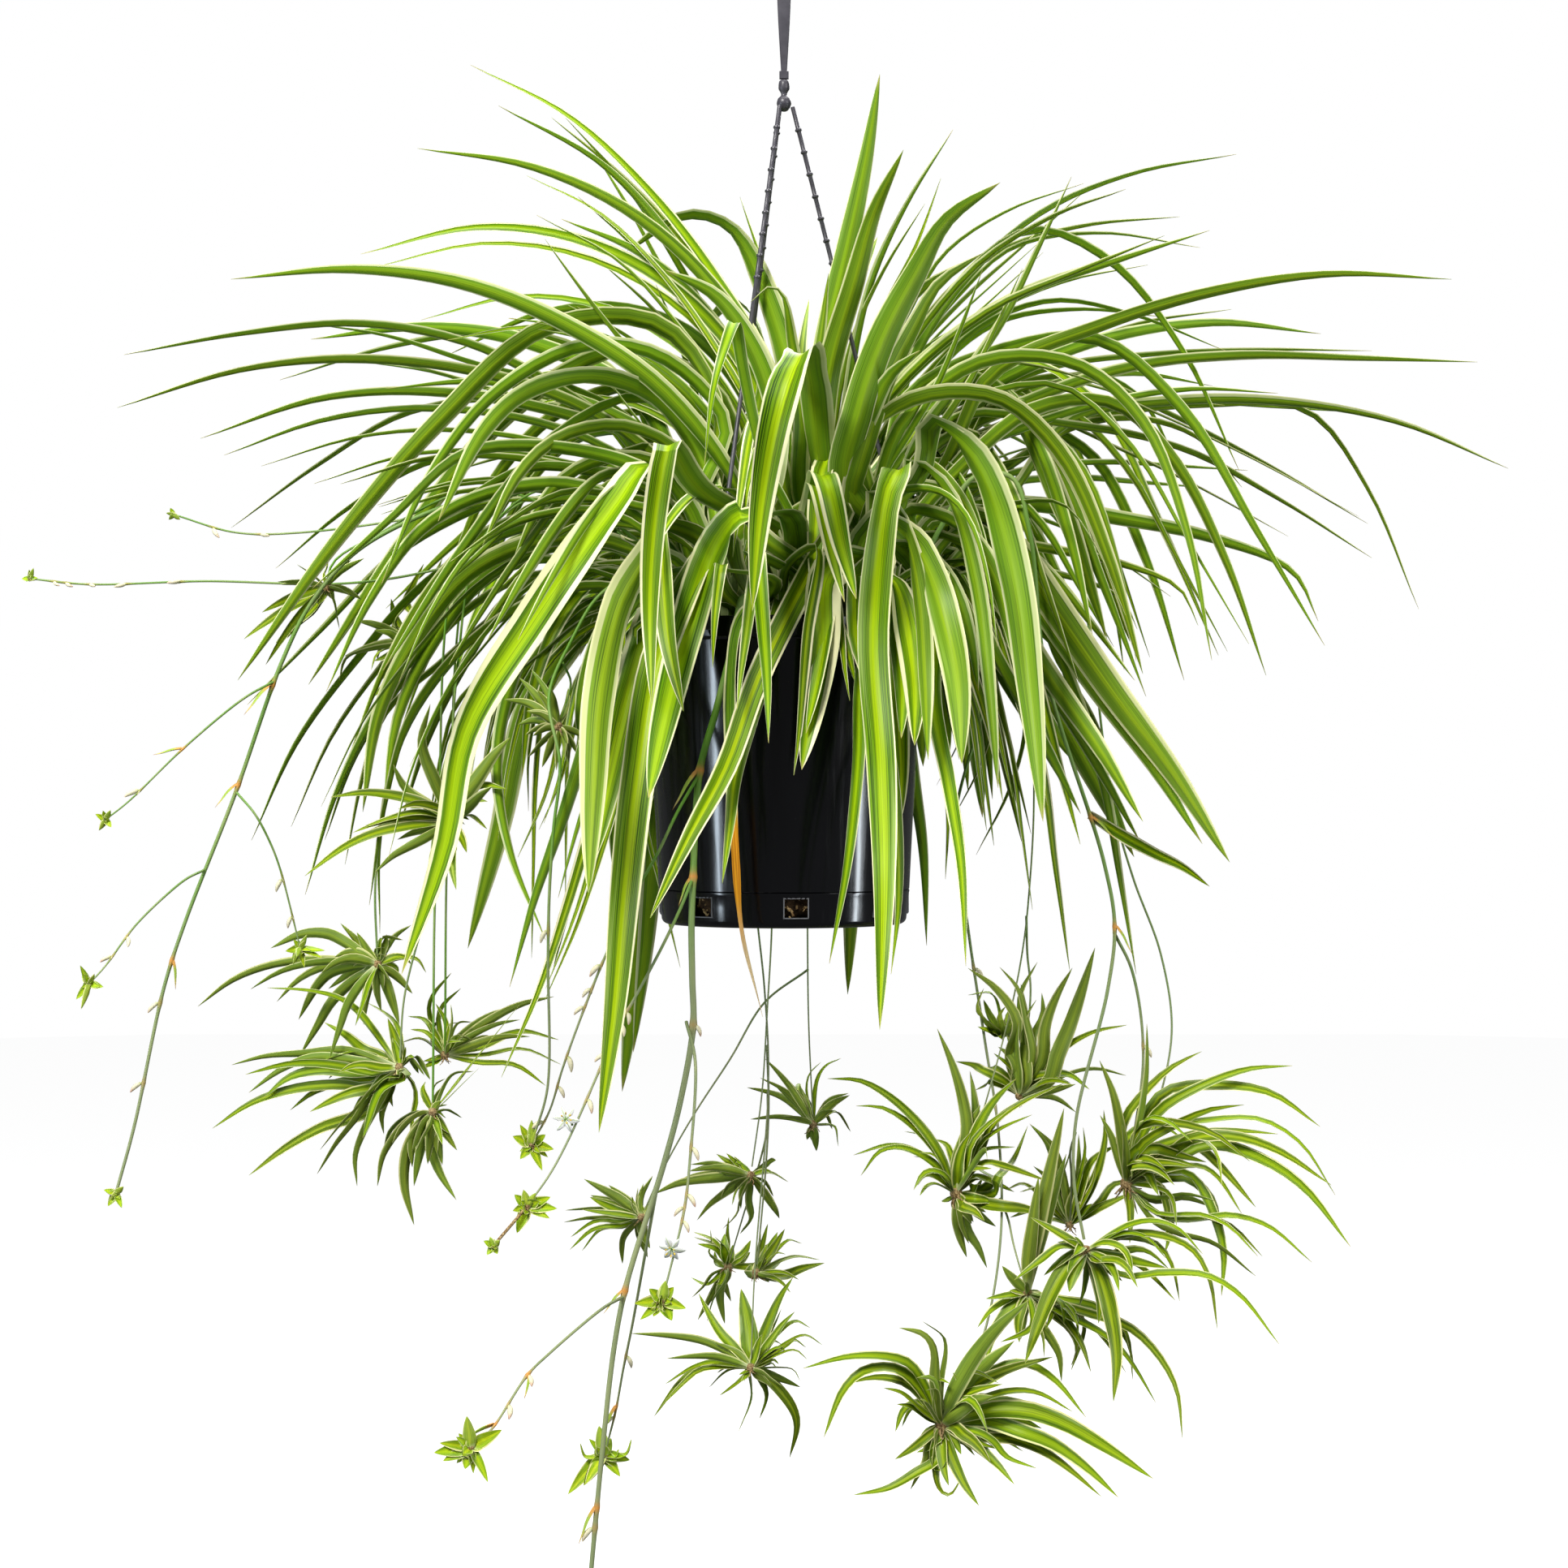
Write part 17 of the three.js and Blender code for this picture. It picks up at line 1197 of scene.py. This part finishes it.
for (node, i), line in REDRAWN.items():
    row = SHOOT_LEAVES[node][i]
    r6 = np.asarray(row[4], float).reshape(-1, 6)
    r6[:, :3] = [place(*q) for q in line]
    SHOOT_LEAVES[node][i] = (*row[:4], r6.ravel())
for node, stems in STEMS.items():
    STEMS[node] = [(name, r, np.array([place(*q) for q in STEM_PATHS[name]]).ravel() if name in STEM_PATHS else P) for name, r, P in stems]

# shoots: blades on a short stem with pale sheaths round it
for node, rows in SHOOT_LEAVES.items():
    B = Build()
    x, y = SHOOT_AT[node]
    for row in rows:
        blade(B, row, 0)
    # shorter, narrower leaves of the same shoot, deeper inside it
    made, tries = 0, 0
    while made < FILL.get(node, 10) and tries < 200:
        tries += 1
        row = rows[rng.integers(len(rows))]
        c = np.array([x, y, -474.0])
        turn, k = rng.normal(0, 0.36), rng.uniform(0.5, 0.97)
        co, si = math.cos(turn), math.sin(turn)
        M = np.array([[co, -si, 0], [si, co, 0], [0, 0, 1]])
        r6 = np.asarray(row[4], float).reshape(-1, 6)
        P = (shift(r6[:, :3], shallow) - c) @ M.T * k + c
        ends = P[P[:, 2] < -500]
        if row[0] < 3 or (len(ends) and (np.hypot(ends[:, 0], ends[:, 1]) < 104).any()) or (P[:, 1] < -118).any() or (P[:, 1] > 148).any() or ((np.abs(P[:, 0]) < 112) & (P[:, 1] < -70) & (P[:, 2] < -560)).any():
            continue
        blade(B, (row[0] * rng.uniform(0.5, 0.8), row[1], row[2], row[3], np.hstack([shift(P, deep), r6[:, 3:] @ M.T]).ravel()), 0, count=26)
        made += 1
    # sheaths wrap the stem
    for i in range(7):
        g = i * 2.4 + 0.3
        d = np.array([math.cos(g), math.sin(g), 0.0])
        w = np.array([-d[1], d[0], 0.0])
        r0, r1 = 8.5 - i * 0.5, 12.5 - i * 0.8
        pos = [(x, y, -476.5) + d * r0, (x, y, -466.0) + d * (r0 + 1.5), (x, y, -452.0) + d * r1, (x, y, -436.0 + i * 2.0) + d * (r1 + 6)]
        blade(B, (7.5, 0.95, 3.0, 0.6, np.array([[*q, *w] for q in pos]).ravel()), 1, count=12, channel=(0.75, 0.7, 0.5), margin=0.1)
    knob(B, (x, y, -463), 8.0, 1, 1.6, 14)
    B.make(node + "_leaves", [LEAF, FOOT], node)

B = Build()
blade(B, WITHERED, 0, count=50, channel=(0.9, 0.8, 0.4), ripple=0.25, foot=1.6, thick=0.4, margin=0)
B.make("withered_leaf_blade", [WITHER], "withered_leaf")

# plantlets
for node, rows in PLANTLET_LEAVES.items():
    B = Build()
    young = "young" in node
    rosette(B, rows, CROWNS.get(node, []), 0, 1, 0.7 if young else 2.0 if len(rows) > 8 else 2.2)
    for name, r, P in STEMS.get(node, []):
        pipe(B, P, r, 1, 8)
    if node in ("plantlet_left_3", "plantlet_left_4", "plantlet_upper_left", "plantlet_left_5"):
        # its thin stalk runs up into the leaves of the left shoot
        x, y, z, r = CROWNS[node][0]
        ax, ay = SHOOT_AT["shoot_left"]
        pipe(B, [(x, y, z), (x * 0.985, y * 0.97, z * 0.5 - 203), (x * 0.9, y * 0.9, -405), (x * 0.55 + ax * 0.45, (y + ay) * 0.5, -372), (ax, ay, -440)], 0.8, 2, 8)
    B.make(node + "_rosette", [NEW if young else YOUNG, ROOT, RUNNER], node, tall=6.0)

# runners: a round stem that swells at each joint, with bracts and the small clusters at its end
for node, stems in STEMS.items():
    if not node.startswith("runner"):
        continue
    B = Build()
    for i, (name, r, P) in enumerate(stems):
        P = np.asarray(P, float).reshape(-1, 3)
        marks, thick = [], name == "s_mid_2"
        pts, T, _, s, length = smooth_line(P, None, max(20, int(np.linalg.norm(np.diff(P, axis=0), axis=1).sum() / 4)))
        uv = np.array([project(p) for p in pts])
        for u, v, long, *way in BRACTS.get(name, []):
            dist = np.hypot(uv[:, 0] - u, uv[:, 1] - v)
            k = int(np.argmin(dist))
            if dist[k] < 40 and 0 < k < len(s) - 1:
                marks.append((s[k], k, long, way[0] if way else (-1.0 if rng.uniform() < 0.55 else 1.0)))
        taper = 0.6

        def rad(t, _, r=r, marks=marks, length=length):
            out = r * (1.0 if thick else 0.8) * (1 - 0.4 * t)
            for m in marks:
                out = out * (1 + 0.32 * np.exp(-(((t - m[0]) * length / 3.2) ** 2)))
            return out

        def joint(t, _, marks=marks, length=length):
            out = np.zeros_like(t)
            for m in marks:
                out = np.maximum(out, (0.95 if m[2] > 17 else 0.35) * np.exp(-(((t - m[0]) * length / 3.0) ** 2)))
            return out

        pipe(B, P, rad, 0, 10, max(12, int(length / 4)), {"rnd": rng.uniform(), "under": joint, "marg": lambda t, q: np.clip((-610 - q[:, 2]) / 90, 0.0, 1.0) if name.startswith("s_mid") else np.clip((-560 - q[:, 2]) / 200, 0.25, 1.0)})
        for at, k, long, way in marks:
            p, d = pts[k], T[k]
            bud = long < 17
            side = np.array([way, -0.25, 0.0])
            side = side - d * np.dot(side, d)
            side /= np.linalg.norm(side)
            down = d if d[2] < 0 else -d
            lean = rng.uniform(0.25, 0.6)
            ray = unit(down * (1 - lean * 0.4) + side * lean + np.array([0, 0, -0.15]))
            rr = r * 0.8
            pos = [p + side * rr * 0.4, p + side * rr * 1.1 + ray * long * 0.35, p + side * rr * 1.1 + ray * long * 0.7 + np.array([0, 0, -0.02 * long]), p + side * rr * 1.1 + ray * long]
            w = unit(np.cross(ray, side) + 0.001)
            if bud:
                # a pale bud, fat in the middle, with a small scale under it
                L = long * 0.62
                pos = [p + side * rr * 0.6, p + side * (rr + 0.8) + ray * L * 0.3, p + side * (rr + 1.2) + ray * L * 0.65, p + side * (rr + 0.9) + ray * L]
                pipe(B, np.array(pos), lambda t, _, L=L: 0.3 + 0.145 * L * np.sin(np.clip(t, 0, 1) ** 0.8 * math.pi) ** 0.8, 5, 8, 9, {"rnd": rng.uniform()})
                pos = [p - side * rr * 0.2, p - side * (rr + 0.2) + ray * L * 0.2, p - side * (rr + 0.7) + ray * L * 0.45]
                blade(B, (1.1, 0.8, 1.8, 0.8, np.array([[*q, *w] for q in pos]).ravel()), 5, top=7, count=7, channel=(0.9, 0.7, 0.3), ripple=0.02, foot=1.0, thick=0.25, margin=0)
                continue
            row = (max(1.3, long * 0.085), 0.7, 1.8, 0.8, np.array([[*q, *w] for q in pos]).ravel())
            blade(B, row, 1, top=7, count=10, channel=(0.9, 0.7, 0.3), ripple=0.02, foot=1.0, thick=0.3, margin=0)
    rows = RUNNER_LEAVES.get(node, [])
    if rows:
        big = [q for q in rows if q[0] > 4.2]
        rosette(B, [q for q in rows if q[0] <= 4.2], CROWNS.get(node, []), 2, 3, 0.6)
        for row in big:
            blade(B, row, 4, count=24)
    B.make(node + "_stem", [RUNNER, BRACT, NEW, ROOT, LEAF, BUD], node, tall=10.0)

# flowers: six petals, six anthers and a short stalk
for node, (at, face, stalk) in FLOWERS.items():
    B = Build()
    at, f = np.array(at, float), unit(np.array(face, float))
    x = unit(np.cross(f, [0.0, 0, 1.0]))
    y = np.cross(x, f)
    for i in range(6):
        a = i * math.pi / 3 + 0.15
        d = x * math.cos(a) + y * math.sin(a)
        w = -x * math.sin(a) + y * math.cos(a)
        L = 8.6 if i % 2 else 8.2
        pos = [at + d * 0.6, at + d * L * 0.35 + f * 0.5, at + d * L * 0.75 + f * 0.5, at + d * L - f * 0.4]
        half = 2.5 if i % 2 else 2.0
        blade(B, (half, 0.45, 2.2, 0.7, np.array([[*q, *w] for q in pos]).ravel()), 0, top=7, count=14, channel=(0.35, 0.2, 0.1), ripple=0.03, foot=1.0, thick=0.3, margin=0)
        a += 0.3
        d = x * math.cos(a) + y * math.sin(a)
        tip = at + d * 2.6 + f * 3.6
        pipe(B, np.array([at, at + d * 1.2 + f * 1.8, tip]), 0.22, 0, 6, 6)
        pipe(B, np.array([tip - d * 0.2, tip + f * 0.8 + d * 0.2, tip + f * 1.6 + d * 0.9]), lambda s, _: 0.5 * np.sin(np.clip(s, 0.08, 0.92) * math.pi) ** 0.5, 1, 7, 7)
    knob(B, tuple(at + f * 0.6), 0.9, 2, 1.0, 8)
    pipe(B, np.array(stalk, float), 0.75, 2, 8, 6, {"marg": 0.3})
    B.make(node + "_bloom", [PETAL, ANTHER, RUNNER], node, tall=4.0)


# ---- pot, saucer and mix ----
def mesh_object(name, me, mats, angle=35):
    for m in mats:
        me.materials.append(m)
    me.shade_smooth()
    me.set_sharp_from_angle(angle=math.radians(angle))
    o = bpy.data.objects.new(name, me)
    bpy.context.scene.collection.objects.link(o)
    return o


def lathe(name, profile, sides=144):
    """A closed ring of (radius, height) in mm turned about Z; a radius of 0 is a point on the axis."""
    v, f, row = [], [], []
    for r, z in profile:
        if r < 1e-6:
            row.append([len(v)])
            v.append((0, 0, z * MM))
        else:
            row.append([len(v) + k for k in range(sides)])
            v += [(r * MM * math.sin(2 * math.pi * k / sides), -r * MM * math.cos(2 * math.pi * k / sides), z * MM) for k in range(sides)]
    for a, b in zip(row, row[1:]):
        for k in range(sides):
            j = (k + 1) % sides
            if len(a) == 1 and len(b) == 1:
                continue
            if len(a) == 1:
                f.append((a[0], b[k], b[j])[::-1])
            elif len(b) == 1:
                f.append((a[k], a[j], b[0]))
            else:
                f.append((a[k], a[j], b[j], b[k]))
    me = bpy.data.meshes.new(name)
    me.from_pydata(v, [], f)
    return me


def arc(cx, cz, r, a0, a1, n=5):
    return [(cx + r * math.cos(math.radians(a0 + (a1 - a0) * i / n)), cz + r * math.sin(math.radians(a0 + (a1 - a0) * i / n))) for i in range(n + 1)]


def spans(a, b, n):
    return [(a[0] + (b[0] - a[0]) * i / n, a[1] + (b[1] - a[1]) * i / n) for i in range(1, n)]


def wall_r(z):
    return 83.4 + (z + 637) * (91.6 - 83.4) / (-474 + 637)


def saucer_in(z):
    return 81.4 + (z + 655.5) * (83.4 - 81.4) / 18.5 - 1.6


FLOOR_Z = -658.1
pot_profile = [
    (0, FLOOR_Z), (40, FLOOR_Z), *arc(75.3, FLOOR_Z + 4.2, 4.2, -90, -20, 4), (saucer_in(-650) - 0.3, -650), (saucer_in(-637.3) - 0.3, -637.6), (saucer_in(-637.3) - 0.1, -637.05),
    (83.0, -637.0), (83.35, -636.6), *spans((83.35, -636.6), (91.55, -475), 10), (91.55, -475), (92.2, -474.2), (92.8, -473.3), (93, -472.6), (93, -466), (93, -461.2), *arc(92, -461, 1.0, 0, 90, 4),
    *arc(90.8, -460.7, 0.75, 90, 180, 4), (90, -466), (89.9, -474), (89.4, -477), *spans((89.4, -477), (81.8, -635), 8), (81.2, -636), (saucer_in(-650) - 2.1, -650), *arc(74.6, FLOOR_Z + 6.0, 3.6, -20, -90, 4), (40, FLOOR_Z + 2), (0, FLOOR_Z + 2),
]
saucer_profile = [
    (0, -659.0), (30, -659.0), (32, -660), (68, -660), (70, -659.2), (73, -659.2), (74.4, -660), *arc(76.9, -655.5, 4.5, -90, 0, 7), (82.4, -647), (83.1, -639.4), (83.4, -638.2), (83.35, -637.5), (83.0, -637.3), (82.0, -637.3), (81.75, -637.7),
    (saucer_in(-646), -646), (saucer_in(-655.5), -655.5), *arc(76.3, -654.9, 3.3, 0, -90, 4), (60, -658.4), (0, -658.4),
]


def windows(o, low):
    """Cuts eight slots."""
    bm = bmesh.new()
    for i in range(8):
        turn = math.radians(5.4 + i * 45)
        m = Matrix.Rotation(turn, 4, "Z") @ Matrix.Translation((0, -79.4 * MM, -647 * MM)) @ Matrix.Diagonal((15 * MM, 14 * MM, 12 * MM, 1))
        bmesh.ops.create_cube(bm, size=1.0, matrix=m)
    me = bpy.data.meshes.new("cutter")
    bm.to_mesh(me)
    bm.free()
    cut = bpy.data.objects.new("cutter", me)
    bpy.context.scene.collection.objects.link(cut)
    mod = o.modifiers.new("slots", "BOOLEAN")
    mod.object, mod.solver, mod.operation = cut, "EXACT", "DIFFERENCE"
    dg = bpy.context.evaluated_depsgraph_get()
    done = bpy.data.meshes.new_from_object(o.evaluated_get(dg))
    o.modifiers.clear()
    o.data = done
    bpy.data.objects.remove(cut)
    bpy.data.meshes.remove(me)


def frames(o):
    """Thin raised rims round the slots, part of the saucer."""
    bm = bmesh.new()
    bm.from_mesh(o.data)
    for i in range(8):
        turn = Matrix.Rotation(math.radians(5.4 + i * 45), 4, "Z")
        for x, z, w, h in ((0, 6.35, 16.4, 0.7), (0, -6.35, 16.4, 0.7), (-7.85, 0, 0.7, 12.0), (7.85, 0, 0.7, 12.0)):
            n = 6 if w > 2 else 1
            for k in range(n):
                a, b = x - w / 2 + w * k / n, x - w / 2 + w * (k + 1) / n
                mid = (a + b) / 2
                r_out = math.sqrt(82.75**2 - mid * mid) if z > 0 or w < 2 else math.sqrt(82.15**2 - mid * mid)
                m = turn @ Matrix.Translation((mid * MM, -(r_out - 0.45) * MM, (-647 + z) * MM)) @ Matrix.Diagonal(((b - a) * MM * 1.02, 1.4 * MM, h * MM, 1))
                faces = set(bm.faces)
                bmesh.ops.create_cube(bm, size=1.0, matrix=m)
                for f in set(bm.faces) - faces:
                    f.material_index = 1
    bm.to_mesh(o.data)
    bm.free()


def claim(o, node):
    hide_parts(node)
    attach(o, "root")


pot = mesh_object("pot_shell_body", lathe("pot", pot_profile), [POT])
windows(pot, FLOOR_Z)
claim(pot, "pot_shell")
saucer = mesh_object("drip_saucer_body", lathe("saucer", saucer_profile), [POT, SLOT])
windows(saucer, -660)
frames(saucer)
claim(saucer, "drip_saucer")

# potting mix: a rough top and sides, with chips of bark on it and roots behind the slots
bm = bmesh.new()
mix_profile = [(0, -655.7), (40, -655.7), (72.0, -655.7), (76.4, -650.5), (78.6, -646), (79.5, -640), (81.0, -634), *spans((81.0, -634), (88.6, -481), 18), (88.6, -481), (88.0, -478.2), (84, -477.2), *[(84 - 7 * i, -477.3) for i in range(1, 12)], (0, -477.3)]
mixm = lathe("mix", mix_profile, 96)
o = mesh_object("potting_mix_fill", mixm, [MIX, ROOT], 60)
for v in o.data.vertices:
    r = math.hypot(v.co.x, v.co.y)
    if v.co.z > -0.4785:
        v.co.z += float(rng.uniform(-1.6, 1.4)) * MM * min(1, (0.0886 - r) / 0.006 + 0.2)
    elif r > 0.07:
        k = 1 - float(rng.uniform(0, 0.9)) * MM / r
        v.co.x *= k
        v.co.y *= k
bm = bmesh.new()
bm.from_mesh(o.data)
for i in range(210):
    a, r = rng.uniform(0, 2 * math.pi), 84 * math.sqrt(rng.uniform())
    s = rng.uniform(2.2, 6.5)
    m = Matrix.Translation((r * math.cos(a) * MM, r * math.sin(a) * MM, (-476.8 + rng.uniform(-0.4, 1.2)) * MM)) @ Matrix.Rotation(rng.uniform(0, 6.28), 4, "Z") @ Matrix.Rotation(rng.uniform(-0.5, 0.5), 4, "X") @ Matrix.Diagonal((s * MM, s * MM * rng.uniform(0.4, 0.9), s * MM * rng.uniform(0.25, 0.5), 1))
    made = bmesh.ops.create_icosphere(bm, subdivisions=1, radius=0.6, matrix=m)
bm.to_mesh(o.data)
bm.free()
R = Build()
for i in range(8):
    turn = math.radians(5.4 + i * 45)
    for k in range(9):
        pos = []
        a0, z0 = rng.uniform(-0.13, 0.13), -647 + rng.uniform(-7, 7)
        da, dz = rng.uniform(-0.09, 0.09), rng.uniform(-6, 6)
        for j in range(5):
            a = turn + a0 + da * j / 4 + rng.uniform(-0.015, 0.015)
            rr = 78.0 + rng.uniform(-0.8, 0.9)
            pos.append((rr * math.sin(a), -rr * math.cos(a), z0 + dz * j / 4 + rng.uniform(-1.3, 1.3)))
        pipe(R, np.array(pos), rng.uniform(0.3, 0.75), 0, 6, 12, {"rnd": rng.uniform()})
roots = bpy.data.meshes.new("roots")
roots.from_pydata((np.concatenate(R.v) * MM).tolist(), [], R.f)
bm = bmesh.new()
bm.from_mesh(o.data)
before = len(bm.faces)
bm.from_mesh(roots)
bm.faces.ensure_lookup_table()
for f in bm.faces[before:]:
    f.material_index = 1
bm.to_mesh(o.data)
bm.free()
bpy.data.meshes.remove(roots)
claim(o, "potting_mix")

# ---- hanger ----
def bar(B, line, widths, thicks, side, e=0.5):
    """A flat band with eased edges along a line; side is the direction of its width."""
    rings = []
    for i, c in enumerate(line):
        t = unit(line[min(len(line) - 1, i + 1)] - line[max(0, i - 1)])
        n = np.cross(side, t)
        w, th = widths[i] / 2, thicks[i] / 2
        rings.append([c + side * x + n * k for x, k in ((-w + e, -th), (w - e, -th), (w, -th + e), (w, th - e), (w - e, th), (-w + e, th), (-w, th - e), (-w, -th + e))])
    B.strip(np.array(rings), 0, {"along": np.linspace(0, 1, len(line))[:, None]})


path = [(-10.0, -18.5, 4.6), (-9.4, -16.0, 5.6), (-8.9, -13.0, 7.2), (-8.8, -7.5, 9.0)]
path += [(8.8 * math.cos(math.radians(a)), -7.5 + 8.8 * math.sin(math.radians(a)), 9.0) for a in range(165, 14, -15)]
path += [(8.8, -7.5, 9.0), (8.8, -14, 9.0), (8.8, -20, 9.0), (7.9, -25, 9.0), (6.2, -30, 9.0), (3.6, -34.3, 9.0), (1.6, -38, 9.0), (0.4, -42, 9.0), (0, -46, 9.0), (0, -58, 8.0), (0, -70, 6.7), (0, -93, 4.0), (0, -93.7, 6.2), (0, -98.3, 6.2)]
B = Build()
bar(B, [np.array([0, y, z]) for y, z, _ in path], [w for *_, w in path], [2.6] * (len(path) - 2) + [4.4, 4.4], np.array([1.0, 0, 0]))
B.make("hanger_hook_strap", [HANGER], "hanger_hook", angle=40)


def turned(B, profile, origin, axis, sides=24, mat=0):
    axis = unit(np.array(axis, float))
    x = unit(np.cross(axis, [0, 1.0, 0]) if abs(axis[1]) < 0.9 else np.cross(axis, [1.0, 0, 0]))
    y = np.cross(axis, x)
    ang = np.arange(sides) * 2 * math.pi / sides
    rings = np.array([[np.array(origin) + axis * z + (x * math.cos(t) + y * math.sin(t)) * r for t in ang] for r, z in profile])
    B.strip(rings, mat, {"along": np.linspace(0, 1, len(profile))[:, None]})


B = Build()
yoke = [(0.3, 0), (1.6, 0.1), (2.6, 0.6), (3.9, 2.4), (4.7, 4.2), (4.9, 5.2), (4.7, 6.6), (4.1, 8.4), (2.6, 9.8), (1.95, 10.6), (2.0, 11.8), (2.6, 13.0), (3.5, 14.4), (3.7, 15.4), (3.6, 18.0), (3.2, 20.0), (1.7, 21.1), (0.4, 21.25)]
turned(B, yoke, (0, 0, -120), (0, 0, 1), 28)
B.make("hanger_yoke_body", [HANGER], "hanger_yoke", angle=50)

for i, deg in enumerate((0, 120, 240)):
    B = Build()
    a = math.radians(deg)
    d = np.array([math.cos(a), math.sin(a), 0.0])
    start, end = d * 5.7 + np.array([0, 0, -117.0]), d * 91.5 + np.array([0, 0, -456.8])
    L = float(np.linalg.norm(end - start))
    prof = [(0.5, 0), (1.4, 0.15), (1.45, 1.0)]
    for k in range(8):
        z = 16 + k * 15.2
        prof += [(1.45, z - 1.6), (1.75, z - 0.95), (2.25, z - 0.55), (2.3, z), (2.25, z + 0.55), (1.75, z + 0.95), (1.45, z + 1.6)]
    prof += [(1.45, L * 0.6), (1.45, L * 0.8), (1.45, L - 6), (2.2, L - 3), (2.4, L)]
    turned(B, prof, start, end - start, 16)
    # clip: a band bent over the rim
    t = np.array([-math.sin(a), math.cos(a), 0.0])
    u = [(88, -466.0), (88, -459.2), (88.12, -458.3), (88.5, -457.5), (89.2, -457.0), (90.2, -456.8), (92.1, -456.8), (93.1, -457.0), (93.8, -457.5), (94.18, -458.3), (94.3, -459.2), (94.3, -469.0)]
    bar(B, [d * r + np.array([0, 0, z]) for r, z in u], [7.0] * len(u), [2.0] * len(u), t)
    B.make(f"hanger_stem_{i + 1}_rod", [HANGER], f"hanger_stem_{i + 1}", angle=42, tall=4.0)

# ---- floor, backdrop, light and camera ----
def stage_plane(name, verts, faces, strength, color):
    me = bpy.data.meshes.new(name)
    me.from_pydata(verts, [], faces)
    me.shade_smooth()
    o = bpy.data.objects.new(name, me)
    bpy.context.scene.collection.objects.link(o)
    m = bpy.data.materials.new(name)
    m.use_nodes = True
    b = m.node_tree.nodes["Principled BSDF"]
    b.inputs["Base Color"].default_value = (*color, 1)
    b.inputs["Roughness"].default_value = 1.0
    b.inputs["Specular IOR Level"].default_value = 0.0
    b.inputs["Emission Color"].default_value = (1, 1, 1, 1)
    b.inputs["Emission Strength"].default_value = strength
    me.materials.append(m)
    return o


# a shell round the scene stands for the studio's white walls; the floor lies in it
sv, sf = [], []
rings_, segs = 16, 32
for i in range(rings_ + 1):
    e = math.pi * i / rings_ - math.pi / 2
    for k in range(segs):
        a = 2 * math.pi * k / segs
        sv.append((9 * math.cos(e) * math.cos(a), 9 * math.cos(e) * math.sin(a), 9 * math.sin(e) - 0.5))
for i in range(rings_):
    for k in range(segs):
        j = (k + 1) % segs
        sf.append((i * segs + k, (i + 1) * segs + k, (i + 1) * segs + j, i * segs + j))
wall = stage_plane("backdrop", sv, sf, 1.0, (0, 0, 0))
floor = stage_plane("floor", [(-8.6, -8.6, -1.45), (8.6, -8.6, -1.45), (8.6, 8.6, -1.45), (-8.6, 8.6, -1.45)], [(0, 1, 2, 3)], 0.93, (0.3, 0.3, 0.3))
for o in (wall, floor):
    o.visible_diffuse = o.visible_glossy = o.visible_transmission = o.visible_shadow = False


def area(name, loc, target, w, h, energy, color=(1, 1, 1)):
    L = bpy.data.lights.new(name, "AREA")
    L.shape, L.size, L.size_y, L.energy, L.color = "RECTANGLE", w, h, energy, color
    o = bpy.data.objects.new(name, L)
    o.location = loc
    o.rotation_euler = (Vector(target) - Vector(loc)).to_track_quat("-Z", "Y").to_euler()
    bpy.context.scene.collection.objects.link(o)
    return o


area("key", (-1.3, -2.3, 1.9), (0, 0, -0.5), 1.1, 1.1, 150, (1, 0.985, 0.95))
area("fill", (2.4, -1.9, 0.4), (0, 0, -0.6), 1.2, 1.8, 30, (0.97, 0.985, 1))
area("top", (0.2, 0.3, 1.6), (0, 0, -0.5), 1.6, 1.6, 42)
area("back", (0.6, 2.4, 1.3), (0, 0, -0.5), 1.6, 1.6, 55)
area("strip_left", (-1.35, -0.78, -0.55), (0, 0, -0.57), 0.12, 0.9, 7, (0.75, 0.88, 1))
area("strip_right", (1.3, -0.5, -0.8), (0, 0, -0.64), 0.1, 0.5, 4, (0.85, 0.93, 1))

world = bpy.data.worlds.new("studio")
world.use_nodes = True
world.node_tree.nodes["Background"].inputs["Color"].default_value = (0.95, 0.98, 1.0, 1)
world.node_tree.nodes["Background"].inputs["Strength"].default_value = 0.12
bpy.context.scene.world = world

cam = bpy.data.objects.new("camera", bpy.data.cameras.new("camera"))
cam.data.sensor_width = 36
cam.data.lens = 36 * 2.0 / (1932 * 0.54 * MM)
cam.location = (0, -2.0, -0.5675)
cam.rotation_euler = (math.pi / 2, 0, 0)
cam.data.clip_start, cam.data.clip_end = 0.05, 60
bpy.context.scene.collection.objects.link(cam)
bpy.context.scene.camera = cam
bpy.context.scene.view_settings.view_transform = "Standard"
bpy.context.scene.view_settings.look = "None"
bpy.context.scene.view_settings.exposure = 0.0
bpy.context.scene.view_settings.gamma = 1.0
